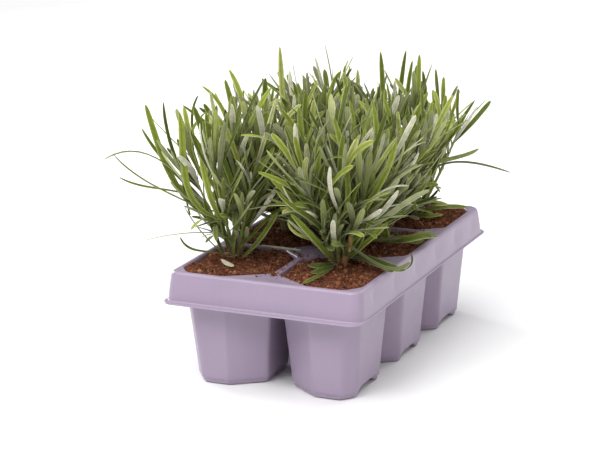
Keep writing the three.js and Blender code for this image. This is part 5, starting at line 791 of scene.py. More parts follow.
  [-799,-659,1600,-812,-651,1633,-825,-644,1666,-837,-637,1699,151,10,-96,26,0,0],
  [-801,-665,1600,-823,-672,1636,-846,-679,1672,-867,-684,1709,201,55,69,47,0,0],
  [-795,-663,1602,-797,-662,1635,-798,-661,1669,-802,-659,1702,178,-100,6,-5,0,0],
  [-799,-659,1600,-817,-645,1641,-835,-631,1681,-853,-619,1722,150,14,-91,38,0,0],
  [-799,-666,1601,-814,-673,1641,-829,-680,1682,-845,-686,1723,162,2,98,18,0,0],
  [-795,-661,1602,-797,-654,1650,-799,-647,1698,-804,-640,1746,194,-95,-30,1,0,0],
  [-581,-689,1087,-683,-511,1129,-750,-315,1082,-780,-136,972,342,-26,-35,90,16,0],
  [-602,-688,1139,-617,-658,1313,-638,-652,1490,-651,-589,1656,373,-97,-25,-2,-7,0],
  [-658,-678,1252,-735,-542,1404,-806,-416,1569,-859,-252,1705,432,-22,-77,60,-20,0],
  [-688,-677,1328,-636,-681,1541,-594,-688,1759,-460,-736,1929,486,-96,11,25,26,0],
  [-723,-674,1409,-703,-709,1533,-702,-694,1664,-596,-667,1739,313,-85,45,28,2,0],
  [-725,-669,1408,-753,-534,1529,-772,-393,1648,-818,-219,1692,335,-38,-65,66,11,0],
 ]),
 ('shoot_front_left_6', 'front_left', [-483,-735,920,-556,-791,1096,-610,-832,1246,-663,-872,1421], [
  [-609,-831,1252,-765,-931,1479,-979,-1029,1788,-1194,-1261,1625,276,54,-4,84,15,1],
  [-605,-828,1240,-789,-868,1390,-1013,-996,1335,-1196,-1053,1451,294,32,5,95,-19,1],
  [-564,-797,1127,-805,-1014,1305,-909,-951,1659,-1046,-893,1960,478,64,-71,29,-20,1],
  [-574,-804,1152,-798,-830,1378,-939,-802,1642,-995,-718,1946,368,86,-19,48,-4,1],
  [-587,-815,1190,-740,-864,1395,-946,-914,1569,-1099,-865,1778,350,66,-54,53,20,1],
  [-656,-867,1399,-724,-841,1500,-784,-825,1602,-840,-818,1709,452,14,-35,93,27,1],
  [-641,-855,1349,-746,-906,1469,-834,-953,1597,-906,-996,1736,470,-33,28,90,0,1],
  [-731,-865,1165,-821,-839,1400,-840,-759,1638,-876,-692,1875,500,98,0,20,0,0,80,0],
  [-504,-794,870,-499,-890,999,-567,-896,1152,-615,-863,1295,400,92,-34,19,0,0,38,20],
  [-513,-806,880,-621,-837,913,-775,-843,857,-841,-824,979,190,24,-72,65,0,0,25,20],
  [-498,-750,960,-505,-868,1066,-485,-1025,1096,-445,-1179,1072,442,-57,56,61,-24,0],
  [-501,-745,960,-561,-689,970,-623,-636,996,-688,-593,960,353,-24,-40,88,-2,0],
  [-525,-766,1029,-518,-742,1136,-538,-709,1241,-524,-650,1334,308,-65,-72,23,46,0],
  [-528,-771,1027,-571,-843,1066,-619,-880,1140,-657,-909,1221,325,-1,46,89,-2,0],
  [-551,-791,1094,-505,-937,1139,-425,-1077,1161,-348,-1208,1102,379,-49,10,86,-2,0],
  [-552,-785,1095,-567,-664,1180,-597,-542,1264,-585,-415,1344,427,-33,-56,76,10,0],
  [-510,-752,981,-668,-612,1059,-815,-442,1100,-927,-277,990,408,-9,-56,82,-19,0],
  [-570,-804,1141,-609,-908,1187,-640,-998,1264,-649,-1113,1304,344,-16,43,89,8,0],
  [-600,-825,1220,-697,-909,1340,-755,-950,1502,-801,-989,1668,379,46,49,74,18,0],
  [-649,-865,1382,-666,-903,1483,-688,-951,1578,-720,-1035,1641,422,-74,66,16,-10,0],
  [-654,-862,1381,-732,-877,1472,-788,-903,1577,-863,-934,1667,308,74,-27,62,-20,0],
  [-662,-867,1416,-675,-870,1457,-688,-872,1497,-701,-876,1538,190,13,-99,-1,0,0],
  [-663,-874,1415,-677,-888,1442,-690,-902,1469,-703,-915,1497,178,39,72,57,0,0],
  [-658,-871,1417,-662,-877,1448,-665,-883,1480,-670,-890,1511,223,-98,-11,-14,0,0],
  [-662,-867,1416,-675,-862,1449,-687,-856,1482,-699,-853,1516,182,11,-97,21,0,0],
  [-661,-874,1415,-669,-892,1444,-676,-909,1472,-685,-925,1502,221,-22,86,46,0,0],
  [-658,-869,1417,-657,-871,1443,-655,-872,1469,-655,-875,1494,184,-90,-43,3,0,0],
  [-510,-752,979,-657,-745,1092,-769,-720,1239,-920,-656,1329,362,49,-53,69,16,0],
  [-537,-780,1058,-554,-916,1203,-531,-1112,1236,-491,-1304,1194,506,-55,63,55,-25,0],
  [-540,-775,1058,-662,-731,1192,-812,-653,1274,-942,-517,1280,367,30,-78,55,-19,0],
  [-566,-800,1140,-506,-838,1326,-457,-901,1510,-421,-955,1700,389,-94,-18,28,1,0],
  [-601,-827,1226,-682,-930,1363,-768,-1004,1516,-827,-1081,1679,352,21,71,68,0,0],
  [-623,-844,1304,-606,-896,1500,-569,-944,1695,-462,-972,1867,335,-99,2,10,20,0],
  [-653,-866,1383,-697,-928,1453,-734,-977,1539,-746,-1015,1637,335,19,66,73,-28,0],
 ]),
 ('shoot_front_left_7', 'front_left', [-448,-752,920,-443,-883,1153,-440,-966,1359,-437,-1030,1603], [
  [-444,-860,1129,-677,-959,1317,-965,-1145,1414,-1172,-1171,1656,331,52,19,83,-6,1],
  [-443,-876,1163,-734,-1111,1242,-702,-934,1637,-771,-896,1921,497,58,-78,23,-5,1],
  [-442,-898,1215,-588,-855,1425,-889,-859,1681,-663,-696,1892,368,-28,-94,19,-11,1],
  [-445,-818,1043,-537,-1067,1123,-806,-1141,1102,-991,-1315,1032,294,-3,1,100,16,1],
  [-444,-860,1129,-447,-1079,1261,-518,-1017,1479,-568,-989,1686,442,65,-76,-3,-2,1],
  [-437,-1025,1582,-411,-1028,1682,-379,-1026,1777,-343,-1019,1869,396,-11,-95,-29,5,1],
  [-437,-1026,1588,-457,-1067,1683,-469,-1101,1777,-472,-1131,1874,356,81,45,-38,12,1],
  [-417,-806,860,-434,-815,995,-371,-798,1122,-359,-739,1243,400,-39,-89,22,0,0,62,10],
  [-486,-796,865,-566,-890,986,-712,-848,1085,-787,-848,1230,380,68,40,62,0,0,45,20],
  [-494,-862,856,-445,-900,856,-407,-960,862,-341,-963,852,340,-28,-47,84,0,0,145,100],
  [-464,-806,900,-447,-897,1045,-449,-900,1222,-529,-870,1370,380,96,-26,10,0,0,30,10],
  [-445,-783,972,-403,-852,1016,-371,-897,1090,-329,-926,1168,309,-54,17,83,12,0],
  [-447,-779,975,-448,-693,1084,-435,-629,1210,-426,-585,1345,465,2,-78,63,11,0],
  [-445,-873,1152,-488,-947,1170,-527,-1028,1170,-563,-1109,1156,297,32,3,95,21,0],
  [-443,-868,1154,-407,-792,1281,-366,-746,1422,-331,-626,1513,418,-13,-83,55,1,0],
  [-446,-790,983,-428,-939,1057,-442,-1083,1145,-442,-1251,1130,348,-12,42,90,9,0],
  [-446,-785,986,-419,-731,1200,-355,-633,1391,-274,-512,1562,325,-10,-96,26,5,0],
  [-441,-867,1149,-353,-850,1311,-309,-828,1492,-175,-720,1566,419,-54,-75,38,-38,0],
  [-440,-906,1227,-384,-1029,1330,-335,-1167,1419,-230,-1302,1434,508,-49,40,77,-29,0],
  [-444,-902,1229,-473,-905,1346,-503,-898,1465,-518,-885,1585,426,53,-84,13,15,0],
  [-438,-935,1310,-342,-938,1444,-283,-945,1599,-188,-976,1733,391,-68,-54,50,3,0],
  [-441,-964,1392,-491,-935,1551,-533,-908,1714,-561,-939,1880,457,45,-83,31,37,0],
  [-442,-993,1475,-507,-1029,1592,-565,-1056,1717,-581,-1097,1851,424,88,-15,46,1,0],
  [-436,-993,1475,-365,-1049,1681,-320,-1070,1901,-269,-1068,2121,464,-94,-20,28,-7,0],
  [-437,-1021,1560,-419,-1091,1639,-415,-1142,1735,-388,-1174,1836,327,-29,67,69,1,0],
  [-439,-1016,1561,-451,-1026,1716,-439,-1021,1872,-411,-1019,2025,361,40,-92,-1,-6,0],
  [-438,-1025,1597,-443,-1022,1645,-448,-1018,1693,-451,-1018,1741,217,31,-95,9,0,0],
  [-440,-1030,1595,-446,-1043,1627,-452,-1056,1658,-456,-1069,1690,227,79,50,36,0,0],
  [-434,-1029,1595,-422,-1042,1637,-411,-1055,1679,-402,-1068,1721,180,-95,10,29,0,0],
  [-439,-1025,1596,-447,-1026,1645,-456,-1026,1693,-462,-1029,1741,164,57,-81,9,0,0],
  [-438,-1031,1595,-444,-1058,1634,-449,-1084,1672,-453,-1108,1713,201,34,76,56,0,0],
  [-434,-1026,1596,-429,-1034,1633,-424,-1041,1670,-420,-1048,1707,208,-86,-50,2,0,0],
  [-442,-829,1061,-296,-959,1166,-183,-1096,1304,-49,-1227,1426,342,-61,-6,79,-3,0],
  [-440,-875,1164,-388,-923,1309,-319,-957,1452,-222,-1021,1565,434,-89,-40,21,18,0],
  [-440,-900,1214,-394,-990,1339,-352,-1077,1470,-290,-1196,1561,326,-74,38,56,20,0],
  [-438,-936,1311,-309,-933,1454,-237,-910,1634,-196,-896,1825,478,-62,-51,59,-7,0],
  [-437,-974,1410,-378,-1074,1578,-326,-1145,1764,-262,-1191,1954,468,-75,40,52,-11,0],
  [-441,-971,1411,-535,-898,1585,-589,-878,1789,-640,-933,1988,466,41,-73,54,8,0],
  [-440,-994,1467,-469,-1092,1621,-467,-1183,1783,-422,-1257,1947,494,52,66,54,-24,0],
  [-437,-989,1468,-391,-992,1647,-305,-962,1808,-230,-978,1977,321,-60,-79,16,3,0],
  [-435,-1023,1570,-395,-1107,1721,-334,-1172,1875,-316,-1221,2045,377,-64,57,51,-21,0],
  [-439,-1019,1571,-474,-1006,1697,-492,-1004,1829,-498,-1014,1961,365,55,-79,26,-6,0],
 ]),
 ('shoot_front_left_8', 'front_left', [-416,-735,920,-342,-789,1113,-287,-830,1278,-233,-869,1469], [
  [-315,-809,1202,-290,-749,1528,-428,-673,1823,-544,-617,2121,497,48,-83,29,-21,1],
  [-373,-767,1036,-249,-870,1322,-154,-591,1536,-168,-510,1831,405,67,-74,7,-20,1],
  [-343,-789,1120,-273,-975,1308,-390,-892,1539,-503,-896,1743,423,70,-71,6,12,1],
  [-243,-862,1436,-229,-921,1551,-217,-980,1663,-205,-1041,1775,380,76,48,-44,28,1],
  [-238,-865,1450,-173,-856,1539,-113,-850,1628,-56,-848,1720,434,-50,-86,14,-3,1],
  [-261,-849,1372,-150,-898,1489,-45,-945,1605,58,-992,1725,452,-80,-11,59,20,1],
  [-296,-823,1260,-208,-771,1398,-125,-727,1534,-43,-687,1673,360,-19,-91,38,-24,1],
  [-368,-760,860,-251,-782,957,-178,-740,1083,-125,-667,1202,460,-29,-85,44,0,0,50,20],
  [-391,-759,925,-316,-662,1013,-279,-558,1125,-179,-449,1172,260,32,-71,62,0,0,70,60],
  [-420,-734,900,-335,-766,1033,-313,-721,1186,-258,-648,1311,360,-26,-92,29,0,0,42,20],
  [-399,-750,963,-359,-859,1051,-303,-978,1120,-247,-1109,1161,338,20,65,73,8,0],
  [-374,-766,1040,-408,-736,1214,-544,-742,1335,-694,-694,1426,484,76,-59,26,5,0],
  [-347,-789,1111,-368,-911,1174,-356,-1023,1260,-335,-1163,1271,449,50,32,81,-17,0],
  [-345,-784,1112,-295,-621,1156,-198,-491,1233,-149,-318,1233,330,29,-33,90,-30,0],
  [-330,-802,1163,-337,-910,1340,-290,-1063,1474,-260,-1253,1555,487,77,52,36,-5,0],
  [-298,-824,1249,-244,-939,1329,-168,-1036,1418,-70,-1141,1471,322,4,57,82,-52,0],
  [-301,-819,1251,-349,-752,1396,-415,-674,1531,-503,-547,1602,325,62,-61,50,0,0],
  [-275,-841,1338,-310,-882,1539,-324,-915,1745,-432,-956,1919,449,98,-7,17,-47,0],
  [-269,-840,1336,-148,-863,1462,-31,-901,1589,134,-898,1653,356,-71,-22,67,-6,0],
  [-246,-863,1426,-223,-954,1530,-223,-1048,1637,-188,-1176,1686,363,28,74,61,-6,0],
  [-245,-857,1427,-188,-840,1629,-133,-765,1819,-120,-681,2012,351,5,-100,9,45,0],
  [-235,-864,1464,-227,-858,1508,-218,-852,1552,-209,-849,1596,195,26,-96,8,0,0],
  [-237,-871,1463,-234,-891,1503,-232,-911,1542,-228,-930,1583,172,64,70,32,0,0],
  [-231,-867,1462,-208,-875,1500,-184,-882,1538,-163,-889,1577,216,-85,-15,50,0,0],
  [-236,-865,1464,-231,-862,1500,-226,-859,1536,-220,-858,1571,193,46,-89,1,0,0],
  [-235,-871,1463,-228,-884,1489,-221,-897,1515,-214,-909,1542,198,17,90,40,0,0],
  [-231,-867,1463,-215,-872,1494,-199,-877,1526,-184,-882,1559,211,-87,-29,40,0,0],
  [-329,-802,1161,-302,-920,1242,-242,-1023,1328,-241,-1121,1438,369,27,57,77,16,0],
  [-301,-819,1235,-126,-910,1296,56,-976,1378,262,-1009,1354,502,-29,7,96,20,0],
  [-276,-841,1324,-254,-928,1402,-241,-996,1502,-185,-1087,1558,318,24,67,70,-15,0],
  [-241,-862,1430,-176,-903,1565,-116,-952,1700,34,-995,1706,445,-79,35,51,3,0],
 ]),
 ('shoot_front_right_1', 'front_right', [330,-660,920,332,-655,1200,329,-661,1433,322,-682,1696], [
  [323,-678,1648,361,-671,1755,403,-661,1856,450,-649,1955,356,-92,4,38,8,1],
  [322,-681,1680,268,-721,1778,223,-755,1880,185,-786,1985,376,76,-16,63,-12,1],
  [326,-670,1524,291,-597,1689,252,-512,1840,207,-413,1981,454,-10,-85,51,-25,1],
  [326,-671,1543,331,-724,1700,335,-771,1853,338,-813,2008,377,-34,82,46,-20,1],
  [328,-664,1403,411,-664,1554,499,-663,1696,594,-661,1833,396,-78,-24,58,18,1],
  [312,-663,860,376,-862,941,305,-1009,1151,145,-1028,1298,460,93,-36,5,0,0,48,20],
  [328,-662,949,252,-751,968,169,-794,1046,131,-818,1159,414,9,12,99,-16,0],
  [331,-657,949,358,-564,1011,392,-492,1098,424,-474,1209,418,-15,-51,85,2,0],
  [333,-660,990,432,-716,1128,537,-783,1258,643,-878,1369,367,-66,39,65,-6,0],
  [328,-657,990,247,-586,1089,175,-526,1204,98,-502,1328,389,51,-42,75,-9,0],
  [330,-661,1031,313,-713,1114,301,-759,1202,302,-792,1297,376,25,78,57,-29,0],
  [332,-656,1031,360,-580,1105,384,-528,1200,456,-462,1256,338,-23,-62,75,-26,0],
  [332,-661,1071,367,-723,1165,446,-775,1240,511,-874,1223,456,-38,69,62,-36,0],
  [328,-657,1071,252,-614,1195,214,-585,1340,216,-554,1490,468,71,-39,59,21,0],
  [328,-660,1111,236,-748,1179,172,-803,1300,139,-858,1432,323,34,32,89,-15,0],
  [332,-656,1111,365,-609,1201,409,-577,1296,475,-534,1371,423,-48,-68,55,-46,0],
  [333,-660,1150,424,-702,1241,520,-762,1319,596,-846,1397,426,-61,27,75,15,0],
  [328,-659,1150,242,-669,1273,108,-680,1342,-43,-685,1358,383,81,8,58,4,0],
  [328,-661,1188,277,-716,1271,221,-790,1337,164,-875,1388,352,50,53,69,13,0],
  [332,-656,1189,434,-526,1230,531,-387,1267,647,-269,1317,312,-14,-19,97,8,0],
  [333,-660,1227,481,-717,1291,602,-758,1408,769,-804,1402,501,-35,11,93,-36,0],
  [328,-657,1227,281,-608,1341,242,-575,1465,212,-567,1596,395,56,-63,53,37,0],
  [330,-656,1043,313,-539,1192,350,-388,1305,421,-242,1408,317,12,-77,63,8,0],
  [330,-656,1170,331,-612,1262,324,-553,1347,286,-458,1360,316,-1,-89,45,64,0],
  [327,-658,1232,221,-616,1326,139,-570,1444,89,-519,1577,411,57,-25,78,13,0],
  [333,-659,1232,389,-651,1414,455,-659,1593,588,-645,1729,394,-93,-18,31,-1,0],
  [329,-664,1294,322,-730,1368,303,-774,1459,294,-796,1558,402,7,73,68,-5,0],
  [329,-658,1294,305,-564,1448,281,-526,1627,246,-524,1808,371,18,-82,54,1,0],
  [326,-662,1355,226,-642,1480,169,-638,1632,61,-590,1745,353,74,-20,64,-37,0],
  [326,-667,1416,273,-745,1518,224,-823,1625,146,-884,1726,376,43,59,69,21,0],
  [330,-663,1416,426,-567,1559,530,-493,1711,675,-459,1843,398,-49,-53,69,19,0],
  [324,-669,1477,234,-723,1587,143,-776,1701,95,-828,1839,341,64,32,70,0,0],
  [330,-668,1477,436,-694,1611,541,-704,1750,643,-741,1886,316,-76,10,64,-43,0],
  [325,-674,1538,300,-754,1635,273,-839,1731,272,-912,1840,460,22,71,67,-23,0],
  [325,-668,1538,305,-616,1682,311,-559,1827,260,-474,1948,461,24,-89,38,32,0],
  [321,-675,1600,268,-692,1759,219,-672,1920,150,-640,2071,364,93,9,34,25,0],
  [327,-674,1600,394,-666,1748,465,-655,1895,615,-617,1947,427,-87,-25,42,-22,0],
  [323,-682,1663,318,-724,1803,320,-719,1950,309,-681,2091,434,3,95,30,-4,0],
  [324,-677,1663,353,-628,1829,357,-602,2003,388,-520,2157,358,-44,-83,34,-5,0],
  [321,-678,1688,318,-677,1721,315,-676,1753,312,-675,1786,215,46,-88,8,0,0],
  [320,-684,1688,316,-691,1722,312,-699,1756,308,-705,1791,196,57,79,23,0,0],
  [326,-681,1688,330,-683,1715,335,-686,1743,339,-688,1770,222,-99,-2,17,0,0],
  [320,-678,1688,315,-676,1728,311,-674,1768,306,-672,1808,172,55,-83,12,0,0],
  [321,-685,1688,313,-703,1732,305,-721,1777,299,-736,1823,174,38,83,40,0,0],
  [326,-681,1688,335,-681,1716,345,-681,1743,353,-681,1771,205,-92,-21,33,0,0],
  [334,-658,1060,364,-657,1099,413,-651,1115,456,-651,1086,273,-76,-2,65,41,0],
  [332,-663,1291,347,-676,1330,358,-694,1369,380,-714,1404,259,-67,54,51,-5,0],
  [328,-658,1292,258,-541,1419,184,-410,1533,156,-229,1582,404,32,-59,74,-19,0],
  [327,-664,1345,305,-684,1387,288,-707,1431,261,-746,1452,320,60,51,62,3,0],
  [330,-659,1346,342,-607,1431,359,-564,1521,385,-543,1618,409,-20,-81,55,-11,0],
  [325,-664,1404,309,-664,1455,305,-650,1507,318,-627,1554,353,92,-15,35,4,0],
  [326,-672,1497,307,-726,1639,285,-767,1785,305,-872,1896,318,29,87,39,15,0],
  [327,-666,1497,326,-615,1583,323,-577,1676,300,-538,1767,381,-2,-85,53,0,0],
  [328,-672,1533,358,-697,1567,387,-726,1602,417,-764,1626,271,-54,34,77,33,0],
  [323,-669,1533,286,-655,1584,240,-648,1633,174,-636,1632,350,67,-37,64,16,0],
  [324,-672,1601,321,-630,1781,345,-571,1956,360,-523,2135,339,-3,-97,24,25,0],
  [320,-680,1664,235,-692,1793,131,-721,1905,5,-730,1997,508,82,-1,57,37,0],
 ]),
 ('shoot_front_right_2', 'front_right', [372,-665,920,467,-676,1113,520,-682,1284,549,-686,1486], [
  [437,-673,1065,565,-786,1310,714,-608,1495,726,-521,1758,460,54,-84,-4,-21,1],
  [448,-674,1093,666,-643,1152,767,-549,1335,954,-456,1403,423,-51,82,26,-15,1],
  [464,-676,1136,550,-542,1403,596,-423,1700,488,-375,1996,423,69,-69,22,7,1],
  [546,-686,1464,524,-629,1582,510,-584,1702,502,-548,1825,372,-2,-99,13,1,1],
  [534,-684,1398,499,-717,1556,472,-747,1712,453,-773,1870,396,67,48,57,-22,1],
  [547,-686,1474,577,-716,1564,607,-750,1648,641,-790,1729,366,-77,47,43,-20,1],
  [535,-684,1403,604,-644,1539,675,-600,1666,750,-551,1789,387,-29,-45,-85,4,1],
  [844,-679,870,904,-658,898,892,-624,933,861,-586,970,150,32,-72,62,0,0,10,10],
  [406,-704,852,425,-728,898,435,-771,928,447,-813,960,380,76,-29,-58,0,0,190,20],
  [381,-669,940,404,-745,1023,418,-833,1096,417,-949,1106,383,44,71,55,26,0],
  [393,-666,970,337,-598,1071,268,-512,1152,215,-418,1238,407,71,-33,63,7,0],
  [408,-672,997,442,-806,1054,449,-954,1091,480,-1097,1131,363,34,43,84,-33,0],
  [418,-670,1026,281,-636,1122,121,-625,1187,-51,-608,1190,466,56,-9,83,-13,0],
  [434,-669,1053,482,-588,1057,553,-531,1091,619,-469,1128,333,29,-21,93,28,0],
  [445,-675,1080,538,-740,1151,644,-813,1193,733,-903,1146,344,-25,51,82,32,0],
  [441,-672,1082,399,-642,1254,377,-612,1431,357,-580,1608,346,91,-29,29,-17,0],
  [454,-677,1108,515,-792,1226,564,-933,1321,591,-1064,1437,476,13,73,67,22,0],
  [454,-672,1109,458,-564,1171,448,-449,1223,431,-334,1275,377,37,-47,80,-20,0],
  [467,-677,1135,620,-718,1197,759,-768,1287,929,-793,1299,336,-32,15,93,-23,0],
  [462,-674,1137,386,-565,1251,295,-441,1339,198,-299,1383,334,59,-35,73,-9,0],
  [422,-668,1029,472,-530,1130,551,-377,1181,563,-202,1140,499,28,-62,73,-8,0],
  [449,-673,1088,560,-656,1182,688,-638,1254,834,-624,1237,339,-58,-28,76,-4,0],
  [470,-678,1148,604,-791,1239,732,-921,1320,839,-1064,1407,354,-18,47,86,-44,0],
  [468,-673,1149,506,-619,1315,548,-565,1482,577,-477,1635,356,36,-90,23,-5,0],
  [490,-677,1208,576,-624,1257,636,-580,1344,708,-505,1390,308,-23,-41,88,12,0],
  [506,-683,1268,589,-760,1427,652,-835,1597,702,-912,1770,350,-30,78,55,-16,0],
  [503,-678,1269,506,-639,1460,474,-607,1650,384,-522,1802,415,74,-66,14,45,0],
  [517,-683,1330,493,-691,1431,477,-718,1533,439,-794,1597,407,96,9,26,-16,0],
  [523,-683,1328,619,-700,1440,686,-720,1572,791,-774,1663,414,-72,16,67,-10,0],
  [533,-687,1391,546,-774,1538,598,-881,1664,647,-996,1784,435,24,84,49,35,0],
  [533,-681,1391,555,-646,1508,583,-584,1613,596,-543,1731,414,6,-95,30,-20,0],
  [541,-686,1455,487,-703,1593,440,-716,1736,331,-774,1824,435,91,15,39,-37,0],
  [547,-685,1454,591,-686,1544,634,-677,1635,720,-672,1687,355,-89,-5,46,-1,0],
  [548,-682,1480,553,-673,1526,558,-664,1571,564,-657,1617,180,16,-97,18,0,0],
  [546,-688,1480,546,-693,1510,547,-697,1540,549,-701,1569,228,70,71,9,0,0],
  [551,-687,1479,570,-691,1522,589,-695,1565,605,-698,1609,193,-89,22,41,0,0],
  [547,-683,1480,547,-677,1503,547,-672,1526,549,-668,1549,183,46,-87,20,0,0],
  [547,-689,1480,550,-694,1514,553,-698,1548,557,-702,1583,170,42,91,8,0,0],
  [551,-685,1479,573,-680,1524,595,-676,1568,614,-672,1614,221,-83,-33,44,0,0],
  [447,-676,1087,540,-807,1182,623,-937,1291,708,-1067,1397,412,3,59,81,-2,0],
  [473,-676,1152,505,-677,1191,533,-681,1235,566,-688,1274,371,-74,-9,67,1,0],
  [512,-681,1283,631,-696,1384,738,-719,1500,896,-712,1491,428,-63,8,78,-28,0],
  [515,-684,1314,507,-722,1421,521,-743,1534,521,-774,1645,317,70,65,30,22,0],
  [517,-679,1314,546,-621,1431,577,-555,1545,564,-510,1672,340,9,-89,44,22,0],
  [539,-685,1406,617,-702,1557,697,-732,1707,743,-776,1867,359,-84,24,48,-18,0],
  [544,-688,1460,546,-704,1523,554,-711,1588,551,-695,1652,277,51,83,23,-13,0],
  [547,-683,1460,595,-664,1637,651,-661,1813,713,-647,1987,414,-61,-75,26,30,0],
 ]),
 ('shoot_front_right_3', 'front_right', [361,-632,920,469,-537,1119,540,-474,1299,598,-423,1517], [
  [595,-426,1504,601,-422,1609,611,-414,1711,625,-402,1812,414,21,96,18,-3,1],
  [595,-426,1504,667,-368,1588,743,-308,1661,824,-244,1725,459,-58,-10,81,-11,1],
  [558,-458,1379,626,-366,1466,691,-281,1556,754,-200,1651,432,-68,-69,25,-14,1],
  [557,-459,1377,602,-491,1537,645,-524,1693,687,-561,1848,395,30,76,57,-23,1],
  [531,-482,1299,637,-476,1408,750,-478,1505,870,-488,1591,392,-66,71,23,0,1],
  [527,-485,1289,514,-395,1422,510,-311,1554,515,-233,1690,464,93,-35,11,3,1],
  [362,-617,860,444,-750,973,538,-745,1126,641,-654,1250,420,-46,-85,25,0,0,60,20],
  [382,-628,865,481,-742,978,589,-620,1058,674,-550,1168,380,-5,-96,29,0,0,66,20],
  [370,-620,941,283,-477,950,259,-309,966,201,-150,945,324,51,26,82,35,0],
  [385,-607,971,311,-524,1057,206,-445,1113,74,-410,1155,321,79,10,60,-22,0],
  [403,-593,998,457,-440,1048,481,-306,1150,487,-203,1286,361,28,-37,89,12,0],
  [401,-597,1001,413,-625,1181,435,-630,1364,441,-615,1548,455,60,79,10,5,0],
  [415,-581,1029,378,-477,1126,327,-347,1179,256,-218,1197,470,83,-18,53,-23,0],
  [419,-581,1027,533,-473,1076,637,-360,1136,732,-238,1195,354,-19,-22,96,-6,0],
  [431,-567,1057,456,-408,1145,507,-242,1209,537,-60,1234,494,46,-47,75,-17,0],
  [433,-573,1058,513,-613,1172,588,-666,1286,652,-795,1258,362,-5,92,38,0,0],
  [442,-559,1088,409,-535,1240,390,-538,1398,323,-549,1542,315,92,37,16,-31,0],
  [447,-560,1086,574,-577,1167,680,-569,1276,756,-555,1408,431,-33,64,69,-12,0],
  [458,-544,1114,522,-406,1170,597,-309,1279,679,-190,1358,405,14,-41,90,-4,0],
  [459,-549,1116,541,-590,1265,588,-638,1428,641,-736,1564,499,-1,96,28,-17,0],
  [468,-536,1146,436,-502,1298,429,-467,1454,363,-450,1600,443,95,28,16,35,0],
  [473,-535,1143,572,-490,1210,688,-472,1266,809,-439,1297,425,-56,7,82,17,0],
  [411,-586,1013,502,-418,1034,601,-267,1105,713,-123,1172,367,17,-20,97,10,0],
  [460,-544,1116,583,-423,1213,708,-339,1344,805,-272,1505,438,-30,-38,88,0,0],
  [483,-528,1167,594,-518,1244,711,-489,1308,847,-485,1296,324,-52,47,72,7,0],
  [478,-525,1169,422,-422,1308,376,-314,1449,334,-248,1616,416,88,-13,46,17,0],
  [501,-505,1219,535,-444,1300,572,-397,1390,613,-339,1471,372,17,-81,57,42,0],
  [499,-509,1221,496,-492,1325,493,-465,1428,486,-486,1532,358,92,40,-1,-6,0],
  [523,-493,1271,645,-497,1405,764,-531,1539,934,-531,1605,358,-54,65,53,17,0],
  [518,-490,1272,473,-408,1433,429,-362,1611,373,-306,1782,340,93,-12,34,-8,0],
  [537,-475,1325,537,-437,1483,551,-420,1645,606,-426,1799,445,98,18,-3,50,0],
  [542,-476,1323,675,-486,1441,766,-507,1595,797,-533,1771,333,-51,56,65,37,0],
  [556,-456,1377,564,-391,1466,570,-336,1564,567,-290,1666,378,56,-68,47,-8,0],
  [558,-462,1378,613,-507,1513,647,-552,1657,706,-607,1789,311,-1,94,34,1,0],
  [571,-444,1432,527,-399,1599,466,-340,1756,428,-247,1905,339,96,5,26,17,0],
  [577,-445,1431,654,-407,1586,729,-372,1744,799,-326,1902,489,-89,22,41,-44,0],
  [590,-427,1487,622,-358,1589,667,-292,1689,690,-231,1799,318,7,-82,57,-19,0],
  [589,-433,1489,603,-464,1614,620,-501,1739,603,-603,1819,364,35,91,21,7,0],
  [594,-422,1510,596,-408,1534,598,-395,1557,601,-384,1581,199,58,-73,37,0,0],
  [596,-428,1511,604,-434,1544,612,-440,1577,621,-443,1610,175,9,98,16,0,0],
  [600,-425,1510,619,-422,1535,638,-418,1559,655,-414,1585,217,-77,31,56,0,0],
  [595,-421,1510,598,-406,1539,601,-391,1568,606,-377,1598,183,54,-77,35,0,0],
  [596,-428,1511,604,-436,1558,613,-445,1606,622,-450,1653,185,24,96,13,0,0],
  [600,-425,1510,613,-417,1541,626,-410,1572,638,-403,1603,213,-92,9,37,0,0],
  [459,-542,1122,461,-511,1159,459,-473,1190,443,-430,1170,251,74,-50,45,14,0],
  [463,-546,1122,568,-522,1250,673,-549,1379,777,-584,1506,441,-64,64,43,-27,0],
  [477,-527,1159,526,-415,1263,562,-340,1401,632,-239,1506,338,22,-70,68,-12,0],
  [476,-532,1162,493,-528,1231,504,-525,1303,509,-529,1375,362,48,87,-12,14,0],
  [508,-506,1229,539,-496,1265,566,-482,1305,615,-479,1293,294,-72,36,59,-4,0],
  [523,-488,1271,558,-433,1303,597,-381,1339,626,-314,1327,357,-6,-44,90,17,0],
  [520,-493,1274,519,-510,1465,545,-546,1654,566,-556,1847,407,67,74,8,18,0],
  [539,-478,1321,589,-497,1421,651,-516,1515,726,-598,1543,333,-16,94,29,-19,0],
  [537,-473,1320,544,-397,1423,555,-312,1522,567,-201,1588,325,64,-63,45,12,0],
  [562,-457,1381,646,-427,1456,738,-410,1530,822,-377,1608,384,-66,8,75,23,0],
  [576,-446,1435,596,-456,1471,617,-474,1505,639,-493,1538,269,-22,87,43,0,0],
  [573,-442,1435,586,-397,1558,585,-356,1684,603,-294,1799,484,89,-45,9,-13,0],
  [596,-428,1497,698,-400,1592,784,-398,1709,918,-438,1743,467,-68,12,72,-1,0],
 ]),
 ('shoot_front_right_4', 'front_right', [331,-618,920,334,-493,1118,335,-416,1298,336,-363,1513], [
  [336,-386,1427,306,-321,1544,284,-264,1661,269,-213,1783,459,93,9,-36,-24,1],
  [336,-367,1496,367,-320,1590,405,-270,1675,451,-216,1754,399,-84,-28,47,21,1],
  [336,-370,1485,317,-384,1587,301,-392,1688,288,-395,1789,448,75,66,5,26,1],
  [335,-393,1404,389,-387,1559,430,-372,1713,461,-348,1867,438,-49,87,0,-6,1],
  [383,-521,880,543,-579,918,697,-846,936,869,-723,885,660,-26,-60,76,0,0,12,10],
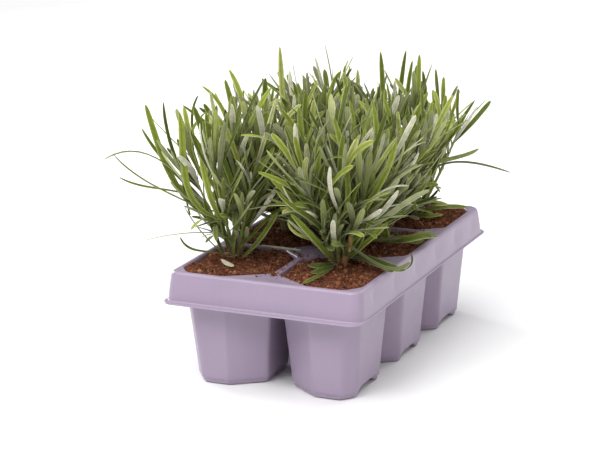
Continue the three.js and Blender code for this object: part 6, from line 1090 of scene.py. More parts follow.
  [376,-541,870,532,-599,918,659,-723,925,809,-797,885,480,-32,-50,80,0,0,30,20],
  [335,-628,860,386,-768,974,406,-872,1147,341,-835,1332,440,100,6,1,0,0,55,10],
  [343,-536,880,467,-701,957,629,-793,1098,566,-689,1324,440,-60,-80,3,0,0,52,20],
  [328,-605,941,248,-588,962,167,-584,994,83,-566,981,421,31,49,81,0,0],
  [332,-590,972,347,-668,1036,356,-740,1112,357,-794,1203,304,-1,63,77,4,0],
  [332,-585,969,336,-451,1044,320,-306,1098,279,-158,1115,351,-2,-48,88,-2,0],
  [330,-569,999,256,-478,1057,156,-413,1113,50,-336,1098,325,61,1,80,2,0],
  [333,-556,1030,356,-574,1210,374,-571,1393,399,-610,1571,315,-16,98,13,-8,0],
  [330,-552,1027,280,-449,1114,225,-388,1232,138,-325,1329,437,64,-26,72,-49,0],
  [330,-538,1058,233,-535,1088,135,-502,1081,35,-477,1065,358,27,49,83,-10,0],
  [334,-535,1056,369,-459,1067,394,-379,1044,415,-300,1017,358,-25,0,97,26,0],
  [333,-525,1088,341,-606,1213,363,-716,1317,334,-853,1379,378,-2,83,55,-33,0],
  [331,-521,1085,231,-396,1145,121,-301,1235,10,-171,1254,471,50,0,87,20,0],
  [330,-507,1115,231,-462,1195,113,-393,1186,-4,-342,1136,320,67,30,68,18,0],
  [336,-506,1114,489,-435,1093,611,-320,1133,730,-235,1227,356,-6,41,91,7,0],
  [336,-492,1143,438,-405,1175,503,-348,1285,596,-277,1362,338,-39,15,91,-10,0],
  [331,-494,1144,213,-494,1184,107,-486,1252,-3,-504,1311,453,28,45,85,-39,0],
  [334,-524,1077,374,-421,1094,441,-329,1110,494,-242,1058,431,-23,-5,97,2,0],
  [337,-498,1134,424,-421,1277,493,-357,1437,659,-282,1472,361,-87,15,47,-21,0],
  [333,-469,1189,320,-374,1263,337,-320,1373,342,-287,1491,374,22,-56,80,8,0],
  [337,-474,1191,378,-438,1341,379,-406,1498,381,-432,1656,355,-77,63,8,3,0],
  [333,-451,1248,302,-444,1428,302,-458,1611,345,-478,1789,510,43,90,5,15,0],
  [337,-446,1246,393,-360,1321,463,-281,1395,524,-218,1491,415,-57,-27,77,6,0],
  [334,-424,1303,306,-323,1420,264,-237,1546,227,-174,1686,457,42,-63,66,0,0],
  [336,-429,1305,392,-502,1452,447,-538,1615,444,-632,1763,361,-27,81,52,-28,0],
  [333,-408,1363,313,-405,1462,282,-401,1559,255,-396,1658,315,57,81,12,-42,0],
  [337,-404,1361,387,-297,1504,450,-204,1654,515,-83,1781,442,-59,-53,62,-4,0],
  [335,-385,1420,321,-308,1526,294,-242,1638,285,-114,1672,338,29,-74,60,5,0],
  [337,-390,1422,354,-386,1537,349,-386,1654,339,-358,1767,370,-47,88,6,12,0],
  [333,-372,1482,312,-350,1609,248,-335,1723,164,-347,1823,436,88,46,9,-24,0],
  [337,-368,1481,356,-291,1644,374,-206,1805,410,-142,1971,496,-46,-77,44,-11,0],
  [333,-362,1506,330,-352,1533,326,-341,1560,323,-331,1587,152,70,-63,34,0,0],
  [334,-368,1507,328,-371,1549,321,-374,1590,316,-375,1631,196,44,89,14,0,0],
  [339,-366,1507,353,-361,1541,366,-356,1575,377,-351,1610,161,-89,34,30,0,0],
  [334,-362,1506,326,-345,1533,318,-327,1561,312,-312,1589,180,57,-61,55,0,0],
  [334,-367,1507,329,-365,1550,323,-363,1592,319,-360,1634,206,55,83,3,0,0],
  [339,-364,1506,348,-353,1537,357,-342,1568,364,-332,1599,181,-91,-23,35,0,0],
  [329,-581,977,256,-507,1010,202,-414,981,134,-349,920,408,50,15,85,-17,0],
  [332,-518,1087,306,-428,1126,288,-330,1158,267,-231,1136,397,29,-28,91,11,0],
  [335,-523,1090,368,-519,1197,375,-499,1310,432,-526,1405,424,-49,86,14,-49,0],
  [333,-491,1143,320,-345,1224,301,-241,1356,273,-141,1489,498,12,-46,88,-12,0],
  [337,-466,1203,416,-393,1326,490,-316,1453,596,-235,1551,333,-84,3,54,0,0],
  [332,-422,1314,278,-386,1398,214,-334,1467,152,-274,1531,358,84,10,53,0,0],
  [338,-422,1314,402,-381,1411,479,-354,1507,542,-356,1615,392,-84,11,53,34,0],
  [336,-412,1353,350,-426,1412,346,-439,1474,339,-446,1537,313,-31,89,33,13,0],
  [332,-392,1405,282,-363,1489,235,-329,1576,153,-298,1632,401,85,9,51,5,0],
  [338,-391,1405,360,-363,1444,380,-350,1494,394,-350,1547,308,-68,-32,66,-25,0],
  [336,-375,1478,343,-422,1633,320,-454,1791,318,-413,1949,452,-6,95,31,7,0],
  [337,-370,1477,359,-306,1557,384,-254,1646,434,-169,1684,449,-42,-64,65,-19,0],
 ]),
 ('shoot_front_right_5', 'front_right', [297,-635,920,218,-575,1093,164,-535,1245,117,-499,1423], [
  [121,-502,1407,144,-515,1518,178,-535,1621,222,-563,1718,376,-60,67,44,1,1],
  [120,-501,1412,53,-459,1496,-10,-419,1579,-70,-381,1665,464,75,-35,56,18,1],
  [141,-517,1337,106,-403,1469,70,-298,1602,32,-202,1740,430,-10,-86,49,-23,1],
  [137,-515,1349,71,-528,1505,5,-548,1655,-63,-576,1803,454,-31,66,68,-16,1],
  [166,-536,1256,180,-506,1397,199,-477,1534,221,-449,1670,448,-90,37,-24,-26,1],
  [302,-605,880,363,-785,981,367,-920,1156,475,-796,1335,360,-81,-59,6,0,0,72,40],
  [287,-631,938,208,-667,1008,139,-710,1086,75,-785,1142,352,17,77,62,-15,0],
  [290,-626,938,304,-501,1006,293,-368,1065,281,-229,1023,419,-59,-33,74,-32,0],
  [279,-622,965,347,-734,1063,415,-843,1169,509,-959,1243,362,-46,41,79,-21,0],
  [275,-618,962,191,-544,925,99,-466,901,9,-392,937,498,-26,18,95,4,0],
  [267,-609,988,238,-488,1046,214,-351,1032,207,-234,958,501,-33,-45,83,-7,0],
  [258,-604,1015,360,-583,1132,444,-572,1266,593,-574,1324,362,-75,25,62,-54,0],
  [253,-603,1013,107,-541,1095,-26,-485,1204,-103,-451,1364,431,48,1,88,-11,0],
  [244,-598,1039,131,-676,1161,18,-755,1285,-85,-893,1354,417,9,80,60,6,0],
  [238,-588,1065,304,-551,1212,355,-543,1372,445,-552,1513,403,-91,16,38,10,0],
  [233,-587,1063,97,-501,1133,-40,-406,1194,-192,-315,1201,337,36,-16,92,-9,0],
  [224,-583,1089,176,-601,1163,137,-615,1246,102,-646,1325,285,23,89,39,-2,0],
  [226,-578,1088,241,-442,1074,233,-304,1045,235,-168,1008,337,-37,14,92,51,0],
  [219,-574,1114,267,-547,1263,308,-534,1418,299,-512,1577,410,-94,21,28,-52,0],
  [213,-574,1112,70,-592,1094,-75,-616,1106,-208,-642,1165,336,-16,29,94,-6,0],
  [230,-588,1071,127,-626,1136,32,-666,1214,-97,-683,1213,409,22,62,75,17,0],
  [235,-584,1072,243,-532,1165,266,-504,1268,255,-488,1376,441,-90,-33,29,-15,0],
  [213,-573,1126,216,-628,1267,189,-655,1416,149,-706,1555,410,-53,78,33,8,0],
  [210,-568,1123,123,-437,1212,7,-346,1319,-115,-215,1352,485,7,-51,86,-23,0],
  [191,-558,1177,105,-585,1304,29,-625,1435,-94,-685,1513,460,34,84,43,-27,0],
  [193,-553,1177,173,-443,1257,143,-382,1378,142,-261,1446,329,-33,-58,74,16,0],
  [174,-545,1231,120,-564,1411,47,-613,1579,-38,-638,1747,410,-12,99,8,-19,0],
  [173,-540,1230,110,-461,1357,24,-401,1481,-87,-333,1580,345,21,-77,60,-54,0],
  [158,-527,1284,157,-461,1364,155,-385,1435,139,-305,1500,412,-56,-63,54,-8,0],
  [142,-519,1340,146,-539,1467,156,-568,1593,178,-635,1702,313,-65,75,16,19,0],
  [138,-515,1338,68,-449,1470,42,-347,1597,11,-267,1737,424,50,-63,60,-13,0],
  [127,-503,1395,148,-444,1531,140,-398,1674,133,-250,1703,493,-88,-36,31,1,0],
  [118,-497,1417,107,-477,1449,96,-458,1481,85,-441,1514,208,5,-85,53,0,0],
  [116,-502,1417,96,-501,1458,77,-499,1498,59,-496,1539,225,69,66,30,0,0],
  [122,-500,1419,122,-494,1454,122,-488,1490,120,-481,1526,162,-99,10,-1,0,0],
  [116,-498,1417,99,-482,1447,82,-466,1478,66,-452,1510,167,53,-60,60,0,0],
  [118,-504,1418,106,-499,1465,94,-495,1511,82,-490,1557,216,-1,100,-9,0,0],
  [122,-499,1418,125,-488,1458,127,-477,1498,127,-467,1539,166,-98,-17,11,0,0],
  [230,-582,1075,187,-492,1142,145,-405,1217,120,-326,1307,317,-11,-61,78,3,0],
  [204,-568,1137,152,-570,1158,105,-584,1189,57,-604,1214,343,31,37,88,11,0],
  [195,-561,1171,181,-585,1237,158,-615,1299,141,-657,1356,327,-29,90,31,-11,0],
  [178,-542,1223,191,-489,1264,206,-448,1318,232,-417,1375,340,-59,-38,72,0,0],
  [174,-546,1223,136,-543,1274,92,-560,1318,33,-566,1345,351,67,54,51,29,0],
  [142,-514,1339,117,-469,1462,91,-440,1590,60,-324,1649,409,-57,-80,20,-22,0],
  [129,-509,1387,139,-542,1544,135,-556,1705,154,-547,1866,333,-62,75,22,-6,0],
 ]),
 ('shoot_front_right_6', 'front_right', [289,-670,920,191,-694,1159,129,-710,1365,81,-722,1604], [
  [185,-696,1202,-133,-822,1376,-404,-878,1711,63,-675,1801,313,95,-23,20,-23,1],
  [92,-719,1549,90,-780,1625,90,-847,1691,95,-921,1749,435,-28,57,77,23,1],
  [84,-721,1590,28,-742,1683,-19,-758,1777,-58,-772,1876,437,74,-1,68,21,1],
  [101,-717,1512,47,-780,1637,-11,-857,1746,-72,-948,1841,414,22,97,-11,27,1],
  [113,-714,1460,68,-645,1622,24,-577,1779,-19,-507,1934,458,4,-99,14,20,1],
  [279,-675,945,228,-822,1032,182,-944,1157,141,-1079,1269,356,-25,55,80,-11,0],
  [279,-670,945,265,-509,968,238,-353,922,198,-201,869,467,-37,-16,92,-28,0],
  [267,-678,981,326,-747,1035,372,-846,1040,428,-939,1053,325,-57,13,81,-12,0],
  [262,-675,979,161,-658,996,71,-644,1051,13,-627,1139,438,11,-19,97,12,0],
  [252,-682,1015,271,-767,1030,299,-848,1056,329,-930,1082,286,-40,7,92,3,0],
  [241,-683,1051,294,-708,1167,327,-708,1295,349,-714,1425,381,-89,7,44,6,0],
  [235,-682,1049,125,-667,1128,49,-645,1242,-15,-628,1364,320,52,-29,80,2,0],
  [226,-689,1084,218,-762,1131,207,-831,1189,200,-879,1264,394,-36,52,78,1,0],
  [226,-683,1084,219,-605,1158,229,-544,1249,231,-496,1347,352,-38,-64,67,39,0],
  [216,-689,1119,366,-706,1204,525,-757,1261,685,-810,1211,348,-50,-7,86,17,0],
  [211,-687,1117,92,-624,1220,-15,-596,1350,-173,-532,1360,329,33,-57,75,44,0],
  [201,-694,1151,131,-812,1223,82,-905,1340,52,-965,1482,417,-4,53,85,-33,0],
  [202,-689,1152,219,-558,1196,236,-429,1249,306,-330,1322,390,-35,-26,90,1,0],
  [193,-694,1186,233,-700,1262,283,-735,1325,344,-765,1380,444,-88,-4,48,44,0],
  [188,-694,1184,87,-698,1222,-11,-694,1274,-99,-718,1336,339,34,-7,94,-4,0],
  [222,-690,1093,188,-815,1209,129,-940,1316,89,-1110,1296,327,-29,68,67,18,0],
  [204,-693,1154,211,-722,1312,212,-725,1473,206,-708,1633,423,-97,24,10,0,0],
  [181,-699,1212,118,-790,1318,17,-864,1408,-66,-988,1449,396,6,73,68,-9,0],
  [161,-701,1270,89,-698,1351,23,-703,1439,-20,-708,1540,469,71,-21,67,35,0],
  [145,-708,1330,102,-739,1418,74,-764,1515,20,-851,1532,462,43,75,50,-32,0],
  [147,-703,1331,119,-644,1490,99,-604,1657,77,-500,1794,426,-30,-91,30,17,0],
  [133,-712,1390,176,-777,1496,208,-852,1603,248,-959,1673,445,-71,42,57,4,0],
  [117,-711,1450,126,-662,1583,117,-624,1721,99,-642,1862,360,-59,-73,33,2,0],
  [103,-719,1510,117,-761,1615,135,-796,1723,155,-862,1816,401,-72,59,36,-47,0],
  [99,-715,1509,48,-699,1589,-1,-683,1672,-38,-700,1760,309,65,-52,55,7,0],
  [87,-723,1571,45,-778,1686,9,-813,1812,-34,-907,1898,479,21,84,50,39,0],
  [90,-718,1572,100,-692,1693,130,-671,1812,177,-632,1920,409,-74,-64,22,4,0],
  [81,-718,1597,71,-709,1632,60,-701,1667,50,-694,1703,181,24,-92,31,0,0],
  [80,-724,1596,68,-733,1619,56,-741,1643,46,-748,1667,191,56,65,52,0,0],
  [86,-721,1598,86,-723,1631,86,-724,1664,85,-726,1697,199,-100,-5,0,0,0],
  [80,-719,1597,66,-715,1637,53,-710,1677,40,-707,1718,187,59,-75,28,0,0],
  [81,-725,1596,71,-732,1637,60,-739,1677,50,-746,1717,181,35,90,25,0,0],
  [85,-720,1598,88,-715,1630,92,-710,1663,93,-706,1696,168,-83,-54,16,0,0],
  [236,-680,1050,137,-608,1114,34,-534,1175,-77,-486,1247,472,13,-54,83,-22,0],
  [198,-695,1171,227,-741,1268,227,-764,1379,274,-801,1475,323,-81,38,44,2,0],
  [193,-691,1169,131,-677,1264,52,-657,1345,-40,-630,1410,341,61,-60,52,-22,0],
  [177,-701,1227,166,-740,1279,148,-773,1336,140,-789,1402,303,-29,77,57,-4,0],
  [178,-695,1228,161,-669,1346,151,-617,1456,124,-569,1566,363,-52,-85,14,17,0],
  [162,-703,1287,179,-713,1390,198,-700,1494,183,-669,1594,415,-98,4,20,-12,0],
  [141,-709,1341,56,-797,1425,-29,-849,1537,-117,-898,1649,397,22,53,82,0,0],
  [136,-711,1372,132,-818,1531,122,-875,1716,123,-886,1910,391,-45,74,50,-6,0],
  [133,-706,1371,89,-678,1419,38,-652,1463,-21,-617,1488,345,36,-59,72,0,0],
  [101,-719,1523,103,-746,1651,84,-762,1781,19,-824,1877,479,-85,50,15,-23,0],
  [83,-723,1585,1,-798,1726,-118,-888,1828,-221,-1037,1829,445,42,67,62,-27,0],
  [88,-721,1586,135,-715,1721,183,-686,1854,249,-631,1970,427,-92,-16,35,-9,0],
 ]),
 ('shoot_front_right_7', 'front_right', [317,-700,920,278,-820,1127,253,-897,1312,233,-959,1531], [
  [267,-854,1229,211,-884,1424,71,-967,1514,-85,-1061,1585,386,71,-60,36,12,1],
  [290,-784,1076,330,-922,1257,182,-1051,1310,57,-1076,1473,386,89,-38,25,10,1],
  [282,-807,1122,140,-816,1412,130,-580,1704,-84,-678,1950,423,59,-72,37,-23,1],
  [234,-955,1517,194,-932,1618,161,-919,1719,132,-916,1823,412,83,-56,9,-11,1],
  [234,-955,1518,264,-1002,1619,284,-1044,1721,293,-1082,1825,414,-36,93,6,30,1],
  [245,-921,1408,174,-1032,1527,113,-1131,1654,62,-1221,1791,412,49,51,71,22,1],
  [247,-915,1388,283,-914,1518,311,-921,1645,330,-935,1774,428,-48,-88,8,26,1],
  [258,-859,1229,233,-891,1329,133,-969,1346,55,-983,1278,420,52,-61,60,0,0,90,100],
  [280,-814,1045,228,-877,1111,170,-918,1194,79,-936,1247,560,72,-59,36,0,0,35,20],
  [295,-847,1063,249,-919,1106,155,-1039,1131,98,-980,1224,220,72,-56,42,0,0,85,80],
  [318,-694,862,313,-809,882,291,-896,897,170,-815,880,440,54,-57,62,0,0,14,20],
  [332,-728,858,321,-810,867,326,-901,884,258,-959,864,380,63,-18,76,0,0,22,20],
  [342,-769,856,340,-910,863,343,-1053,872,300,-1189,862,260,54,-4,84,0,0,35,60],
  [329,-853,1068,365,-863,1192,447,-834,1286,530,-765,1354,260,-38,-77,51,0,0,90,100],
  [316,-714,941,370,-831,1056,404,-902,1211,473,-1011,1329,367,-81,16,57,-51,0],
  [287,-790,1094,283,-765,1212,265,-787,1331,277,-764,1450,319,-18,-96,22,-19,0],
  [289,-795,1092,316,-895,1168,357,-1005,1222,428,-1113,1214,379,-58,37,73,0,0],
  [284,-809,1122,356,-933,1205,399,-1042,1325,432,-1138,1458,469,-62,14,77,-2,0],
  [279,-807,1123,166,-812,1179,47,-812,1230,-79,-789,1212,364,40,-48,78,14,0],
  [280,-819,1154,345,-786,1264,375,-779,1396,395,-780,1529,402,-51,-68,52,10,0],
  [285,-808,1125,408,-874,1261,500,-911,1431,646,-957,1556,424,-77,-27,58,-7,0],
  [279,-807,1124,191,-865,1263,76,-885,1394,-60,-914,1503,383,85,-32,42,-29,0],
  [277,-833,1177,343,-900,1243,373,-967,1334,455,-1042,1372,483,-70,-2,71,13,0],
  [268,-857,1228,297,-947,1276,303,-1041,1327,314,-1141,1364,332,-44,29,85,-22,0],
  [266,-852,1230,241,-856,1354,218,-871,1478,129,-881,1569,421,16,-99,2,-45,0],
  [257,-876,1282,189,-922,1371,134,-970,1470,104,-1031,1572,446,80,-7,60,-39,0],
  [263,-876,1283,359,-915,1431,427,-928,1600,594,-968,1664,502,-83,-31,47,38,0],
  [254,-899,1335,256,-996,1456,252,-1099,1573,293,-1195,1688,388,-35,72,60,-9,0],
  [245,-917,1389,169,-1007,1522,55,-1112,1612,6,-1245,1720,447,69,34,64,9,0],
  [250,-914,1390,290,-952,1574,366,-961,1750,549,-1017,1730,368,-91,-41,13,-57,0],
  [242,-936,1444,240,-1015,1553,262,-1057,1680,339,-1150,1741,445,-25,78,58,-41,0],
  [239,-932,1445,177,-950,1593,90,-948,1729,-24,-963,1843,455,77,-57,27,-18,0],
  [233,-951,1501,197,-998,1636,168,-1033,1777,121,-1049,1916,336,93,19,33,-29,0],
  [239,-950,1502,290,-977,1626,332,-982,1757,425,-999,1858,387,-91,-24,34,26,0],
  [231,-955,1525,219,-959,1561,207,-963,1597,197,-968,1633,202,76,-62,18,0,0],
  [231,-960,1524,216,-986,1563,200,-1012,1602,186,-1036,1643,227,55,57,60,0,0],
  [237,-958,1525,239,-968,1559,241,-978,1593,242,-989,1627,209,-99,11,9,0,0],
  [231,-955,1525,222,-956,1549,213,-957,1573,205,-960,1597,221,71,-66,24,0,0],
  [232,-960,1523,223,-985,1555,213,-1009,1587,205,-1031,1621,172,32,70,64,0,0],
  [237,-957,1525,244,-964,1556,251,-971,1587,256,-979,1618,187,-97,-19,17,0,0],
  [304,-749,1004,345,-848,1053,394,-956,1067,473,-1046,1076,452,-55,15,82,13,0],
  [275,-836,1190,295,-835,1229,310,-836,1272,343,-828,1302,291,-67,-61,42,-1,0],
  [267,-847,1219,253,-835,1256,242,-820,1296,246,-806,1338,374,18,-89,42,39,0],
  [256,-883,1294,231,-923,1311,211,-969,1327,192,-1017,1317,287,27,18,95,20,0],
  [260,-879,1296,279,-889,1423,313,-904,1547,343,-880,1671,492,-65,-76,6,8,0],
  [252,-905,1351,245,-1031,1446,259,-1125,1573,264,-1284,1582,382,-13,59,80,-44,0],
  [252,-900,1353,249,-899,1454,233,-889,1553,252,-822,1628,315,-23,-97,3,15,0],
  [243,-924,1407,203,-998,1522,155,-1033,1652,45,-1072,1736,357,55,59,60,37,0],
  [248,-923,1408,266,-973,1521,275,-1003,1643,363,-1071,1702,376,-92,27,29,-5,0],
  [243,-926,1432,239,-913,1492,241,-900,1554,248,-902,1618,395,-9,-96,25,-29,0],
  [232,-953,1507,180,-999,1605,152,-1038,1718,146,-1073,1834,442,81,19,55,-3,0],
  [238,-952,1508,284,-998,1692,349,-1059,1867,476,-1098,2012,465,-96,-18,21,-1,0],
 ]),
 ('shoot_front_right_8', 'front_right', [351,-696,920,394,-770,1133,423,-819,1315,447,-860,1526], [
  [373,-734,1032,562,-838,1087,761,-842,795,916,-747,955,508,11,77,63,-8,1,15,5],
  [387,-758,1110,363,-960,1336,220,-859,1601,273,-766,1861,460,52,-85,7,3,1],
  [395,-771,1155,575,-884,1399,455,-779,1676,358,-750,1935,460,57,-82,5,10,1],
  [445,-857,1509,481,-847,1617,518,-832,1719,559,-813,1819,468,8,-100,-3,11,1],
  [442,-852,1483,435,-896,1594,425,-944,1699,410,-995,1802,393,46,88,9,-14,1],
  [437,-843,1444,411,-842,1577,381,-837,1706,346,-829,1834,466,99,12,12,21,1],
  [421,-816,1323,416,-782,1438,405,-736,1544,390,-677,1644,441,74,-66,16,-10,1],
  [471,-780,990,482,-768,1030,480,-779,1070,478,-791,1110,320,-38,-92,-6,0,0,180,20],
  [361,-717,973,378,-845,1083,428,-964,1195,488,-1082,1303,390,19,65,74,21,0],
  [363,-712,974,414,-677,1130,465,-671,1290,485,-588,1436,447,-15,-95,28,4,0],
  [375,-732,1036,431,-696,1096,474,-669,1172,464,-645,1260,279,-25,-69,68,-18,0],
  [382,-746,1065,467,-812,1148,566,-897,1195,670,-986,1177,451,-59,18,78,6,0],
  [382,-755,1096,316,-826,1156,273,-897,1238,246,-958,1333,326,61,8,79,13,0],
  [387,-762,1126,259,-774,1206,125,-818,1271,-22,-862,1285,334,52,-27,81,-13,0],
  [393,-763,1125,536,-825,1166,685,-878,1208,837,-927,1244,316,-30,-11,95,-55,0],
  [392,-773,1156,331,-863,1281,282,-945,1418,221,-1095,1458,359,77,26,58,13,0],
  [397,-769,1156,466,-752,1279,501,-744,1418,564,-749,1547,364,-51,-75,41,14,0],
  [392,-771,1146,367,-887,1271,310,-969,1413,219,-1117,1407,386,54,55,64,-6,0],
  [394,-766,1147,439,-713,1307,463,-653,1471,489,-521,1585,466,-9,-93,35,-5,0],
  [400,-785,1204,350,-803,1290,312,-819,1384,251,-865,1452,301,85,-20,48,-19,0],
  [406,-784,1203,533,-797,1309,657,-805,1420,813,-838,1471,415,-62,-31,73,-2,0],
  [412,-803,1260,433,-949,1388,450,-1083,1530,508,-1166,1698,365,10,65,75,-8,0],
  [418,-813,1319,396,-810,1416,365,-801,1512,333,-778,1605,286,77,-59,22,-34,0],
  [421,-817,1318,467,-922,1425,501,-1051,1510,557,-1190,1562,398,-21,64,74,-7,0],
  [426,-831,1376,364,-924,1471,299,-1039,1538,244,-1164,1598,411,61,32,73,10,0],
  [430,-826,1377,492,-801,1520,550,-769,1665,645,-755,1793,474,-48,-80,36,-5,0],
  [439,-842,1435,475,-876,1555,498,-911,1678,516,-915,1807,389,-88,29,37,-9,0],
  [442,-857,1495,425,-944,1602,401,-1040,1703,415,-1118,1820,379,42,65,63,14,0],
  [445,-855,1520,447,-857,1549,450,-859,1578,452,-861,1607,224,28,-96,-7,0,0],
  [445,-862,1519,445,-875,1549,445,-889,1578,446,-900,1608,197,43,82,37,0,0],
  [450,-859,1519,461,-867,1545,473,-874,1571,483,-881,1597,218,-89,14,44,0,0],
  [444,-857,1520,439,-856,1548,435,-855,1575,433,-855,1603,191,75,-65,14,0,0],
  [445,-862,1519,443,-876,1543,440,-890,1568,439,-903,1593,196,48,74,48,0,0],
  [450,-858,1519,468,-862,1555,487,-866,1591,503,-870,1627,212,-86,-27,43,0,0],
  [395,-775,1160,383,-888,1262,410,-1027,1321,452,-1161,1259,325,40,58,71,-45,0],
  [403,-781,1188,468,-804,1262,539,-834,1332,571,-877,1420,344,-75,-14,65,47,0],
  [398,-779,1189,388,-779,1307,393,-754,1424,414,-703,1531,323,67,-73,8,17,0],
  [413,-808,1278,413,-843,1334,409,-883,1387,411,-914,1447,391,43,73,53,-18,0],
  [415,-811,1302,394,-827,1372,391,-838,1447,336,-883,1421,307,95,-11,29,4,0],
  [425,-829,1373,360,-896,1471,288,-960,1570,208,-984,1680,313,73,21,65,40,0],
  [436,-842,1450,437,-844,1578,433,-823,1705,450,-806,1831,406,53,-85,1,3,0],
  [445,-851,1488,491,-858,1638,561,-895,1774,708,-876,1827,492,-72,-66,21,27,0],
 ]),
 ('shoot_middle_left_1', 'middle_left', [-370,30,920,-347,46,1193,-331,57,1420,-317,67,1679], [
  [-357,39,1083,-432,146,1450,-504,255,1817,-570,368,2185,442,54,-77,34,11,1],
  [-319,65,1638,-276,121,1752,-236,172,1865,-198,220,1980,455,-31,-84,45,-16,1],
  [-318,66,1663,-326,43,1776,-340,7,1880,-360,-40,1979,410,72,59,36,5,1],
  [-327,60,1509,-375,83,1633,-437,110,1746,-511,140,1850,392,94,-24,23,-25,1],
  [-326,60,1517,-244,20,1650,-172,-14,1785,-106,-44,1924,362,-64,57,51,18,1],
  [-370,33,949,-447,75,1005,-537,130,1018,-618,192,1048,385,51,-16,84,-9,0],
  [-366,30,948,-289,-32,1071,-234,-60,1218,-102,-114,1287,458,-50,60,63,-14,0],
  [-365,31,989,-367,-21,1059,-351,-74,1129,-336,-154,1167,389,16,78,61,17,0],
  [-363,37,988,-330,117,1080,-316,180,1191,-310,298,1241,362,-20,-69,70,-9,0],
  [-364,36,1029,-441,28,1104,-503,24,1196,-560,21,1291,296,67,13,73,37,0],
  [-359,38,1028,-288,115,1119,-189,193,1180,-87,289,1177,444,-42,-50,76,-18,0],
  [-359,36,1068,-392,-34,1128,-419,-82,1211,-490,-143,1247,456,31,52,80,-35,0],
  [-357,41,1067,-308,134,1174,-268,236,1278,-263,270,1425,374,-26,-65,71,29,0],
  [-357,42,1106,-409,92,1136,-477,135,1133,-542,174,1108,402,34,-18,92,-21,0],
  [-352,39,1106,-204,-11,1156,-46,-52,1190,87,-152,1202,442,-26,17,95,0,0],
  [-351,40,1144,-327,-72,1241,-281,-215,1261,-279,-365,1243,363,-3,64,77,-9,0],
  [-353,45,1144,-378,182,1191,-431,322,1184,-455,466,1150,387,15,-29,95,50,0],
  [-352,45,1182,-481,51,1243,-564,42,1362,-627,29,1492,331,43,4,90,10,0],
  [-346,43,1182,-238,10,1308,-159,-37,1453,-68,-90,1589,333,-67,32,67,4,0],
  [-347,44,1220,-384,-47,1256,-409,-139,1305,-444,-239,1291,448,17,30,94,-7,0],
  [-344,48,1219,-279,77,1261,-229,95,1328,-209,114,1409,398,-46,-19,87,17,0],
  [-367,31,976,-396,-40,1054,-425,-100,1145,-444,-194,1202,449,33,62,71,13,0],
  [-357,36,1039,-215,26,1154,-57,-20,1239,126,-34,1212,364,-61,13,78,-34,0],
  [-363,38,1040,-475,83,1171,-543,94,1338,-590,65,1510,484,71,-16,68,3,0],
  [-348,46,1163,-292,101,1279,-243,146,1405,-117,209,1425,328,-56,-59,58,25,0],
  [-353,44,1164,-477,67,1311,-577,89,1478,-649,116,1658,369,75,-5,66,-58,0],
  [-343,45,1224,-230,-22,1331,-149,-97,1463,-25,-216,1481,361,-48,41,78,-2,0],
  [-346,50,1224,-350,165,1327,-349,271,1442,-278,341,1562,394,13,-65,75,-26,0],
  [-345,49,1285,-440,43,1434,-531,11,1585,-628,-56,1719,375,82,13,55,-25,0],
  [-336,50,1344,-303,-4,1487,-280,-29,1640,-254,-110,1771,345,-30,86,41,5,0],
  [-337,56,1344,-317,105,1464,-285,145,1587,-253,234,1679,436,-20,-88,42,17,0],
  [-331,53,1404,-288,23,1546,-247,-5,1691,-183,-70,1813,375,-62,70,36,24,0],
  [-336,57,1404,-431,135,1516,-528,226,1620,-631,359,1614,410,57,-34,74,-1,0],
  [-329,55,1464,-321,2,1574,-323,-69,1677,-315,-166,1753,494,1,89,45,14,0],
  [-330,61,1464,-355,168,1564,-368,252,1688,-385,369,1782,364,24,-63,74,40,0],
  [-323,62,1524,-267,96,1618,-210,110,1718,-113,160,1757,429,-70,-41,59,47,0],
  [-328,59,1524,-394,20,1648,-422,-26,1785,-460,-93,1910,436,72,44,54,32,0],
  [-322,60,1585,-304,15,1685,-289,4,1795,-286,-3,1907,323,-19,87,45,-16,0],
  [-316,67,1646,-287,86,1738,-273,98,1835,-267,87,1934,300,-79,-48,38,-11,0],
  [-322,67,1646,-354,88,1745,-391,103,1844,-478,109,1907,300,85,-35,38,35,0],
  [-318,70,1671,-318,89,1712,-318,107,1754,-318,122,1796,214,15,-90,40,0,0],
  [-320,64,1671,-324,57,1711,-328,51,1750,-331,46,1790,209,60,78,19,0,0],
  [-314,67,1671,-306,67,1694,-299,68,1717,-292,69,1740,201,-95,3,31,0,0],
  [-319,70,1671,-320,82,1712,-322,93,1752,-322,103,1793,216,35,-90,27,0,0],
  [-318,63,1671,-318,47,1716,-318,31,1761,-318,18,1807,199,15,93,34,0,0],
  [-314,68,1671,-299,75,1708,-284,81,1746,-272,87,1784,162,-85,-34,40,0,0],
  [-361,34,991,-209,55,1098,-32,93,1151,143,164,1144,339,-56,-2,83,17,0],
  [-361,33,1020,-340,-12,1045,-327,-64,1068,-305,-113,1088,283,-8,43,90,-28,0],
  [-359,39,1094,-447,18,1170,-542,-3,1241,-640,-15,1310,311,60,19,78,-36,0],
  [-350,44,1206,-374,26,1241,-413,9,1265,-456,-8,1280,284,60,43,67,23,0],
  [-343,52,1266,-339,123,1422,-344,183,1585,-322,219,1753,323,13,-90,42,6,0],
  [-338,52,1363,-350,41,1408,-367,24,1451,-374,-1,1492,265,72,58,38,22,0],
  [-333,54,1363,-303,58,1397,-279,64,1436,-266,78,1480,280,-71,-5,70,-27,0],
  [-333,52,1393,-302,-25,1504,-283,-90,1628,-271,-152,1755,340,-17,78,61,6,0],
  [-334,58,1446,-360,64,1511,-391,68,1576,-415,68,1643,419,90,-8,42,26,0],
  [-328,57,1446,-294,59,1492,-266,56,1544,-248,62,1600,385,-78,4,62,7,0],
  [-325,58,1515,-291,-18,1628,-285,-71,1759,-298,-103,1897,393,-22,77,60,-19,0],
  [-328,63,1515,-396,171,1636,-485,243,1771,-560,348,1893,439,44,-52,73,35,0],
  [-326,61,1567,-368,42,1671,-404,27,1779,-438,5,1886,444,81,41,42,13,0],
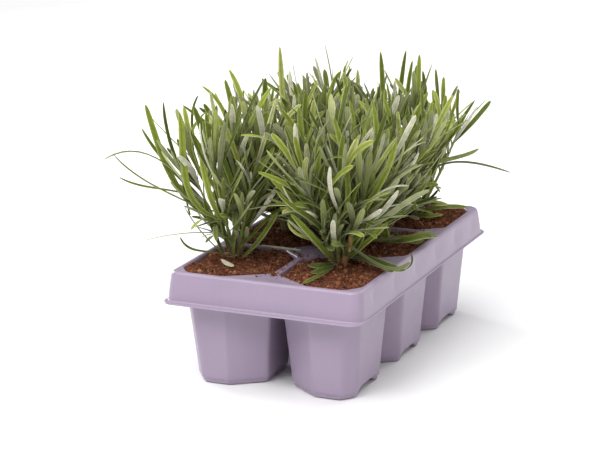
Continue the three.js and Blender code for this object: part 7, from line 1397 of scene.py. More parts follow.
  [-321,65,1566,-305,79,1608,-282,99,1644,-258,130,1672,320,-63,-58,51,20,0],
  [-318,63,1650,-305,2,1754,-324,-59,1858,-317,-167,1916,393,-6,85,53,1,0],
  [-320,69,1650,-327,94,1713,-320,117,1779,-319,121,1848,356,40,-81,42,7,0],
 ]),
 ('shoot_middle_left_2', 'middle_left', [-404,55,920,-508,134,1129,-585,193,1311,-661,250,1523], [
  [-653,244,1500,-627,264,1618,-597,283,1731,-561,300,1843,379,-85,44,28,-30,1],
  [-656,247,1510,-737,271,1609,-822,293,1699,-911,314,1785,454,96,-2,29,3,1],
  [-608,210,1382,-647,185,1518,-685,166,1651,-724,151,1784,365,-13,95,30,2,1],
  [-624,222,1423,-653,308,1529,-685,383,1636,-720,448,1749,466,5,-55,84,-25,1],
  [-414,61,943,-413,4,1050,-431,-27,1169,-427,-55,1289,434,-53,74,41,-8,0],
  [-415,66,941,-432,200,966,-439,331,1014,-455,449,1086,487,-41,-21,89,-34,0],
  [-427,76,974,-318,171,1077,-218,248,1206,-130,323,1345,487,-73,11,68,5,0],
  [-433,74,972,-570,49,997,-690,6,1065,-771,-54,1168,441,7,46,89,31,0],
  [-443,84,1005,-432,46,1151,-419,11,1301,-422,22,1454,386,-66,70,25,-18,0],
  [-446,88,1002,-513,160,1014,-588,229,1022,-633,297,960,337,-1,-15,99,-15,0],
  [-458,100,1033,-398,253,1028,-357,415,1019,-328,579,1037,326,-45,21,87,-2,0],
  [-461,95,1033,-545,60,1059,-641,64,1070,-735,47,1055,387,1,55,84,11,0],
  [-473,105,1065,-509,16,1186,-559,-98,1280,-572,-207,1392,404,-33,80,50,32,0],
  [-474,110,1062,-501,263,1017,-548,418,985,-551,546,880,402,-38,20,90,-5,0],
  [-485,120,1093,-419,240,1139,-345,356,1192,-254,470,1209,325,-59,3,81,10,0],
  [-490,117,1092,-658,79,1067,-830,100,1032,-1004,120,1009,471,-22,35,91,3,0],
  [-499,126,1124,-463,16,1237,-437,-121,1323,-383,-261,1391,443,-49,54,69,10,0],
  [-501,131,1122,-538,201,1154,-571,266,1203,-571,352,1185,424,-11,-44,89,-46,0],
  [-513,141,1152,-498,272,1185,-464,403,1213,-454,541,1224,494,-49,-15,86,-5,0],
  [-515,136,1153,-584,101,1239,-655,53,1321,-757,3,1354,303,13,87,48,-2,0],
  [-455,92,1018,-617,110,1024,-779,135,996,-934,145,937,365,6,29,95,-40,0],
  [-479,112,1071,-617,222,1130,-728,330,1236,-885,429,1210,421,23,-20,95,1,0],
  [-503,127,1124,-638,99,1215,-745,49,1332,-842,-2,1457,361,32,64,70,-21,0],
  [-498,130,1125,-459,203,1270,-399,280,1407,-354,407,1508,503,-95,-8,31,-24,0],
  [-524,149,1176,-563,229,1257,-613,291,1350,-660,343,1449,454,-22,-73,64,-8,0],
  [-525,144,1177,-580,110,1288,-640,68,1396,-682,33,1514,493,-4,96,29,24,0],
  [-549,162,1228,-658,158,1284,-774,146,1330,-890,140,1285,495,38,45,81,-13,0],
  [-544,165,1229,-506,240,1336,-468,297,1456,-433,351,1578,367,-87,-18,46,23,0],
  [-570,182,1279,-657,273,1379,-752,372,1467,-889,448,1427,388,30,-55,78,17,0],
  [-568,177,1281,-602,129,1377,-637,90,1479,-636,31,1577,343,-22,89,40,6,0],
  [-592,195,1332,-743,192,1391,-891,169,1460,-995,126,1581,412,32,37,87,-3,0],
  [-587,198,1333,-589,274,1473,-580,344,1616,-497,435,1718,448,-87,-43,24,-10,0],
  [-611,214,1385,-673,288,1455,-731,335,1550,-749,448,1591,433,21,-56,80,6,0],
  [-608,210,1387,-571,180,1547,-567,134,1709,-536,42,1847,355,-76,58,30,7,0],
  [-633,225,1439,-742,212,1586,-841,188,1740,-885,191,1920,398,48,76,44,1,0],
  [-629,230,1439,-629,325,1545,-622,408,1662,-611,501,1772,351,-63,-56,54,-21,0],
  [-653,244,1493,-762,313,1584,-862,388,1682,-962,500,1738,340,51,-25,83,8,0],
  [-650,240,1495,-679,245,1612,-704,250,1729,-717,234,1848,373,-41,90,-12,54,0],
  [-659,252,1516,-672,272,1543,-685,292,1570,-698,311,1599,184,1,-80,60,0,0],
  [-660,245,1517,-672,242,1538,-685,239,1559,-696,238,1581,219,31,90,31,0,0],
  [-655,248,1518,-665,259,1562,-675,270,1606,-686,281,1650,164,-97,9,-24,0,0],
  [-662,250,1515,-687,266,1545,-713,283,1574,-736,298,1605,176,62,-31,72,0,0],
  [-661,245,1517,-678,250,1556,-696,256,1595,-713,262,1635,177,49,87,10,0,0],
  [-655,248,1518,-662,259,1562,-669,270,1606,-678,280,1649,166,-98,9,-18,0,0],
  [-420,67,946,-545,159,961,-651,278,960,-743,394,900,431,7,-4,100,-11,0],
  [-449,93,1015,-455,141,1056,-453,197,1088,-436,259,1095,331,-60,-53,60,20,0],
  [-480,113,1073,-553,177,1066,-616,221,1001,-673,263,930,336,-9,3,100,34,0],
  [-500,125,1117,-605,137,1237,-687,128,1375,-794,114,1493,458,60,64,48,-26,0],
  [-496,129,1118,-482,176,1158,-476,233,1189,-459,292,1212,290,-73,-27,62,-7,0],
  [-526,149,1176,-627,274,1230,-705,382,1337,-740,478,1475,396,6,-34,94,10,0],
  [-554,165,1240,-622,174,1335,-661,165,1446,-758,121,1497,372,59,71,39,-3,0],
  [-549,169,1241,-554,197,1286,-550,220,1334,-523,247,1372,293,-80,-53,30,-51,0],
  [-566,179,1270,-638,241,1297,-722,275,1340,-806,300,1389,320,16,-19,97,26,0],
  [-563,175,1273,-592,183,1468,-626,212,1662,-655,207,1859,398,-68,72,-12,-5,0],
  [-593,195,1339,-679,161,1472,-743,173,1622,-790,197,1776,433,20,90,38,0,0],
  [-591,201,1338,-615,302,1398,-634,392,1477,-682,453,1571,359,-31,-52,79,5,0],
  [-616,215,1393,-698,247,1445,-777,267,1509,-849,261,1583,464,52,1,85,6,0],
  [-611,213,1395,-613,223,1470,-605,236,1544,-572,240,1612,335,-92,40,-4,15,0],
  [-635,229,1457,-644,221,1522,-658,227,1588,-668,224,1654,288,-52,85,8,-36,0],
  [-656,246,1502,-718,295,1612,-767,358,1723,-869,405,1801,366,60,-53,60,-19,0],
 ]),
 ('shoot_middle_left_3', 'middle_left', [-407,10,920,-545,-64,1135,-640,-116,1328,-724,-161,1561], [
  [-716,-157,1540,-705,-155,1645,-682,-148,1745,-648,-136,1842,378,-92,-32,-23,19,1],
  [-711,-154,1524,-790,-182,1625,-859,-209,1730,-919,-235,1840,435,53,-41,75,-30,1],
  [-679,-137,1444,-715,-199,1565,-750,-259,1682,-785,-319,1799,442,-45,84,-29,-9,1],
  [-685,-140,1457,-766,-93,1598,-843,-66,1742,-914,-58,1890,371,-32,-92,-24,7,1],
  [-499,-166,877,-478,-299,898,-434,-433,936,-487,-564,900,320,46,7,89,0,0,60,20],
  [-419,1,943,-330,-92,1036,-220,-175,1123,-144,-299,1193,340,-75,-8,65,-45,0],
  [-424,3,941,-505,23,939,-583,61,939,-651,114,943,342,-14,-40,90,5,0],
  [-440,-6,976,-442,88,1106,-433,217,1205,-382,359,1269,414,-58,-66,48,-11,0],
  [-443,-9,973,-553,-65,1031,-649,-131,1105,-738,-173,1202,400,38,16,91,-44,0],
  [-459,-21,1006,-364,-140,1044,-272,-220,1147,-205,-293,1273,500,-56,-19,81,-49,0],
  [-463,-18,1005,-607,-10,988,-752,15,989,-897,1,1008,404,-14,-31,94,26,0],
  [-480,-26,1038,-506,64,1092,-542,145,1159,-589,244,1178,361,-44,-55,71,-10,0],
  [-481,-31,1036,-552,-103,1075,-624,-168,1129,-720,-222,1133,331,4,42,91,-44,0],
  [-495,-41,1069,-475,-117,1167,-498,-219,1240,-505,-346,1236,438,-87,26,41,-2,0],
  [-500,-38,1067,-611,-39,1051,-716,-32,1008,-809,-15,944,448,-15,-28,95,-9,0],
  [-515,-46,1101,-500,97,1209,-531,218,1341,-511,315,1494,405,-51,-48,71,18,0],
  [-515,-51,1099,-569,-187,1168,-609,-338,1217,-635,-498,1192,394,-34,52,78,11,0],
  [-530,-58,1132,-471,-122,1266,-433,-165,1416,-407,-182,1575,489,-91,0,41,5,0],
  [-535,-57,1130,-679,-55,1108,-824,-23,1107,-970,-2,1086,392,-15,-27,95,-5,0],
  [-547,-65,1164,-500,-3,1309,-458,58,1459,-437,100,1620,451,-71,-52,47,6,0],
  [-550,-69,1161,-613,-148,1216,-666,-199,1308,-715,-216,1413,346,-1,56,83,8,0],
  [-464,-24,1015,-441,-147,1095,-430,-290,1142,-386,-408,1225,412,-73,26,64,2,0],
  [-467,-19,1015,-544,38,1099,-625,122,1154,-717,206,1117,432,-9,-85,52,-39,0],
  [-498,-40,1064,-618,-146,1069,-707,-272,1016,-824,-371,958,419,-8,12,99,-19,0],
  [-493,-37,1067,-491,-55,1215,-469,-84,1360,-486,-131,1501,444,-95,-31,0,27,0],
  [-524,-56,1115,-552,-195,1177,-581,-318,1270,-589,-395,1407,482,-46,42,78,0,0],
  [-525,-50,1116,-611,0,1214,-676,30,1335,-700,74,1467,455,2,-87,49,11,0],
  [-554,-66,1165,-700,-51,1241,-812,-46,1364,-910,-44,1499,422,35,-49,80,-26,0],
  [-549,-67,1168,-541,-83,1303,-528,-79,1440,-459,-49,1555,421,-96,-28,4,21,0],
  [-577,-85,1216,-607,-188,1282,-648,-288,1352,-676,-380,1437,425,-39,56,73,-3,0],
  [-579,-79,1216,-651,-69,1303,-709,-86,1401,-765,-107,1498,342,38,-82,44,-9,0],
  [-605,-95,1266,-683,-121,1335,-763,-150,1402,-853,-182,1453,308,65,-2,76,18,0],
  [-599,-96,1268,-624,-162,1446,-681,-241,1613,-707,-288,1797,336,-95,31,0,-53,0],
  [-627,-111,1317,-710,-207,1442,-779,-300,1580,-856,-461,1559,423,7,76,65,-51,0],
  [-627,-105,1319,-728,-23,1449,-813,82,1578,-937,222,1581,368,1,-84,55,18,0],
  [-651,-122,1369,-768,-173,1405,-856,-229,1490,-980,-278,1468,350,25,6,97,13,0],
  [-646,-119,1372,-605,-102,1535,-558,-72,1697,-496,-58,1856,465,-86,-43,28,-16,0],
  [-672,-135,1422,-741,-213,1515,-815,-296,1602,-899,-402,1563,383,16,68,72,16,0],
  [-671,-130,1423,-730,-84,1557,-794,-39,1689,-810,-19,1841,497,-8,-95,31,14,0],
  [-694,-146,1476,-747,-184,1577,-801,-228,1675,-862,-294,1756,381,46,71,53,4,0],
  [-690,-145,1478,-677,-190,1654,-677,-239,1832,-608,-274,1999,367,-99,8,10,-16,0],
  [-713,-158,1531,-746,-237,1622,-793,-330,1693,-843,-446,1699,342,-24,76,60,-11,0],
  [-713,-152,1532,-737,-142,1626,-741,-149,1724,-760,-114,1814,343,-34,-94,5,0,0],
  [-722,-156,1554,-738,-152,1592,-753,-147,1629,-769,-145,1666,163,11,-98,17,0,0],
  [-724,-162,1553,-741,-174,1585,-759,-185,1618,-775,-196,1651,208,57,62,53,0,0],
  [-718,-161,1555,-725,-171,1590,-731,-181,1625,-738,-190,1660,165,-90,43,-4,0,0],
  [-723,-156,1554,-738,-158,1589,-753,-160,1624,-767,-163,1659,222,37,-92,11,0,0],
  [-722,-163,1553,-731,-176,1574,-740,-189,1595,-749,-200,1617,219,-4,86,51,0,0],
  [-719,-158,1555,-728,-163,1598,-738,-169,1640,-749,-174,1682,179,-85,-46,-26,0,0],
  [-423,-2,948,-421,-63,988,-411,-137,976,-406,-198,933,269,-71,34,62,4,0],
  [-458,-15,1005,-457,9,1038,-457,32,1076,-466,48,1116,272,-59,-63,51,5,0],
  [-459,-21,1002,-488,-71,1019,-521,-123,1010,-540,-174,979,285,-26,40,88,7,0],
  [-483,-34,1048,-471,-78,1090,-452,-128,1125,-423,-179,1149,386,-81,24,54,1,0],
  [-487,-30,1047,-573,7,1113,-666,53,1165,-775,91,1155,399,12,-77,62,48,0],
  [-529,-54,1128,-584,-41,1270,-642,-42,1413,-735,-29,1535,437,-38,-92,-4,-11,0],
  [-532,-58,1125,-579,-88,1136,-616,-117,1172,-669,-142,1182,250,10,14,98,45,0],
  [-558,-74,1185,-580,-125,1297,-598,-134,1423,-554,-104,1538,319,-89,45,5,8,0],
  [-574,-78,1214,-587,-26,1354,-586,-4,1503,-540,79,1622,417,-58,-78,26,-20,0],
  [-578,-82,1212,-691,-137,1318,-779,-216,1433,-853,-320,1539,353,59,22,77,-2,0],
  [-598,-96,1261,-614,-197,1370,-642,-261,1504,-651,-410,1532,326,-61,61,50,-12,0],
  [-601,-91,1261,-734,-47,1388,-839,9,1538,-1028,37,1534,321,29,-76,58,19,0],
  [-622,-104,1313,-656,-74,1453,-679,-63,1600,-711,-71,1745,455,-45,-89,10,-32,0],
  [-643,-119,1365,-639,-134,1436,-655,-154,1506,-658,-173,1578,317,-99,-6,8,0,0],
  [-647,-116,1364,-735,-76,1535,-870,-79,1679,-1046,-75,1770,495,4,-96,26,-36,0],
  [-670,-131,1426,-676,-131,1469,-677,-131,1513,-652,-129,1550,234,-77,-63,-5,8,0],
  [-673,-135,1423,-757,-209,1458,-851,-274,1493,-930,-343,1549,322,12,28,95,-5,0],
  [-687,-139,1456,-729,-142,1493,-767,-145,1535,-821,-159,1548,275,61,-32,73,20,0],
  [-706,-149,1514,-742,-117,1631,-741,-96,1757,-744,-87,1884,506,-22,-95,21,37,0],
 ]),
 ('shoot_middle_left_4', 'middle_left', [-376,-12,920,-393,-122,1163,-403,-190,1376,-411,-238,1624], [
  [-390,-102,1138,-430,-15,1427,-452,83,1719,-602,111,1990,423,61,-72,33,1,1],
  [-409,-227,1568,-449,-214,1691,-495,-193,1808,-548,-163,1918,409,63,-31,71,-12,1],
  [-410,-233,1599,-383,-293,1707,-365,-342,1819,-357,-380,1936,387,-56,77,31,23,1],
  [-407,-211,1496,-375,-216,1642,-355,-230,1785,-347,-254,1927,368,-62,-75,23,9,1],
  [-405,-203,1462,-474,-305,1579,-543,-406,1688,-617,-511,1791,361,1,97,25,-5,1],
  [-381,-23,945,-448,-63,1029,-538,-116,1081,-605,-207,1055,472,80,-21,56,3,0],
  [-375,-25,945,-282,-92,987,-187,-153,1040,-123,-224,1120,411,-49,-16,86,-14,0],
  [-379,-42,980,-324,-147,987,-264,-239,1040,-194,-298,1121,492,-24,-8,97,18,0],
  [-381,-36,983,-398,70,1046,-391,173,1121,-388,302,1116,417,-4,-51,86,-10,0],
  [-385,-56,1016,-437,-126,1085,-483,-187,1169,-569,-253,1201,302,61,25,75,4,0],
  [-380,-54,1017,-232,-44,1081,-70,-29,1070,89,-20,1033,346,-33,-42,85,-17,0],
  [-385,-72,1051,-396,-187,1105,-423,-278,1193,-483,-374,1257,460,1,41,91,27,0],
  [-383,-67,1053,-345,-15,1098,-321,34,1159,-293,92,1208,417,-18,-55,81,-19,0],
  [-390,-83,1087,-539,-90,1109,-690,-80,1082,-835,-68,1035,312,15,-36,92,3,0],
  [-384,-84,1087,-283,-150,1151,-184,-205,1232,-78,-262,1302,498,-57,-12,81,7,0],
  [-388,-99,1121,-349,-193,1101,-308,-290,1090,-270,-389,1085,393,-10,-25,96,0,0],
  [-387,-94,1123,-331,-38,1166,-272,22,1207,-221,90,1246,318,-17,-48,86,4,0],
  [-394,-109,1156,-490,-157,1262,-549,-207,1393,-580,-240,1538,481,75,-15,64,-2,0],
  [-388,-109,1157,-284,-131,1260,-149,-171,1311,-6,-216,1309,395,-69,-33,64,0,0],
  [-393,-124,1190,-421,-269,1238,-470,-396,1316,-541,-535,1299,400,7,29,95,4,0],
  [-391,-119,1192,-304,-35,1286,-210,76,1343,-83,163,1316,388,-27,-57,78,-3,0],
  [-377,-36,969,-293,-147,1001,-200,-254,1034,-109,-366,1014,430,-39,-4,92,27,0],
  [-386,-60,1026,-518,-141,1093,-663,-192,1169,-810,-279,1182,346,49,-12,86,6,0],
  [-385,-84,1083,-344,-203,1140,-319,-319,1216,-301,-435,1293,375,-35,29,89,-31,0],
  [-393,-104,1139,-500,-196,1242,-606,-268,1363,-691,-325,1507,455,64,8,76,-11,0],
  [-387,-102,1141,-274,-80,1287,-151,-26,1419,26,32,1453,426,-60,-57,57,9,0],
  [-394,-121,1197,-415,-128,1352,-403,-150,1507,-387,-142,1664,330,25,-97,0,-8,0],
  [-393,-126,1195,-392,-243,1264,-439,-344,1347,-496,-468,1365,473,-8,49,87,12,0],
  [-399,-141,1251,-467,-177,1412,-537,-200,1575,-617,-194,1734,442,88,-36,31,18,0],
  [-393,-141,1252,-324,-159,1425,-253,-157,1600,-194,-129,1777,469,-82,-49,29,5,0],
  [-401,-158,1307,-470,-135,1393,-533,-102,1484,-573,-58,1583,378,52,-60,61,32,0],
  [-397,-162,1306,-318,-289,1389,-235,-409,1484,-165,-540,1574,487,-46,25,85,-13,0],
  [-398,-176,1363,-324,-204,1453,-250,-222,1548,-174,-291,1613,470,-77,-15,62,-4,0],
  [-405,-189,1420,-453,-169,1585,-516,-140,1746,-614,-103,1886,450,48,-84,26,-19,0],
  [-408,-208,1476,-476,-288,1609,-538,-353,1755,-543,-433,1907,332,69,40,61,4,0],
  [-403,-205,1476,-360,-218,1624,-298,-234,1765,-150,-278,1783,322,-86,-44,23,-16,0],
  [-408,-216,1534,-411,-206,1686,-400,-176,1836,-386,-146,1986,328,-5,-100,8,-19,0],
  [-408,-222,1533,-415,-270,1638,-435,-332,1734,-466,-421,1802,303,10,89,44,10,0],
  [-413,-233,1592,-458,-269,1662,-487,-301,1743,-565,-331,1784,304,73,26,64,5,0],
  [-407,-232,1593,-388,-254,1709,-375,-251,1829,-384,-227,1947,327,-98,-10,17,-32,0],
  [-411,-233,1617,-413,-230,1658,-415,-226,1698,-416,-225,1739,200,4,-100,9,0,0],
  [-412,-240,1616,-416,-253,1646,-420,-266,1676,-424,-277,1706,203,37,83,41,0,0],
  [-407,-237,1617,-398,-246,1655,-388,-254,1693,-381,-263,1731,214,-96,7,26,0,0],
  [-412,-233,1617,-420,-227,1661,-427,-220,1704,-434,-216,1748,168,35,-92,20,0,0],
  [-412,-240,1616,-415,-252,1643,-419,-263,1670,-421,-274,1698,186,33,85,41,0,0],
  [-407,-236,1617,-403,-243,1661,-399,-250,1706,-395,-258,1750,199,-97,-24,5,0,0],
  [-385,-86,1090,-292,-236,1179,-196,-386,1270,-81,-519,1365,385,-49,19,85,32,0],
  [-389,-82,1092,-422,-61,1136,-454,-36,1182,-485,-23,1233,323,33,-71,62,19,0],
  [-391,-127,1198,-379,-160,1231,-354,-184,1268,-310,-206,1257,328,-51,45,73,3,0],
  [-395,-140,1234,-399,-179,1266,-396,-214,1306,-379,-262,1316,269,3,59,81,6,0],
  [-399,-180,1379,-375,-181,1418,-355,-178,1461,-346,-174,1507,257,-75,-41,52,-4,0],
  [-403,-183,1378,-429,-271,1500,-462,-376,1608,-479,-464,1732,322,32,72,61,39,0],
  [-405,-192,1432,-454,-123,1585,-487,-60,1747,-537,13,1900,384,26,-84,48,-31,0],
  [-407,-205,1463,-486,-334,1586,-539,-434,1748,-586,-578,1874,382,45,45,77,31,0],
  [-410,-215,1524,-450,-197,1611,-493,-188,1702,-582,-173,1744,296,58,-69,43,-17,0],
  [-411,-232,1610,-422,-231,1762,-421,-235,1915,-417,-215,2066,424,17,-98,4,40,0],
  [-412,-238,1609,-428,-294,1762,-446,-345,1918,-534,-474,1971,407,39,85,37,14,0],
 ]),
 ('shoot_middle_left_5', 'middle_left', [-337,4,920,-226,-84,1120,-150,-144,1300,-84,-196,1516], [
  [-244,-70,1101,-251,18,1361,-250,108,1620,-193,216,1868,442,63,-74,24,5,1],
  [-88,-193,1503,-117,-209,1631,-147,-224,1754,-177,-240,1878,458,82,-58,5,-7,1],
  [-89,-192,1501,7,-219,1587,111,-243,1658,224,-264,1714,429,-78,10,62,15,1],
  [-112,-174,1427,-67,-264,1570,-22,-349,1710,24,-432,1851,385,-10,30,95,-5,1],
  [-145,-148,1336,-34,-189,1418,80,-228,1487,201,-266,1545,355,-44,36,82,-23,1],
  [-129,-161,1380,-132,-131,1525,-138,-98,1664,-148,-60,1802,401,59,-77,26,-24,1],
  [-152,-143,1317,-151,-189,1449,-152,-235,1577,-155,-281,1705,361,75,48,-45,-12,1],
  [-323,-4,940,-241,12,950,-160,30,977,-116,61,1045,426,1,-49,87,-38,0],
  [-328,-5,942,-427,-29,1026,-503,-37,1136,-593,-43,1235,428,65,-32,69,-9,0],
  [-309,-15,971,-269,133,1021,-234,281,1083,-181,432,1120,334,43,-39,81,-20,0],
  [-310,-21,969,-265,-130,1030,-212,-233,1098,-159,-319,1187,367,30,54,79,26,0],
  [-291,-31,999,-221,-65,1040,-147,-94,1082,-69,-120,1045,401,-49,-2,87,-14,0],
  [-278,-39,1030,-228,66,1060,-179,179,1066,-127,289,1052,415,39,-42,82,13,0],
  [-279,-45,1028,-245,-198,1097,-229,-344,1190,-184,-510,1210,471,41,44,80,12,0],
  [-261,-53,1057,-179,-47,1043,-102,-33,1005,-26,-16,965,279,19,-36,91,21,0],
  [-267,-53,1060,-285,-63,1165,-309,-78,1270,-305,-78,1379,314,90,-42,14,33,0],
  [-250,-62,1088,-208,-22,1198,-136,68,1249,-53,157,1279,379,24,-93,27,27,0],
  [-248,-66,1086,-146,-141,1136,-60,-212,1216,32,-259,1306,442,-30,18,94,-4,0],
  [-234,-75,1115,-120,-73,1121,-5,-69,1100,92,-80,1037,333,-3,-36,93,-27,0],
  [-239,-77,1117,-296,-173,1259,-321,-240,1426,-425,-301,1564,331,90,8,43,-3,0],
  [-221,-84,1145,-99,18,1232,51,119,1261,216,200,1256,352,7,-69,73,-12,0],
  [-225,-88,1146,-283,-156,1187,-335,-217,1249,-364,-278,1324,286,63,-8,77,-19,0],
  [-315,-17,964,-387,-119,1016,-470,-210,1076,-574,-276,1136,372,67,-10,74,-5,0],
  [-313,-12,964,-250,39,1090,-185,87,1217,-115,123,1346,359,20,-93,30,-3,0],
  [-285,-39,1014,-190,-166,1017,-75,-277,1036,18,-402,1075,341,13,11,99,-10,0],
  [-261,-60,1066,-278,-176,1093,-315,-287,1133,-352,-398,1175,431,53,10,84,24,0],
  [-233,-76,1117,-126,-99,1202,-15,-137,1279,114,-156,1331,353,-61,-37,70,-10,0],
  [-213,-97,1168,-186,-228,1277,-165,-342,1407,-150,-406,1568,330,47,61,64,40,0],
  [-210,-93,1169,-95,-84,1292,27,-74,1409,176,-21,1472,467,-45,-75,49,47,0],
  [-170,-132,1271,-140,-240,1388,-87,-363,1483,-34,-510,1432,462,43,70,57,-3,0],
  [-166,-128,1271,-83,-141,1345,-25,-146,1443,35,-146,1540,397,-63,-38,67,-16,0],
  [-147,-143,1324,-43,-146,1450,42,-129,1591,79,-138,1751,354,-60,-63,50,-39,0],
  [-132,-158,1378,-122,-168,1555,-141,-199,1729,-153,-210,1906,329,80,-59,-6,13,0],
  [-129,-163,1376,-39,-304,1475,51,-403,1620,107,-480,1792,327,-7,53,84,-19,0],
  [-113,-176,1432,-100,-211,1522,-89,-251,1612,-110,-321,1678,339,85,51,11,-21,0],
  [-108,-173,1431,-56,-185,1511,-12,-175,1598,48,-152,1671,289,-75,-48,46,8,0],
  [-95,-187,1488,-120,-170,1643,-150,-148,1798,-136,-122,1955,397,78,-59,21,-12,0],
  [-90,-189,1486,-38,-215,1591,31,-224,1691,152,-225,1688,344,-89,-9,45,38,0],
  [-86,-191,1510,-74,-193,1548,-63,-195,1585,-51,-198,1622,229,-1,-100,-5,0,0],
  [-88,-198,1509,-82,-208,1535,-76,-219,1560,-70,-228,1586,177,52,82,23,0,0],
  [-83,-195,1508,-62,-203,1536,-41,-212,1564,-22,-221,1594,202,-80,1,60,0,0],
  [-88,-192,1511,-82,-196,1551,-75,-201,1591,-68,-206,1631,194,71,-67,-19,0,0],
  [-88,-197,1509,-82,-213,1542,-77,-229,1575,-70,-244,1608,224,57,77,28,0,0],
  [-83,-194,1509,-64,-200,1539,-45,-206,1569,-28,-212,1600,175,-84,-25,47,0,0],
  [-267,-47,1050,-241,-35,1084,-213,0,1098,-180,30,1112,340,-5,-89,44,20,0],
  [-241,-74,1114,-241,-85,1157,-248,-99,1200,-261,-100,1244,326,97,-24,1,-14,0],
  [-237,-77,1111,-188,-172,1153,-151,-252,1230,-89,-349,1208,355,14,44,89,-3,0],
  [-218,-94,1161,-242,-163,1251,-292,-210,1347,-343,-315,1363,416,87,24,44,-1,0],
  [-198,-106,1209,-200,-104,1253,-201,-109,1299,-224,-103,1339,255,78,-61,13,-5,0],
  [-193,-109,1206,-61,-207,1277,47,-318,1371,143,-453,1445,332,-33,21,92,-19,0],
  [-174,-121,1256,-149,-108,1295,-131,-101,1340,-110,-66,1369,362,-11,-90,43,22,0],
  [-143,-146,1337,-99,-123,1387,-48,-110,1438,-1,-84,1486,366,-20,-79,58,42,0],
  [-132,-160,1367,-102,-224,1396,-68,-295,1396,-34,-360,1367,381,9,41,91,41,0],
  [-133,-155,1369,-101,-95,1546,-124,-64,1734,-174,60,1871,442,33,-91,26,7,0],
  [-116,-167,1414,-84,-156,1471,-47,-131,1522,-4,-96,1561,256,-24,-90,36,-1,0],
  [-99,-187,1469,-73,-229,1559,-47,-259,1655,3,-308,1732,379,28,89,36,18,0],
  [-100,-182,1470,-85,-164,1617,-69,-171,1765,-70,-137,1911,429,51,-86,7,-10,0],
 ]),
 ('shoot_middle_left_6', 'middle_left', [-332,47,920,-251,82,1114,-192,108,1280,-135,133,1472], [
  [-142,130,1447,-134,95,1552,-125,65,1655,-113,39,1758,459,10,93,36,-11,1],
  [-138,131,1461,-78,193,1555,-19,254,1645,41,317,1733,455,-44,-51,73,-22,1],
  [-161,122,1388,-92,112,1488,-16,94,1577,68,67,1656,374,-46,73,51,4,1],
  [-202,104,1261,-148,67,1394,-95,43,1526,-44,30,1660,404,-19,95,23,23,1],
  [-160,122,1391,-168,158,1529,-194,197,1660,-236,240,1785,409,95,-6,32,8,1],
  [-324,48,941,-317,-83,997,-320,-202,1080,-270,-339,1075,311,38,37,85,-17,0],
  [-323,54,940,-283,148,993,-268,218,1088,-276,297,1174,321,20,-53,82,16,0],
  [-309,54,968,-220,18,1009,-126,-10,1052,-32,-51,1020,321,-19,47,86,10,0],
  [-314,58,969,-372,170,1044,-466,276,1091,-573,380,1101,402,61,-19,77,13,0],
  [-299,58,997,-193,-80,1008,-62,-199,1008,67,-304,946,319,28,28,92,-9,0],
  [-300,64,996,-255,145,1052,-213,204,1135,-184,244,1234,306,10,-58,81,-42,0],
  [-286,66,1024,-144,99,1123,16,136,1194,186,177,1228,457,-56,0,83,25,0],
  [-292,67,1026,-386,134,1157,-542,221,1157,-696,297,1114,340,79,-6,61,-6,0],
  [-279,67,1054,-283,-24,1115,-285,-70,1218,-279,-94,1328,297,40,49,78,-14,0],
  [-278,73,1052,-244,201,1069,-204,321,1121,-155,442,1161,403,29,-19,94,-2,0],
  [-265,75,1079,-92,58,1033,66,36,946,238,-2,895,326,27,16,95,-13,0],
  [-270,76,1081,-329,156,1214,-380,271,1325,-483,384,1395,405,82,-24,52,-12,0],
  [-258,77,1108,-252,21,1182,-255,-40,1254,-261,-132,1278,290,42,73,54,9,0],
  [-259,82,1108,-287,163,1164,-313,225,1245,-348,292,1317,310,58,-31,75,-20,0],
  [-244,84,1134,-104,82,1160,37,74,1197,155,59,1281,475,-17,18,97,34,0],
  [-250,86,1135,-277,154,1276,-323,204,1422,-335,230,1580,495,86,-36,36,16,0],
  [-285,68,1028,-147,158,1038,-15,256,1068,102,363,1013,362,-1,-9,100,12,0],
  [-265,73,1089,-213,50,1237,-161,14,1384,-124,-7,1538,420,15,98,12,6,0],
  [-265,79,1088,-247,174,1193,-230,239,1321,-254,367,1384,499,44,-69,57,-11,0],
  [-240,85,1146,-74,80,1218,69,36,1321,206,31,1442,372,-37,23,90,-3,0],
  [-220,92,1205,-160,33,1284,-85,-31,1347,-18,-104,1410,438,-7,76,65,-32,0],
  [-221,98,1205,-167,163,1321,-119,215,1447,-84,287,1567,339,-7,-85,53,32,0],
  [-199,103,1263,-119,83,1320,-60,68,1403,39,46,1411,436,-43,44,79,-13,0],
  [-204,103,1264,-255,91,1370,-296,87,1483,-319,113,1598,382,84,29,46,0,0],
  [-182,110,1322,-144,79,1482,-111,40,1642,-115,-35,1791,445,29,95,13,-17,0],
  [-183,115,1322,-182,206,1383,-186,265,1478,-196,337,1563,359,40,-50,77,42,0],
  [-161,123,1380,-65,186,1521,46,218,1662,143,282,1803,408,-54,-55,63,34,0],
  [-165,119,1382,-164,114,1573,-167,87,1762,-199,-83,1845,339,88,47,2,-23,0],
  [-142,127,1441,-86,95,1530,-21,75,1618,30,67,1716,321,-34,78,52,-35,0],
  [-145,132,1442,-122,167,1547,-92,197,1654,-32,233,1745,325,43,-88,23,2,0],
  [-137,136,1466,-126,145,1502,-115,154,1539,-104,162,1575,210,5,-97,22,0,0],
  [-139,130,1467,-139,126,1496,-140,122,1525,-138,119,1554,158,75,65,10,0,0],
  [-133,132,1465,-119,135,1493,-104,138,1520,-91,141,1548,151,-88,16,45,0,0],
  [-139,135,1466,-133,151,1508,-127,166,1550,-120,179,1592,185,60,-77,20,0,0],
  [-138,129,1467,-131,123,1513,-123,116,1558,-115,112,1604,209,46,89,5,0,0],
  [-133,133,1465,-103,144,1502,-72,154,1539,-45,164,1579,174,-73,-18,66,0,0],
  [-309,57,969,-224,100,1019,-127,153,1021,-20,173,1012,323,-38,-24,89,-8,0],
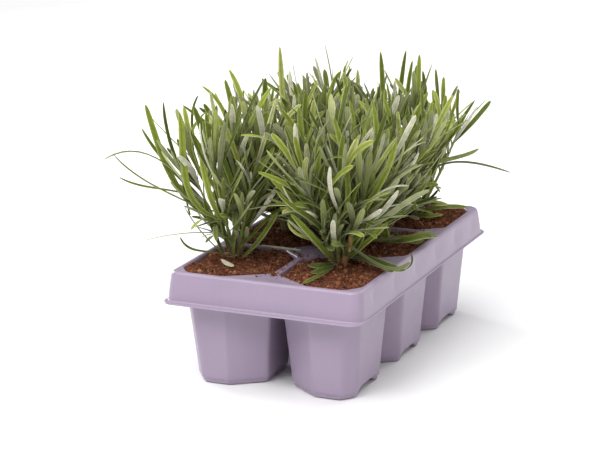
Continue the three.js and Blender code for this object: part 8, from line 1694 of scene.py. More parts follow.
  [-293,67,1018,-263,195,1167,-210,315,1317,-189,420,1485,353,44,-71,54,29,0],
  [-261,78,1089,-220,96,1106,-181,113,1135,-134,131,1143,338,-30,-13,94,-9,0],
  [-242,89,1149,-234,116,1183,-229,131,1226,-223,147,1268,283,37,-73,57,-18,0],
  [-207,104,1252,-215,131,1283,-229,153,1318,-248,164,1356,240,67,-44,60,4,0],
  [-180,113,1336,-211,73,1523,-218,73,1719,-314,45,1888,485,80,55,26,39,0],
  [-176,117,1334,-64,227,1413,12,308,1553,108,440,1625,396,-19,-43,89,-22,0],
  [-159,119,1391,-100,111,1552,-58,130,1718,-19,159,1884,408,-23,96,15,-9,0],
  [-161,125,1391,-163,181,1473,-147,231,1559,-149,304,1629,329,59,-65,49,-41,0],
  [-151,125,1427,-155,94,1527,-179,40,1615,-198,-9,1708,464,64,72,28,26,0],
  [-148,130,1425,-129,155,1463,-112,183,1500,-93,230,1502,242,-13,-75,64,-24,0],
 ]),
 ('shoot_middle_left_7', 'middle_left', [-369,72,920,-366,181,1131,-365,255,1315,-363,320,1530], [
  [-363,316,1517,-339,318,1616,-319,323,1712,-301,332,1808,418,-12,77,62,6,1],
  [-364,285,1421,-425,285,1532,-479,288,1642,-527,296,1755,445,71,63,32,11,1],
  [-363,316,1517,-407,377,1596,-450,437,1673,-493,497,1748,382,62,-52,59,11,1],
  [-364,278,1400,-308,372,1528,-247,466,1647,-180,565,1758,350,-68,-54,50,-27,1],
  [-371,82,943,-499,13,1004,-622,-30,1098,-758,1,1177,340,12,52,85,29,0],
  [-368,86,941,-328,198,950,-287,313,950,-242,421,916,439,-17,-1,98,12,0],
  [-365,99,973,-256,133,1087,-156,174,1211,-11,223,1270,340,-70,43,57,20,0],
  [-371,101,972,-439,177,1005,-515,256,1009,-592,314,956,467,46,5,89,-60,0],
  [-371,114,1004,-523,106,1032,-680,98,1053,-822,30,1038,341,13,45,88,-37,0],
  [-366,116,1003,-284,259,1079,-192,417,1073,-86,552,1007,391,-46,-19,87,23,0],
  [-365,130,1034,-253,206,1127,-160,317,1207,-44,431,1240,343,-68,15,72,15,0],
  [-371,129,1035,-534,161,1093,-707,204,1097,-869,263,1050,385,37,39,84,15,0],
  [-367,141,1066,-371,77,1238,-389,62,1423,-407,-83,1538,383,3,93,36,-25,0],
  [-367,146,1064,-369,234,1089,-385,324,1073,-416,398,1024,380,3,-26,97,32,0],
  [-366,160,1094,-335,274,1174,-341,360,1289,-354,463,1389,450,-31,-47,83,-5,0],
  [-370,158,1095,-542,199,1095,-692,247,1009,-856,264,936,484,10,39,91,-9,0],
  [-366,168,1126,-363,113,1254,-339,81,1390,-295,31,1515,424,-1,91,41,8,0],
  [-367,173,1124,-380,335,1171,-391,504,1196,-401,672,1169,496,7,-26,96,-36,0],
  [-364,185,1154,-258,275,1223,-203,388,1316,-126,491,1406,348,-56,4,83,-3,0],
  [-369,183,1155,-527,180,1231,-704,158,1225,-877,126,1200,442,37,44,82,36,0],
  [-366,98,968,-276,178,1023,-206,289,1049,-141,405,1036,331,-56,8,83,-7,0],
  [-370,155,1087,-481,228,1126,-602,288,1168,-721,340,1111,429,43,20,88,15,0],
  [-368,177,1147,-402,164,1301,-454,137,1450,-514,121,1598,330,37,91,18,-29,0],
  [-366,182,1144,-360,275,1221,-336,349,1316,-284,423,1398,372,-9,-62,78,-35,0],
  [-363,205,1203,-309,277,1359,-253,370,1504,-146,440,1632,342,-94,-1,35,21,0],
  [-366,230,1260,-383,367,1384,-389,488,1526,-396,592,1682,372,19,-63,75,-8,0],
  [-368,250,1319,-481,307,1452,-616,382,1554,-742,438,1678,417,78,17,61,40,0],
  [-362,249,1319,-320,280,1407,-255,302,1483,-159,336,1470,445,-90,18,39,0,0],
  [-366,269,1379,-425,237,1502,-492,236,1627,-550,210,1754,462,49,75,44,19,0],
  [-365,273,1377,-395,406,1448,-438,506,1559,-498,645,1595,403,21,-41,89,-3,0],
  [-367,290,1438,-421,312,1592,-485,354,1739,-569,370,1882,334,83,50,24,-7,0],
  [-361,291,1438,-336,324,1526,-324,363,1615,-281,418,1683,301,-95,-6,32,-1,0],
  [-362,308,1500,-334,287,1606,-290,251,1704,-243,178,1777,350,-39,87,29,-7,0],
  [-361,313,1498,-334,379,1609,-336,450,1722,-302,578,1730,486,-62,-59,52,92,0],
  [-364,321,1523,-366,343,1565,-369,365,1608,-371,386,1652,176,30,-84,45,0,0],
  [-365,315,1524,-371,315,1572,-377,316,1620,-382,319,1668,209,43,90,5,0,0],
  [-360,317,1524,-354,328,1563,-349,339,1603,-344,350,1643,161,-97,25,6,0,0],
  [-365,321,1523,-371,341,1556,-377,361,1589,-382,379,1623,227,53,-68,51,0,0],
  [-365,315,1524,-366,322,1560,-368,329,1596,-369,336,1631,152,43,89,-15,0,0],
  [-360,319,1523,-348,335,1563,-336,351,1603,-327,367,1643,182,-91,-21,36,0,0],
  [-369,108,985,-380,182,978,-394,252,947,-416,320,916,361,7,11,99,3,0],
  [-366,129,1029,-347,188,1062,-333,258,1072,-323,329,1076,382,-33,-35,88,25,0],
  [-369,151,1075,-388,202,1102,-414,253,1077,-432,296,1035,335,36,-28,89,10,0],
  [-365,172,1136,-356,171,1179,-354,170,1224,-350,163,1269,306,-35,92,17,15,0],
  [-367,178,1133,-389,299,1191,-410,428,1237,-444,545,1302,364,19,-38,91,11,0],
  [-363,209,1219,-311,248,1401,-292,285,1590,-272,350,1772,396,-79,60,11,-9,0],
  [-365,228,1255,-359,321,1357,-345,409,1464,-325,493,1572,373,-10,-72,69,-17,0],
  [-362,245,1312,-277,245,1471,-188,219,1628,-38,134,1687,342,-68,62,38,9,0],
  [-365,272,1391,-373,241,1483,-377,230,1581,-383,193,1673,421,13,93,35,-28,0],
  [-363,277,1389,-341,347,1455,-328,413,1529,-317,458,1617,419,-36,-56,75,8,0],
  [-366,313,1510,-403,330,1618,-426,361,1728,-411,359,1843,436,86,44,25,9,0],
  [-361,315,1509,-343,364,1620,-335,392,1740,-289,446,1842,359,-77,-52,37,-22,0],
 ]),
 ('shoot_middle_right_1', 'middle_right', [380,60,920,381,60,1187,391,62,1410,411,65,1662], [
  [385,61,1194,340,199,1519,295,336,1844,230,421,2184,442,47,-80,37,22,1],
  [409,65,1633,444,51,1749,490,31,1857,546,4,1958,448,-1,92,40,-21,1],
  [410,65,1647,392,109,1751,377,147,1855,367,179,1961,370,87,-49,1,0,1],
  [403,64,1552,382,30,1727,349,-16,1892,303,-74,2049,405,79,61,4,19,1],
  [403,64,1548,451,90,1699,497,114,1845,543,138,1991,411,-84,10,54,8,1],
  [406,13,1057,451,-98,1032,488,-166,983,498,-100,860,520,-20,-89,42,0,0,55,10],
  [379,57,948,341,-24,1023,308,-64,1130,283,-107,1238,432,27,57,77,-14,0],
  [383,60,948,443,62,1012,487,66,1090,558,43,1142,291,-72,-2,70,-16,0],
  [380,57,987,376,-96,1026,344,-251,1054,273,-383,998,419,2,24,97,-38,0],
  [380,63,987,377,149,1032,376,216,1105,338,302,1137,449,3,-45,89,44,0],
  [378,60,1026,303,66,1125,251,81,1239,214,126,1351,430,79,-6,62,28,0],
  [383,62,1026,459,105,1055,513,154,1114,585,206,1145,383,-26,-16,95,8,0],
  [382,57,1064,402,-2,1151,407,-42,1252,417,-72,1357,375,-22,77,60,16,0],
  [382,63,1064,388,131,1129,408,209,1181,431,303,1183,326,-4,-68,74,-43,0],
  [379,60,1102,226,19,1182,76,0,1281,-97,-54,1291,404,43,11,90,2,0],
  [385,61,1102,452,73,1162,510,90,1233,566,117,1301,403,-64,-11,76,-7,0],
  [383,58,1139,361,-78,1248,331,-207,1367,248,-312,1483,449,13,60,79,30,0],
  [383,63,1139,371,177,1269,362,279,1411,285,371,1539,312,11,-73,67,20,0],
  [381,60,1176,301,35,1289,184,3,1365,49,-45,1363,428,76,22,61,-9,0],
  [387,60,1176,478,54,1322,584,12,1453,695,-65,1562,374,-84,7,54,-38,0],
  [384,58,1213,351,-8,1305,285,-89,1361,220,-189,1367,435,38,67,64,-25,0],
  [386,64,1213,412,143,1300,413,231,1386,406,341,1440,319,-17,-69,71,3,0],
  [378,59,974,295,23,1012,213,-23,1050,128,-76,1040,394,35,15,93,-8,0],
  [379,58,1037,338,2,1120,293,-52,1205,246,-112,1284,439,46,60,66,-43,0],
  [385,63,1158,421,132,1291,439,172,1440,468,163,1592,473,-36,-77,52,0,0],
  [383,63,1218,328,113,1284,301,164,1368,308,192,1466,378,51,-41,76,17,0],
  [387,58,1218,457,-53,1335,583,-151,1415,714,-209,1522,318,-31,58,75,12,0],
  [387,58,1277,373,-3,1369,342,-64,1460,298,-151,1518,341,25,78,58,-16,0],
  [390,63,1277,495,158,1411,547,244,1581,626,334,1739,433,-48,-48,73,27,0],
  [387,61,1335,301,53,1486,241,57,1651,177,72,1814,334,86,9,51,0,0],
  [392,60,1335,443,20,1443,493,3,1558,560,4,1667,320,-62,58,53,-35,0],
  [391,60,1394,322,-10,1505,284,-79,1633,240,-110,1773,487,55,49,67,-39,0],
  [396,64,1393,459,96,1553,544,159,1694,601,223,1847,438,-79,-45,42,14,0],
  [394,64,1452,356,92,1620,322,110,1791,168,120,1874,366,84,-46,28,-14,0],
  [398,60,1452,453,-29,1574,518,-89,1711,558,-145,1859,335,-32,68,66,16,0],
  [399,61,1511,379,-5,1627,346,-47,1753,291,-66,1876,499,35,78,52,-24,0],
  [402,66,1511,434,103,1599,467,131,1692,513,192,1760,409,-49,-71,51,-23,0],
  [403,67,1570,377,134,1696,336,184,1827,305,288,1925,472,43,-75,51,6,0],
  [406,62,1570,439,34,1694,455,11,1822,552,-78,1821,414,-58,74,34,5,0],
  [408,62,1630,411,25,1707,411,-18,1783,408,-82,1840,312,10,88,46,-22,0],
  [410,67,1630,456,131,1746,491,187,1871,560,238,1983,501,-39,-72,57,-22,0],
  [409,68,1655,408,76,1683,407,84,1711,407,91,1739,155,39,-88,27,0,0],
  [408,63,1655,401,55,1689,395,47,1723,390,41,1758,215,73,62,28,0,0],
  [414,66,1654,431,69,1687,449,72,1720,464,74,1754,225,-86,-16,48,0,0],
  [409,68,1655,410,73,1701,411,78,1747,413,82,1793,184,47,-88,8,0,0],
  [410,61,1655,412,52,1698,414,43,1742,417,36,1786,195,14,97,19,0,0],
  [414,66,1654,424,67,1684,433,69,1713,442,71,1743,162,-93,-19,32,0,0],
  [380,58,1110,343,26,1169,306,-7,1231,290,-33,1304,269,57,48,67,6,0],
  [384,58,1154,392,10,1212,395,-34,1275,384,-65,1345,294,-9,74,66,14,0],
  [385,63,1267,366,81,1335,347,98,1405,301,137,1449,304,72,-57,39,-29,0],
  [392,64,1336,407,80,1373,421,97,1411,440,103,1451,255,-52,-65,55,12,0],
  [396,60,1414,445,-20,1555,485,-105,1698,559,-219,1802,509,-35,75,56,-37,0],
  [393,65,1414,375,99,1468,368,128,1529,355,155,1590,325,44,-66,61,3,0],
  [395,60,1450,380,25,1502,358,-9,1556,326,-29,1610,297,38,68,62,-13,0],
  [399,62,1450,526,51,1559,656,18,1662,824,27,1649,421,-64,8,77,4,0],
  [402,61,1532,442,-25,1678,450,-141,1809,470,-196,1975,405,-24,80,55,13,0],
  [404,62,1592,402,46,1699,400,27,1807,390,-19,1905,313,51,85,16,-40,0],
 ]),
 ('shoot_middle_right_2', 'middle_right', [384,18,920,394,-101,1115,402,-180,1287,408,-248,1492], [
  [397,-124,1181,302,-81,1415,221,-39,1653,158,3,1897,442,67,-66,34,22,1],
  [408,-244,1480,383,-224,1604,354,-191,1720,320,-144,1830,396,69,-72,4,-26,1],
  [405,-219,1407,462,-249,1549,502,-285,1690,528,-328,1832,351,-96,-18,-21,-9,1],
  [408,-244,1480,439,-336,1557,471,-429,1626,505,-525,1689,434,-34,59,73,26,1],
  [404,-206,1375,367,-174,1501,326,-131,1618,280,-78,1729,431,49,-80,34,22,1],
  [385,3,939,383,-76,929,379,-156,948,347,-206,1005,340,6,-14,99,-12,0],
  [387,8,942,422,13,1013,485,35,1060,557,66,1081,269,-42,-86,30,31,0],
  [388,-14,968,414,-81,1011,448,-149,1052,490,-209,1096,395,-42,34,84,-1,0],
  [384,-10,970,311,25,1034,233,57,1097,188,81,1190,474,29,-65,70,-12,0],
  [389,-31,996,426,-178,1062,454,-343,1083,476,-487,1000,398,-22,34,92,30,0],
  [390,-26,999,447,10,1112,512,52,1221,619,126,1253,331,-29,-85,43,9,0],
  [392,-45,1026,447,-101,1097,525,-173,1107,600,-247,1084,428,-80,-7,60,45,0],
  [386,-45,1026,292,-108,1084,218,-154,1181,101,-207,1196,437,61,-25,76,9,0],
  [391,-62,1053,402,-153,1013,396,-241,959,385,-321,894,389,3,-40,92,13,0],
  [392,-57,1056,432,-55,1210,470,-42,1365,483,-22,1525,357,-32,-94,11,7,0],
  [395,-74,1082,461,-97,1136,550,-108,1148,631,-99,1110,393,-64,-40,66,-15,0],
  [389,-75,1082,345,-129,1153,298,-167,1234,233,-209,1298,347,84,-2,54,9,0],
  [392,-92,1109,343,-185,1079,278,-276,1064,206,-360,1082,339,9,-36,93,0,0],
  [396,-88,1111,430,-99,1182,463,-134,1246,527,-156,1290,265,-67,-69,25,31,0],
  [398,-103,1138,483,-142,1213,562,-196,1288,634,-255,1368,427,-69,-31,66,11,0],
  [392,-104,1138,309,-169,1245,240,-223,1369,125,-276,1454,331,81,-16,56,7,0],
  [389,-8,966,489,13,1085,546,26,1232,609,77,1368,388,-43,-74,51,-14,0],
  [392,-42,1020,512,-120,1099,621,-166,1214,776,-223,1217,335,-62,-23,75,-34,0],
  [397,-101,1128,472,-196,1185,548,-265,1273,618,-333,1368,388,-51,8,86,34,0],
  [399,-124,1184,500,-154,1330,576,-217,1483,588,-259,1659,372,-74,-52,42,-15,0],
  [400,-148,1239,423,-165,1428,422,-145,1620,414,-96,1806,450,-23,-97,-5,-20,0],
  [405,-198,1347,452,-288,1454,491,-358,1580,521,-414,1715,338,-60,44,66,31,0],
  [404,-194,1349,455,-140,1509,515,-108,1673,663,-85,1770,377,-27,-88,39,0,0],
  [408,-216,1405,458,-218,1495,521,-226,1578,562,-241,1674,310,-69,-61,39,13,0],
  [409,-240,1461,429,-312,1578,449,-389,1692,466,-464,1807,328,-47,70,54,0,0],
  [406,-243,1487,402,-246,1525,399,-249,1563,396,-253,1602,158,45,-89,-2,0,0],
  [405,-248,1485,394,-271,1526,382,-294,1567,373,-315,1609,230,79,42,46,0,0],
  [411,-247,1485,424,-262,1516,438,-277,1546,449,-291,1577,199,-87,18,47,0,0],
  [406,-243,1487,401,-249,1529,396,-255,1571,393,-263,1614,221,59,-81,-5,0,0],
  [406,-249,1485,401,-265,1508,397,-282,1531,393,-298,1555,151,51,65,57,0,0],
  [411,-245,1486,421,-252,1519,430,-260,1552,438,-268,1586,165,-89,-43,16,0,0],
  [385,-15,970,369,-56,985,346,-95,969,320,-129,945,351,39,14,91,12,0],
  [388,-41,1015,358,-193,1081,334,-355,1125,348,-522,1097,437,29,32,90,31,0],
  [390,-79,1086,351,-161,1145,344,-262,1190,302,-365,1189,313,58,26,78,-38,0],
  [395,-109,1144,397,-151,1176,407,-189,1213,398,-241,1224,321,3,58,82,16,0],
  [398,-125,1176,420,-174,1215,454,-213,1259,503,-254,1285,272,-47,38,80,-6,0],
  [395,-120,1178,386,-131,1253,367,-147,1326,353,-158,1401,357,46,-89,-4,33,0],
  [401,-143,1226,435,-137,1295,465,-145,1366,475,-161,1442,327,-51,-78,35,-29,0],
  [404,-176,1295,487,-232,1353,577,-276,1416,678,-321,1456,493,-60,-8,80,11,0],
  [399,-173,1296,330,-177,1475,291,-209,1662,168,-248,1807,434,66,-71,25,-18,0],
  [407,-218,1398,417,-246,1433,431,-271,1471,457,-282,1508,264,-46,58,68,13,0],
  [403,-214,1400,385,-211,1457,372,-195,1516,367,-184,1576,294,58,-78,26,-33,0],
  [409,-239,1474,444,-250,1636,471,-248,1800,447,-220,1963,434,-55,-83,8,6,0],
 ]),
 ('shoot_middle_right_3', 'middle_right', [415,36,920,508,-28,1133,565,-67,1322,605,-94,1544], [
  [497,-20,1127,504,35,1421,568,131,1690,670,253,1943,460,54,-82,16,-13,1],
  [603,-92,1531,657,-124,1628,714,-157,1719,775,-192,1807,451,-69,70,18,-1,1],
  [580,-77,1421,596,-127,1541,608,-181,1656,618,-239,1769,360,40,90,19,-8,1],
  [597,-89,1502,569,-55,1615,548,-28,1728,533,-6,1843,397,13,-73,67,-26,1],
  [578,-76,1411,623,-56,1551,670,-19,1681,721,34,1804,457,-27,-88,39,-21,1],
  [560,-63,1336,661,-51,1459,762,-36,1575,866,-18,1687,433,-25,-64,73,-23,1],
  [491,-102,875,713,-275,958,820,-70,1004,775,158,880,600,51,-57,65,0,0,40,20],
  [524,-27,973,559,-115,910,661,-16,849,714,49,880,220,53,-65,55,0,0,30,20],
  [425,32,943,476,96,1037,551,178,1098,625,280,1082,354,14,-84,52,-12,0],
  [440,22,973,582,34,1091,696,75,1232,746,126,1403,325,-48,-57,67,51,0],
  [435,21,975,392,21,1091,278,-1,1138,156,-29,1133,434,87,-36,34,-25,0],
  [448,10,1006,341,-95,1091,247,-195,1200,149,-250,1335,352,63,-3,77,48,0],
  [452,14,1006,534,68,1162,638,83,1315,767,208,1268,351,-3,-94,35,19,0],
  [461,0,1036,448,-101,1129,446,-229,1185,412,-364,1196,329,64,46,62,20,0],
  [463,6,1037,502,148,1131,554,249,1268,590,329,1423,472,29,-58,76,-14,0],
  [472,-5,1068,318,31,1151,189,74,1272,46,117,1376,481,41,-25,88,-3,0],
  [477,-6,1066,554,-39,1071,618,-60,1124,678,-67,1185,320,-8,-7,99,-14,0],
  [484,-15,1098,431,-152,1202,372,-260,1338,224,-342,1408,490,64,28,71,-1,0],
  [486,-10,1099,464,146,1192,420,315,1255,362,487,1296,416,37,-44,82,3,0],
  [494,-21,1129,436,-75,1268,388,-181,1382,300,-316,1398,447,91,5,41,22,0],
  [500,-21,1127,601,-59,1208,662,-115,1315,676,-153,1446,377,-60,3,80,-19,0],
  [510,-29,1157,625,-112,1212,722,-212,1277,804,-322,1207,321,-28,21,94,25,0],
  [507,-25,1160,512,16,1246,491,92,1303,457,182,1318,292,42,-82,39,-14,0],
  [481,-7,1075,592,-30,1142,718,-34,1185,838,1,1232,472,-52,-17,84,22,0],
  [499,-23,1129,606,-136,1248,716,-260,1355,869,-368,1417,509,-29,54,79,46,0],
  [497,-18,1130,534,16,1280,571,72,1425,582,119,1577,418,26,-95,17,8,0],
  [513,-34,1184,496,-60,1291,503,-66,1404,492,-44,1514,379,98,1,18,-22,0],
  [519,-33,1182,674,-60,1280,792,-75,1425,889,-37,1580,396,-53,-15,83,0,0],
  [535,-46,1236,610,-97,1341,677,-125,1459,744,-128,1582,351,-62,42,67,-11,0],
  [534,-42,1237,602,23,1325,655,85,1427,719,171,1502,398,-11,-75,66,20,0],
  [546,-57,1291,491,-145,1420,435,-230,1552,416,-311,1697,386,76,32,56,4,0],
  [551,-54,1290,647,-47,1382,727,-57,1490,850,-104,1515,408,-60,-40,69,-17,0],
  [561,-62,1346,568,2,1510,560,56,1680,568,110,1849,355,38,-86,34,31,0],
  [573,-74,1401,546,-82,1496,504,-83,1588,435,-64,1658,285,94,-17,28,2,0],
  [589,-85,1456,628,-136,1534,653,-189,1619,682,-233,1707,350,-30,70,64,3,0],
  [587,-80,1457,600,-40,1578,608,-2,1702,622,7,1830,371,26,-92,30,11,0],
  [597,-91,1514,567,-133,1663,547,-168,1816,552,-180,1974,418,91,29,28,-11,0],
  [602,-91,1513,692,-116,1610,773,-141,1716,873,-177,1800,348,-71,6,70,38,0],
  [602,-90,1538,600,-84,1566,599,-78,1595,598,-74,1623,194,58,-79,20,0,0],
  [601,-95,1538,600,-103,1567,600,-111,1597,600,-118,1627,219,83,54,16,0,0],
  [607,-93,1537,619,-95,1562,631,-97,1586,642,-99,1612,208,-89,-19,41,0,0],
  [603,-90,1538,605,-85,1564,607,-80,1590,609,-76,1616,222,33,-93,16,0,0],
  [604,-97,1537,608,-111,1560,612,-125,1584,616,-137,1608,184,10,86,50,0,0],
  [607,-91,1537,621,-87,1563,635,-83,1589,648,-80,1615,184,-65,-61,46,0,0],
  [514,-33,1173,638,-156,1247,762,-240,1365,843,-357,1494,354,-20,33,92,-24,0],
  [511,-29,1175,520,-21,1319,532,-22,1464,545,-25,1608,434,69,-73,1,-17,0],
  [532,-41,1230,567,-35,1291,579,-23,1361,592,-33,1431,394,-49,-78,39,-43,0],
  [528,-45,1230,501,-81,1281,482,-107,1343,455,-126,1405,395,76,23,60,11,0],
  [549,-57,1289,580,-87,1334,594,-124,1384,599,-172,1426,267,-40,58,72,-34,0],
  [566,-64,1354,635,-15,1434,716,13,1516,818,51,1562,387,-27,-68,68,12,0],
  [562,-68,1355,551,-84,1403,542,-102,1452,525,-134,1492,366,91,23,34,-36,0],
  [582,-79,1419,662,-168,1558,739,-254,1703,845,-365,1806,430,-40,64,66,4,0],
  [577,-76,1420,542,-66,1598,510,-52,1777,422,10,1925,434,87,-44,21,-8,0],
  [589,-80,1448,611,-86,1510,629,-82,1575,640,-77,1640,277,-85,-41,32,-10,0],
  [603,-94,1523,646,-145,1629,676,-205,1736,677,-241,1857,403,-40,73,55,20,0],
  [600,-89,1524,601,-63,1625,611,-50,1729,629,-42,1832,450,44,-86,25,23,0],
 ]),
 ('shoot_middle_right_4', 'middle_right', [421,69,920,554,97,1136,634,114,1332,689,125,1566], [
  [684,124,1545,783,147,1638,889,173,1714,1004,201,1775,438,-70,-23,67,-2,1],
  [661,119,1457,682,159,1600,692,212,1736,693,277,1867,447,95,-23,20,-20,1],
  [686,124,1552,662,123,1657,631,121,1757,592,118,1854,360,94,28,17,-22,1],
  [661,119,1459,716,96,1580,762,85,1702,803,85,1827,459,-80,36,48,-17,1],
  [626,112,1345,705,189,1444,782,264,1538,859,340,1633,448,-40,-62,67,-26,1],
  [625,112,1344,622,85,1491,614,55,1633,600,22,1774,460,96,28,7,17,1],
  [434,75,943,463,195,1055,484,347,1128,529,504,1173,342,57,-62,54,-14,0],
  [452,74,976,435,43,1074,434,34,1179,420,-9,1275,461,85,44,30,0,0],
  [472,83,1006,502,170,1077,544,267,1129,601,343,1200,443,44,-64,63,36,0],
  [472,77,1007,525,-14,1081,568,-78,1186,615,-194,1226,311,30,69,66,-39,0],
  [487,83,1040,371,86,1110,299,98,1228,229,103,1348,371,52,10,85,-8,0],
  [505,90,1070,454,252,1106,386,370,1220,311,499,1316,361,51,-3,86,0,0],
  [508,85,1069,589,24,1121,690,-19,1154,774,-98,1141,303,-2,62,79,-10,0],
  [520,91,1102,498,115,1265,493,132,1432,459,132,1596,345,99,-4,15,-18,0],
  [525,89,1100,608,69,1109,697,68,1111,782,51,1091,397,-3,24,97,22,0],
  [538,97,1132,550,209,1157,560,306,1225,573,385,1313,334,42,-23,88,-10,0],
  [538,91,1133,559,15,1175,585,-37,1245,608,-81,1322,442,37,52,77,9,0],
  [554,99,1163,648,195,1217,708,262,1333,746,290,1472,397,-1,-47,88,-8,0],
  [551,95,1165,478,15,1294,422,-59,1437,375,-142,1579,482,70,35,62,10,0],
  [450,72,967,496,6,1033,550,-80,1063,583,-180,1080,429,27,76,59,67,0],
  [512,85,1079,576,30,1165,654,-50,1216,718,-152,1240,407,4,84,54,-6,0],
  [541,92,1133,616,80,1206,687,66,1284,752,77,1368,321,-54,50,68,-17,0],
  [564,102,1189,616,155,1292,660,210,1399,700,315,1461,408,7,-89,45,-25,0],
  [564,96,1190,595,-25,1334,686,-155,1444,787,-316,1473,334,41,73,54,47,0],
  [585,104,1246,574,113,1391,550,149,1531,513,186,1668,454,99,5,9,-2,0],
  [589,107,1244,677,185,1369,729,232,1527,700,329,1667,411,-19,-75,63,6,0],
  [608,111,1302,582,176,1377,560,235,1462,529,305,1535,326,66,-42,62,-36,0],
  [610,106,1301,689,31,1455,740,-8,1633,768,-44,1817,435,-3,88,47,-16,0],
  [627,113,1359,622,125,1495,612,122,1633,579,118,1767,358,100,-5,6,-43,0],
  [633,114,1357,742,145,1493,846,168,1636,927,233,1781,497,-71,-27,65,-28,0],
  [647,119,1416,644,172,1516,656,195,1629,655,237,1736,380,63,-67,40,24,0],
  [651,115,1415,733,85,1549,822,66,1682,902,23,1815,380,-54,67,51,4,0],
  [664,118,1475,673,87,1581,667,60,1690,683,20,1794,405,53,82,22,-6,0],
  [667,123,1474,719,161,1567,779,208,1653,848,282,1708,465,-42,-72,56,22,0],
  [680,126,1535,694,143,1630,702,147,1729,706,176,1823,357,61,-79,7,-8,0],
  [682,121,1534,736,62,1641,788,10,1753,809,-34,1878,439,-19,81,56,1,0],
  [686,128,1559,693,135,1593,699,141,1627,706,147,1661,227,33,-94,12,0,0],
  [686,122,1560,694,118,1608,702,115,1656,711,112,1704,189,50,86,-2,0,0],
  [691,124,1558,710,125,1600,729,125,1643,747,126,1685,196,-90,17,41,0,0],
  [685,127,1559,687,133,1583,689,139,1607,691,144,1631,184,65,-75,14,0,0],
  [686,121,1559,690,113,1591,694,105,1623,699,98,1655,174,36,91,19,0,0],
  [691,126,1558,706,130,1593,721,133,1627,735,137,1662,210,-87,-28,41,0,0],
  [506,86,1062,571,87,1092,643,91,1105,712,103,1081,262,-39,14,91,-2,0],
  [533,96,1122,556,146,1159,586,204,1181,604,265,1207,331,28,-63,72,30,0],
  [592,103,1249,642,82,1290,677,50,1342,721,1,1368,276,-35,55,76,-38,0],
  [588,107,1250,553,197,1383,487,263,1522,461,313,1679,340,74,-44,51,-13,0],
  [611,111,1313,603,121,1357,593,139,1400,565,167,1427,255,93,-23,29,4,0],
  [616,111,1311,738,176,1445,816,205,1620,878,219,1803,333,-49,-51,71,7,0],
  [630,113,1349,674,118,1381,724,107,1405,764,79,1433,328,-56,-2,83,9,0],
  [625,115,1350,622,149,1408,606,186,1463,587,200,1527,263,65,-62,44,30,0],
  [643,114,1405,647,102,1447,651,92,1490,643,85,1533,349,59,77,23,-7,0],
  [667,123,1478,715,224,1618,758,320,1764,798,436,1896,402,7,-81,58,15,0],
  [683,123,1553,685,114,1698,682,108,1843,676,114,1989,509,89,45,3,-46,0],
  [687,127,1552,736,174,1660,799,242,1749,849,354,1709,464,-32,-80,51,36,0],
 ]),
 ('shoot_middle_right_5', 'middle_right', [400,97,920,457,200,1075,495,269,1217,526,326,1389], [
  [521,316,1359,511,378,1436,505,435,1513,502,488,1593,374,10,-88,46,4,1],
  [524,323,1379,563,302,1474,598,289,1568,632,281,1663,388,-36,91,22,-10,1],
  [507,291,1292,594,359,1428,691,425,1551,800,490,1663,406,-94,29,20,-14,1],
  [512,300,1314,454,343,1446,382,380,1567,293,413,1678,395,100,10,2,21,1],
  [404,110,936,330,234,956,266,368,951,165,474,979,407,54,20,82,-32,0],
  [414,120,961,444,121,1107,499,138,1247,550,154,1388,493,21,98,-3,1,0],
  [416,124,958,480,200,985,540,268,1037,600,339,1083,395,-29,-7,95,-6,0],
  [420,139,982,340,208,979,262,282,994,196,363,1024,339,35,45,82,-33,0],
  [425,135,982,540,144,1086,683,164,1148,830,127,1192,326,-47,74,48,13,0],
  [428,150,1006,368,155,1167,309,156,1331,207,142,1471,354,71,66,25,28,0],
  [430,153,1003,445,244,1024,447,337,1002,426,417,953,398,22,-24,95,-18,0],
  [435,166,1027,338,283,999,242,397,1047,153,497,1128,328,30,45,84,9,0],
  [440,162,1028,568,116,1105,671,93,1225,745,108,1366,350,-14,72,68,41,0],
  [442,177,1052,363,178,1134,300,182,1232,243,186,1334,337,61,52,60,26,0],
  [447,179,1049,514,239,1062,590,293,1078,664,348,1090,399,-24,9,97,-6,0],
  [450,192,1072,405,289,1091,364,392,1093,322,489,1057,450,50,7,87,-10,0],
  [454,188,1073,548,129,1091,642,77,1135,737,28,1180,328,17,52,84,13,0],
  [457,200,1097,449,130,1247,408,-5,1338,370,-132,1441,376,34,84,42,16,0],
  [459,204,1094,523,309,1099,607,401,1090,678,498,1055,348,-4,-1,100,29,0],
  [431,159,1019,370,246,1136,320,337,1258,264,438,1370,389,91,11,41,21,0],
  [451,187,1075,481,207,1262,487,222,1453,482,201,1644,447,29,95,-13,-26,0],
  [466,221,1127,471,336,1212,472,430,1322,521,521,1423,335,44,-53,72,13,0],
  [469,216,1129,553,198,1291,640,180,1453,682,215,1629,438,-25,93,25,9,0],
  [483,248,1183,522,327,1254,540,404,1336,568,485,1412,413,-22,-57,79,8,0],
  [480,245,1185,463,270,1301,453,277,1422,463,236,1536,447,85,53,3,-15,0],
  [494,268,1242,479,247,1339,448,205,1427,391,123,1450,327,49,82,28,6,0],
  [497,273,1239,577,413,1331,633,509,1481,698,572,1644,369,-25,-42,87,7,0],
  [511,292,1299,564,295,1381,585,286,1477,609,264,1571,283,-60,69,40,14,0],
  [522,318,1358,559,391,1450,614,458,1539,673,506,1637,308,-30,-67,68,-21,0],
  [525,328,1383,530,342,1414,536,357,1446,542,371,1477,157,10,-91,40,0,0],
  [524,321,1385,528,329,1421,533,337,1457,537,345,1493,170,42,87,-24,0,0],
  [529,324,1383,548,336,1420,567,348,1457,584,360,1494,221,-89,16,41,0,0],
  [523,327,1383,524,349,1420,526,371,1456,528,391,1494,203,56,-72,41,0,0],
  [524,321,1385,526,324,1417,527,326,1449,530,330,1481,209,43,90,-9,0,0],
  [528,325,1383,539,336,1409,550,347,1436,560,358,1463,161,-87,-20,44,0,0],
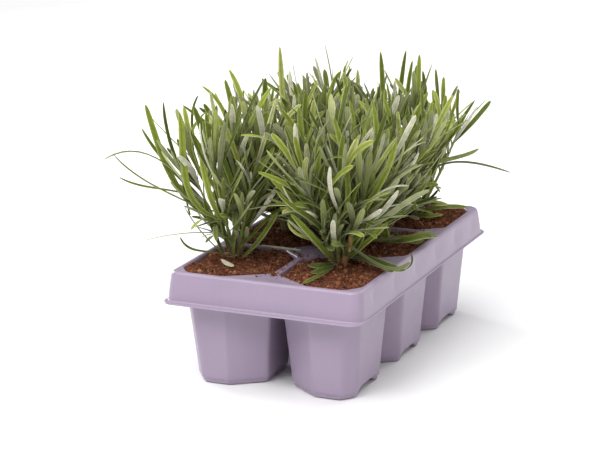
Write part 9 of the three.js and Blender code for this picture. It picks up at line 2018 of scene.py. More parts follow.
  [438,164,1033,451,111,1192,487,52,1349,491,-27,1500,315,29,91,30,26,0],
  [437,169,1031,407,232,1036,382,298,1022,359,362,996,327,46,17,87,-1,0],
  [457,199,1085,489,244,1131,525,296,1168,570,349,1143,412,-50,-38,78,1,0],
  [467,213,1120,529,228,1200,596,230,1280,694,209,1308,373,-62,69,38,-8,0],
  [482,249,1196,461,246,1245,445,233,1297,393,226,1316,319,69,62,37,-1,0],
  [487,252,1193,572,341,1291,629,397,1428,657,451,1575,316,-60,-24,76,37,0],
  [496,269,1244,503,276,1294,512,281,1345,520,279,1396,246,26,96,-11,0,0],
  [510,291,1294,591,329,1454,670,351,1619,847,355,1666,380,-79,53,29,-8,0],
  [505,294,1294,496,339,1351,494,365,1419,484,435,1439,303,72,-45,52,-10,0],
  [522,313,1349,557,349,1440,581,370,1539,604,370,1642,454,-91,-5,41,-17,0],
  [517,310,1350,523,332,1462,529,333,1577,559,331,1688,299,66,74,-15,-1,0],
 ]),
 ('shoot_middle_right_6', 'middle_right', [359,97,920,311,183,1125,284,231,1306,269,259,1519], [
  [273,252,1472,236,225,1597,198,195,1716,158,161,1834,368,51,37,77,9,1],
  [273,252,1471,289,318,1586,305,384,1698,322,450,1809,460,-43,-27,86,6,1],
  [280,239,1391,267,189,1558,253,147,1721,240,109,1885,385,-17,98,6,1,1],
  [275,247,1437,215,298,1542,167,342,1652,131,378,1769,461,54,-76,38,-5,1],
  [287,227,1329,322,278,1494,367,330,1651,424,385,1803,424,-68,37,64,9,1],
  [291,218,1290,225,224,1414,164,231,1535,104,239,1657,434,32,-26,91,23,1],
  [352,103,942,283,7,978,202,-91,962,141,-181,896,493,-16,44,88,-7,0],
  [355,109,941,374,185,951,404,247,994,431,307,1042,343,-34,-3,94,-29,0],
  [345,120,971,264,207,1040,181,282,1123,103,328,1230,440,45,-24,86,-55,0],
  [338,128,1002,249,93,1034,172,55,1092,99,25,1157,295,10,50,86,16,0],
  [343,132,1002,396,244,1106,447,372,1194,536,478,1281,350,-69,-27,67,1,0],
  [332,142,1031,192,225,992,67,323,1054,-20,433,1150,493,-10,28,95,-24,0],
  [326,150,1061,265,118,1102,200,100,1149,124,74,1166,376,20,58,79,-3,0],
  [330,154,1061,384,272,1115,435,382,1190,477,504,1251,349,-47,-17,87,-23,0],
  [324,159,1092,339,83,1237,361,27,1392,394,-14,1551,325,-31,82,48,-25,0],
  [321,164,1090,207,280,1095,118,405,1159,31,498,1265,459,9,5,99,-6,0],
  [317,168,1121,298,132,1252,281,89,1384,301,26,1507,368,-9,96,27,4,0],
  [319,174,1120,351,290,1232,397,360,1376,460,461,1493,428,-57,-47,67,14,0],
  [315,180,1150,374,187,1236,425,192,1330,515,183,1386,326,-78,34,52,-32,0],
  [312,183,1148,289,259,1203,267,354,1201,256,435,1149,442,5,-55,83,32,0],
  [345,117,967,254,155,976,165,204,962,88,259,927,347,18,23,96,-8,0],
  [321,159,1083,204,204,1165,102,280,1248,-12,305,1344,328,59,15,79,3,0],
  [313,180,1139,285,269,1216,269,350,1307,305,414,1405,326,6,-63,78,11,0],
  [302,192,1197,230,170,1289,185,153,1400,151,123,1512,364,50,65,58,2,0],
  [307,193,1198,368,183,1316,419,176,1443,441,191,1576,347,-75,49,45,15,0],
  [295,212,1253,227,321,1376,177,442,1499,165,576,1617,495,38,-56,73,5,0],
  [286,223,1310,162,253,1427,23,306,1518,-141,361,1532,465,69,13,72,15,0],
  [291,224,1311,374,309,1469,456,386,1632,540,456,1798,494,-80,-23,56,1,0],
  [281,232,1369,239,205,1516,209,159,1663,137,100,1789,390,36,89,28,-12,0],
  [281,238,1368,240,353,1471,203,450,1594,176,582,1682,425,16,-61,77,-19,0],
  [274,244,1428,221,243,1522,152,220,1603,90,191,1688,349,78,40,47,9,0],
  [279,247,1428,316,298,1576,336,345,1730,362,357,1889,354,-85,-38,36,23,0],
  [271,252,1488,265,239,1595,248,209,1697,215,193,1798,379,-8,99,14,12,0],
  [271,258,1488,264,291,1591,273,324,1695,249,424,1731,473,-6,-94,33,-35,0],
  [268,261,1512,262,273,1533,256,284,1553,250,294,1575,150,39,-75,54,0,0],
  [267,256,1513,262,257,1546,257,259,1580,252,261,1613,201,68,73,7,0,0],
  [273,258,1513,276,262,1537,279,265,1562,281,269,1587,165,-99,-3,12,0,0],
  [268,261,1512,265,268,1540,261,275,1569,258,281,1597,179,41,-88,26,0,0],
  [269,255,1513,266,248,1556,263,241,1598,260,236,1641,152,0,99,16,0,0],
  [272,260,1513,275,268,1548,277,275,1583,279,282,1618,196,-86,-49,16,0,0],
  [354,111,954,379,126,995,416,148,1024,458,150,1054,310,-85,23,47,36,0],
  [340,135,1008,337,196,1043,341,252,1089,360,321,1081,300,-26,-47,85,-7,0],
  [324,153,1066,262,164,1097,198,180,1125,129,193,1144,296,44,30,85,4,0],
  [314,183,1150,314,223,1217,300,256,1288,284,309,1344,418,-57,-69,45,-32,0],
  [299,200,1212,251,224,1248,192,249,1264,135,284,1260,294,56,-1,83,35,0],
  [304,197,1214,322,187,1271,342,188,1331,357,202,1390,342,-65,68,35,-30,0],
  [298,211,1248,320,288,1314,342,360,1388,369,406,1480,351,-45,-48,75,-18,0],
  [286,223,1309,210,263,1444,170,297,1597,158,329,1754,377,86,-4,51,18,0],
  [292,222,1310,335,228,1370,385,225,1427,430,216,1488,314,-78,24,58,-15,0],
  [281,235,1385,274,179,1520,269,106,1650,271,-16,1734,363,-12,91,39,-22,0],
  [274,247,1427,242,278,1536,235,319,1647,192,359,1750,381,81,-43,39,-33,0],
  [279,245,1428,302,259,1555,295,289,1682,297,326,1808,439,-96,22,17,25,0],
 ]),
 ('shoot_middle_right_7', 'middle_right', [340,72,920,213,112,1140,129,138,1336,58,160,1567], [
  [62,159,1553,13,119,1659,-36,73,1759,-85,19,1854,380,21,92,33,24,1],
  [62,159,1553,31,203,1662,1,245,1767,-30,285,1874,368,3,-75,66,-2,1],
  [88,151,1472,114,155,1637,121,162,1799,112,171,1961,468,-98,-18,-11,-5,1],
  [103,146,1432,52,74,1535,2,18,1643,-48,-25,1757,448,-38,87,33,-3,1],
  [139,135,1334,86,212,1475,35,290,1610,-15,370,1744,463,2,-98,18,-6,1],
  [325,78,942,249,116,974,181,151,1028,112,205,1058,438,23,-27,93,21,0],
  [329,76,945,328,86,1064,298,103,1179,263,145,1288,381,-99,16,0,-23,0],
  [306,80,975,167,29,1041,41,-7,1140,-67,-43,1259,382,18,53,83,-33,0],
  [310,85,976,318,185,1055,316,313,1085,328,441,1109,326,-66,-42,62,18,0],
  [288,87,1007,185,78,1010,104,48,947,35,35,867,450,0,21,98,-17,0],
  [273,90,1040,235,-59,1075,197,-214,1078,161,-371,1074,350,-43,31,85,-5,0],
  [274,96,1040,269,257,1095,279,427,1129,271,598,1157,362,-50,-29,82,3,0],
  [255,99,1071,136,159,1120,56,265,1176,-15,386,1147,359,25,-25,94,35,0],
  [260,97,1073,303,81,1244,330,36,1415,355,-91,1539,371,-91,30,27,-2,0],
  [240,100,1104,180,38,1167,119,-52,1175,66,-147,1169,401,-8,74,67,-7,0],
  [243,106,1104,240,214,1236,225,286,1393,237,356,1550,346,-69,-56,46,41,0],
  [224,109,1134,128,164,1175,38,227,1219,-56,300,1209,363,21,-29,93,-47,0],
  [228,107,1137,295,65,1277,345,54,1433,409,17,1578,345,-80,34,50,0,0],
  [211,110,1167,201,23,1208,207,-72,1233,190,-167,1255,303,-41,42,81,-1,0],
  [211,116,1167,189,229,1227,178,352,1275,148,479,1302,472,-40,-48,78,5,0],
  [280,93,1023,173,181,1097,62,281,1148,-52,384,1109,429,13,-51,85,25,0],
  [250,100,1080,109,133,1157,-52,160,1130,-196,213,1067,414,46,-4,89,-31,0],
  [224,111,1136,153,200,1218,79,253,1326,28,317,1442,476,-3,-68,74,-8,0],
  [196,115,1191,103,102,1253,5,93,1310,-85,26,1293,321,45,39,80,6,0],
  [201,117,1193,267,189,1349,356,228,1506,489,329,1586,371,-87,-17,46,-26,0],
  [176,122,1249,164,96,1384,160,57,1518,140,76,1655,486,-73,68,8,-3,0],
  [172,126,1247,36,221,1350,-91,320,1466,-198,482,1501,419,29,-46,84,32,0],
  [152,134,1304,156,222,1410,167,302,1525,172,389,1635,464,-62,-58,53,-25,0],
  [130,135,1361,133,59,1483,138,-10,1612,159,-97,1727,463,-54,70,47,-8,0],
  [127,141,1360,57,202,1466,-28,246,1570,-117,299,1667,472,26,-74,62,-9,0],
  [105,144,1417,-17,136,1545,-154,135,1658,-325,144,1708,429,66,34,67,-17,0],
  [110,145,1419,154,170,1570,190,199,1723,168,217,1882,324,-95,-4,30,-4,0],
  [89,149,1477,72,141,1617,55,123,1757,92,44,1869,363,-79,61,-5,30,0],
  [86,153,1476,8,231,1581,-62,347,1654,-101,491,1696,498,24,-67,70,22,0],
  [65,157,1535,-8,172,1631,-56,189,1743,-101,197,1856,364,78,-5,63,-12,0],
  [71,157,1537,53,175,1688,53,203,1839,88,248,1982,454,-99,-9,-9,-9,0],
  [58,162,1559,40,173,1597,21,184,1634,4,194,1673,206,52,-71,47,0,0],
  [58,157,1560,48,157,1584,38,156,1608,29,157,1632,196,62,74,26,0,0],
  [63,159,1561,65,162,1609,66,165,1658,64,168,1706,217,-99,12,2,0,0],
  [59,163,1559,45,176,1590,30,189,1621,17,200,1653,191,27,-84,48,0,0],
  [58,156,1560,48,152,1581,38,148,1601,28,145,1623,211,39,85,37,0,0],
  [63,160,1561,60,164,1588,58,168,1615,54,172,1641,198,-96,-26,-7,0,0],
  [307,79,975,263,32,997,204,0,977,160,-25,927,272,-21,54,82,14,0],
  [279,91,1023,164,122,1064,62,180,1012,-6,236,920,339,31,-5,95,-12,0],
  [261,99,1063,172,273,1078,96,455,1090,16,636,1107,330,-30,-23,93,39,0],
  [215,112,1152,184,123,1180,164,136,1218,136,137,1252,265,54,-27,80,-12,0],
  [199,113,1189,168,84,1214,142,56,1248,128,28,1289,354,-3,65,76,20,0],
  [202,119,1189,186,148,1240,171,171,1295,161,195,1350,354,-47,-80,37,23,0],
  [170,125,1265,186,126,1406,178,125,1548,193,119,1691,404,-97,23,12,-7,0],
  [165,127,1262,121,147,1309,79,174,1355,23,206,1380,322,56,-37,74,-17,0],
  [151,128,1299,122,122,1344,88,120,1388,62,124,1436,336,45,76,46,-4,0],
  [154,133,1299,137,232,1460,130,324,1628,142,462,1759,417,-61,-70,38,29,0],
  [132,135,1354,117,91,1452,103,92,1560,108,77,1668,327,-44,83,33,-41,0],
  [128,138,1353,10,160,1426,-70,232,1519,-179,324,1506,371,51,-3,86,37,0],
  [102,143,1431,53,70,1501,10,5,1586,-54,-83,1622,389,-7,70,71,-2,0],
  [104,149,1431,83,209,1535,75,238,1655,82,292,1766,323,-42,-81,41,-50,0],
  [92,147,1463,54,121,1595,32,104,1732,-35,40,1837,371,-22,96,15,0,0],
  [89,150,1462,52,159,1511,17,164,1563,-29,176,1606,343,76,-10,65,-33,0],
  [73,158,1517,50,190,1578,33,226,1641,24,292,1674,331,-4,-88,48,45,0],
 ]),
 ('shoot_middle_right_8', 'middle_right', [348,32,920,284,-24,1112,243,-60,1278,210,-90,1472], [
  [334,19,964,248,-360,839,639,-18,963,834,-4,932,571,8,75,66,-2,1,34,10],
  [217,-84,1432,207,-56,1520,197,-32,1607,187,-10,1694,439,-11,-96,25,5,1],
  [216,-84,1436,191,-131,1536,168,-170,1636,146,-203,1738,416,-47,39,79,-1,1],
  [231,-71,1359,126,-92,1470,17,-111,1570,-98,-130,1664,455,58,5,81,14,1],
  [246,-57,1285,212,6,1440,177,50,1596,142,76,1756,411,-40,-90,18,-29,1],
  [230,-72,1361,257,-111,1488,268,-145,1614,264,-175,1741,375,-62,70,-36,18,1],
  [339,27,939,247,20,1000,175,15,1084,110,-17,1169,298,52,-34,78,-39,0],
  [332,15,968,312,-149,1033,300,-317,1096,298,-490,1047,451,-29,38,88,31,0],
  [330,20,968,205,114,972,70,195,994,-63,272,954,330,-21,-32,92,32,0],
  [321,9,995,258,-35,1029,199,-98,1021,153,-166,997,398,35,17,92,19,0],
  [314,0,1023,285,-75,1062,256,-160,1077,221,-243,1063,432,-8,46,88,21,0],
  [313,6,1025,255,84,1082,204,183,1116,153,286,1098,313,-7,-61,79,-10,0],
  [304,-6,1051,203,-58,1054,114,-130,1033,24,-203,1016,331,6,-7,100,-10,0],
  [309,-5,1052,343,-34,1134,367,-70,1218,447,-115,1243,372,-92,1,40,9,0],
  [297,-14,1078,248,-102,1100,209,-190,1055,186,-253,973,312,-3,24,97,20,0],
  [297,-9,1079,214,108,1165,172,210,1295,180,302,1437,427,-5,-61,79,13,0],
  [289,-20,1105,145,-119,1127,34,-250,1177,-72,-372,1251,356,12,3,99,10,0],
  [282,-27,1132,236,-117,1173,179,-198,1225,137,-268,1301,453,2,39,92,-57,0],
  [282,-22,1133,232,5,1221,190,45,1309,141,114,1373,473,29,-85,45,0,0],
  [330,20,968,238,74,1033,134,124,1088,28,195,1090,449,16,-62,77,-17,0],
  [312,0,1027,181,-125,1032,69,-269,1053,-54,-396,1007,324,0,3,100,15,0],
  [295,-16,1086,242,-98,1200,184,-147,1330,137,-170,1472,422,17,74,65,-9,0],
  [277,-28,1145,161,-65,1199,53,-87,1278,-26,-115,1385,385,42,-5,90,13,0],
  [251,-56,1261,181,-195,1363,86,-317,1469,-14,-451,1555,367,9,55,83,-42,0],
  [236,-62,1321,191,-56,1412,126,-41,1491,87,-30,1586,427,61,-69,39,20,0],
  [239,-67,1320,225,-128,1410,220,-181,1506,219,-247,1595,447,-22,81,55,26,0],
  [227,-78,1380,199,-180,1537,181,-251,1713,108,-295,1884,311,-13,84,53,17,0],
  [213,-84,1441,147,-82,1580,101,-66,1726,43,-43,1868,473,75,-54,38,23,0],
  [218,-86,1442,217,-102,1536,222,-123,1630,191,-145,1718,330,-100,8,4,26,0],
  [211,-86,1467,207,-81,1495,202,-76,1523,198,-73,1552,164,-7,-98,16,0,0],
  [209,-91,1465,197,-102,1506,186,-112,1546,176,-122,1587,153,67,66,35,0,0],
  [214,-90,1467,217,-98,1509,219,-106,1552,220,-113,1594,221,-99,13,8,0,0],
  [210,-86,1466,204,-87,1492,198,-88,1519,193,-89,1545,200,37,-93,5,0,0],
  [210,-92,1466,197,-116,1508,184,-139,1550,172,-160,1593,219,21,82,52,0,0],
  [214,-89,1467,215,-94,1509,216,-99,1551,216,-105,1594,156,-99,-16,0,0,0],
  [280,-31,1154,328,-115,1257,356,-204,1366,387,-333,1419,323,-73,31,61,4,0],
  [275,-31,1153,240,-56,1207,210,-65,1271,183,-62,1336,419,66,36,65,-12,0],
  [254,-52,1265,295,-46,1397,330,-54,1533,367,-51,1668,330,-85,-43,31,52,0],
  [248,-52,1264,147,-37,1368,70,-25,1492,22,3,1628,398,58,-47,66,18,0],
  [239,-61,1321,229,15,1429,218,104,1531,245,205,1617,439,-21,-80,56,3,0],
 ]),
 ('shoot_back_left_1', 'back_left', [-350,820,920,-361,836,1206,-372,852,1445,-388,875,1714], [
  [-358,831,1111,-344,949,1441,-408,1034,1767,-523,1096,2091,276,95,-23,22,23,1],
  [-385,871,1671,-439,869,1758,-500,864,1837,-568,858,1910,459,68,71,20,-19,1],
  [-387,873,1694,-328,905,1806,-273,936,1917,-221,965,2029,402,-83,-36,42,-8,1],
  [-381,864,1585,-366,949,1715,-351,1034,1839,-335,1122,1962,431,-51,-76,40,-14,1],
  [-379,862,1557,-399,825,1723,-420,783,1884,-441,734,2042,359,32,77,55,-4,1],
  [-372,852,1422,-453,865,1582,-540,878,1732,-635,890,1878,370,86,50,-2,16,1],
  [-351,819,950,-357,756,1004,-355,687,1054,-356,608,1087,345,0,64,77,-11,0],
  [-351,825,950,-359,928,959,-371,1034,970,-397,1138,963,401,-3,-9,100,9,0],
  [-350,822,992,-253,758,1015,-145,705,999,-52,647,946,477,-15,13,98,38,0],
  [-356,823,992,-459,785,994,-535,740,1065,-610,707,1143,404,0,7,100,33,0],
  [-354,824,1034,-327,715,1082,-284,605,1125,-226,496,1149,486,-12,37,92,10,0],
  [-354,829,1033,-339,937,1059,-327,1030,1123,-274,1131,1137,372,-8,-21,97,8,0],
  [-354,831,1074,-245,906,1158,-196,964,1298,-164,1023,1442,334,-48,-23,85,17,0],
  [-359,830,1074,-427,849,1179,-493,863,1287,-530,888,1407,389,81,-14,58,12,0],
  [-359,828,1115,-387,741,1243,-405,698,1396,-435,591,1511,451,15,79,59,-15,0],
  [-359,834,1115,-438,972,1143,-537,1102,1166,-630,1228,1115,446,8,-15,98,31,0],
  [-357,833,1155,-231,805,1196,-126,770,1280,-61,741,1399,342,-28,12,95,-21,0],
  [-362,834,1155,-471,858,1203,-584,907,1219,-698,956,1225,317,39,-3,92,19,0],
  [-363,834,1195,-442,712,1275,-483,555,1319,-555,408,1362,395,19,44,88,-3,0],
  [-361,839,1194,-350,955,1297,-346,1058,1415,-354,1158,1537,350,-13,-64,76,20,0],
  [-361,841,1234,-236,955,1276,-113,1070,1330,25,1132,1421,494,-23,-10,97,14,0],
  [-366,838,1234,-475,828,1281,-587,828,1328,-691,802,1384,481,37,11,92,0,0],
  [-350,821,975,-291,732,1075,-237,647,1184,-208,505,1216,449,-38,56,74,19,0],
  [-355,824,1037,-370,690,1162,-384,542,1275,-377,365,1333,374,1,67,74,4,0],
  [-360,830,1098,-520,803,1204,-681,768,1312,-867,818,1351,342,52,17,84,25,0],
  [-359,837,1158,-328,971,1243,-260,1105,1310,-161,1215,1382,390,-18,-49,85,12,0],
  [-365,839,1217,-505,896,1341,-634,953,1480,-811,1015,1545,445,60,-18,78,52,0],
  [-364,839,1275,-352,791,1382,-326,752,1491,-301,660,1563,396,-28,86,44,29,0],
  [-366,844,1275,-412,981,1404,-459,1104,1548,-497,1241,1681,318,18,-63,75,-14,0],
  [-371,846,1333,-414,854,1424,-465,865,1513,-524,882,1595,316,89,-2,45,2,0],
  [-365,845,1333,-299,847,1426,-226,835,1515,-147,786,1584,425,-80,10,59,-26,0],
  [-370,847,1391,-375,799,1490,-390,755,1592,-413,686,1677,401,-2,89,45,-19,0],
  [-371,852,1390,-395,932,1513,-394,996,1649,-366,1031,1792,357,19,-80,58,16,0],
  [-375,856,1448,-464,963,1588,-571,1065,1721,-734,1165,1775,332,46,-53,71,5,0],
  [-371,856,1448,-310,924,1552,-266,976,1674,-216,1030,1793,339,-59,-46,66,23,0],
  [-377,855,1506,-388,823,1621,-430,794,1730,-488,773,1834,430,11,95,30,6,0],
  [-376,863,1564,-342,874,1711,-280,880,1850,-181,835,1957,404,-97,2,25,-27,0],
  [-383,870,1622,-395,900,1725,-391,917,1831,-335,986,1893,366,24,-92,33,41,0],
  [-388,878,1706,-389,885,1729,-391,893,1752,-393,900,1775,211,5,-95,32,0,0],
  [-390,871,1706,-394,870,1735,-399,868,1764,-403,867,1793,220,56,82,14,0,0],
  [-384,874,1706,-378,877,1730,-371,879,1754,-366,881,1779,167,-97,-1,26,0,0],
  [-390,877,1706,-400,888,1734,-411,898,1763,-419,908,1792,168,64,-61,46,0,0],
  [-389,871,1706,-396,863,1739,-404,855,1773,-410,849,1807,167,40,87,29,0,0],
  [-384,875,1706,-378,882,1752,-372,888,1798,-368,894,1844,227,-96,-25,16,0,0],
  [-361,841,1222,-336,881,1276,-302,918,1331,-257,964,1368,269,-47,-56,68,5,0],
  [-370,844,1316,-414,842,1376,-455,826,1439,-483,808,1508,305,78,16,61,-5,0],
  [-366,847,1316,-361,867,1354,-356,894,1389,-340,919,1424,356,-34,-79,51,0,0],
  [-368,848,1394,-315,808,1527,-279,780,1671,-223,772,1811,456,-68,58,46,-39,0],
  [-375,852,1451,-411,829,1585,-469,791,1707,-537,763,1827,411,61,73,31,7,0],
  [-371,856,1451,-303,911,1584,-234,929,1729,-145,904,1860,314,-73,-39,56,-29,0],
  [-375,855,1504,-361,833,1567,-350,803,1628,-341,736,1644,282,-49,77,42,-6,0],
  [-378,860,1504,-389,878,1549,-398,887,1598,-394,921,1635,292,48,-74,48,16,0],
  [-383,863,1577,-412,860,1637,-434,857,1701,-468,843,1758,327,84,28,47,3,0],
  [-377,865,1577,-332,896,1685,-256,930,1775,-185,916,1874,343,-82,-32,46,-35,0],
  [-380,863,1604,-375,852,1661,-371,837,1719,-363,798,1763,372,-44,86,26,-4,0],
 ]),
 ('shoot_back_left_2', 'back_left', [-330,857,920,-263,986,1098,-220,1068,1265,-186,1132,1469], [
  [-188,1128,1457,-150,1144,1556,-113,1158,1651,-75,1172,1747,464,28,61,74,-11,1],
  [-190,1124,1445,-190,1177,1536,-186,1224,1626,-178,1266,1719,401,70,-68,22,18,1],
  [-206,1094,1357,-214,1122,1490,-224,1147,1620,-236,1171,1749,428,75,1,-66,-10,1],
  [-209,1088,1341,-105,1145,1454,-3,1201,1562,99,1256,1671,451,-45,55,71,30,1],
  [-323,873,937,-297,969,967,-282,1070,994,-278,1176,998,415,15,-31,94,28,0],
  [-325,869,940,-396,783,1041,-436,714,1171,-477,631,1293,435,32,59,74,1,0],
  [-316,890,965,-375,939,1005,-442,980,1047,-514,1025,1072,370,68,32,66,-13,0],
  [-311,888,965,-180,865,993,-48,833,1017,54,776,1091,494,-4,64,77,-5,0],
  [-307,908,991,-392,995,1016,-466,1082,1074,-514,1188,1125,493,54,32,78,10,0],
  [-303,904,993,-223,886,1122,-133,856,1244,-70,817,1381,404,-17,95,26,40,0],
  [-298,924,1019,-405,942,1073,-513,964,1129,-628,996,1163,491,45,50,74,-2,0],
  [-293,922,1018,-231,925,1072,-150,902,1061,-76,877,1031,422,-43,75,50,16,0],
  [-285,942,1043,-231,1009,1012,-190,1068,953,-157,1108,875,426,12,34,93,19,0],
  [-284,939,1045,-209,948,1136,-107,917,1191,6,879,1204,327,-48,81,34,19,0],
  [-281,955,1072,-366,947,1192,-493,925,1269,-633,873,1286,478,62,60,50,-1,0],
  [-276,957,1069,-127,1053,1091,-10,1168,1016,97,1246,895,483,-27,23,93,0,0],
  [-270,974,1095,-249,1092,1080,-232,1179,994,-225,1256,898,387,20,10,97,3,0],
  [-268,970,1098,-166,946,1215,-55,912,1325,43,867,1444,436,-30,84,45,-11,0],
  [-265,987,1124,-304,1052,1250,-339,1147,1357,-392,1213,1478,321,96,18,23,38,0],
  [-260,987,1123,-127,1033,1155,-22,1098,1078,79,1136,979,405,-32,35,88,-20,0],
  [-312,887,961,-161,925,958,-7,946,996,148,951,965,369,-11,49,87,4,0],
  [-317,888,961,-358,1014,1022,-388,1128,1112,-488,1235,1130,482,70,-10,71,-4,0],
  [-296,923,1011,-243,1017,1024,-200,1111,1065,-165,1208,1106,433,-7,-8,99,24,0],
  [-294,919,1013,-210,944,1108,-84,959,1140,42,946,1173,363,-59,73,35,-6,0],
  [-267,984,1114,-261,1066,1199,-247,1138,1293,-225,1243,1343,408,63,-56,53,-22,0],
  [-263,980,1116,-198,941,1207,-129,895,1295,-59,859,1386,348,-13,87,48,-19,0],
  [-249,1012,1165,-177,1120,1212,-127,1202,1313,-91,1263,1433,493,-25,-22,94,46,0],
  [-253,1008,1168,-330,1013,1343,-390,1030,1527,-451,1042,1710,477,73,61,32,10,0],
  [-236,1033,1220,-196,1044,1323,-163,1045,1430,-124,1061,1534,402,-32,95,5,-4,0],
  [-222,1058,1272,-105,1077,1406,-7,1073,1557,84,1067,1713,354,-65,56,51,17,0],
  [-227,1060,1272,-304,1121,1365,-374,1164,1475,-460,1214,1570,348,79,12,60,13,0],
  [-215,1080,1327,-259,1069,1467,-321,1070,1602,-429,1018,1690,332,68,67,29,-53,0],
  [-201,1100,1383,-162,1069,1530,-159,1037,1683,-180,956,1816,410,-7,97,24,14,0],
  [-188,1124,1439,-130,1171,1523,-58,1219,1597,6,1267,1679,410,-75,-18,64,18,0],
  [-188,1133,1462,-184,1162,1497,-180,1190,1533,-175,1215,1570,166,21,-78,59,0,0],
  [-190,1128,1464,-188,1137,1501,-186,1146,1539,-183,1156,1576,224,83,53,-18,0,0],
  [-184,1130,1462,-160,1144,1504,-137,1158,1546,-117,1172,1589,215,-88,10,46,0,0],
  [-189,1133,1462,-188,1147,1487,-187,1160,1511,-185,1173,1536,223,54,-74,39,0,0],
  [-188,1127,1464,-188,1126,1491,-188,1124,1517,-187,1125,1544,220,40,91,4,0,0],
  [-184,1131,1462,-173,1143,1491,-162,1154,1520,-152,1166,1550,194,-87,-23,43,0,0],
  [-314,892,965,-314,953,995,-293,1012,1024,-282,1077,1047,406,50,-35,79,-9,0],
  [-300,922,1012,-357,1000,1065,-418,1063,1136,-474,1117,1218,305,74,12,66,6,0],
  [-271,976,1104,-351,1053,1223,-416,1124,1357,-524,1191,1462,356,86,20,47,-26,0],
  [-265,975,1103,-238,991,1137,-217,998,1178,-171,1000,1188,378,-76,44,48,-26,0],
  [-250,1016,1176,-296,1106,1268,-359,1182,1364,-432,1245,1463,482,82,-13,56,-3,0],
  [-248,1012,1178,-239,1008,1236,-230,996,1294,-222,988,1353,311,19,98,7,8,0],
  [-237,1039,1229,-276,1060,1324,-311,1073,1423,-395,1052,1484,317,86,43,29,6,0],
  [-232,1039,1228,-148,1075,1336,-66,1102,1449,-14,1170,1563,351,-76,44,47,4,0],
  [-226,1062,1279,-252,1102,1388,-265,1132,1504,-290,1166,1617,432,96,20,19,-7,0],
  [-220,1063,1278,-120,1109,1343,-54,1154,1444,23,1183,1545,411,-58,17,80,-1,0],
  [-218,1074,1312,-234,1077,1502,-249,1079,1693,-232,1056,1883,502,61,79,5,-18,0],
  [-215,1078,1310,-198,1111,1352,-184,1153,1388,-163,1191,1425,259,-32,-64,69,6,0],
  [-205,1102,1377,-214,1134,1434,-205,1165,1492,-221,1191,1551,335,88,-32,36,43,0],
  [-200,1100,1377,-117,1126,1501,-45,1127,1635,102,1092,1658,392,-78,44,45,38,0],
  [-187,1125,1455,-166,1113,1510,-134,1103,1561,-84,1074,1582,295,-27,90,34,-11,0],
 ]),
 ('shoot_back_left_3', 'back_left', [-369,858,920,-429,980,1147,-467,1057,1351,-495,1114,1594], [
  [-493,1111,1579,-527,1096,1693,-563,1077,1802,-601,1051,1909,412,12,99,12,19,1],
  [-488,1100,1538,-470,1155,1644,-457,1204,1749,-450,1249,1857,418,-92,-16,36,-11,1],
  [-479,1081,1465,-465,1081,1617,-458,1087,1764,-455,1100,1912,449,-98,2,20,21,1],
  [-457,1037,1325,-539,1017,1473,-619,996,1616,-700,975,1759,365,22,96,16,-1,1],
  [-460,1044,1344,-456,1129,1467,-457,1205,1591,-465,1272,1720,435,-74,-57,36,-23,1],
  [-475,1073,1438,-544,1133,1565,-620,1193,1682,-703,1255,1793,465,63,73,26,5,1],
  [-377,872,942,-444,936,946,-516,998,959,-575,1072,951,385,16,13,98,-11,0],
  [-373,869,945,-341,854,1023,-311,832,1102,-274,779,1162,430,-57,71,40,-12,0],
  [-384,885,979,-404,842,1064,-447,822,1151,-502,790,1228,318,-12,89,44,-8,0],
  [-382,890,977,-324,960,960,-272,1025,917,-238,1095,862,384,-24,41,88,-35,0],
  [-395,906,1010,-496,941,996,-598,983,979,-695,1034,965,458,-1,37,93,25,0],
  [-390,904,1012,-349,936,1179,-318,1016,1334,-237,1161,1394,322,-83,55,11,7,0],
  [-399,919,1045,-340,838,1173,-282,782,1318,-206,669,1412,385,-39,68,62,-5,0],
  [-401,924,1043,-441,1012,1005,-490,1105,982,-533,1179,918,300,-16,32,93,-45,0],
  [-410,938,1076,-507,1043,1154,-579,1126,1277,-653,1230,1382,476,48,-18,86,4,0],
  [-405,938,1077,-291,1005,1136,-152,1036,1172,-25,1094,1124,349,-55,26,80,16,0],
  [-417,950,1110,-468,930,1171,-545,905,1194,-621,869,1198,376,31,78,54,-8,0],
  [-415,955,1109,-424,1049,1178,-428,1108,1282,-390,1192,1357,468,-27,-57,78,-2,0],
  [-424,964,1143,-492,868,1200,-548,790,1293,-545,726,1409,344,-9,55,83,-24,0],
  [-420,968,1143,-281,1041,1173,-137,1117,1163,-8,1195,1100,426,-36,31,88,20,0],
  [-431,978,1176,-511,954,1294,-631,903,1360,-756,836,1327,403,39,81,44,-16,0],
  [-428,983,1175,-398,1070,1196,-376,1159,1226,-357,1253,1245,296,-39,-8,92,-22,0],
  [-384,881,966,-508,889,1075,-652,897,1161,-819,910,1171,450,52,63,57,10,0],
  [-433,981,1180,-560,955,1292,-677,970,1419,-837,922,1466,396,42,64,64,24,0],
  [-443,1005,1232,-515,1080,1306,-576,1135,1406,-677,1198,1456,469,54,-24,81,-48,0],
  [-452,1021,1287,-552,975,1425,-664,924,1554,-764,849,1682,471,36,77,53,-8,0],
  [-448,1024,1286,-407,1088,1409,-377,1151,1537,-376,1227,1661,504,-92,-12,39,16,0],
  [-457,1042,1341,-416,1063,1441,-389,1103,1543,-346,1122,1645,448,-90,29,33,-1,0],
  [-462,1044,1339,-527,1109,1427,-598,1178,1511,-682,1255,1571,477,63,-29,72,19,0],
  [-471,1060,1394,-604,1100,1470,-693,1128,1601,-831,1157,1677,447,52,18,84,-52,0],
  [-466,1061,1394,-449,1109,1484,-416,1118,1582,-395,1135,1683,334,-84,-38,39,-19,0],
  [-476,1074,1451,-475,1028,1575,-475,989,1703,-503,866,1748,425,-23,91,35,0,0],
  [-479,1078,1449,-553,1148,1517,-601,1212,1613,-711,1254,1653,333,50,-24,83,0,0],
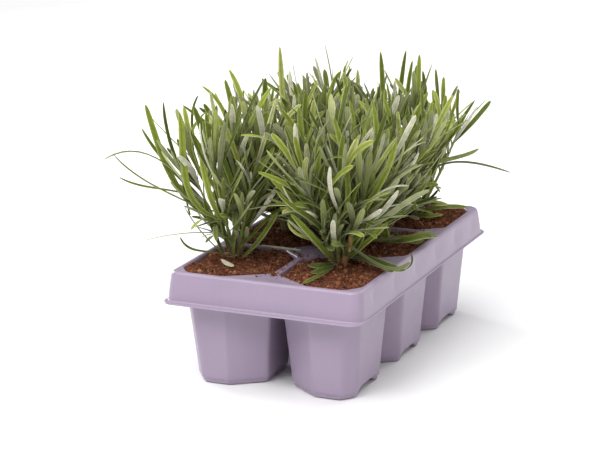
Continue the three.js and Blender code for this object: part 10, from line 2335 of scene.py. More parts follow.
  [-487,1091,1506,-540,1108,1590,-580,1145,1677,-657,1158,1743,460,82,26,50,-58,0],
  [-482,1094,1506,-433,1168,1622,-388,1226,1750,-366,1235,1895,464,-77,-32,55,24,0],
  [-493,1109,1563,-527,1161,1656,-565,1216,1748,-602,1266,1843,442,52,-63,57,-18,0],
  [-494,1116,1586,-499,1136,1621,-504,1157,1655,-508,1176,1691,223,-1,-86,51,0,0],
  [-495,1109,1587,-503,1114,1634,-511,1120,1681,-518,1126,1728,211,34,94,-5,0,0],
  [-491,1112,1587,-487,1119,1623,-483,1126,1659,-481,1133,1694,175,-98,19,7,0,0],
  [-496,1115,1586,-509,1135,1628,-522,1154,1670,-533,1172,1713,194,57,-66,48,0,0],
  [-495,1109,1587,-504,1104,1626,-512,1099,1664,-520,1096,1703,229,24,95,18,0,0],
  [-491,1114,1587,-485,1126,1619,-479,1138,1651,-475,1150,1683,218,-89,-34,30,0,0],
  [-395,904,1008,-525,947,1069,-657,961,1144,-795,979,1208,362,47,33,82,-26,0],
  [-413,941,1090,-445,932,1117,-487,917,1117,-526,902,1102,309,31,68,67,-8,0],
  [-409,945,1090,-330,1060,1129,-251,1153,1214,-170,1258,1279,395,-50,6,86,-10,0],
  [-421,958,1124,-494,1014,1238,-552,1055,1367,-623,1136,1469,406,85,12,51,-1,0],
  [-449,1016,1273,-501,1004,1448,-535,994,1629,-543,917,1796,314,21,97,14,23,0],
  [-481,1079,1458,-553,1103,1552,-627,1127,1645,-684,1160,1747,317,79,21,58,9,0],
  [-486,1094,1525,-488,1079,1591,-496,1068,1659,-523,1046,1719,390,-21,95,25,-14,0],
  [-487,1100,1524,-496,1136,1565,-501,1174,1606,-507,1227,1627,363,5,-72,70,4,0],
  [-490,1109,1575,-460,1123,1637,-434,1144,1701,-393,1136,1760,374,-89,14,43,36,0],
  [-496,1110,1574,-539,1132,1627,-568,1150,1691,-574,1154,1764,281,74,-5,67,-3,0],
 ]),
 ('shoot_back_left_4', 'back_left', [-391,829,920,-510,853,1155,-588,870,1359,-653,883,1600], [
  [-649,882,1586,-656,863,1717,-669,851,1845,-689,846,1972,380,-99,-16,5,28,1],
  [-640,880,1552,-692,906,1651,-740,928,1749,-785,947,1849,374,20,-5,98,-1,1],
  [-587,869,1382,-698,923,1501,-803,974,1619,-906,1022,1741,391,30,-69,66,-3,1],
  [-626,877,1504,-707,847,1635,-787,817,1760,-868,784,1885,446,17,86,49,-25,1],
  [-615,875,1467,-605,919,1587,-592,964,1702,-573,1012,1816,375,-32,-67,67,-15,1],
  [-589,870,1387,-613,821,1514,-630,759,1631,-641,685,1742,424,-50,24,83,8,1],
  [-403,829,945,-410,742,981,-427,647,986,-432,550,981,384,-44,36,82,0,0],
  [-404,834,944,-445,954,984,-508,1069,1019,-567,1190,1006,459,-34,-39,86,13,0],
  [-418,835,981,-286,851,1085,-123,882,1133,48,894,1154,468,-62,7,78,-8,0],
  [-423,834,978,-497,825,1024,-566,810,1081,-645,814,1122,421,45,31,84,1,0],
  [-437,835,1014,-464,765,1092,-477,705,1183,-497,654,1279,316,-36,74,57,-2,0],
  [-438,841,1013,-516,973,1054,-594,1114,1067,-689,1241,1040,450,-21,-39,90,41,0],
  [-450,843,1049,-425,882,1167,-430,917,1291,-457,992,1392,464,-92,-24,30,15,0],
  [-455,840,1047,-552,793,1089,-647,737,1052,-725,678,986,305,15,45,88,16,0],
  [-466,843,1082,-456,798,1205,-473,724,1315,-426,620,1384,440,-77,57,29,24,0],
  [-469,848,1081,-552,944,1185,-659,1044,1263,-767,1134,1353,404,0,-72,70,-13,0],
  [-481,849,1116,-412,894,1165,-327,932,1198,-230,949,1204,299,-56,-1,83,20,0],
  [-485,845,1114,-595,759,1189,-698,696,1295,-799,597,1371,354,7,59,81,34,0],
  [-495,850,1149,-455,830,1322,-379,801,1484,-271,707,1594,311,-93,27,26,25,0],
  [-500,852,1147,-620,884,1196,-740,944,1221,-844,1030,1234,325,33,-13,93,3,0],
  [-509,855,1182,-494,892,1279,-480,959,1361,-491,1043,1425,419,-88,-36,30,-31,0],
  [-514,852,1181,-623,779,1149,-717,698,1088,-806,629,1008,406,-34,11,93,8,0],
  [-418,834,967,-525,854,1010,-630,864,1066,-744,871,1100,362,35,-5,93,5,0],
  [-440,837,1025,-409,754,1187,-372,633,1327,-366,490,1448,396,-73,53,42,-9,0],
  [-443,842,1022,-558,965,1050,-700,1064,1048,-793,1175,952,466,-12,-30,95,-19,0],
  [-464,845,1079,-431,874,1240,-372,930,1387,-310,987,1533,386,-97,-9,23,-10,0],
  [-491,846,1133,-540,789,1246,-588,755,1370,-602,720,1502,471,-18,90,40,-31,0],
  [-515,852,1186,-572,818,1269,-642,801,1350,-747,776,1349,399,22,82,52,1,0],
  [-512,857,1186,-540,928,1346,-566,978,1514,-572,1050,1676,458,-61,-75,25,-22,0],
  [-533,857,1241,-528,811,1376,-509,801,1519,-489,768,1659,434,-73,63,26,-18,0],
  [-537,861,1239,-632,960,1332,-766,1057,1357,-909,1140,1388,470,12,-60,79,-36,0],
  [-558,863,1292,-688,875,1441,-850,937,1537,-1041,946,1592,384,75,4,66,13,0],
  [-553,864,1294,-522,915,1483,-426,940,1657,-308,929,1817,369,-93,-28,24,22,0],
  [-574,864,1348,-557,797,1437,-567,716,1520,-572,669,1626,481,-56,59,58,-9,0],
  [-576,870,1347,-638,962,1426,-705,1047,1512,-780,1150,1567,413,0,-64,77,7,0],
  [-594,868,1402,-656,812,1563,-676,780,1742,-672,754,1923,436,1,94,35,2,0],
  [-612,872,1457,-666,757,1589,-667,650,1741,-674,493,1839,443,-12,77,63,14,0],
  [-613,877,1456,-670,951,1517,-714,1013,1602,-755,1062,1697,406,9,-58,81,6,0],
  [-631,877,1512,-702,863,1598,-785,855,1676,-897,838,1670,329,67,39,64,-16,0],
  [-625,878,1513,-620,881,1617,-613,871,1722,-586,872,1824,305,-99,9,8,4,0],
  [-645,878,1570,-675,826,1690,-729,790,1810,-751,713,1919,502,-15,91,38,-3,0],
  [-647,883,1569,-709,923,1657,-785,964,1735,-871,1022,1789,300,50,-58,65,-15,0],
  [-653,885,1592,-661,889,1615,-668,892,1638,-676,895,1661,199,50,-81,29,0,0],
  [-653,880,1592,-670,878,1638,-687,875,1684,-704,874,1729,183,62,74,27,0,0],
  [-648,882,1594,-646,881,1624,-645,880,1654,-645,879,1683,188,-97,25,6,0,0],
  [-653,885,1592,-668,893,1627,-682,902,1662,-696,908,1697,156,53,-75,40,0,0],
  [-653,879,1593,-661,877,1617,-669,875,1642,-678,874,1667,205,38,90,21,0,0],
  [-648,883,1594,-648,887,1640,-649,891,1687,-652,895,1734,165,-99,-14,0,0,0],
  [-413,831,961,-447,802,982,-481,776,1012,-521,746,1026,273,-2,58,82,17,0],
  [-472,848,1089,-524,963,1166,-602,1070,1235,-690,1189,1256,354,-24,-60,76,2,0],
  [-490,851,1125,-537,884,1157,-581,924,1189,-620,966,1152,363,21,-46,87,11,0],
  [-532,859,1224,-588,879,1253,-645,894,1286,-703,927,1299,296,35,-21,91,14,0],
  [-553,860,1282,-654,805,1408,-718,781,1567,-794,711,1705,464,33,73,60,0,0],
  [-551,865,1282,-560,922,1327,-575,976,1378,-587,1021,1437,421,-36,-59,72,30,0],
  [-574,867,1336,-621,873,1391,-669,864,1446,-736,849,1471,299,73,-5,68,3,0],
  [-602,870,1419,-649,842,1448,-691,827,1494,-720,822,1551,359,21,45,86,-16,0],
  [-600,875,1419,-643,989,1535,-680,1105,1653,-731,1247,1730,333,-18,-73,67,-26,0],
  [-612,872,1462,-633,835,1582,-648,820,1709,-663,788,1832,464,-39,89,23,-10,0],
  [-615,877,1461,-644,899,1500,-674,921,1539,-714,952,1560,259,37,-62,69,-1,0],
  [-631,876,1519,-688,833,1649,-767,759,1752,-869,695,1840,393,21,89,40,16,0],
  [-628,881,1520,-645,904,1637,-654,908,1758,-576,923,1849,311,-74,-67,6,-2,0],
  [-652,882,1585,-676,885,1639,-698,876,1695,-725,857,1746,275,89,7,45,7,0],
 ]),
 ('shoot_back_left_5', 'back_left', [-381,791,920,-445,731,1131,-483,695,1314,-509,671,1527], [
  [-505,675,1494,-476,682,1588,-458,685,1681,-448,683,1776,455,23,-97,11,19,1],
  [-507,672,1514,-560,638,1593,-616,602,1665,-676,565,1733,402,79,30,53,-27,1],
  [-497,682,1436,-469,630,1602,-458,588,1768,-464,555,1936,370,-66,68,32,8,1],
  [-495,684,1424,-540,724,1560,-586,769,1689,-634,821,1815,379,-3,-87,49,6,1],
  [-482,696,1340,-557,660,1447,-642,621,1540,-738,581,1621,406,80,-17,57,-20,1],
  [-475,702,1305,-457,722,1434,-430,750,1555,-395,786,1672,428,-73,-54,41,-28,1],
  [-390,784,941,-521,732,1052,-644,646,1152,-788,551,1206,320,64,-2,77,-6,0],
  [-385,784,943,-294,735,1044,-181,656,1095,-62,571,1096,395,-75,-8,65,-9,0],
  [-397,773,972,-455,646,1085,-556,500,1125,-662,368,1060,374,0,65,76,-3,0],
  [-394,777,974,-253,833,1052,-100,904,1092,66,933,1049,346,-37,-29,88,1,0],
  [-408,767,1003,-562,704,982,-702,648,1062,-856,575,1072,483,-7,-17,98,28,0],
  [-403,767,1005,-368,728,1072,-345,711,1156,-331,699,1242,355,-83,13,54,0,0],
  [-413,757,1034,-401,651,1053,-368,556,1100,-326,486,1176,382,-32,12,94,1,0],
  [-412,762,1036,-321,899,1115,-218,1000,1232,-116,1132,1314,509,-31,-31,90,3,0],
  [-425,754,1065,-531,764,1191,-583,749,1349,-714,770,1451,468,60,-56,57,-16,0],
  [-419,752,1066,-302,727,1109,-181,712,1156,-54,685,1173,475,-38,-21,90,-13,0],
  [-428,743,1095,-381,673,1142,-358,588,1188,-331,527,1262,295,-55,16,82,14,0],
  [-429,748,1096,-445,774,1188,-443,794,1285,-443,817,1382,330,-21,-94,26,-21,0],
  [-440,738,1124,-609,712,1093,-772,664,1143,-915,590,1072,391,-15,-20,97,-2,0],
  [-435,736,1125,-381,643,1238,-333,547,1354,-252,420,1404,450,-71,32,63,20,0],
  [-445,729,1154,-492,632,1153,-558,545,1168,-610,454,1131,409,-11,4,99,-51,0],
  [-442,734,1155,-365,797,1295,-334,856,1455,-214,974,1495,318,-61,-53,59,3,0],
  [-397,775,968,-485,665,1022,-555,534,1056,-624,403,1015,364,16,32,93,11,0],
  [-441,737,1146,-446,834,1295,-461,929,1448,-432,998,1612,394,-28,-80,53,5,0],
  [-457,720,1202,-524,671,1277,-577,602,1351,-652,546,1415,356,57,34,75,62,0],
  [-466,707,1260,-474,638,1348,-503,584,1443,-511,522,1539,487,-27,75,60,-17,0],
  [-467,713,1261,-478,822,1405,-524,914,1556,-600,1022,1684,380,-20,-78,59,-13,0],
  [-481,700,1317,-582,675,1466,-684,649,1616,-804,587,1740,341,82,-9,56,14,0],
  [-475,700,1319,-459,683,1423,-445,667,1530,-415,599,1609,334,-99,-3,17,23,0],
  [-486,688,1376,-444,546,1504,-418,453,1675,-382,393,1860,437,-44,52,74,2,0],
  [-489,694,1377,-544,779,1498,-564,871,1629,-563,944,1772,313,13,-77,62,9,0],
  [-500,682,1435,-582,658,1532,-620,638,1655,-741,587,1660,389,75,4,66,5,0],
  [-494,682,1436,-455,660,1571,-433,627,1708,-375,635,1838,315,-95,1,30,-3,0],
  [-505,672,1496,-518,579,1615,-522,494,1743,-556,361,1812,481,-10,78,62,-24,0],
  [-504,677,1497,-504,688,1626,-513,716,1754,-519,705,1884,474,-52,-85,9,19,0],
  [-509,675,1521,-517,682,1563,-525,689,1605,-532,694,1647,189,18,-96,20,0,0],
  [-510,669,1520,-520,659,1551,-529,649,1582,-537,640,1613,167,56,72,41,0,0],
  [-505,671,1521,-505,668,1549,-505,664,1576,-505,661,1604,203,-100,9,1,0,0],
  [-510,675,1521,-517,676,1555,-524,678,1589,-531,679,1623,176,44,-89,14,0,0],
  [-510,669,1520,-516,659,1551,-523,650,1582,-529,642,1613,150,38,86,34,0,0],
  [-505,673,1521,-505,671,1566,-505,668,1611,-506,665,1656,191,-90,-43,-2,0,0],
  [-397,775,967,-488,671,1080,-632,591,1154,-797,519,1153,459,35,51,78,9,0],
  [-431,742,1097,-459,628,1147,-470,514,1207,-493,396,1160,425,-13,41,90,23,0],
  [-447,732,1153,-529,699,1280,-618,696,1407,-764,710,1458,361,83,-2,56,-16,0],
  [-457,721,1199,-502,705,1222,-545,678,1241,-586,648,1262,302,42,0,91,0,0],
  [-451,722,1200,-398,695,1358,-384,675,1528,-353,647,1693,332,-94,-11,32,0,0],
  [-466,715,1251,-488,737,1302,-508,751,1358,-511,774,1415,378,18,-86,48,0,0],
  [-482,695,1331,-535,607,1423,-589,539,1534,-658,459,1625,358,25,61,75,44,0],
  [-488,695,1364,-515,707,1399,-539,720,1440,-576,744,1460,236,48,-59,65,-10,0],
  [-497,679,1435,-524,635,1581,-561,594,1725,-618,491,1826,336,16,93,33,22,0],
 ]),
 ('shoot_back_left_6', 'back_left', [-346,778,920,-337,663,1151,-331,594,1355,-327,548,1594], [
  [-339,684,1127,-322,806,1392,-306,927,1656,-312,1009,1937,423,56,-78,29,15,1],
  [-327,551,1580,-371,515,1660,-413,480,1739,-454,446,1818,417,76,24,60,1,1],
  [-327,551,1580,-281,557,1676,-236,564,1768,-191,571,1861,449,-88,-38,26,-11,1],
  [-330,579,1453,-353,615,1577,-373,642,1700,-390,662,1825,360,30,-55,78,27,1],
  [-329,573,1477,-305,505,1610,-278,432,1736,-246,353,1856,376,35,92,-19,20,1],
  [-332,602,1367,-265,582,1489,-191,566,1602,-108,553,1710,367,-73,-30,62,-13,1],
  [-344,764,943,-327,691,972,-300,630,1019,-280,552,1036,336,-17,31,94,0,0],
  [-341,750,978,-185,747,1030,-20,770,1045,135,786,985,490,-28,-44,85,-6,0],
  [-346,752,979,-412,783,1072,-491,801,1161,-592,825,1222,367,43,-71,56,-7,0],
  [-341,732,1011,-277,617,1032,-216,501,1059,-142,400,1112,332,-25,3,97,-4,0],
  [-338,719,1046,-266,681,1115,-181,618,1142,-119,528,1137,315,-72,-22,66,0,0],
  [-344,718,1046,-419,684,1107,-504,650,1158,-607,645,1139,379,67,-25,70,-60,0],
  [-342,702,1078,-434,595,1102,-521,478,1101,-593,356,1065,351,33,-9,94,-11,0],
  [-339,707,1080,-299,754,1193,-261,799,1311,-216,878,1406,334,-23,-86,46,15,0],
  [-336,691,1113,-215,706,1214,-100,706,1326,24,719,1426,458,-50,-53,69,-14,0],
  [-342,689,1112,-446,603,1191,-534,528,1299,-572,476,1444,464,61,-3,79,17,0],
  [-338,674,1144,-333,588,1133,-323,499,1124,-319,411,1103,308,2,-14,99,-11,0],
  [-337,680,1146,-274,783,1227,-202,909,1256,-129,1037,1277,490,-8,-57,81,-7,0],
  [-335,662,1178,-262,583,1178,-193,515,1126,-127,473,1048,387,-16,-16,97,-6,0],
  [-340,666,1179,-443,685,1280,-571,689,1355,-706,739,1390,349,53,-53,66,11,0],
  [-342,752,969,-219,621,1021,-109,492,1106,5,367,1194,313,-41,-4,91,-16,0],
  [-337,699,1088,-206,608,1110,-62,532,1127,91,477,1113,338,-29,-20,94,9,0],
  [-340,674,1146,-384,565,1269,-428,474,1408,-451,378,1548,468,60,47,65,-14,0],
  [-335,677,1147,-202,641,1255,-89,594,1383,-18,569,1543,347,-64,-31,70,-24,0],
  [-338,657,1206,-370,678,1330,-395,701,1457,-423,799,1540,395,42,-86,28,3,0],
  [-333,653,1205,-236,589,1285,-170,540,1402,-60,489,1480,341,-64,-4,77,-4,0],
  [-336,632,1262,-376,565,1324,-412,524,1410,-448,497,1501,315,56,34,76,24,0],
  [-333,636,1264,-283,647,1418,-265,658,1580,-197,706,1720,347,-53,-81,24,0,0],
  [-335,617,1322,-405,649,1462,-465,704,1601,-487,754,1752,509,56,-69,45,-1,0],
  [-330,615,1321,-257,574,1402,-194,541,1497,-84,506,1527,372,-74,-4,67,-16,0],
  [-334,596,1380,-390,508,1531,-480,420,1667,-586,319,1781,345,74,41,53,13,0],
  [-330,600,1381,-300,611,1484,-266,611,1587,-176,619,1649,373,-51,-82,25,-7,0],
  [-332,584,1440,-388,611,1584,-448,621,1731,-472,596,1886,392,59,-71,38,-2,0],
  [-328,580,1439,-259,480,1553,-183,390,1673,-121,290,1794,478,-55,42,72,21,0],
  [-330,565,1499,-350,466,1657,-351,389,1828,-335,341,2009,494,34,77,54,-8,0],
  [-328,570,1501,-300,609,1619,-260,641,1738,-234,749,1804,384,-29,-88,37,-11,0],
  [-330,555,1562,-368,550,1641,-404,537,1720,-434,532,1803,289,85,-33,41,-14,0],
  [-325,553,1561,-286,504,1641,-235,470,1724,-188,431,1806,408,-65,44,62,50,0],
  [-328,553,1588,-329,559,1624,-330,565,1661,-331,568,1698,163,14,-98,16,0,0],
  [-330,548,1587,-339,533,1633,-348,519,1680,-355,505,1727,178,86,41,29,0,0],
  [-324,551,1587,-318,544,1635,-312,536,1683,-306,529,1730,213,-92,-39,6,0,0],
  [-329,552,1587,-334,555,1614,-338,558,1640,-342,559,1667,205,51,-84,17,0,0],
  [-328,546,1586,-330,530,1618,-333,513,1649,-335,499,1681,179,27,84,46,0,0],
  [-324,550,1587,-306,544,1627,-288,538,1666,-274,531,1707,151,-91,-17,38,0,0],
  [-342,757,959,-298,724,968,-253,691,990,-214,653,1010,293,-32,-21,92,-18,0],
  [-344,721,1037,-377,691,1043,-413,664,1030,-446,636,1011,285,32,-18,93,1,0],
  [-338,696,1092,-277,573,1154,-252,451,1241,-221,345,1346,509,-35,26,90,22,0],
  [-339,676,1139,-344,638,1160,-358,597,1179,-354,551,1170,232,19,41,89,1,0],
  [-335,651,1206,-321,591,1239,-299,534,1279,-286,464,1291,372,-18,42,89,23,0],
  [-337,633,1264,-418,562,1369,-473,532,1507,-498,492,1651,396,75,9,66,24,0],
  [-333,617,1325,-339,651,1498,-356,681,1672,-343,807,1798,353,12,-97,21,19,0],
  [-330,615,1324,-210,602,1472,-98,563,1624,-9,558,1795,466,-73,-38,57,-13,0],
  [-333,587,1424,-430,579,1549,-498,576,1695,-586,580,1830,329,75,-33,58,6,0],
  [-328,584,1423,-274,492,1570,-249,424,1738,-218,399,1917,444,-63,52,58,-6,0],
  [-327,571,1495,-284,593,1642,-215,617,1780,-118,675,1887,311,-52,-80,29,16,0],
  [-329,559,1549,-347,569,1644,-362,575,1739,-412,585,1822,399,52,-83,21,25,0],
 ]),
 ('shoot_back_left_7', 'back_left', [-316,795,920,-207,716,1156,-132,661,1361,-64,611,1604], [
  [-224,728,1131,-181,838,1385,-167,935,1645,-203,1006,1914,423,56,-79,26,3,1],
  [-74,618,1569,-55,551,1647,-39,479,1716,-25,400,1778,397,-14,95,29,15,1],
  [-78,622,1554,-106,642,1659,-143,668,1758,-189,701,1850,419,87,-36,34,-15,1],
  [-93,633,1503,-6,594,1620,72,558,1739,142,522,1863,460,-94,3,34,-6,1],
  [-93,632,1504,-93,588,1663,-80,547,1818,-55,509,1973,391,80,14,59,16,1],
  [-143,669,1349,-128,694,1481,-107,706,1610,-80,707,1739,447,50,-84,-22,-26,1],
  [-302,787,944,-145,794,933,6,789,988,160,783,946,363,8,-32,94,-7,0],
  [-307,788,946,-426,847,1042,-583,896,1065,-723,975,1024,321,49,-33,81,-24,0],
  [-287,778,979,-220,802,1042,-167,804,1122,-115,822,1201,424,-24,-77,59,-29,0],
  [-291,773,980,-363,686,994,-435,612,1051,-507,522,1072,331,44,-23,87,-38,0],
  [-271,763,1013,-168,720,1013,-72,668,1046,20,616,1090,366,-4,-12,99,11,0],
  [-257,756,1048,-208,773,1119,-158,778,1193,-98,786,1260,426,-20,-90,40,-10,0],
  [-260,751,1048,-299,600,1096,-372,454,1125,-445,319,1061,328,53,13,84,13,0],
  [-242,743,1081,-122,726,1132,9,738,1110,108,745,1020,467,-40,-26,88,-16,0],
  [-246,745,1083,-228,778,1243,-247,792,1406,-255,817,1570,365,54,-83,13,25,0],
  [-229,735,1116,-141,841,1179,-77,982,1192,-18,1120,1158,373,15,-59,80,1,0],
  [-231,730,1115,-218,656,1182,-211,574,1242,-217,489,1296,360,46,62,63,-15,0],
  [-216,721,1148,-146,605,1146,-79,489,1175,-24,368,1206,485,17,8,98,8,0],
  [-219,724,1151,-278,750,1270,-330,759,1399,-449,767,1469,442,75,-45,48,8,0],
  [-201,713,1182,-85,691,1144,34,667,1110,143,620,1065,341,26,-24,94,0,0],
  [-206,714,1184,-239,716,1312,-286,701,1436,-376,720,1534,370,87,-43,25,-12,0],
  [-292,778,967,-206,723,971,-123,660,986,-41,602,956,300,-5,-1,100,-11,0],
  [-271,758,1024,-270,618,1114,-304,452,1104,-357,302,1050,377,55,44,71,-11,0],
  [-223,731,1134,-184,746,1246,-156,752,1363,-150,745,1483,334,16,-98,11,52,0],
  [-222,725,1132,-151,639,1248,-87,551,1368,-50,452,1491,439,-17,72,67,19,0],
  [-201,709,1186,-131,580,1235,-47,460,1291,30,330,1337,384,8,37,92,-41,0],
  [-179,696,1240,-73,650,1295,38,605,1345,135,536,1394,433,-43,3,90,0,0],
  [-160,680,1294,-95,594,1362,-14,514,1421,58,422,1366,398,-15,52,84,-12,0],
  [-162,685,1296,-132,719,1467,-101,785,1630,-110,882,1779,315,39,-91,12,41,0],
  [-140,670,1349,15,679,1412,155,719,1501,248,787,1626,345,-33,-34,88,-9,0],
  [-145,670,1350,-230,701,1519,-364,711,1658,-517,744,1771,365,77,-43,48,39,0],
  [-126,653,1404,-123,572,1494,-122,512,1601,-129,511,1723,478,53,62,57,-7,0],
  [-104,642,1459,18,610,1573,146,565,1677,255,504,1795,368,-68,-10,72,38,0],
  [-110,642,1460,-128,596,1624,-135,552,1791,-178,516,1954,325,99,8,15,-30,0],
  [-88,627,1515,-29,563,1622,21,476,1718,42,433,1849,482,-36,69,63,-32,0],
  [-90,633,1517,-73,651,1609,-58,681,1700,-30,762,1746,339,29,-94,17,3,0],
  [-75,619,1574,-100,632,1704,-134,643,1833,-174,652,1961,493,81,-53,23,1,0],
  [-67,616,1598,-59,616,1643,-52,616,1689,-43,615,1734,151,44,-90,-7,0,0],
  [-67,609,1596,-60,599,1626,-53,589,1657,-45,580,1687,176,37,90,21,0,0],
  [-63,613,1596,-45,605,1636,-27,597,1675,-11,589,1715,192,-91,-14,38,0,0],
  [-68,615,1598,-67,615,1623,-66,615,1648,-63,614,1673,168,74,-67,-4,0,0],
  [-67,609,1596,-57,582,1636,-48,556,1675,-38,532,1717,227,24,83,50,0,0],
  [-63,614,1596,-43,606,1641,-23,599,1686,-4,591,1732,179,-88,-33,34,0,0],
  [-297,784,954,-238,782,972,-174,788,980,-111,799,988,307,-25,-35,90,0,0],
  [-242,744,1080,-94,728,1126,45,685,1187,175,619,1249,435,-30,-27,92,21,0],
  [-204,710,1190,-212,686,1243,-225,663,1297,-240,649,1354,344,94,19,29,22,0],
  [-172,692,1257,-63,660,1318,28,599,1390,118,532,1456,450,-49,-9,87,5,0],
  [-178,692,1259,-190,678,1304,-207,673,1351,-229,673,1395,363,95,-3,30,-25,0],
  [-163,680,1293,-153,657,1332,-144,636,1373,-127,617,1414,238,42,79,45,-18,0],
  [-160,685,1293,-137,686,1334,-106,699,1367,-76,714,1400,371,-45,-82,34,24,0],
  [-141,669,1346,-47,627,1380,44,598,1436,139,547,1458,329,-32,2,95,13,0],
  [-146,671,1348,-152,666,1423,-162,657,1499,-201,681,1561,419,90,-42,8,24,0],
  [-128,662,1389,-106,682,1420,-91,699,1460,-77,733,1486,279,-6,-79,61,-24,0],
  [-88,632,1515,-63,637,1566,-45,645,1619,-20,656,1670,301,-40,-85,34,-35,0],
  [-70,615,1573,-40,591,1618,-16,566,1668,3,549,1723,338,-53,50,69,-8,0],
  [-75,618,1575,-83,611,1696,-93,604,1818,-126,634,1932,312,91,-40,6,-17,0],
 ]),
 ('shoot_back_left_8', 'back_left', [-309,829,920,-235,845,1103,-185,856,1260,-142,865,1443], [
  [-145,864,1432,-162,837,1560,-168,818,1687,-163,807,1815,461,96,19,23,-12,1],
  [-145,864,1432,-82,874,1548,-26,883,1663,25,891,1780,460,-83,-54,-12,0,1],
  [-164,860,1353,-113,822,1472,-65,789,1589,-18,759,1707,357,39,46,80,18,1],
  [-193,854,1250,-132,882,1361,-72,909,1468,-13,937,1575,431,-78,-41,46,-1,1],
  [-187,855,1271,-202,878,1442,-238,903,1604,-295,931,1759,378,76,-59,-28,-28,1],
  [-166,860,1348,-149,908,1485,-127,945,1620,-100,971,1757,355,69,-72,-9,8,1],
  [-299,832,938,-198,897,981,-93,949,1035,4,1035,1050,507,-17,-32,93,4,0],
  [-288,833,965,-148,844,942,-4,851,932,127,870,873,321,16,6,99,-54,0],
  [-292,836,966,-299,951,1051,-314,1094,1075,-404,1207,1078,425,49,-49,72,-6,0],
  [-278,836,992,-132,888,974,3,959,929,146,978,863,444,13,-1,99,3,0],
  [-269,835,1019,-179,707,1075,-93,586,1155,-28,482,1272,356,13,46,88,22,0],
  [-272,840,1020,-308,967,1140,-340,1067,1288,-382,1163,1435,401,60,-45,67,-16,0],
  [-259,841,1044,-139,916,1162,-10,1035,1218,112,1148,1139,352,-40,-52,76,-12,0],
  [-250,839,1071,-189,750,1178,-118,675,1290,-63,534,1314,503,5,77,63,-15,0],
  [-252,844,1071,-233,950,1171,-224,1073,1253,-187,1202,1317,336,36,-66,65,-5,0],
  [-239,844,1096,-122,860,1095,-20,866,1028,59,835,942,421,1,3,100,-15,0],
  [-232,843,1122,-135,728,1193,-46,621,1286,61,513,1356,412,1,52,85,-41,0],
  [-236,846,1124,-263,878,1277,-267,866,1438,-300,860,1595,491,95,-21,23,34,0],
  [-288,833,965,-185,833,1042,-95,820,1137,-4,754,1204,338,-58,14,80,56,0],
  [-267,836,1022,-179,783,1055,-86,729,1076,4,667,1073,343,-9,39,92,-18,0],
  [-246,844,1078,-107,916,1186,9,987,1321,100,1077,1464,327,-42,-39,82,-9,0],
  [-209,851,1189,-116,885,1235,-18,935,1255,86,971,1272,321,-37,-19,91,13,0],
  [-194,851,1245,-142,774,1336,-91,716,1443,-12,662,1535,388,-1,75,66,-12,0],
  [-195,857,1245,-185,941,1374,-194,1008,1515,-224,1120,1618,354,43,-76,48,27,0],
  [-165,863,1357,-171,909,1436,-204,945,1517,-240,991,1591,370,57,-68,47,2,0],
  [-152,863,1415,-167,865,1506,-193,863,1595,-232,864,1680,300,98,9,19,-6,0],
  [-147,865,1413,-85,897,1509,-19,930,1603,39,990,1689,313,-62,-51,59,-2,0],
  [-144,868,1438,-135,877,1484,-126,887,1530,-117,894,1576,215,30,-95,13,0,0],
  [-146,862,1438,-147,853,1485,-148,844,1532,-147,837,1579,161,73,66,15,0,0],
  [-140,865,1437,-118,868,1477,-95,870,1516,-75,873,1557,200,-87,-3,49,0,0],
  [-145,868,1438,-141,871,1461,-137,875,1485,-132,878,1509,152,50,-87,5,0,0],
  [-145,862,1438,-143,854,1462,-141,847,1487,-138,841,1512,196,45,87,22,0,0],
  [-141,867,1437,-130,871,1464,-119,876,1490,-109,880,1518,180,-73,-57,39,0,0],
  [-274,838,1018,-302,884,1193,-287,980,1350,-317,1114,1473,403,93,-27,24,12,0],
  [-217,847,1179,-213,836,1225,-215,826,1274,-215,817,1322,315,65,74,18,44,0],
  [-213,852,1177,-194,867,1214,-174,883,1251,-149,897,1286,297,-34,-75,57,-9,0],
  [-195,854,1234,-157,866,1261,-118,883,1284,-75,907,1278,284,-49,-19,85,40,0],
  [-200,855,1235,-215,872,1273,-231,895,1310,-252,926,1338,355,79,-33,51,6,0],
  [-175,855,1306,-144,833,1335,-113,815,1369,-70,792,1377,265,-26,55,79,-45,0],
  [-177,861,1307,-171,892,1353,-166,927,1397,-159,978,1423,316,33,-78,54,-11,0],
  [-162,859,1352,-125,851,1405,-76,841,1449,-39,823,1500,315,-69,43,58,-2,0],
  [-167,859,1353,-180,851,1405,-191,839,1459,-201,821,1510,246,89,34,31,33,0],
  [-146,867,1421,-110,903,1508,-59,937,1589,-15,984,1667,311,-29,-82,50,-30,0],
 ]),
 ('shoot_back_right_1', 'back_right', [370,800,920,374,794,1208,377,789,1448,381,783,1720], [
  [372,797,1071,513,871,1299,560,987,1543,606,1103,1787,386,73,-68,6,19,1],
  [381,783,1704,417,789,1820,454,796,1931,493,803,2042,414,13,-13,98,-18,1],
  [380,784,1671,330,766,1760,277,747,1844,222,727,1926,466,98,-9,15,-19,1],
  [379,786,1605,385,737,1738,390,699,1871,395,669,2005,363,-5,100,2,20,1],
  [379,786,1578,362,846,1746,345,903,1910,329,960,2073,427,-2,-61,79,-20,1],
  [369,797,950,319,727,1063,287,654,1182,273,548,1278,366,49,61,62,18,0],
  [371,802,950,399,883,1059,386,963,1173,382,1051,1282,468,-22,-74,63,1,0],
  [373,797,992,437,741,1108,499,688,1227,516,620,1354,383,-61,51,60,-16,0],
  [368,800,993,286,832,1107,222,891,1224,146,980,1311,411,72,-30,62,39,0],
  [371,795,1034,341,711,1041,314,629,1008,294,557,954,300,4,7,100,-22,0],
  [371,801,1034,362,908,1066,373,1022,1071,365,1134,1098,315,4,-27,96,38,0],
  [369,797,1075,331,796,1145,293,786,1215,278,776,1293,293,86,-3,51,16,0],
  [372,793,1116,355,744,1188,330,720,1271,321,685,1353,431,29,74,60,-10,0],
  [374,799,1116,409,863,1227,455,948,1321,503,1046,1400,371,-36,-74,57,3,0],
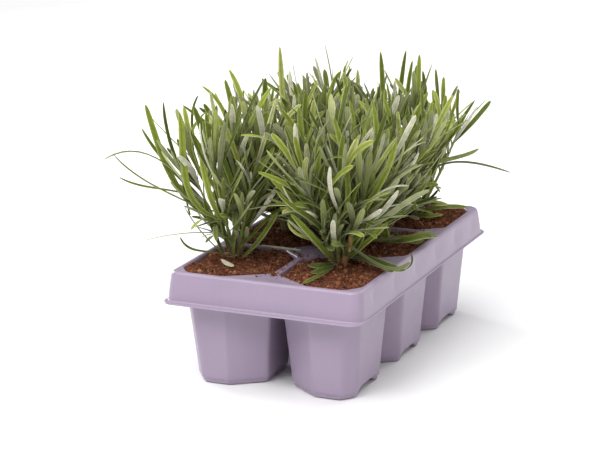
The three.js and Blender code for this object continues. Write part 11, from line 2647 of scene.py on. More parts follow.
  [376,796,1156,476,816,1308,531,834,1483,567,855,1662,395,-80,-21,57,3,0],
  [370,795,1156,265,785,1275,149,756,1383,28,742,1488,430,73,3,68,13,0],
  [375,791,1196,393,739,1269,418,678,1334,421,604,1389,361,-24,74,63,-40,0],
  [374,797,1196,391,861,1262,407,929,1327,412,961,1416,413,-15,-67,72,11,0],
  [377,793,1236,449,786,1357,526,797,1476,581,783,1606,423,-85,4,53,0,0],
  [372,795,1236,306,824,1326,267,845,1434,199,902,1510,303,70,-33,64,-9,0],
  [369,801,975,336,852,1075,328,899,1183,306,935,1294,361,46,-71,53,-25,0],
  [369,796,1038,218,696,1109,85,564,1174,-63,446,1233,390,31,18,93,-24,0],
  [372,796,1219,339,842,1387,313,919,1547,329,982,1714,404,55,-76,33,-10,0],
  [376,795,1277,412,845,1445,464,826,1615,517,842,1786,500,-49,-80,36,18,0],
  [374,794,1336,339,849,1498,348,863,1673,368,949,1825,380,50,-78,39,-3,0],
  [377,789,1336,415,732,1419,438,688,1516,473,627,1600,442,-42,64,65,-19,0],
  [375,787,1394,345,700,1511,355,617,1636,341,469,1659,467,29,72,63,-1,0],
  [379,790,1394,437,792,1519,494,809,1645,611,844,1711,334,-90,-8,43,-27,0],
  [375,791,1452,352,822,1587,341,854,1724,295,921,1839,351,58,-76,30,-1,0],
  [378,786,1452,390,743,1584,401,716,1722,427,648,1842,490,-23,91,34,9,0],
  [377,785,1510,358,744,1606,356,710,1708,356,710,1815,431,41,79,45,21,0],
  [381,787,1712,381,798,1742,381,809,1772,381,817,1803,183,3,-94,34,0,0],
  [378,781,1712,370,774,1758,363,766,1804,357,760,1850,176,78,59,22,0,0],
  [384,782,1712,392,779,1757,401,776,1802,407,773,1848,222,-95,26,19,0,0],
  [379,786,1712,374,794,1753,369,801,1793,364,807,1834,222,55,-80,22,0,0],
  [379,780,1712,375,769,1757,371,757,1801,368,748,1847,159,40,88,26,0,0],
  [384,785,1712,390,789,1740,396,794,1769,401,797,1797,208,-74,-62,25,0,0],
  [373,799,1103,375,848,1130,369,901,1153,364,955,1175,352,-1,-46,89,-5,0],
  [376,794,1182,447,768,1246,510,750,1322,564,728,1405,406,-61,20,77,-9,0],
  [376,796,1208,406,829,1312,461,842,1411,492,905,1502,477,-57,-71,41,-55,0],
  [378,791,1299,399,781,1335,425,764,1365,463,743,1373,255,-74,32,59,0,0],
  [373,794,1299,330,816,1359,292,836,1425,260,849,1496,319,66,-38,65,-13,0],
  [379,789,1398,423,768,1458,466,753,1524,490,755,1600,366,-70,32,65,10,0],
  [374,791,1398,330,806,1449,300,813,1513,283,816,1582,382,67,-26,69,20,0],
  [377,785,1474,369,752,1512,352,723,1554,334,691,1593,375,19,69,70,-22,0],
  [379,791,1474,403,834,1528,430,856,1595,441,859,1670,330,-33,-64,70,5,0],
  [380,786,1490,437,745,1559,495,729,1639,518,701,1732,336,-56,38,73,3,0],
  [376,790,1491,336,825,1546,311,846,1618,275,859,1687,327,52,-48,71,36,0],
  [380,789,1562,389,808,1606,400,817,1653,417,833,1697,256,-32,-82,48,2,0],
  [378,787,1650,361,801,1706,335,818,1760,317,860,1802,313,68,-61,41,-8,0],
  [382,787,1667,393,799,1716,400,804,1768,413,847,1795,260,-56,-74,38,-1,0],
 ]),
 ('shoot_back_right_2', 'back_right', [407,779,920,515,718,1100,581,680,1265,628,654,1465], [
  [618,660,1424,655,604,1499,691,546,1567,728,483,1631,431,30,60,74,14,1],
  [618,659,1425,615,698,1556,617,728,1686,624,751,1817,407,57,-82,-4,13,1],
  [601,669,1363,677,660,1480,751,652,1594,825,645,1707,449,-88,-42,-25,5,1],
  [607,666,1383,585,630,1517,566,595,1649,550,561,1781,355,67,63,39,6,1],
  [573,685,1272,554,702,1402,533,720,1528,510,740,1653,376,93,-24,-29,-12,1],
  [405,771,880,595,679,962,591,941,910,686,1055,875,380,55,-53,65,0,0,50,30],
  [416,772,940,379,709,1077,341,627,1205,261,520,1286,370,96,2,29,20,0],
  [434,761,965,469,648,961,499,540,1005,527,454,1086,399,40,8,91,28,0],
  [446,754,993,362,666,1038,291,597,1126,205,495,1126,374,58,-15,80,-26,0],
  [461,750,1020,457,801,1157,434,860,1291,413,906,1430,440,66,-69,30,-10,0],
  [474,738,1046,449,691,1124,421,610,1171,386,519,1172,333,90,15,41,-26,0],
  [488,730,1071,460,624,1113,422,548,1196,394,452,1261,331,58,15,80,-9,0],
  [500,726,1099,458,732,1272,414,760,1445,362,851,1592,341,89,-39,24,-23,0],
  [513,720,1125,526,752,1298,497,800,1467,520,874,1627,314,66,-75,10,7,0],
  [514,715,1124,483,547,1105,473,379,1150,467,205,1155,357,41,-17,90,32,0],
  [532,705,1167,551,629,1268,562,515,1327,599,396,1359,378,55,70,45,-4,0],
  [551,697,1220,506,706,1339,464,730,1460,429,717,1585,466,86,-35,37,-14,0],
  [572,682,1271,599,624,1368,606,566,1469,554,465,1498,376,30,84,45,30,0],
  [573,688,1272,618,705,1385,668,726,1497,693,751,1616,327,-8,-98,20,29,0],
  [591,673,1324,647,593,1380,701,511,1437,731,422,1501,324,-10,51,86,31,0],
  [588,677,1326,579,693,1454,566,713,1583,559,774,1699,347,78,-61,15,-1,0],
  [605,663,1379,618,561,1519,612,481,1676,564,387,1816,421,41,74,53,-43,0],
  [608,669,1379,648,672,1475,670,680,1577,705,702,1673,432,-50,-82,26,-5,0],
  [623,656,1435,662,634,1523,713,630,1608,761,578,1678,337,-74,46,48,-12,0],
  [618,659,1437,599,661,1557,587,662,1679,510,675,1774,441,92,-36,18,7,0],
  [624,657,1460,626,660,1505,629,663,1551,632,664,1597,223,70,-71,1,0,0],
  [625,652,1459,629,644,1489,633,635,1519,637,628,1548,213,59,79,14,0,0],
  [630,655,1458,655,649,1500,681,644,1542,703,638,1585,159,-86,-7,51,0,0],
  [625,658,1460,631,661,1492,636,663,1525,641,664,1557,190,35,-94,2,0,0],
  [626,651,1459,631,628,1499,636,605,1539,642,585,1580,209,32,83,45,0,0],
  [630,656,1458,646,653,1498,662,650,1538,677,646,1578,166,-88,-34,33,0,0],
  [428,770,950,478,769,982,518,761,1027,558,760,1072,350,-44,-50,75,13,0],
  [556,693,1234,564,660,1416,558,626,1598,570,635,1782,462,100,-8,-4,-35,0],
  [565,687,1256,550,641,1347,549,613,1448,515,574,1538,417,87,36,34,-11,0],
  [597,670,1340,625,644,1384,655,613,1425,682,597,1477,346,-39,62,68,-24,0],
  [600,667,1366,584,593,1535,612,561,1715,665,422,1827,342,82,48,30,-28,0],
  [618,660,1434,611,676,1578,601,695,1723,537,729,1851,374,77,-63,12,-19,0],
 ]),
 ('shoot_back_right_3', 'back_right', [409,815,920,519,856,1135,598,886,1320,673,914,1537], [
  [668,912,1524,659,902,1632,659,897,1737,669,897,1842,357,85,-16,-50,-24,1],
  [630,898,1417,708,866,1524,781,838,1631,853,815,1740,463,-80,57,20,20,1],
  [668,912,1524,735,934,1605,800,956,1683,866,977,1761,390,-56,-28,78,-5,1],
  [586,881,1304,608,865,1460,625,846,1612,638,822,1763,465,45,-21,87,22,1],
  [626,897,1408,699,991,1505,769,1077,1605,838,1159,1708,414,-14,-79,60,17,1],
  [412,837,920,484,784,950,558,715,985,614,825,950,440,-14,-77,63,0,0,80,100],
  [418,820,944,306,873,1011,186,938,1058,56,980,1104,411,55,12,83,-6,0],
  [422,816,942,459,739,951,511,668,970,551,598,1009,289,40,28,88,12,0],
  [434,826,975,277,862,1063,144,888,1191,-34,932,1218,348,51,15,85,-7,0],
  [449,832,1007,340,905,1099,217,1013,1082,101,1108,1015,404,65,4,76,-7,0],
  [464,837,1038,375,866,1195,257,879,1337,117,895,1457,438,87,9,49,10,0],
  [481,845,1067,478,930,1065,464,1011,1033,458,1089,994,276,43,4,90,-40,0],
  [494,846,1099,477,800,1264,489,745,1428,477,707,1597,319,78,57,25,22,0],
  [487,841,1076,542,751,1111,586,649,1139,645,556,1113,396,27,47,84,-2,0],
  [532,863,1184,486,930,1328,447,960,1487,343,1008,1609,453,89,-21,40,-9,0],
  [577,879,1290,493,917,1459,422,970,1631,281,1062,1727,453,89,2,45,-38,0],
  [601,884,1343,612,784,1471,636,714,1618,676,655,1767,397,43,72,54,9,0],
  [619,896,1398,591,922,1517,556,952,1635,460,963,1718,361,96,-7,26,-18,0],
  [670,917,1530,682,929,1567,694,942,1603,706,953,1640,184,20,-94,26,0,0],
  [669,910,1532,677,908,1570,685,907,1608,694,906,1647,182,60,80,-8,0,0],
  [674,913,1529,698,918,1567,722,924,1605,744,929,1643,173,-85,3,53,0,0],
  [669,916,1531,676,926,1557,683,936,1584,690,945,1611,224,44,-87,22,0,0],
  [669,910,1531,676,907,1563,682,903,1594,690,901,1625,154,50,87,-1,0,0],
  [674,913,1529,701,917,1563,728,922,1596,753,927,1631,189,-78,7,62,0,0],
  [554,866,1224,578,854,1267,594,842,1314,602,813,1357,316,-12,91,39,-11,0],
  [551,871,1225,541,914,1274,542,946,1334,545,995,1382,328,71,-43,56,37,0],
  [573,875,1277,568,843,1329,569,806,1381,581,779,1437,348,59,65,49,-2,0],
 ]),
 ('shoot_back_right_4', 'back_right', [386,839,920,433,957,1141,462,1028,1339,481,1076,1574], [
  [480,1072,1556,459,1127,1655,443,1177,1754,430,1223,1855,354,51,-70,50,-1,1],
  [479,1071,1552,516,1073,1648,556,1072,1740,601,1067,1830,368,-88,36,-31,0,1],
  [468,1044,1437,530,1117,1533,598,1195,1615,675,1278,1683,386,-65,-32,69,0,1],
  [471,1051,1465,461,1042,1632,451,1033,1793,440,1023,1955,454,41,55,73,7,1],
  [388,850,944,327,835,1007,243,806,1031,151,794,1027,399,50,57,65,-21,0],
  [401,884,1009,322,936,1129,234,1061,1146,99,1129,1112,431,85,27,46,4,0],
  [408,902,1040,337,983,1045,268,1067,1030,200,1154,1027,303,33,25,91,-43,0],
  [413,914,1073,354,923,1129,308,933,1198,275,922,1274,309,64,42,65,-41,0],
  [419,928,1105,355,966,1254,310,1010,1410,306,1048,1574,318,87,38,30,-58,0],
  [427,940,1138,408,815,1252,389,679,1357,438,573,1485,353,20,64,74,61,0],
  [426,945,1136,400,1039,1179,390,1131,1237,358,1199,1316,426,42,-26,87,-6,0],
  [430,956,1169,332,988,1206,258,1023,1283,196,1040,1375,470,42,30,86,15,0],
  [405,894,1025,303,1021,1112,183,1123,1215,40,1227,1277,418,65,1,76,25,0],
  [444,985,1252,434,994,1394,427,994,1539,441,1008,1682,396,58,81,1,35,0],
  [446,989,1250,483,1074,1345,519,1133,1460,530,1185,1583,405,-29,-64,71,-2,0],
  [453,1009,1306,462,1078,1398,459,1137,1498,422,1222,1567,303,15,-78,60,23,0],
  [455,1004,1308,508,958,1396,537,914,1498,585,852,1582,358,-25,78,58,5,0],
  [457,1024,1365,379,1053,1464,325,1099,1575,230,1172,1630,375,79,18,59,31,0],
  [464,1042,1422,413,1109,1541,333,1154,1657,215,1205,1728,399,81,-27,52,-23,0],
  [466,1038,1423,462,948,1562,450,862,1705,426,746,1824,366,16,82,55,13,0],
  [480,1078,1566,481,1089,1594,482,1100,1622,483,1110,1650,189,23,-91,35,0,0],
  [479,1072,1568,476,1069,1604,474,1066,1641,473,1065,1678,223,45,89,10,0,0],
  [484,1074,1567,498,1079,1593,512,1083,1620,524,1088,1648,197,-88,18,44,0,0],
  [478,1077,1567,472,1098,1607,466,1119,1648,462,1138,1689,190,60,-67,43,0,0],
  [479,1071,1568,481,1075,1609,482,1079,1651,484,1083,1692,153,34,94,-9,0,0],
  [484,1074,1567,493,1079,1598,502,1084,1628,510,1089,1659,206,-94,25,24,0,0],
  [404,892,1024,291,968,1127,189,1025,1254,141,1112,1396,489,72,20,66,-8,0],
  [419,929,1100,389,974,1107,355,1018,1099,335,1067,1078,287,38,12,92,5,0],
  [427,942,1143,423,940,1190,410,935,1236,381,925,1273,363,45,88,14,16,0],
  [440,967,1197,463,983,1241,480,994,1289,501,988,1338,287,-87,21,44,-38,0],
  [435,969,1197,409,1029,1235,366,1090,1257,335,1161,1265,370,53,-25,81,3,0],
  [441,981,1239,372,972,1396,319,955,1560,225,926,1703,321,71,60,36,-35,0],
  [455,1006,1314,505,972,1434,527,932,1562,557,879,1684,494,-30,87,39,39,0],
  [451,1009,1313,425,1044,1377,415,1083,1445,401,1127,1508,346,86,-16,48,16,0],
  [464,1027,1371,516,1060,1410,561,1084,1466,621,1126,1487,343,-55,-5,83,7,0],
  [458,1025,1372,447,1029,1416,445,1039,1462,444,1041,1508,304,85,48,22,21,0],
  [469,1037,1412,500,1049,1478,536,1067,1541,547,1069,1615,315,-86,32,39,-38,0],
  [463,1039,1412,416,1112,1520,383,1191,1631,327,1258,1741,465,74,-34,58,-22,0],
  [476,1063,1500,490,1095,1561,506,1113,1628,522,1122,1697,385,-35,-77,54,15,0],
  [475,1067,1521,467,1095,1559,466,1127,1596,460,1172,1614,325,48,-62,63,-15,0],
 ]),
 ('shoot_back_right_5', 'back_right', [345,834,920,278,926,1161,240,978,1374,219,1006,1623], [
  [220,1004,1608,255,1003,1704,289,1001,1796,323,1000,1889,412,-78,10,62,-5,1],
  [222,1003,1594,138,1023,1697,65,1043,1803,-1,1063,1914,452,84,32,43,-16,1],
  [230,991,1506,136,969,1613,53,954,1726,-19,945,1846,408,22,48,85,-25,1],
  [230,991,1507,220,1064,1655,212,1140,1795,204,1220,1934,393,9,-87,48,-28,1],
  [339,841,946,368,781,1072,391,714,1199,411,621,1308,363,-46,75,48,13,0],
  [337,846,944,255,986,929,141,1106,935,23,1222,940,496,-9,6,99,0,0],
  [331,857,981,406,914,1118,479,972,1258,560,1012,1399,311,-88,11,46,-16,0],
  [326,856,980,248,842,997,170,839,964,96,847,926,380,10,42,90,1,0],
  [318,867,1017,217,796,1132,164,751,1288,37,682,1380,485,18,75,63,-27,0],
  [319,872,1015,290,966,1014,267,1064,1023,236,1149,979,304,-14,-2,99,15,0],
  [313,883,1051,324,940,1112,325,988,1184,327,1059,1232,348,-64,-48,60,-16,0],
  [308,880,1051,232,884,1140,143,873,1218,56,860,1297,421,64,55,55,11,0],
  [303,890,1087,301,819,1231,316,774,1386,312,746,1546,363,-30,85,43,33,0],
  [302,895,1085,282,985,1084,261,1077,1086,253,1152,1031,366,-16,-1,99,-27,0],
  [297,903,1121,387,936,1224,451,949,1351,491,998,1478,323,-76,19,62,-1,0],
  [292,902,1121,168,845,1155,30,807,1160,-100,751,1135,333,5,42,91,-7,0],
  [288,911,1156,336,784,1237,370,691,1365,372,587,1489,340,-27,44,86,-2,0],
  [285,915,1154,203,980,1239,103,1060,1283,6,1153,1262,384,58,-25,78,-5,0],
  [282,925,1190,328,995,1276,370,1065,1366,440,1138,1434,495,-73,-26,63,-10,0],
  [277,922,1189,204,901,1240,129,857,1277,56,816,1320,360,36,51,78,-45,0],
  [301,892,1082,163,955,1100,31,1036,1083,-82,1132,1038,422,18,14,97,1,0],
  [289,906,1139,209,853,1309,142,781,1480,77,710,1652,388,23,89,40,35,0],
  [291,912,1138,275,1053,1274,297,1154,1444,341,1255,1610,487,-27,-68,69,-51,0],
  [276,926,1193,173,990,1294,86,1082,1391,-26,1191,1422,446,63,-14,76,38,0],
  [282,924,1195,330,932,1382,373,941,1572,515,973,1702,427,-86,47,21,1,0],
  [267,937,1250,235,928,1368,220,936,1491,199,964,1609,412,22,96,16,-12,0],
  [255,953,1305,163,986,1356,82,1007,1431,-25,1005,1463,351,48,5,87,2,0],
  [261,952,1306,308,981,1489,321,996,1680,344,966,1868,412,-95,21,23,-36,0],
  [252,963,1362,261,963,1501,230,959,1638,176,953,1768,506,-72,69,7,37,0],
  [249,968,1361,229,1045,1440,221,1119,1525,201,1206,1595,411,0,-70,71,-28,0],
  [238,976,1417,178,1004,1501,128,1010,1596,29,1030,1635,298,78,-9,62,-42,0],
  [234,983,1475,208,907,1558,176,835,1645,132,756,1720,437,2,73,69,17,0],
  [220,1009,1615,217,1025,1645,214,1041,1675,211,1054,1706,209,-2,-88,47,0,0],
  [217,1002,1616,212,1000,1639,206,998,1663,200,997,1687,176,57,79,22,0,0],
  [223,1004,1616,229,1007,1662,235,1009,1707,239,1012,1753,155,-95,28,11,0,0],
  [217,1008,1615,210,1016,1638,203,1025,1662,197,1032,1686,186,60,-67,43,0,0],
  [219,1002,1616,211,993,1656,203,984,1696,196,978,1736,221,27,93,26,0,0],
  [223,1005,1616,235,1008,1650,246,1011,1684,255,1015,1720,184,-95,8,31,0,0],
  [332,851,959,306,879,988,277,919,990,256,960,972,268,47,-32,82,0,0],
  [320,865,1013,278,763,1094,206,659,1155,131,549,1198,340,-13,64,75,-25,0],
  [282,920,1186,284,916,1298,285,903,1411,284,910,1524,359,-57,82,7,22,0],
  [273,937,1233,287,978,1287,290,1011,1350,302,1017,1420,284,-67,-47,58,-23,0],
  [268,935,1233,194,944,1298,127,942,1374,80,916,1460,342,63,28,72,3,0],
  [260,949,1302,266,926,1372,258,911,1446,253,890,1519,269,-40,85,34,-43,0],
  [259,955,1300,248,1005,1349,245,1041,1412,229,1110,1400,352,-7,-68,73,-1,0],
  [250,969,1368,269,1008,1404,294,1035,1448,327,1082,1443,258,-52,-39,76,9,0],
  [246,965,1369,168,938,1436,90,927,1511,-15,903,1522,355,46,49,74,-5,0],
  [242,975,1399,171,1054,1468,112,1121,1561,74,1177,1671,415,38,-37,85,5,0],
  [239,985,1459,262,1013,1521,280,1020,1592,294,1013,1665,366,-79,-34,50,30,0],
  [233,982,1459,144,946,1548,66,931,1657,0,922,1773,357,50,49,71,4,0],
  [228,994,1511,210,1015,1582,202,1037,1656,166,1082,1708,333,62,-68,39,13,0],
  [225,1004,1587,237,1023,1639,238,1058,1687,253,1085,1738,261,-76,-49,42,-16,0],
  [219,1001,1586,176,997,1679,140,961,1768,112,891,1840,327,81,40,43,-29,0],
 ]),
 ('shoot_back_right_6', 'back_right', [328,801,920,210,803,1160,124,804,1365,40,805,1602], [
  [220,803,1151,170,887,1460,148,984,1767,165,1101,2070,405,55,-78,29,23,1],
  [83,804,1484,21,726,1635,-39,653,1783,-100,583,1931,469,10,99,4,-23,1],
  [45,805,1588,-25,800,1672,-89,796,1758,-149,792,1845,415,41,82,40,18,1],
  [45,805,1588,61,807,1711,87,809,1829,123,811,1944,365,-95,24,-21,9,1],
  [119,804,1391,133,805,1520,132,805,1646,116,806,1770,453,-100,5,-9,15,1],
  [135,804,1350,11,786,1432,-114,767,1505,-242,747,1572,452,17,30,94,25,1],
  [83,804,1484,35,879,1594,-10,962,1692,-54,1054,1783,386,-13,-78,61,-7,1],
  [315,798,945,276,710,984,253,612,1021,251,515,1066,330,-29,48,83,16,0],
  [314,804,944,263,864,955,219,933,942,163,982,904,306,-20,-32,93,-30,0],
  [301,802,982,369,813,1053,466,803,1085,559,768,1109,304,-71,-3,70,7,0],
  [296,800,979,208,745,995,109,706,974,22,677,918,468,-3,30,95,-24,0],
  [283,799,1016,268,691,1121,249,576,1222,230,461,1322,472,-49,63,60,-23,0],
  [280,804,1015,207,866,1071,113,929,1080,16,983,1057,428,8,-60,80,11,0],
  [268,800,1051,276,752,1215,296,714,1382,339,618,1519,363,-87,46,19,-7,0],
  [263,803,1049,170,823,1077,70,847,1079,-25,875,1055,344,23,-17,96,-12,0],
  [250,799,1084,232,727,1151,211,669,1232,196,599,1305,308,-40,66,63,-1,0],
  [248,805,1084,147,897,1144,46,1006,1173,-47,1124,1195,391,2,-52,86,6,0],
  [236,805,1119,229,854,1210,208,919,1290,213,1020,1321,325,-65,-68,34,-12,0],
  [232,801,1117,117,759,1136,19,740,1213,-65,758,1306,474,7,21,98,33,0],
  [218,800,1151,149,750,1226,75,666,1253,-10,591,1235,482,19,71,68,-37,0],
  [220,806,1152,239,969,1211,266,1115,1310,307,1243,1426,363,-45,-25,86,2,0],
  [207,804,1187,235,838,1285,270,875,1382,293,888,1489,350,-86,-33,38,-23,0],
  [201,803,1184,78,810,1226,-49,824,1266,-180,813,1287,353,31,-4,95,-32,0],
  [276,799,1025,212,730,1100,162,654,1182,89,560,1213,346,-3,73,68,-4,0],
  [226,800,1136,199,730,1200,169,682,1283,153,588,1317,419,-30,69,65,-9,0],
  [179,800,1244,137,751,1325,118,714,1422,113,688,1524,289,-9,86,51,26,0],
  [154,804,1297,22,810,1354,-93,796,1441,-197,779,1541,362,38,-4,92,-19,0],
  [159,803,1299,183,792,1452,213,776,1606,222,787,1763,483,-98,13,18,64,0],
  [135,801,1352,95,757,1456,71,707,1562,25,662,1665,423,-19,92,34,-30,0],
  [133,806,1351,62,837,1455,-11,860,1561,-85,840,1666,491,45,-70,55,-28,0],
  [110,803,1405,19,785,1478,-56,751,1566,-169,715,1589,429,55,26,79,-10,0],
  [116,805,1407,157,819,1530,160,862,1655,131,902,1778,460,-93,-12,34,-30,0],
  [93,807,1461,96,864,1555,92,914,1655,84,976,1749,342,-62,-65,44,22,0],
  [69,807,1515,-22,853,1661,-120,901,1803,-278,975,1842,389,43,-74,52,35,0],
  [74,804,1517,61,790,1688,59,772,1860,117,766,2022,340,-96,28,-3,24,0],
  [52,807,1573,43,846,1664,34,890,1754,35,959,1828,298,-58,-76,29,7,0],
  [43,808,1595,29,824,1634,15,840,1672,1,853,1712,210,-12,-93,34,0,0],
  [41,802,1594,27,793,1617,13,785,1640,0,778,1664,222,35,79,50,0,0],
  [46,804,1596,45,801,1641,44,797,1686,40,795,1730,176,-97,23,0,0,0],
  [41,808,1594,29,814,1624,16,819,1654,4,823,1684,171,26,-92,28,0,0],
  [41,802,1595,30,798,1623,18,794,1651,7,791,1680,165,27,93,24,0,0],
  [45,807,1596,43,810,1623,40,813,1650,35,816,1677,154,-89,-45,-4,0,0],
  [280,804,1015,181,878,1027,72,941,1022,-38,997,993,331,-10,-27,96,1,0],
  [242,800,1098,142,700,1122,29,611,1149,-58,499,1182,339,-13,34,93,-20,0],
  [231,804,1120,178,824,1164,127,856,1206,73,897,1232,417,43,-45,78,17,0],
  [210,806,1175,208,834,1205,205,857,1241,202,890,1270,231,-51,-60,61,-16,0],
  [169,806,1262,129,843,1296,95,881,1338,62,921,1380,377,8,-59,80,-33,0],
  [150,802,1307,73,772,1375,12,744,1461,-36,728,1557,299,45,48,75,-33,0],
  [125,805,1369,83,816,1402,32,819,1423,-19,828,1402,279,50,-31,81,14,0],
  [109,802,1412,68,771,1459,35,749,1516,6,729,1577,266,22,69,69,5,0],
  [111,807,1413,99,830,1459,98,860,1503,102,893,1546,240,-38,-84,39,3,0],
  [69,807,1525,63,829,1575,61,855,1624,63,873,1677,389,-56,-77,31,9,0],
  [47,803,1589,59,766,1699,75,730,1810,131,686,1904,369,-81,52,28,10,0],
  [42,806,1587,-46,826,1668,-138,836,1749,-251,831,1799,387,60,-28,75,12,0],
 ]),
 ('shoot_back_right_7', 'back_right', [339,772,920,284,723,1121,249,691,1294,222,666,1493], [
  [290,728,1114,373,819,1386,432,908,1660,347,986,1943,423,55,-80,21,8,1],
  [281,720,1157,245,831,1438,217,942,1719,239,1046,2004,368,69,-66,29,4,1],
  [224,668,1481,260,662,1603,307,659,1717,366,660,1826,462,-98,-4,22,-15,1],
  [226,669,1466,159,658,1540,103,646,1619,57,634,1704,399,78,-42,46,25,1],
  [234,677,1413,219,607,1542,207,532,1663,196,448,1779,371,-29,96,-3,9,1],
  [239,682,1377,219,715,1509,201,755,1636,182,802,1761,372,4,-84,54,-16,1],
  [250,692,1311,282,697,1451,308,699,1588,326,698,1725,354,-83,-41,38,5,1],
  [341,763,860,441,653,884,530,618,896,591,778,880,360,0,-77,63,0,0,55,30],
  [334,718,855,364,692,861,398,675,860,437,667,854,340,-27,-55,79,0,0,150,100],
  [331,765,940,189,671,997,40,565,999,-64,418,972,436,29,12,95,-4,0],
  [327,757,970,346,679,994,387,602,1000,434,529,991,359,-37,16,91,-9,0],
  [323,762,971,198,828,1065,63,920,1122,-58,1043,1111,379,26,-58,77,0,0],
  [315,753,999,221,730,1028,129,698,1063,27,690,1078,357,30,-11,95,20,0],
  [311,744,1029,300,644,1137,309,505,1191,320,356,1194,382,-33,70,63,-14,0],
  [310,749,1030,268,820,1176,218,870,1329,151,995,1422,482,-7,-90,43,15,0],
  [301,738,1057,236,685,1048,161,640,1058,82,610,1034,296,-8,-8,99,0,0],
  [306,740,1058,360,690,1214,369,674,1386,404,582,1529,311,-93,7,36,0,0],
  [296,731,1086,241,594,1146,203,462,1229,176,340,1332,321,-2,40,92,10,0],
  [296,737,1087,257,775,1181,245,809,1286,234,834,1394,387,13,-89,44,-36,0],
  [288,726,1114,235,655,1100,179,604,1048,115,567,992,413,-14,-9,99,15,0],
  [293,728,1115,354,719,1163,426,698,1195,493,659,1171,304,-61,-16,77,13,0],
  [285,720,1143,301,652,1209,304,603,1294,307,520,1346,286,-52,52,68,13,0],
  [324,758,969,203,629,1039,101,467,1063,20,306,996,489,21,29,93,31,0],
  [311,743,1033,336,645,1115,344,535,1189,361,408,1224,399,-53,45,72,-2,0],
  [294,729,1094,248,617,1247,165,510,1389,71,375,1495,507,-2,80,60,25,0],
  [278,720,1155,189,687,1305,84,654,1446,-90,655,1489,463,86,-4,52,-10,0],
  [268,706,1215,230,636,1336,187,580,1463,122,492,1557,378,14,83,55,-19,0],
  [269,711,1217,261,769,1359,276,829,1501,290,884,1646,465,-28,-89,37,-21,0],
  [254,699,1276,197,695,1379,160,700,1491,94,707,1589,427,80,-39,45,-31,0],
  [244,686,1337,169,599,1470,75,539,1608,23,437,1743,319,45,60,66,22,0],
  [247,690,1338,248,707,1475,255,725,1613,264,739,1751,406,-54,-83,12,16,0],
  [239,678,1399,263,641,1586,269,585,1770,298,525,1951,374,-97,16,18,-23,0],
  [233,678,1398,155,653,1506,91,614,1621,-5,591,1715,329,79,6,61,-5,0],
  [227,667,1461,213,617,1574,206,577,1692,204,539,1811,371,-13,90,41,-21,0],
  [227,673,1462,216,677,1608,203,681,1755,162,700,1896,467,-38,-92,2,-21,0],
  [222,670,1487,214,673,1525,206,676,1563,198,677,1600,185,32,-94,14,0,0],
  [220,665,1486,208,656,1510,196,647,1534,186,639,1560,217,72,46,52,0,0],
  [226,667,1488,234,662,1526,243,657,1565,248,652,1604,220,-98,-4,20,0,0],
  [221,670,1487,214,673,1519,207,677,1551,200,678,1583,153,34,-92,17,0,0],
  [222,663,1487,214,644,1519,205,625,1552,198,609,1587,178,16,84,52,0,0],
  [226,668,1488,227,664,1530,228,661,1572,227,657,1615,198,-96,-29,0,0,0],
  [309,743,1033,275,660,1073,216,585,1042,215,516,969,286,-3,42,91,20,0],
  [282,718,1152,248,626,1313,224,556,1488,113,430,1577,374,-13,87,48,-22,0],
  [262,707,1232,211,717,1288,162,723,1347,143,731,1422,360,58,-47,66,-23,0],
  [252,694,1287,223,673,1320,195,647,1351,157,617,1364,356,54,34,77,-4,0],
  [242,686,1341,176,654,1423,116,601,1502,40,577,1581,316,70,20,68,-13,0],
  [239,678,1385,240,612,1490,246,543,1595,255,437,1661,336,-38,77,51,-4,0],
  [239,683,1385,225,696,1543,228,723,1701,190,819,1823,419,-31,-95,7,7,0],
  [223,671,1462,201,666,1537,189,652,1613,141,641,1675,268,88,-39,28,26,0],
  [229,669,1463,233,640,1605,234,637,1750,277,625,1888,505,-93,35,12,26,0],
 ]),
 ('shoot_back_right_8', 'back_right', [374,758,920,382,658,1090,388,593,1241,393,540,1420], [
  [382,663,1098,572,663,1379,858,624,1381,1195,593,1303,276,-15,64,75,-19,1],
  [383,651,1123,425,696,1344,693,803,1285,841,885,1392,386,-59,72,38,-10,1],
  [380,681,1060,503,808,1283,624,937,1505,740,1077,1724,386,80,-59,-8,5,1],
  [392,551,1384,353,546,1513,320,537,1638,291,525,1765,442,97,-10,24,15,1],
  [393,543,1409,422,477,1495,453,408,1573,488,336,1647,356,0,52,85,-12,1],
  [391,566,1336,369,490,1460,358,427,1587,359,376,1721,464,34,91,-24,-12,1],
  [387,609,1221,330,602,1374,281,590,1523,236,573,1674,373,99,-12,-6,7,1],
  [376,745,936,407,657,979,415,586,1055,418,514,1130,421,-32,29,90,30,0],
  [373,750,939,280,857,1056,170,990,1126,76,1144,1077,334,16,-66,74,13,0],
  [375,731,962,356,606,970,351,479,953,337,355,921,372,14,3,99,29,0],
  [379,717,987,417,650,954,475,585,949,532,525,975,358,1,-44,90,3,0],
  [376,722,989,332,774,1059,303,814,1145,269,873,1218,340,21,-71,68,26,0],
  [375,706,1013,294,646,1101,184,568,1099,62,521,1063,457,77,-21,60,-10,0],
  [380,690,1036,409,583,1010,451,475,1020,523,385,1040,305,-2,-25,97,29,0],
  [378,695,1039,343,689,1180,296,674,1319,268,667,1463,498,50,-86,11,6,0],
  [382,683,1063,468,733,1179,541,765,1312,630,801,1434,410,-32,-75,58,-2,0],
  [378,679,1061,321,611,1060,263,551,1026,222,485,978,410,25,-23,94,-28,0],
  [382,666,1085,424,522,1135,449,406,1243,452,345,1391,347,-20,25,95,1,0],
  [379,670,1087,313,697,1197,256,713,1318,204,745,1437,350,47,-74,48,-31,0],
  [385,657,1110,464,619,1191,531,575,1280,587,545,1382,354,-74,-29,61,-1,0],
  [379,657,1111,295,631,1194,229,610,1296,169,585,1402,308,69,-39,61,13,0],
  [380,702,1015,415,621,1075,456,549,1146,491,493,1231,465,-47,36,80,-7,0],
  [379,675,1068,362,610,1147,338,550,1229,302,483,1300,311,64,49,59,-14,0],
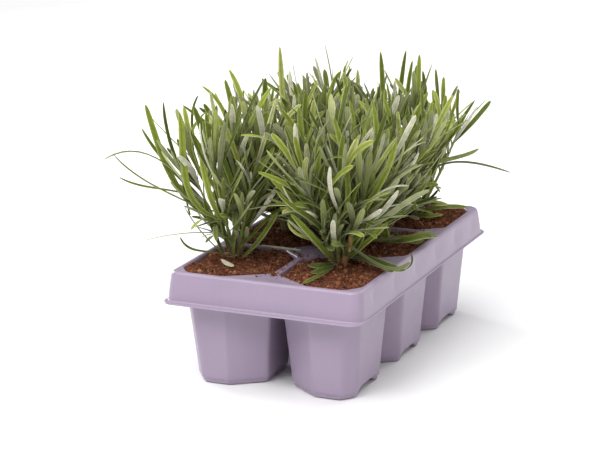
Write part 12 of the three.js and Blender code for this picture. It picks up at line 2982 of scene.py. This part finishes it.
  [381,649,1121,370,585,1200,393,523,1279,397,446,1347,471,50,62,61,-5,0],
  [385,653,1123,443,654,1227,501,653,1333,539,656,1448,344,-59,-72,36,-29,0],
  [382,628,1175,277,576,1322,151,494,1438,-35,466,1467,478,82,-29,50,-17,0],
  [388,628,1174,451,573,1307,484,557,1461,505,560,1618,506,-91,-20,37,9,0],
  [387,603,1226,390,507,1320,388,461,1448,398,416,1576,316,3,68,73,-8,0],
  [392,585,1280,475,508,1401,537,464,1549,661,408,1645,402,-78,10,62,27,0],
  [388,565,1335,346,518,1409,312,482,1495,262,435,1566,437,78,19,60,-23,0],
  [391,569,1336,411,557,1511,452,541,1682,497,530,1852,351,-29,-96,-2,-7,0],
  [389,549,1392,336,514,1543,280,478,1693,266,489,1857,318,92,-28,28,0,0],
  [395,547,1391,433,483,1530,496,445,1672,557,341,1775,325,-82,38,43,17,0],
  [392,545,1416,391,547,1447,389,549,1479,388,549,1511,156,21,-98,7,0,0],
  [391,539,1414,384,518,1451,378,498,1487,373,479,1525,159,61,64,46,0,0],
  [396,541,1414,403,526,1458,409,512,1502,414,498,1546,176,-96,20,20,0,0],
  [390,543,1415,388,537,1441,386,532,1467,384,525,1492,180,85,-52,-5,0,0],
  [391,539,1414,384,514,1454,377,488,1494,372,465,1536,184,52,68,52,0,0],
  [396,543,1415,403,540,1441,410,536,1466,416,531,1492,221,-83,-54,15,0,0],
  [380,681,1054,373,639,1056,370,594,1063,364,549,1070,292,12,0,99,-13,0],
  [388,624,1184,431,611,1233,478,614,1284,540,612,1314,352,-73,-37,58,-22,0],
  [389,600,1237,399,565,1285,414,527,1331,444,493,1373,310,-46,63,62,16,0],
  [386,584,1283,365,562,1326,351,536,1370,316,496,1363,241,86,6,51,3,0],
  [392,586,1283,458,538,1458,495,508,1646,605,474,1802,506,-90,-34,27,-48,0],
  [393,569,1326,429,535,1384,468,502,1444,501,481,1512,284,-79,12,60,-5,0],
  [388,572,1327,376,568,1376,363,577,1426,338,593,1469,366,68,-72,17,-11,0],
 ]),
]
# ------------------------------------------------------------------ the plants
def bez(P, u):
    u = np.atleast_1d(u)[:, None]; P = np.asarray(P, float)
    return (1 - u) ** 3 * P[0] + 3 * (1 - u) ** 2 * u * P[1] + 3 * (1 - u) * u * u * P[2] + u ** 3 * P[3]
def dbez(P, u):
    u = np.atleast_1d(u)[:, None]; P = np.asarray(P, float)
    return 3 * (1 - u) ** 2 * (P[1] - P[0]) + 6 * (1 - u) * u * (P[2] - P[1]) + 3 * u * u * (P[3] - P[2])
XUP = np.array([-1, -.93, -.78, -.52, -.26, -.09, 0, .09, .26, .52, .78, .93, 1])
XLO = np.array([.9, .7, .42, .16, 0, -.16, -.42, -.7, -.9])
XUP2 = np.array([-1, -.86, -.5, -.12, 0, .12, .5, .86, 1])
XLO2 = np.array([.8, .3, 0, -.3, -.8])
def leaf(P, w, n, tw, rnd, main):
    """A narrow, blunt leaf with rolled-under edges, a groove above and a rib below."""
    ln = np.linalg.norm(np.diff(bez(P, np.linspace(0, 1, 10)), axis=0), axis=1).sum()
    if main: us = np.array([0, .04, .09, .15, .22, .3, .38, .46, .54, .62, .70, .78, .85, .905, .945, .972, .989, 1.0])
    else: us = np.array([0, .07, .16, .28, .41, .54, .67, .78, .87, .935, .975, 1.0])
    XU, XL = (XUP, XLO) if main else (XUP2, XLO2)
    c = bez(P, us); t = dbez(P, us); t /= np.linalg.norm(t, axis=1)[:, None] + 1e-12
    m = n - (t @ n)[:, None] * t; nm = np.linalg.norm(m, axis=1)[:, None]; m = m / np.maximum(nm, 1e-6)
    s = np.cross(t, m)
    a = np.radians(tw) * us
    up = m * np.cos(a)[:, None] + s * np.sin(a)[:, None]; sd = np.cross(t, up)
    wob = 1 + 0.035 * np.sin(us * 17 + rnd * 40) + .02 * np.sin(us * 41 + rnd * 90)
    hw = np.interp(us, [0, .06, .15, .3, .45, .6, .75, .86, .93, .97, .99, 1], [.30, .36, .56, .82, .95, 1.0, .99, .91, .74, .52, .31, .05]) * w / 2 * wob
    th = np.interp(us, [0, .1, .5, .9, 1], [.62, .42, .36, .28, .10])  # thickness in mm
    fold = np.interp(us, [0, .2, .6, 1], [.55, .30, .12, .05]) + .1 * (rnd - .5)
    roll = np.interp(us, [0, .15, .5, 1], [.15, .5, .62, .3])
    def up_z(x): # in half widths
        ax = np.abs(x)[None]
        k = np.clip((ax - .62) / .38, 0, 1)
        return fold[:, None] * ax ** 1.5 - roll[:, None] * .42 * k ** 2 - .11 * np.exp(-(ax / .10) ** 2)
    zu = up_z(XU) * hw[:, None]
    xl = XL
    zl = (up_z(xl) + .11 * np.exp(-(np.abs(xl)[None] / .10) ** 2)) * hw[:, None] - th[:, None] * (1 - .45 * np.abs(xl)[None] ** 3) - (.16 * np.exp(-(xl / .15) ** 2))[None] * hw[:, None]
    x = np.concatenate([XU, xl]); z = np.concatenate([zu, zl], 1)
    V = c[:, None] + sd[:, None] * (x[None, :, None] * hw[:, None, None]) + up[:, None] * z[..., None]
    K = len(x); M = len(us)
    faces = grid_faces(M, K, flip=True)
    side = np.r_[np.ones(len(XU)), np.zeros(len(xl))]; side[0] = side[len(XU) - 1] = .45
    at = np.stack([np.broadcast_to(x[None], (M, K)), np.broadcast_to(us[:, None], (M, K)), np.broadcast_to(side[None], (M, K))], -1)
    ends = [list(range(K)), list(range(M * K - 1, (M - 1) * K - 1, -1))]
    return V.reshape(-1, 3), faces, ends, at.reshape(-1, 3), K
def stem(P, r0, r1, nodes, rnd):
    us = np.linspace(0, 1, 34); c = bez(P, us); t = dbez(P, us); t /= np.linalg.norm(t, axis=1)[:, None]
    ref = np.array([math.cos(rnd * 6), math.sin(rnd * 6), 0.0]); e = np.cross(t, ref); e /= np.linalg.norm(e, axis=1)[:, None]; g = np.cross(t, e)
    n = 12; a = np.arange(n) * 2 * math.pi / n
    sq = 1 + .10 * np.cos(4 * a)           # four blunt corners
    swell = np.ones(len(us))
    for q in nodes: swell += .28 * np.exp(-((us - q) / .014) ** 2)
    r = (r0 + (r1 - r0) * us ** .8) * swell
    V = c[:, None] + (r[:, None] * sq[None])[..., None] * (np.cos(a)[None, :, None] * e[:, None] + np.sin(a)[None, :, None] * g[:, None])
    at = np.stack([np.broadcast_to(np.cos(4 * a)[None], (len(us), n)), np.broadcast_to(us[:, None], (len(us), n)), np.full((len(us), n), 2.0)], -1)
    return V.reshape(-1, 3), grid_faces(len(us), n), [list(range(n - 1, -1, -1)), list(range((len(us) - 1) * n, len(us) * n))], at.reshape(-1, 3), n
def fan(ring): return np.array([[ring[0], ring[i], ring[i + 1]] for i in range(1, len(ring) - 1)])

def leaf_material():
    m, nt, b = material("lavender_leaf_felt")
    tc = node(nt, "ShaderNodeTexCoord")
    lf = node(nt, "ShaderNodeAttribute"); lf.attribute_name = "leaf"
    tn = node(nt, "ShaderNodeAttribute"); tn.attribute_name = "tone"
    sep = node(nt, "ShaderNodeSeparateXYZ"); link(nt, lf, "Vector", sep, 0)
    across, along, side = (sep, 0), (sep, 1), (sep, 2)
    ax = maths(nt, "ABSOLUTE", across)
    n1 = node(nt, "ShaderNodeTexNoise", Scale=260.0, Detail=3.0, Roughness=0.6); link(nt, tc, "Object", n1, "Vector")
    n2 = node(nt, "ShaderNodeTexNoise", Scale=2400.0, Detail=2.0, Roughness=0.6); link(nt, tc, "Object", n2, "Vector")
    green = ramp(nt, (tn, 2), [(0.0, srgb(48, 60, 4)), (0.25, srgb(72, 86, 10)), (0.5, srgb(102, 116, 22)), (0.72, srgb(136, 148, 48)), (0.88, srgb(158, 164, 86)), (1.0, srgb(176, 178, 126))])
    # paler towards the base
    basef = maths(nt, "POWER", maths(nt, "SUBTRACT", 1.0, along, clamp=True), 3.0)
    top = mix_rgb(nt, (green, 0), srgb(140, 152, 76), maths(nt, "MULTIPLY", basef, 0.4))
    mott = ramp(nt, (n1, 0), [(0.3, grey(0.80)), (0.5, grey(1.0)), (0.72, grey(1.15))])
    top = mix_rgb(nt, top, (mott, 0), 0.85, "MULTIPLY")
    # painted shade along the groove and painted light on the two raised halves
    shade = ramp(nt, ax, [(0.0, grey(0.62)), (0.16, grey(0.74)), (0.5, grey(0.98)), (0.8, grey(1.16)), (1.0, grey(1.2))])
    top = mix_rgb(nt, top, (shade, 0), 0.9, "MULTIPLY")
    # felt: fine pale hairs over the green
    felt = ramp(nt, (n2, 0), [(0.5, grey(0.0)), (0.75, grey(1.0))])
    top = mix_rgb(nt, top, srgb(168, 172, 124), maths(nt, "MULTIPLY", (felt, 0), 0.22))
    # a pale line down the middle and pale rolled edges
    mid = maths(nt, "SUBTRACT", 1.0, maths(nt, "MULTIPLY", ax, 26.0), clamp=True)
    top = mix_rgb(nt, top, srgb(142, 156, 84), maths(nt, "MULTIPLY", mid, 0.45))
    edge = maths(nt, "MULTIPLY", maths(nt, "SUBTRACT", ax, 0.84, clamp=True), 5.0, clamp=True)
    top = mix_rgb(nt, top, srgb(222, 224, 190), maths(nt, "MULTIPLY", edge, 0.85))
    silver = ramp(nt, (n1, 0), [(0.3, srgb(196, 196, 168)), (0.55, srgb(224, 221, 200)), (0.75, srgb(238, 234, 218))])
    ribd = maths(nt, "SUBTRACT", 1.0, maths(nt, "MULTIPLY", ax, 5.0), clamp=True)
    under = mix_rgb(nt, (silver, 0), srgb(168, 176, 130), maths(nt, "MULTIPLY", ribd, 0.6))
    # the felt below is thick and silvery on some leaves, thin and grey-green on most
    sv = node(nt, "ShaderNodeAttribute"); sv.attribute_name = "silver"
    thin = mix_rgb(nt, (green, 0), srgb(158, 164, 104), 0.30)
    thin = mix_rgb(nt, thin, (mott, 0), 0.7, "MULTIPLY")
    under = mix_rgb(nt, thin, under, (sv, 2))
    # hollows beside the rib below are shaded, its rolled edges pale
    lee = ramp(nt, ax, [(0.0, grey(1.12)), (0.16, grey(1.0)), (0.26, grey(0.70)), (0.6, grey(0.86)), (0.9, grey(1.12)), (1.0, grey(1.2))])
    under = mix_rgb(nt, under, (lee, 0), 0.85, "MULTIPLY")
    leafc = mix_rgb(nt, under, top, maths(nt, "MINIMUM", side, 1.0))
    # painted shade: each leaf is darkened towards the stem and brightened towards its tip, standing in for the shade
    # deep inside the plant
    painted_depth_shade = ramp(nt, along, [(0.0, grey(0.66)), (0.3, grey(0.76)), (0.62, grey(1.0)), (1.0, grey(1.16))])
    leafc = mix_rgb(nt, leafc, (painted_depth_shade, 0), 0.9, "MULTIPLY")
    # withered leaves: straw, and past that rust brown
    dry = ramp(nt, maths(nt, "MULTIPLY", (tn, 2), 0.5), [(0.0, srgb(196, 184, 146)), (0.78, srgb(214, 204, 176)), (0.88, srgb(168, 128, 84)), (1.0, srgb(150, 104, 66))])
    dry = mix_rgb(nt, (dry, 0), (mott, 0), 0.9, "MULTIPLY")
    leafc = mix_rgb(nt, leafc, dry, maths(nt, "MULTIPLY", maths(nt, "SUBTRACT", (tn, 2), 1.1, clamp=True), 4.0, clamp=True))
    # stems: brown and woody low down, green and downy above
    sc = ramp(nt, along, [(0.0, srgb(112, 96, 58)), (0.06, srgb(122, 116, 66)), (0.16, srgb(128, 140, 70)), (1.0, srgb(140, 156, 82))])
    sc2 = mix_rgb(nt, (sc, 0), (mott, 0), 0.8, "MULTIPLY")
    isstem = maths(nt, "SUBTRACT", side, 1.0, clamp=True)
    allc = mix_rgb(nt, leafc, sc2, isstem)
    nt.links.new(allc[0].outputs[allc[1]], b.inputs["Base Color"])
    b.inputs["Roughness"].default_value = 0.62
    b.inputs["Specular IOR Level"].default_value = 0.24
    b.inputs["Sheen Weight"].default_value = 0.07
    b.inputs["Sheen Roughness"].default_value = 0.45
    b.inputs["Sheen Tint"].default_value = (0.92, 0.95, 0.84, 1)
    b.inputs["Subsurface Weight"].default_value = 0.0
    bump = node(nt, "ShaderNodeBump", Strength=0.35, Distance=0.00015)
    vein = maths(nt, "SINE", maths(nt, "ADD", maths(nt, "MULTIPLY", along, 90.0), maths(nt, "MULTIPLY", ax, -9.0)))
    h = maths(nt, "ADD", (n2, 0), maths(nt, "MULTIPLY", vein, 0.25))
    h = maths(nt, "ADD", h, maths(nt, "MULTIPLY", (n1, 0), 1.2))
    nt.links.new(h[0].outputs[0], bump.inputs["Height"]); nt.links.new(bump.outputs[0], b.inputs["Normal"])
    return m
leaf_mat = leaf_material()

def bark_material():
    m, nt, b = material("woody_crown_bark")
    tc = node(nt, "ShaderNodeTexCoord")
    mp = node(nt, "ShaderNodeMapping"); mp.inputs["Scale"].default_value = (700.0, 700.0, 140.0); link(nt, tc, "Object", mp, "Vector")
    n1 = node(nt, "ShaderNodeTexNoise", Scale=1.0, Detail=5.0, Roughness=0.65); link(nt, mp, 0, n1, "Vector")
    tn = node(nt, "ShaderNodeAttribute"); tn.attribute_name = "tone"
    bark = ramp(nt, (n1, 0), [(0.3, srgb(84, 60, 42)), (0.5, srgb(132, 104, 74)), (0.68, srgb(168, 142, 108)), (0.8, srgb(190, 170, 138))])
    dry = ramp(nt, (n1, 0), [(0.3, srgb(168, 158, 122)), (0.6, srgb(206, 198, 170)), (0.8, srgb(222, 216, 196))])
    ps = node(nt, "ShaderNodeSeparateXYZ"); link(nt, tc, "Object", ps, 0)
    rise = maths(nt, "MULTIPLY", maths(nt, "SUBTRACT", (ps, 2), 0.0855, clamp=True), 180.0, clamp=True)
    grown = mix_rgb(nt, (bark, 0), srgb(122, 124, 66), maths(nt, "MULTIPLY", rise, 0.6))
    c = mix_rgb(nt, grown, (dry, 0), (tn, 2))
    nt.links.new(c[0].outputs[c[1]], b.inputs["Base Color"])
    b.inputs["Roughness"].default_value = 0.8; b.inputs["Specular IOR Level"].default_value = 0.25
    bump = node(nt, "ShaderNodeBump", Strength=0.7, Distance=0.0005)
    nt.links.new(n1.outputs[0], bump.inputs["Height"]); nt.links.new(bump.outputs[0], b.inputs["Normal"])
    return m
bark_mat = bark_material()

lrng = np.random.default_rng(5)
bases = {}
for name, plant, st, leaves in SHOOTS:
    S = np.array(st, float).reshape(4, 3) / 10
    bases.setdefault(plant, []).append(S)
    V, F, AT, TN, SV = [], [], [], [], []
    off = 0
    def put(v, f, ends, at, tone, silver=0.0):
        global off
        V.append(v); F.append(f + off)
        for e in ends: F.append(fan(e) + off)
        AT.append(at); TN.append(np.full(len(v), tone)); SV.append(np.full(len(v), silver)); off += len(v)
    nodes = []
    for l in leaves:
        p0 = np.array(l[:3]) / 10
        u = np.linspace(0, 1, 40); k = np.linalg.norm(bez(S, u) - p0, axis=1).argmin(); nodes.append(u[k])
    rnd = lrng.random()
    v, f, ends, at, n = stem(S, 1.25, .62, nodes, rnd); put(v, f, ends, at, rnd)
    for l in leaves:
        P = np.array(l[:12], float).reshape(4, 3) / 10; w = l[12] / 100; nn = np.array(l[13:16], float) / 100; nn /= np.linalg.norm(nn)
        rr = lrng.random()
        # painted shade: leaves whose tips stay below 150 mm get a darker green, those reaching higher a lighter one
        tone = np.clip(lrng.beta(2.0, 2.3) + (.10 if P[3, 2] > 150 else -.04), 0, 1)
        silver = 1.0 if lrng.random() < .24 else lrng.uniform(0, .35)
        if len(l) > 18: tone, silver = l[18] / 100, l[19] / 100
        v, f, ends, at, K = leaf(P, w, nn, l[16], rr, l[17] == 1 or len(l) > 18); put(v, f, ends, at, tone, silver)
    o = make_object("leafy_" + name, np.concatenate(V), F, leaf_mat, attrs={"leaf": ("FLOAT_VECTOR", np.concatenate(AT)), "tone": ("FLOAT", np.concatenate(TN)), "silver": ("FLOAT", np.concatenate(SV))})
    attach(o, "root"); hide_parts(name)

def build_crown(plant, stems):
    cx, cy = CROWNS[plant]; V, F3, F4, TN = [], [], [], []; off = 0
    r = np.random.default_rng(100 + len(plant) + int(cx))
    def put(v, f, ends, tone):
        nonlocal off
        V.append(v); F4.append(f + off)
        for e in ends: F3.append(fan(e) + off)
        TN.append(np.full(len(v), tone)); off += len(v)
    # the stub, with a lumpy collar
    M, n = 34, 40; z = np.linspace(78.5, 91.6, M); a = np.arange(n) * 2 * math.pi / n
    rad = np.interp(z, [78.5, 82, 85.5, 88.5, 90.6, 91.6], [4.6, 4.2, 3.5, 3.5, 3.1, 1.2])
    p = np.stack([np.broadcast_to(np.cos(a)[None], (M, n)), np.broadcast_to(np.sin(a)[None], (M, n)), np.broadcast_to(z[:, None], (M, n))], -1)
    q = p.copy(); q[..., 0] += cx; q[..., 1] += cy
    nz = 1 + .22 * noise3(np.stack([p[..., 0] * 3 + cx, p[..., 1] * 3 + cy, p[..., 2] * .8], -1), .5, 41) + .10 * noise3(np.stack([p[..., 0] * 9, p[..., 1] * 9, p[..., 2]], -1), .6, 42) + .06 * np.cos(5 * a + cx)[None]
    v = np.stack([cx + p[..., 0] * rad[:, None] * nz, cy + p[..., 1] * rad[:, None] * nz, p[..., 2]], -1).reshape(-1, 3)
    put(v, grid_faces(M, n), [list(range(n - 1, -1, -1)), list(range((M - 1) * n, M * n))], 0.0)
    # a branch up to each stem
    for S in stems:
        b0 = S[0]; d = b0[:2] - np.array([cx, cy])
        P = np.array([[cx + d[0] * .35, cy + d[1] * .35, 82.0], [cx + d[0] * .9, cy + d[1] * .9, 86.5], [b0[0] - d[0] * .02, b0[1] - d[1] * .02, 89.8], bez(S, .045)[0]])
        us = np.linspace(0, 1, 22); c = bez(P, us); rr = np.interp(us, [0, .5, .85, 1], [1.7, 1.5, 1.42, 1.3]) * (1 + .10 * np.sin(us * 23 + cx))
        v, f, ends = tube(c, rr, 12)
        nrmv = v - np.repeat(c, 12, 0); v = v + nrmv * (.16 * noise3(v, .9, 44))[:, None]
        put(v, f, ends, 0.0)
    # shrivelled old leaves and torn bits round the foot
    for k in range(9):
        th = r.uniform(0, 2 * math.pi); dist = r.uniform(3.0, 10.5); ln = r.uniform(4, 11); w = r.uniform(.9, 2.0)
        x, y = cx + dist * math.cos(th), cy + dist * math.sin(th)
        hz = float(soil_height(np.array([x]), np.array([y]), np.array([.3]), cx, cy)[0]) + .7
        a2 = r.uniform(0, 2 * math.pi); us = np.linspace(0, 1, 9)
        d = np.array([math.cos(a2), math.sin(a2)])
        pts = np.stack([x + d[0] * ln * (us - .5), y + d[1] * ln * (us - .5), hz + .9 * np.sin(us * math.pi) * r.uniform(.2, 1.4) + (us - .5) * r.uniform(-1, 1)], 1)
        v, f, ends = tube(pts, np.interp(us, [0, .2, .6, 1], [.35, .8, 1, .2]) * w * .5, 8, squash=.3)
        v = v + .14 * noise3(v, 1.3, 47)[:, None]
        put(v, f, ends, r.uniform(.55, 1.0))
    o = make_object("woody_" + plant, np.concatenate(V), F4 + F3, bark_mat, attrs={"tone": ("FLOAT", np.concatenate(TN))})
    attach(o, "root"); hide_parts("crown_" + plant)
for plant, stems in bases.items(): build_crown(plant, stems)

# ------------------------------------------------------------------ floor
def build_floor():
    m, nt, b = material("pale_floor")
    b.inputs["Base Color"].default_value = (0.88, 0.88, 0.88, 1); b.inputs["Roughness"].default_value = 0.9
    b.inputs["Specular IOR Level"].default_value = 0.1
    # a level round floor that sweeps up far away, as a studio's backdrop does
    n = 72
    radii = [0, 900, 2500, 5000, 8000] + [8000 + 3200 * math.sin(a) for a in np.linspace(0.15, 1.5, 12)]
    height = [0] * 5 + [3200 * (1 - math.cos(a)) for a in np.linspace(0.15, 1.5, 12)]
    ang = np.arange(n) * 2 * np.pi / n
    v = [[0.0, 0.0, 0.0]] + [[r * math.cos(a), r * math.sin(a), h] for r, h in zip(radii[1:], height[1:]) for a in ang]
    rings = len(radii) - 1
    tri = [[0, 1 + i, 1 + (i + 1) % n] for i in range(n)]
    quads = [[1 + k * n + i, 1 + (k + 1) * n + i, 1 + (k + 1) * n + (i + 1) % n, 1 + k * n + (i + 1) % n] for k in range(rings - 1) for i in range(n)]
    o = make_object("floor", np.array(v), [np.array(tri), np.array(quads)], m, bounded=False)
    # the far sweep glows faintly, so it stays pale where the lights hardly reach it
    far = m.copy(); far.name = "pale_backdrop"
    fb = next(x for x in far.node_tree.nodes if x.type == "BSDF_PRINCIPLED")
    fb.inputs["Emission Color"].default_value = (0.96, 0.97, 1.0, 1); fb.inputs["Emission Strength"].default_value = 0.22
    fb.inputs["Base Color"].default_value = (0.7, 0.7, 0.7, 1)
    o.data.materials.append(far)
    for p in o.data.polygons:
        if math.hypot(p.center.x, p.center.y) > 5.0: p.material_index = 1
build_floor()
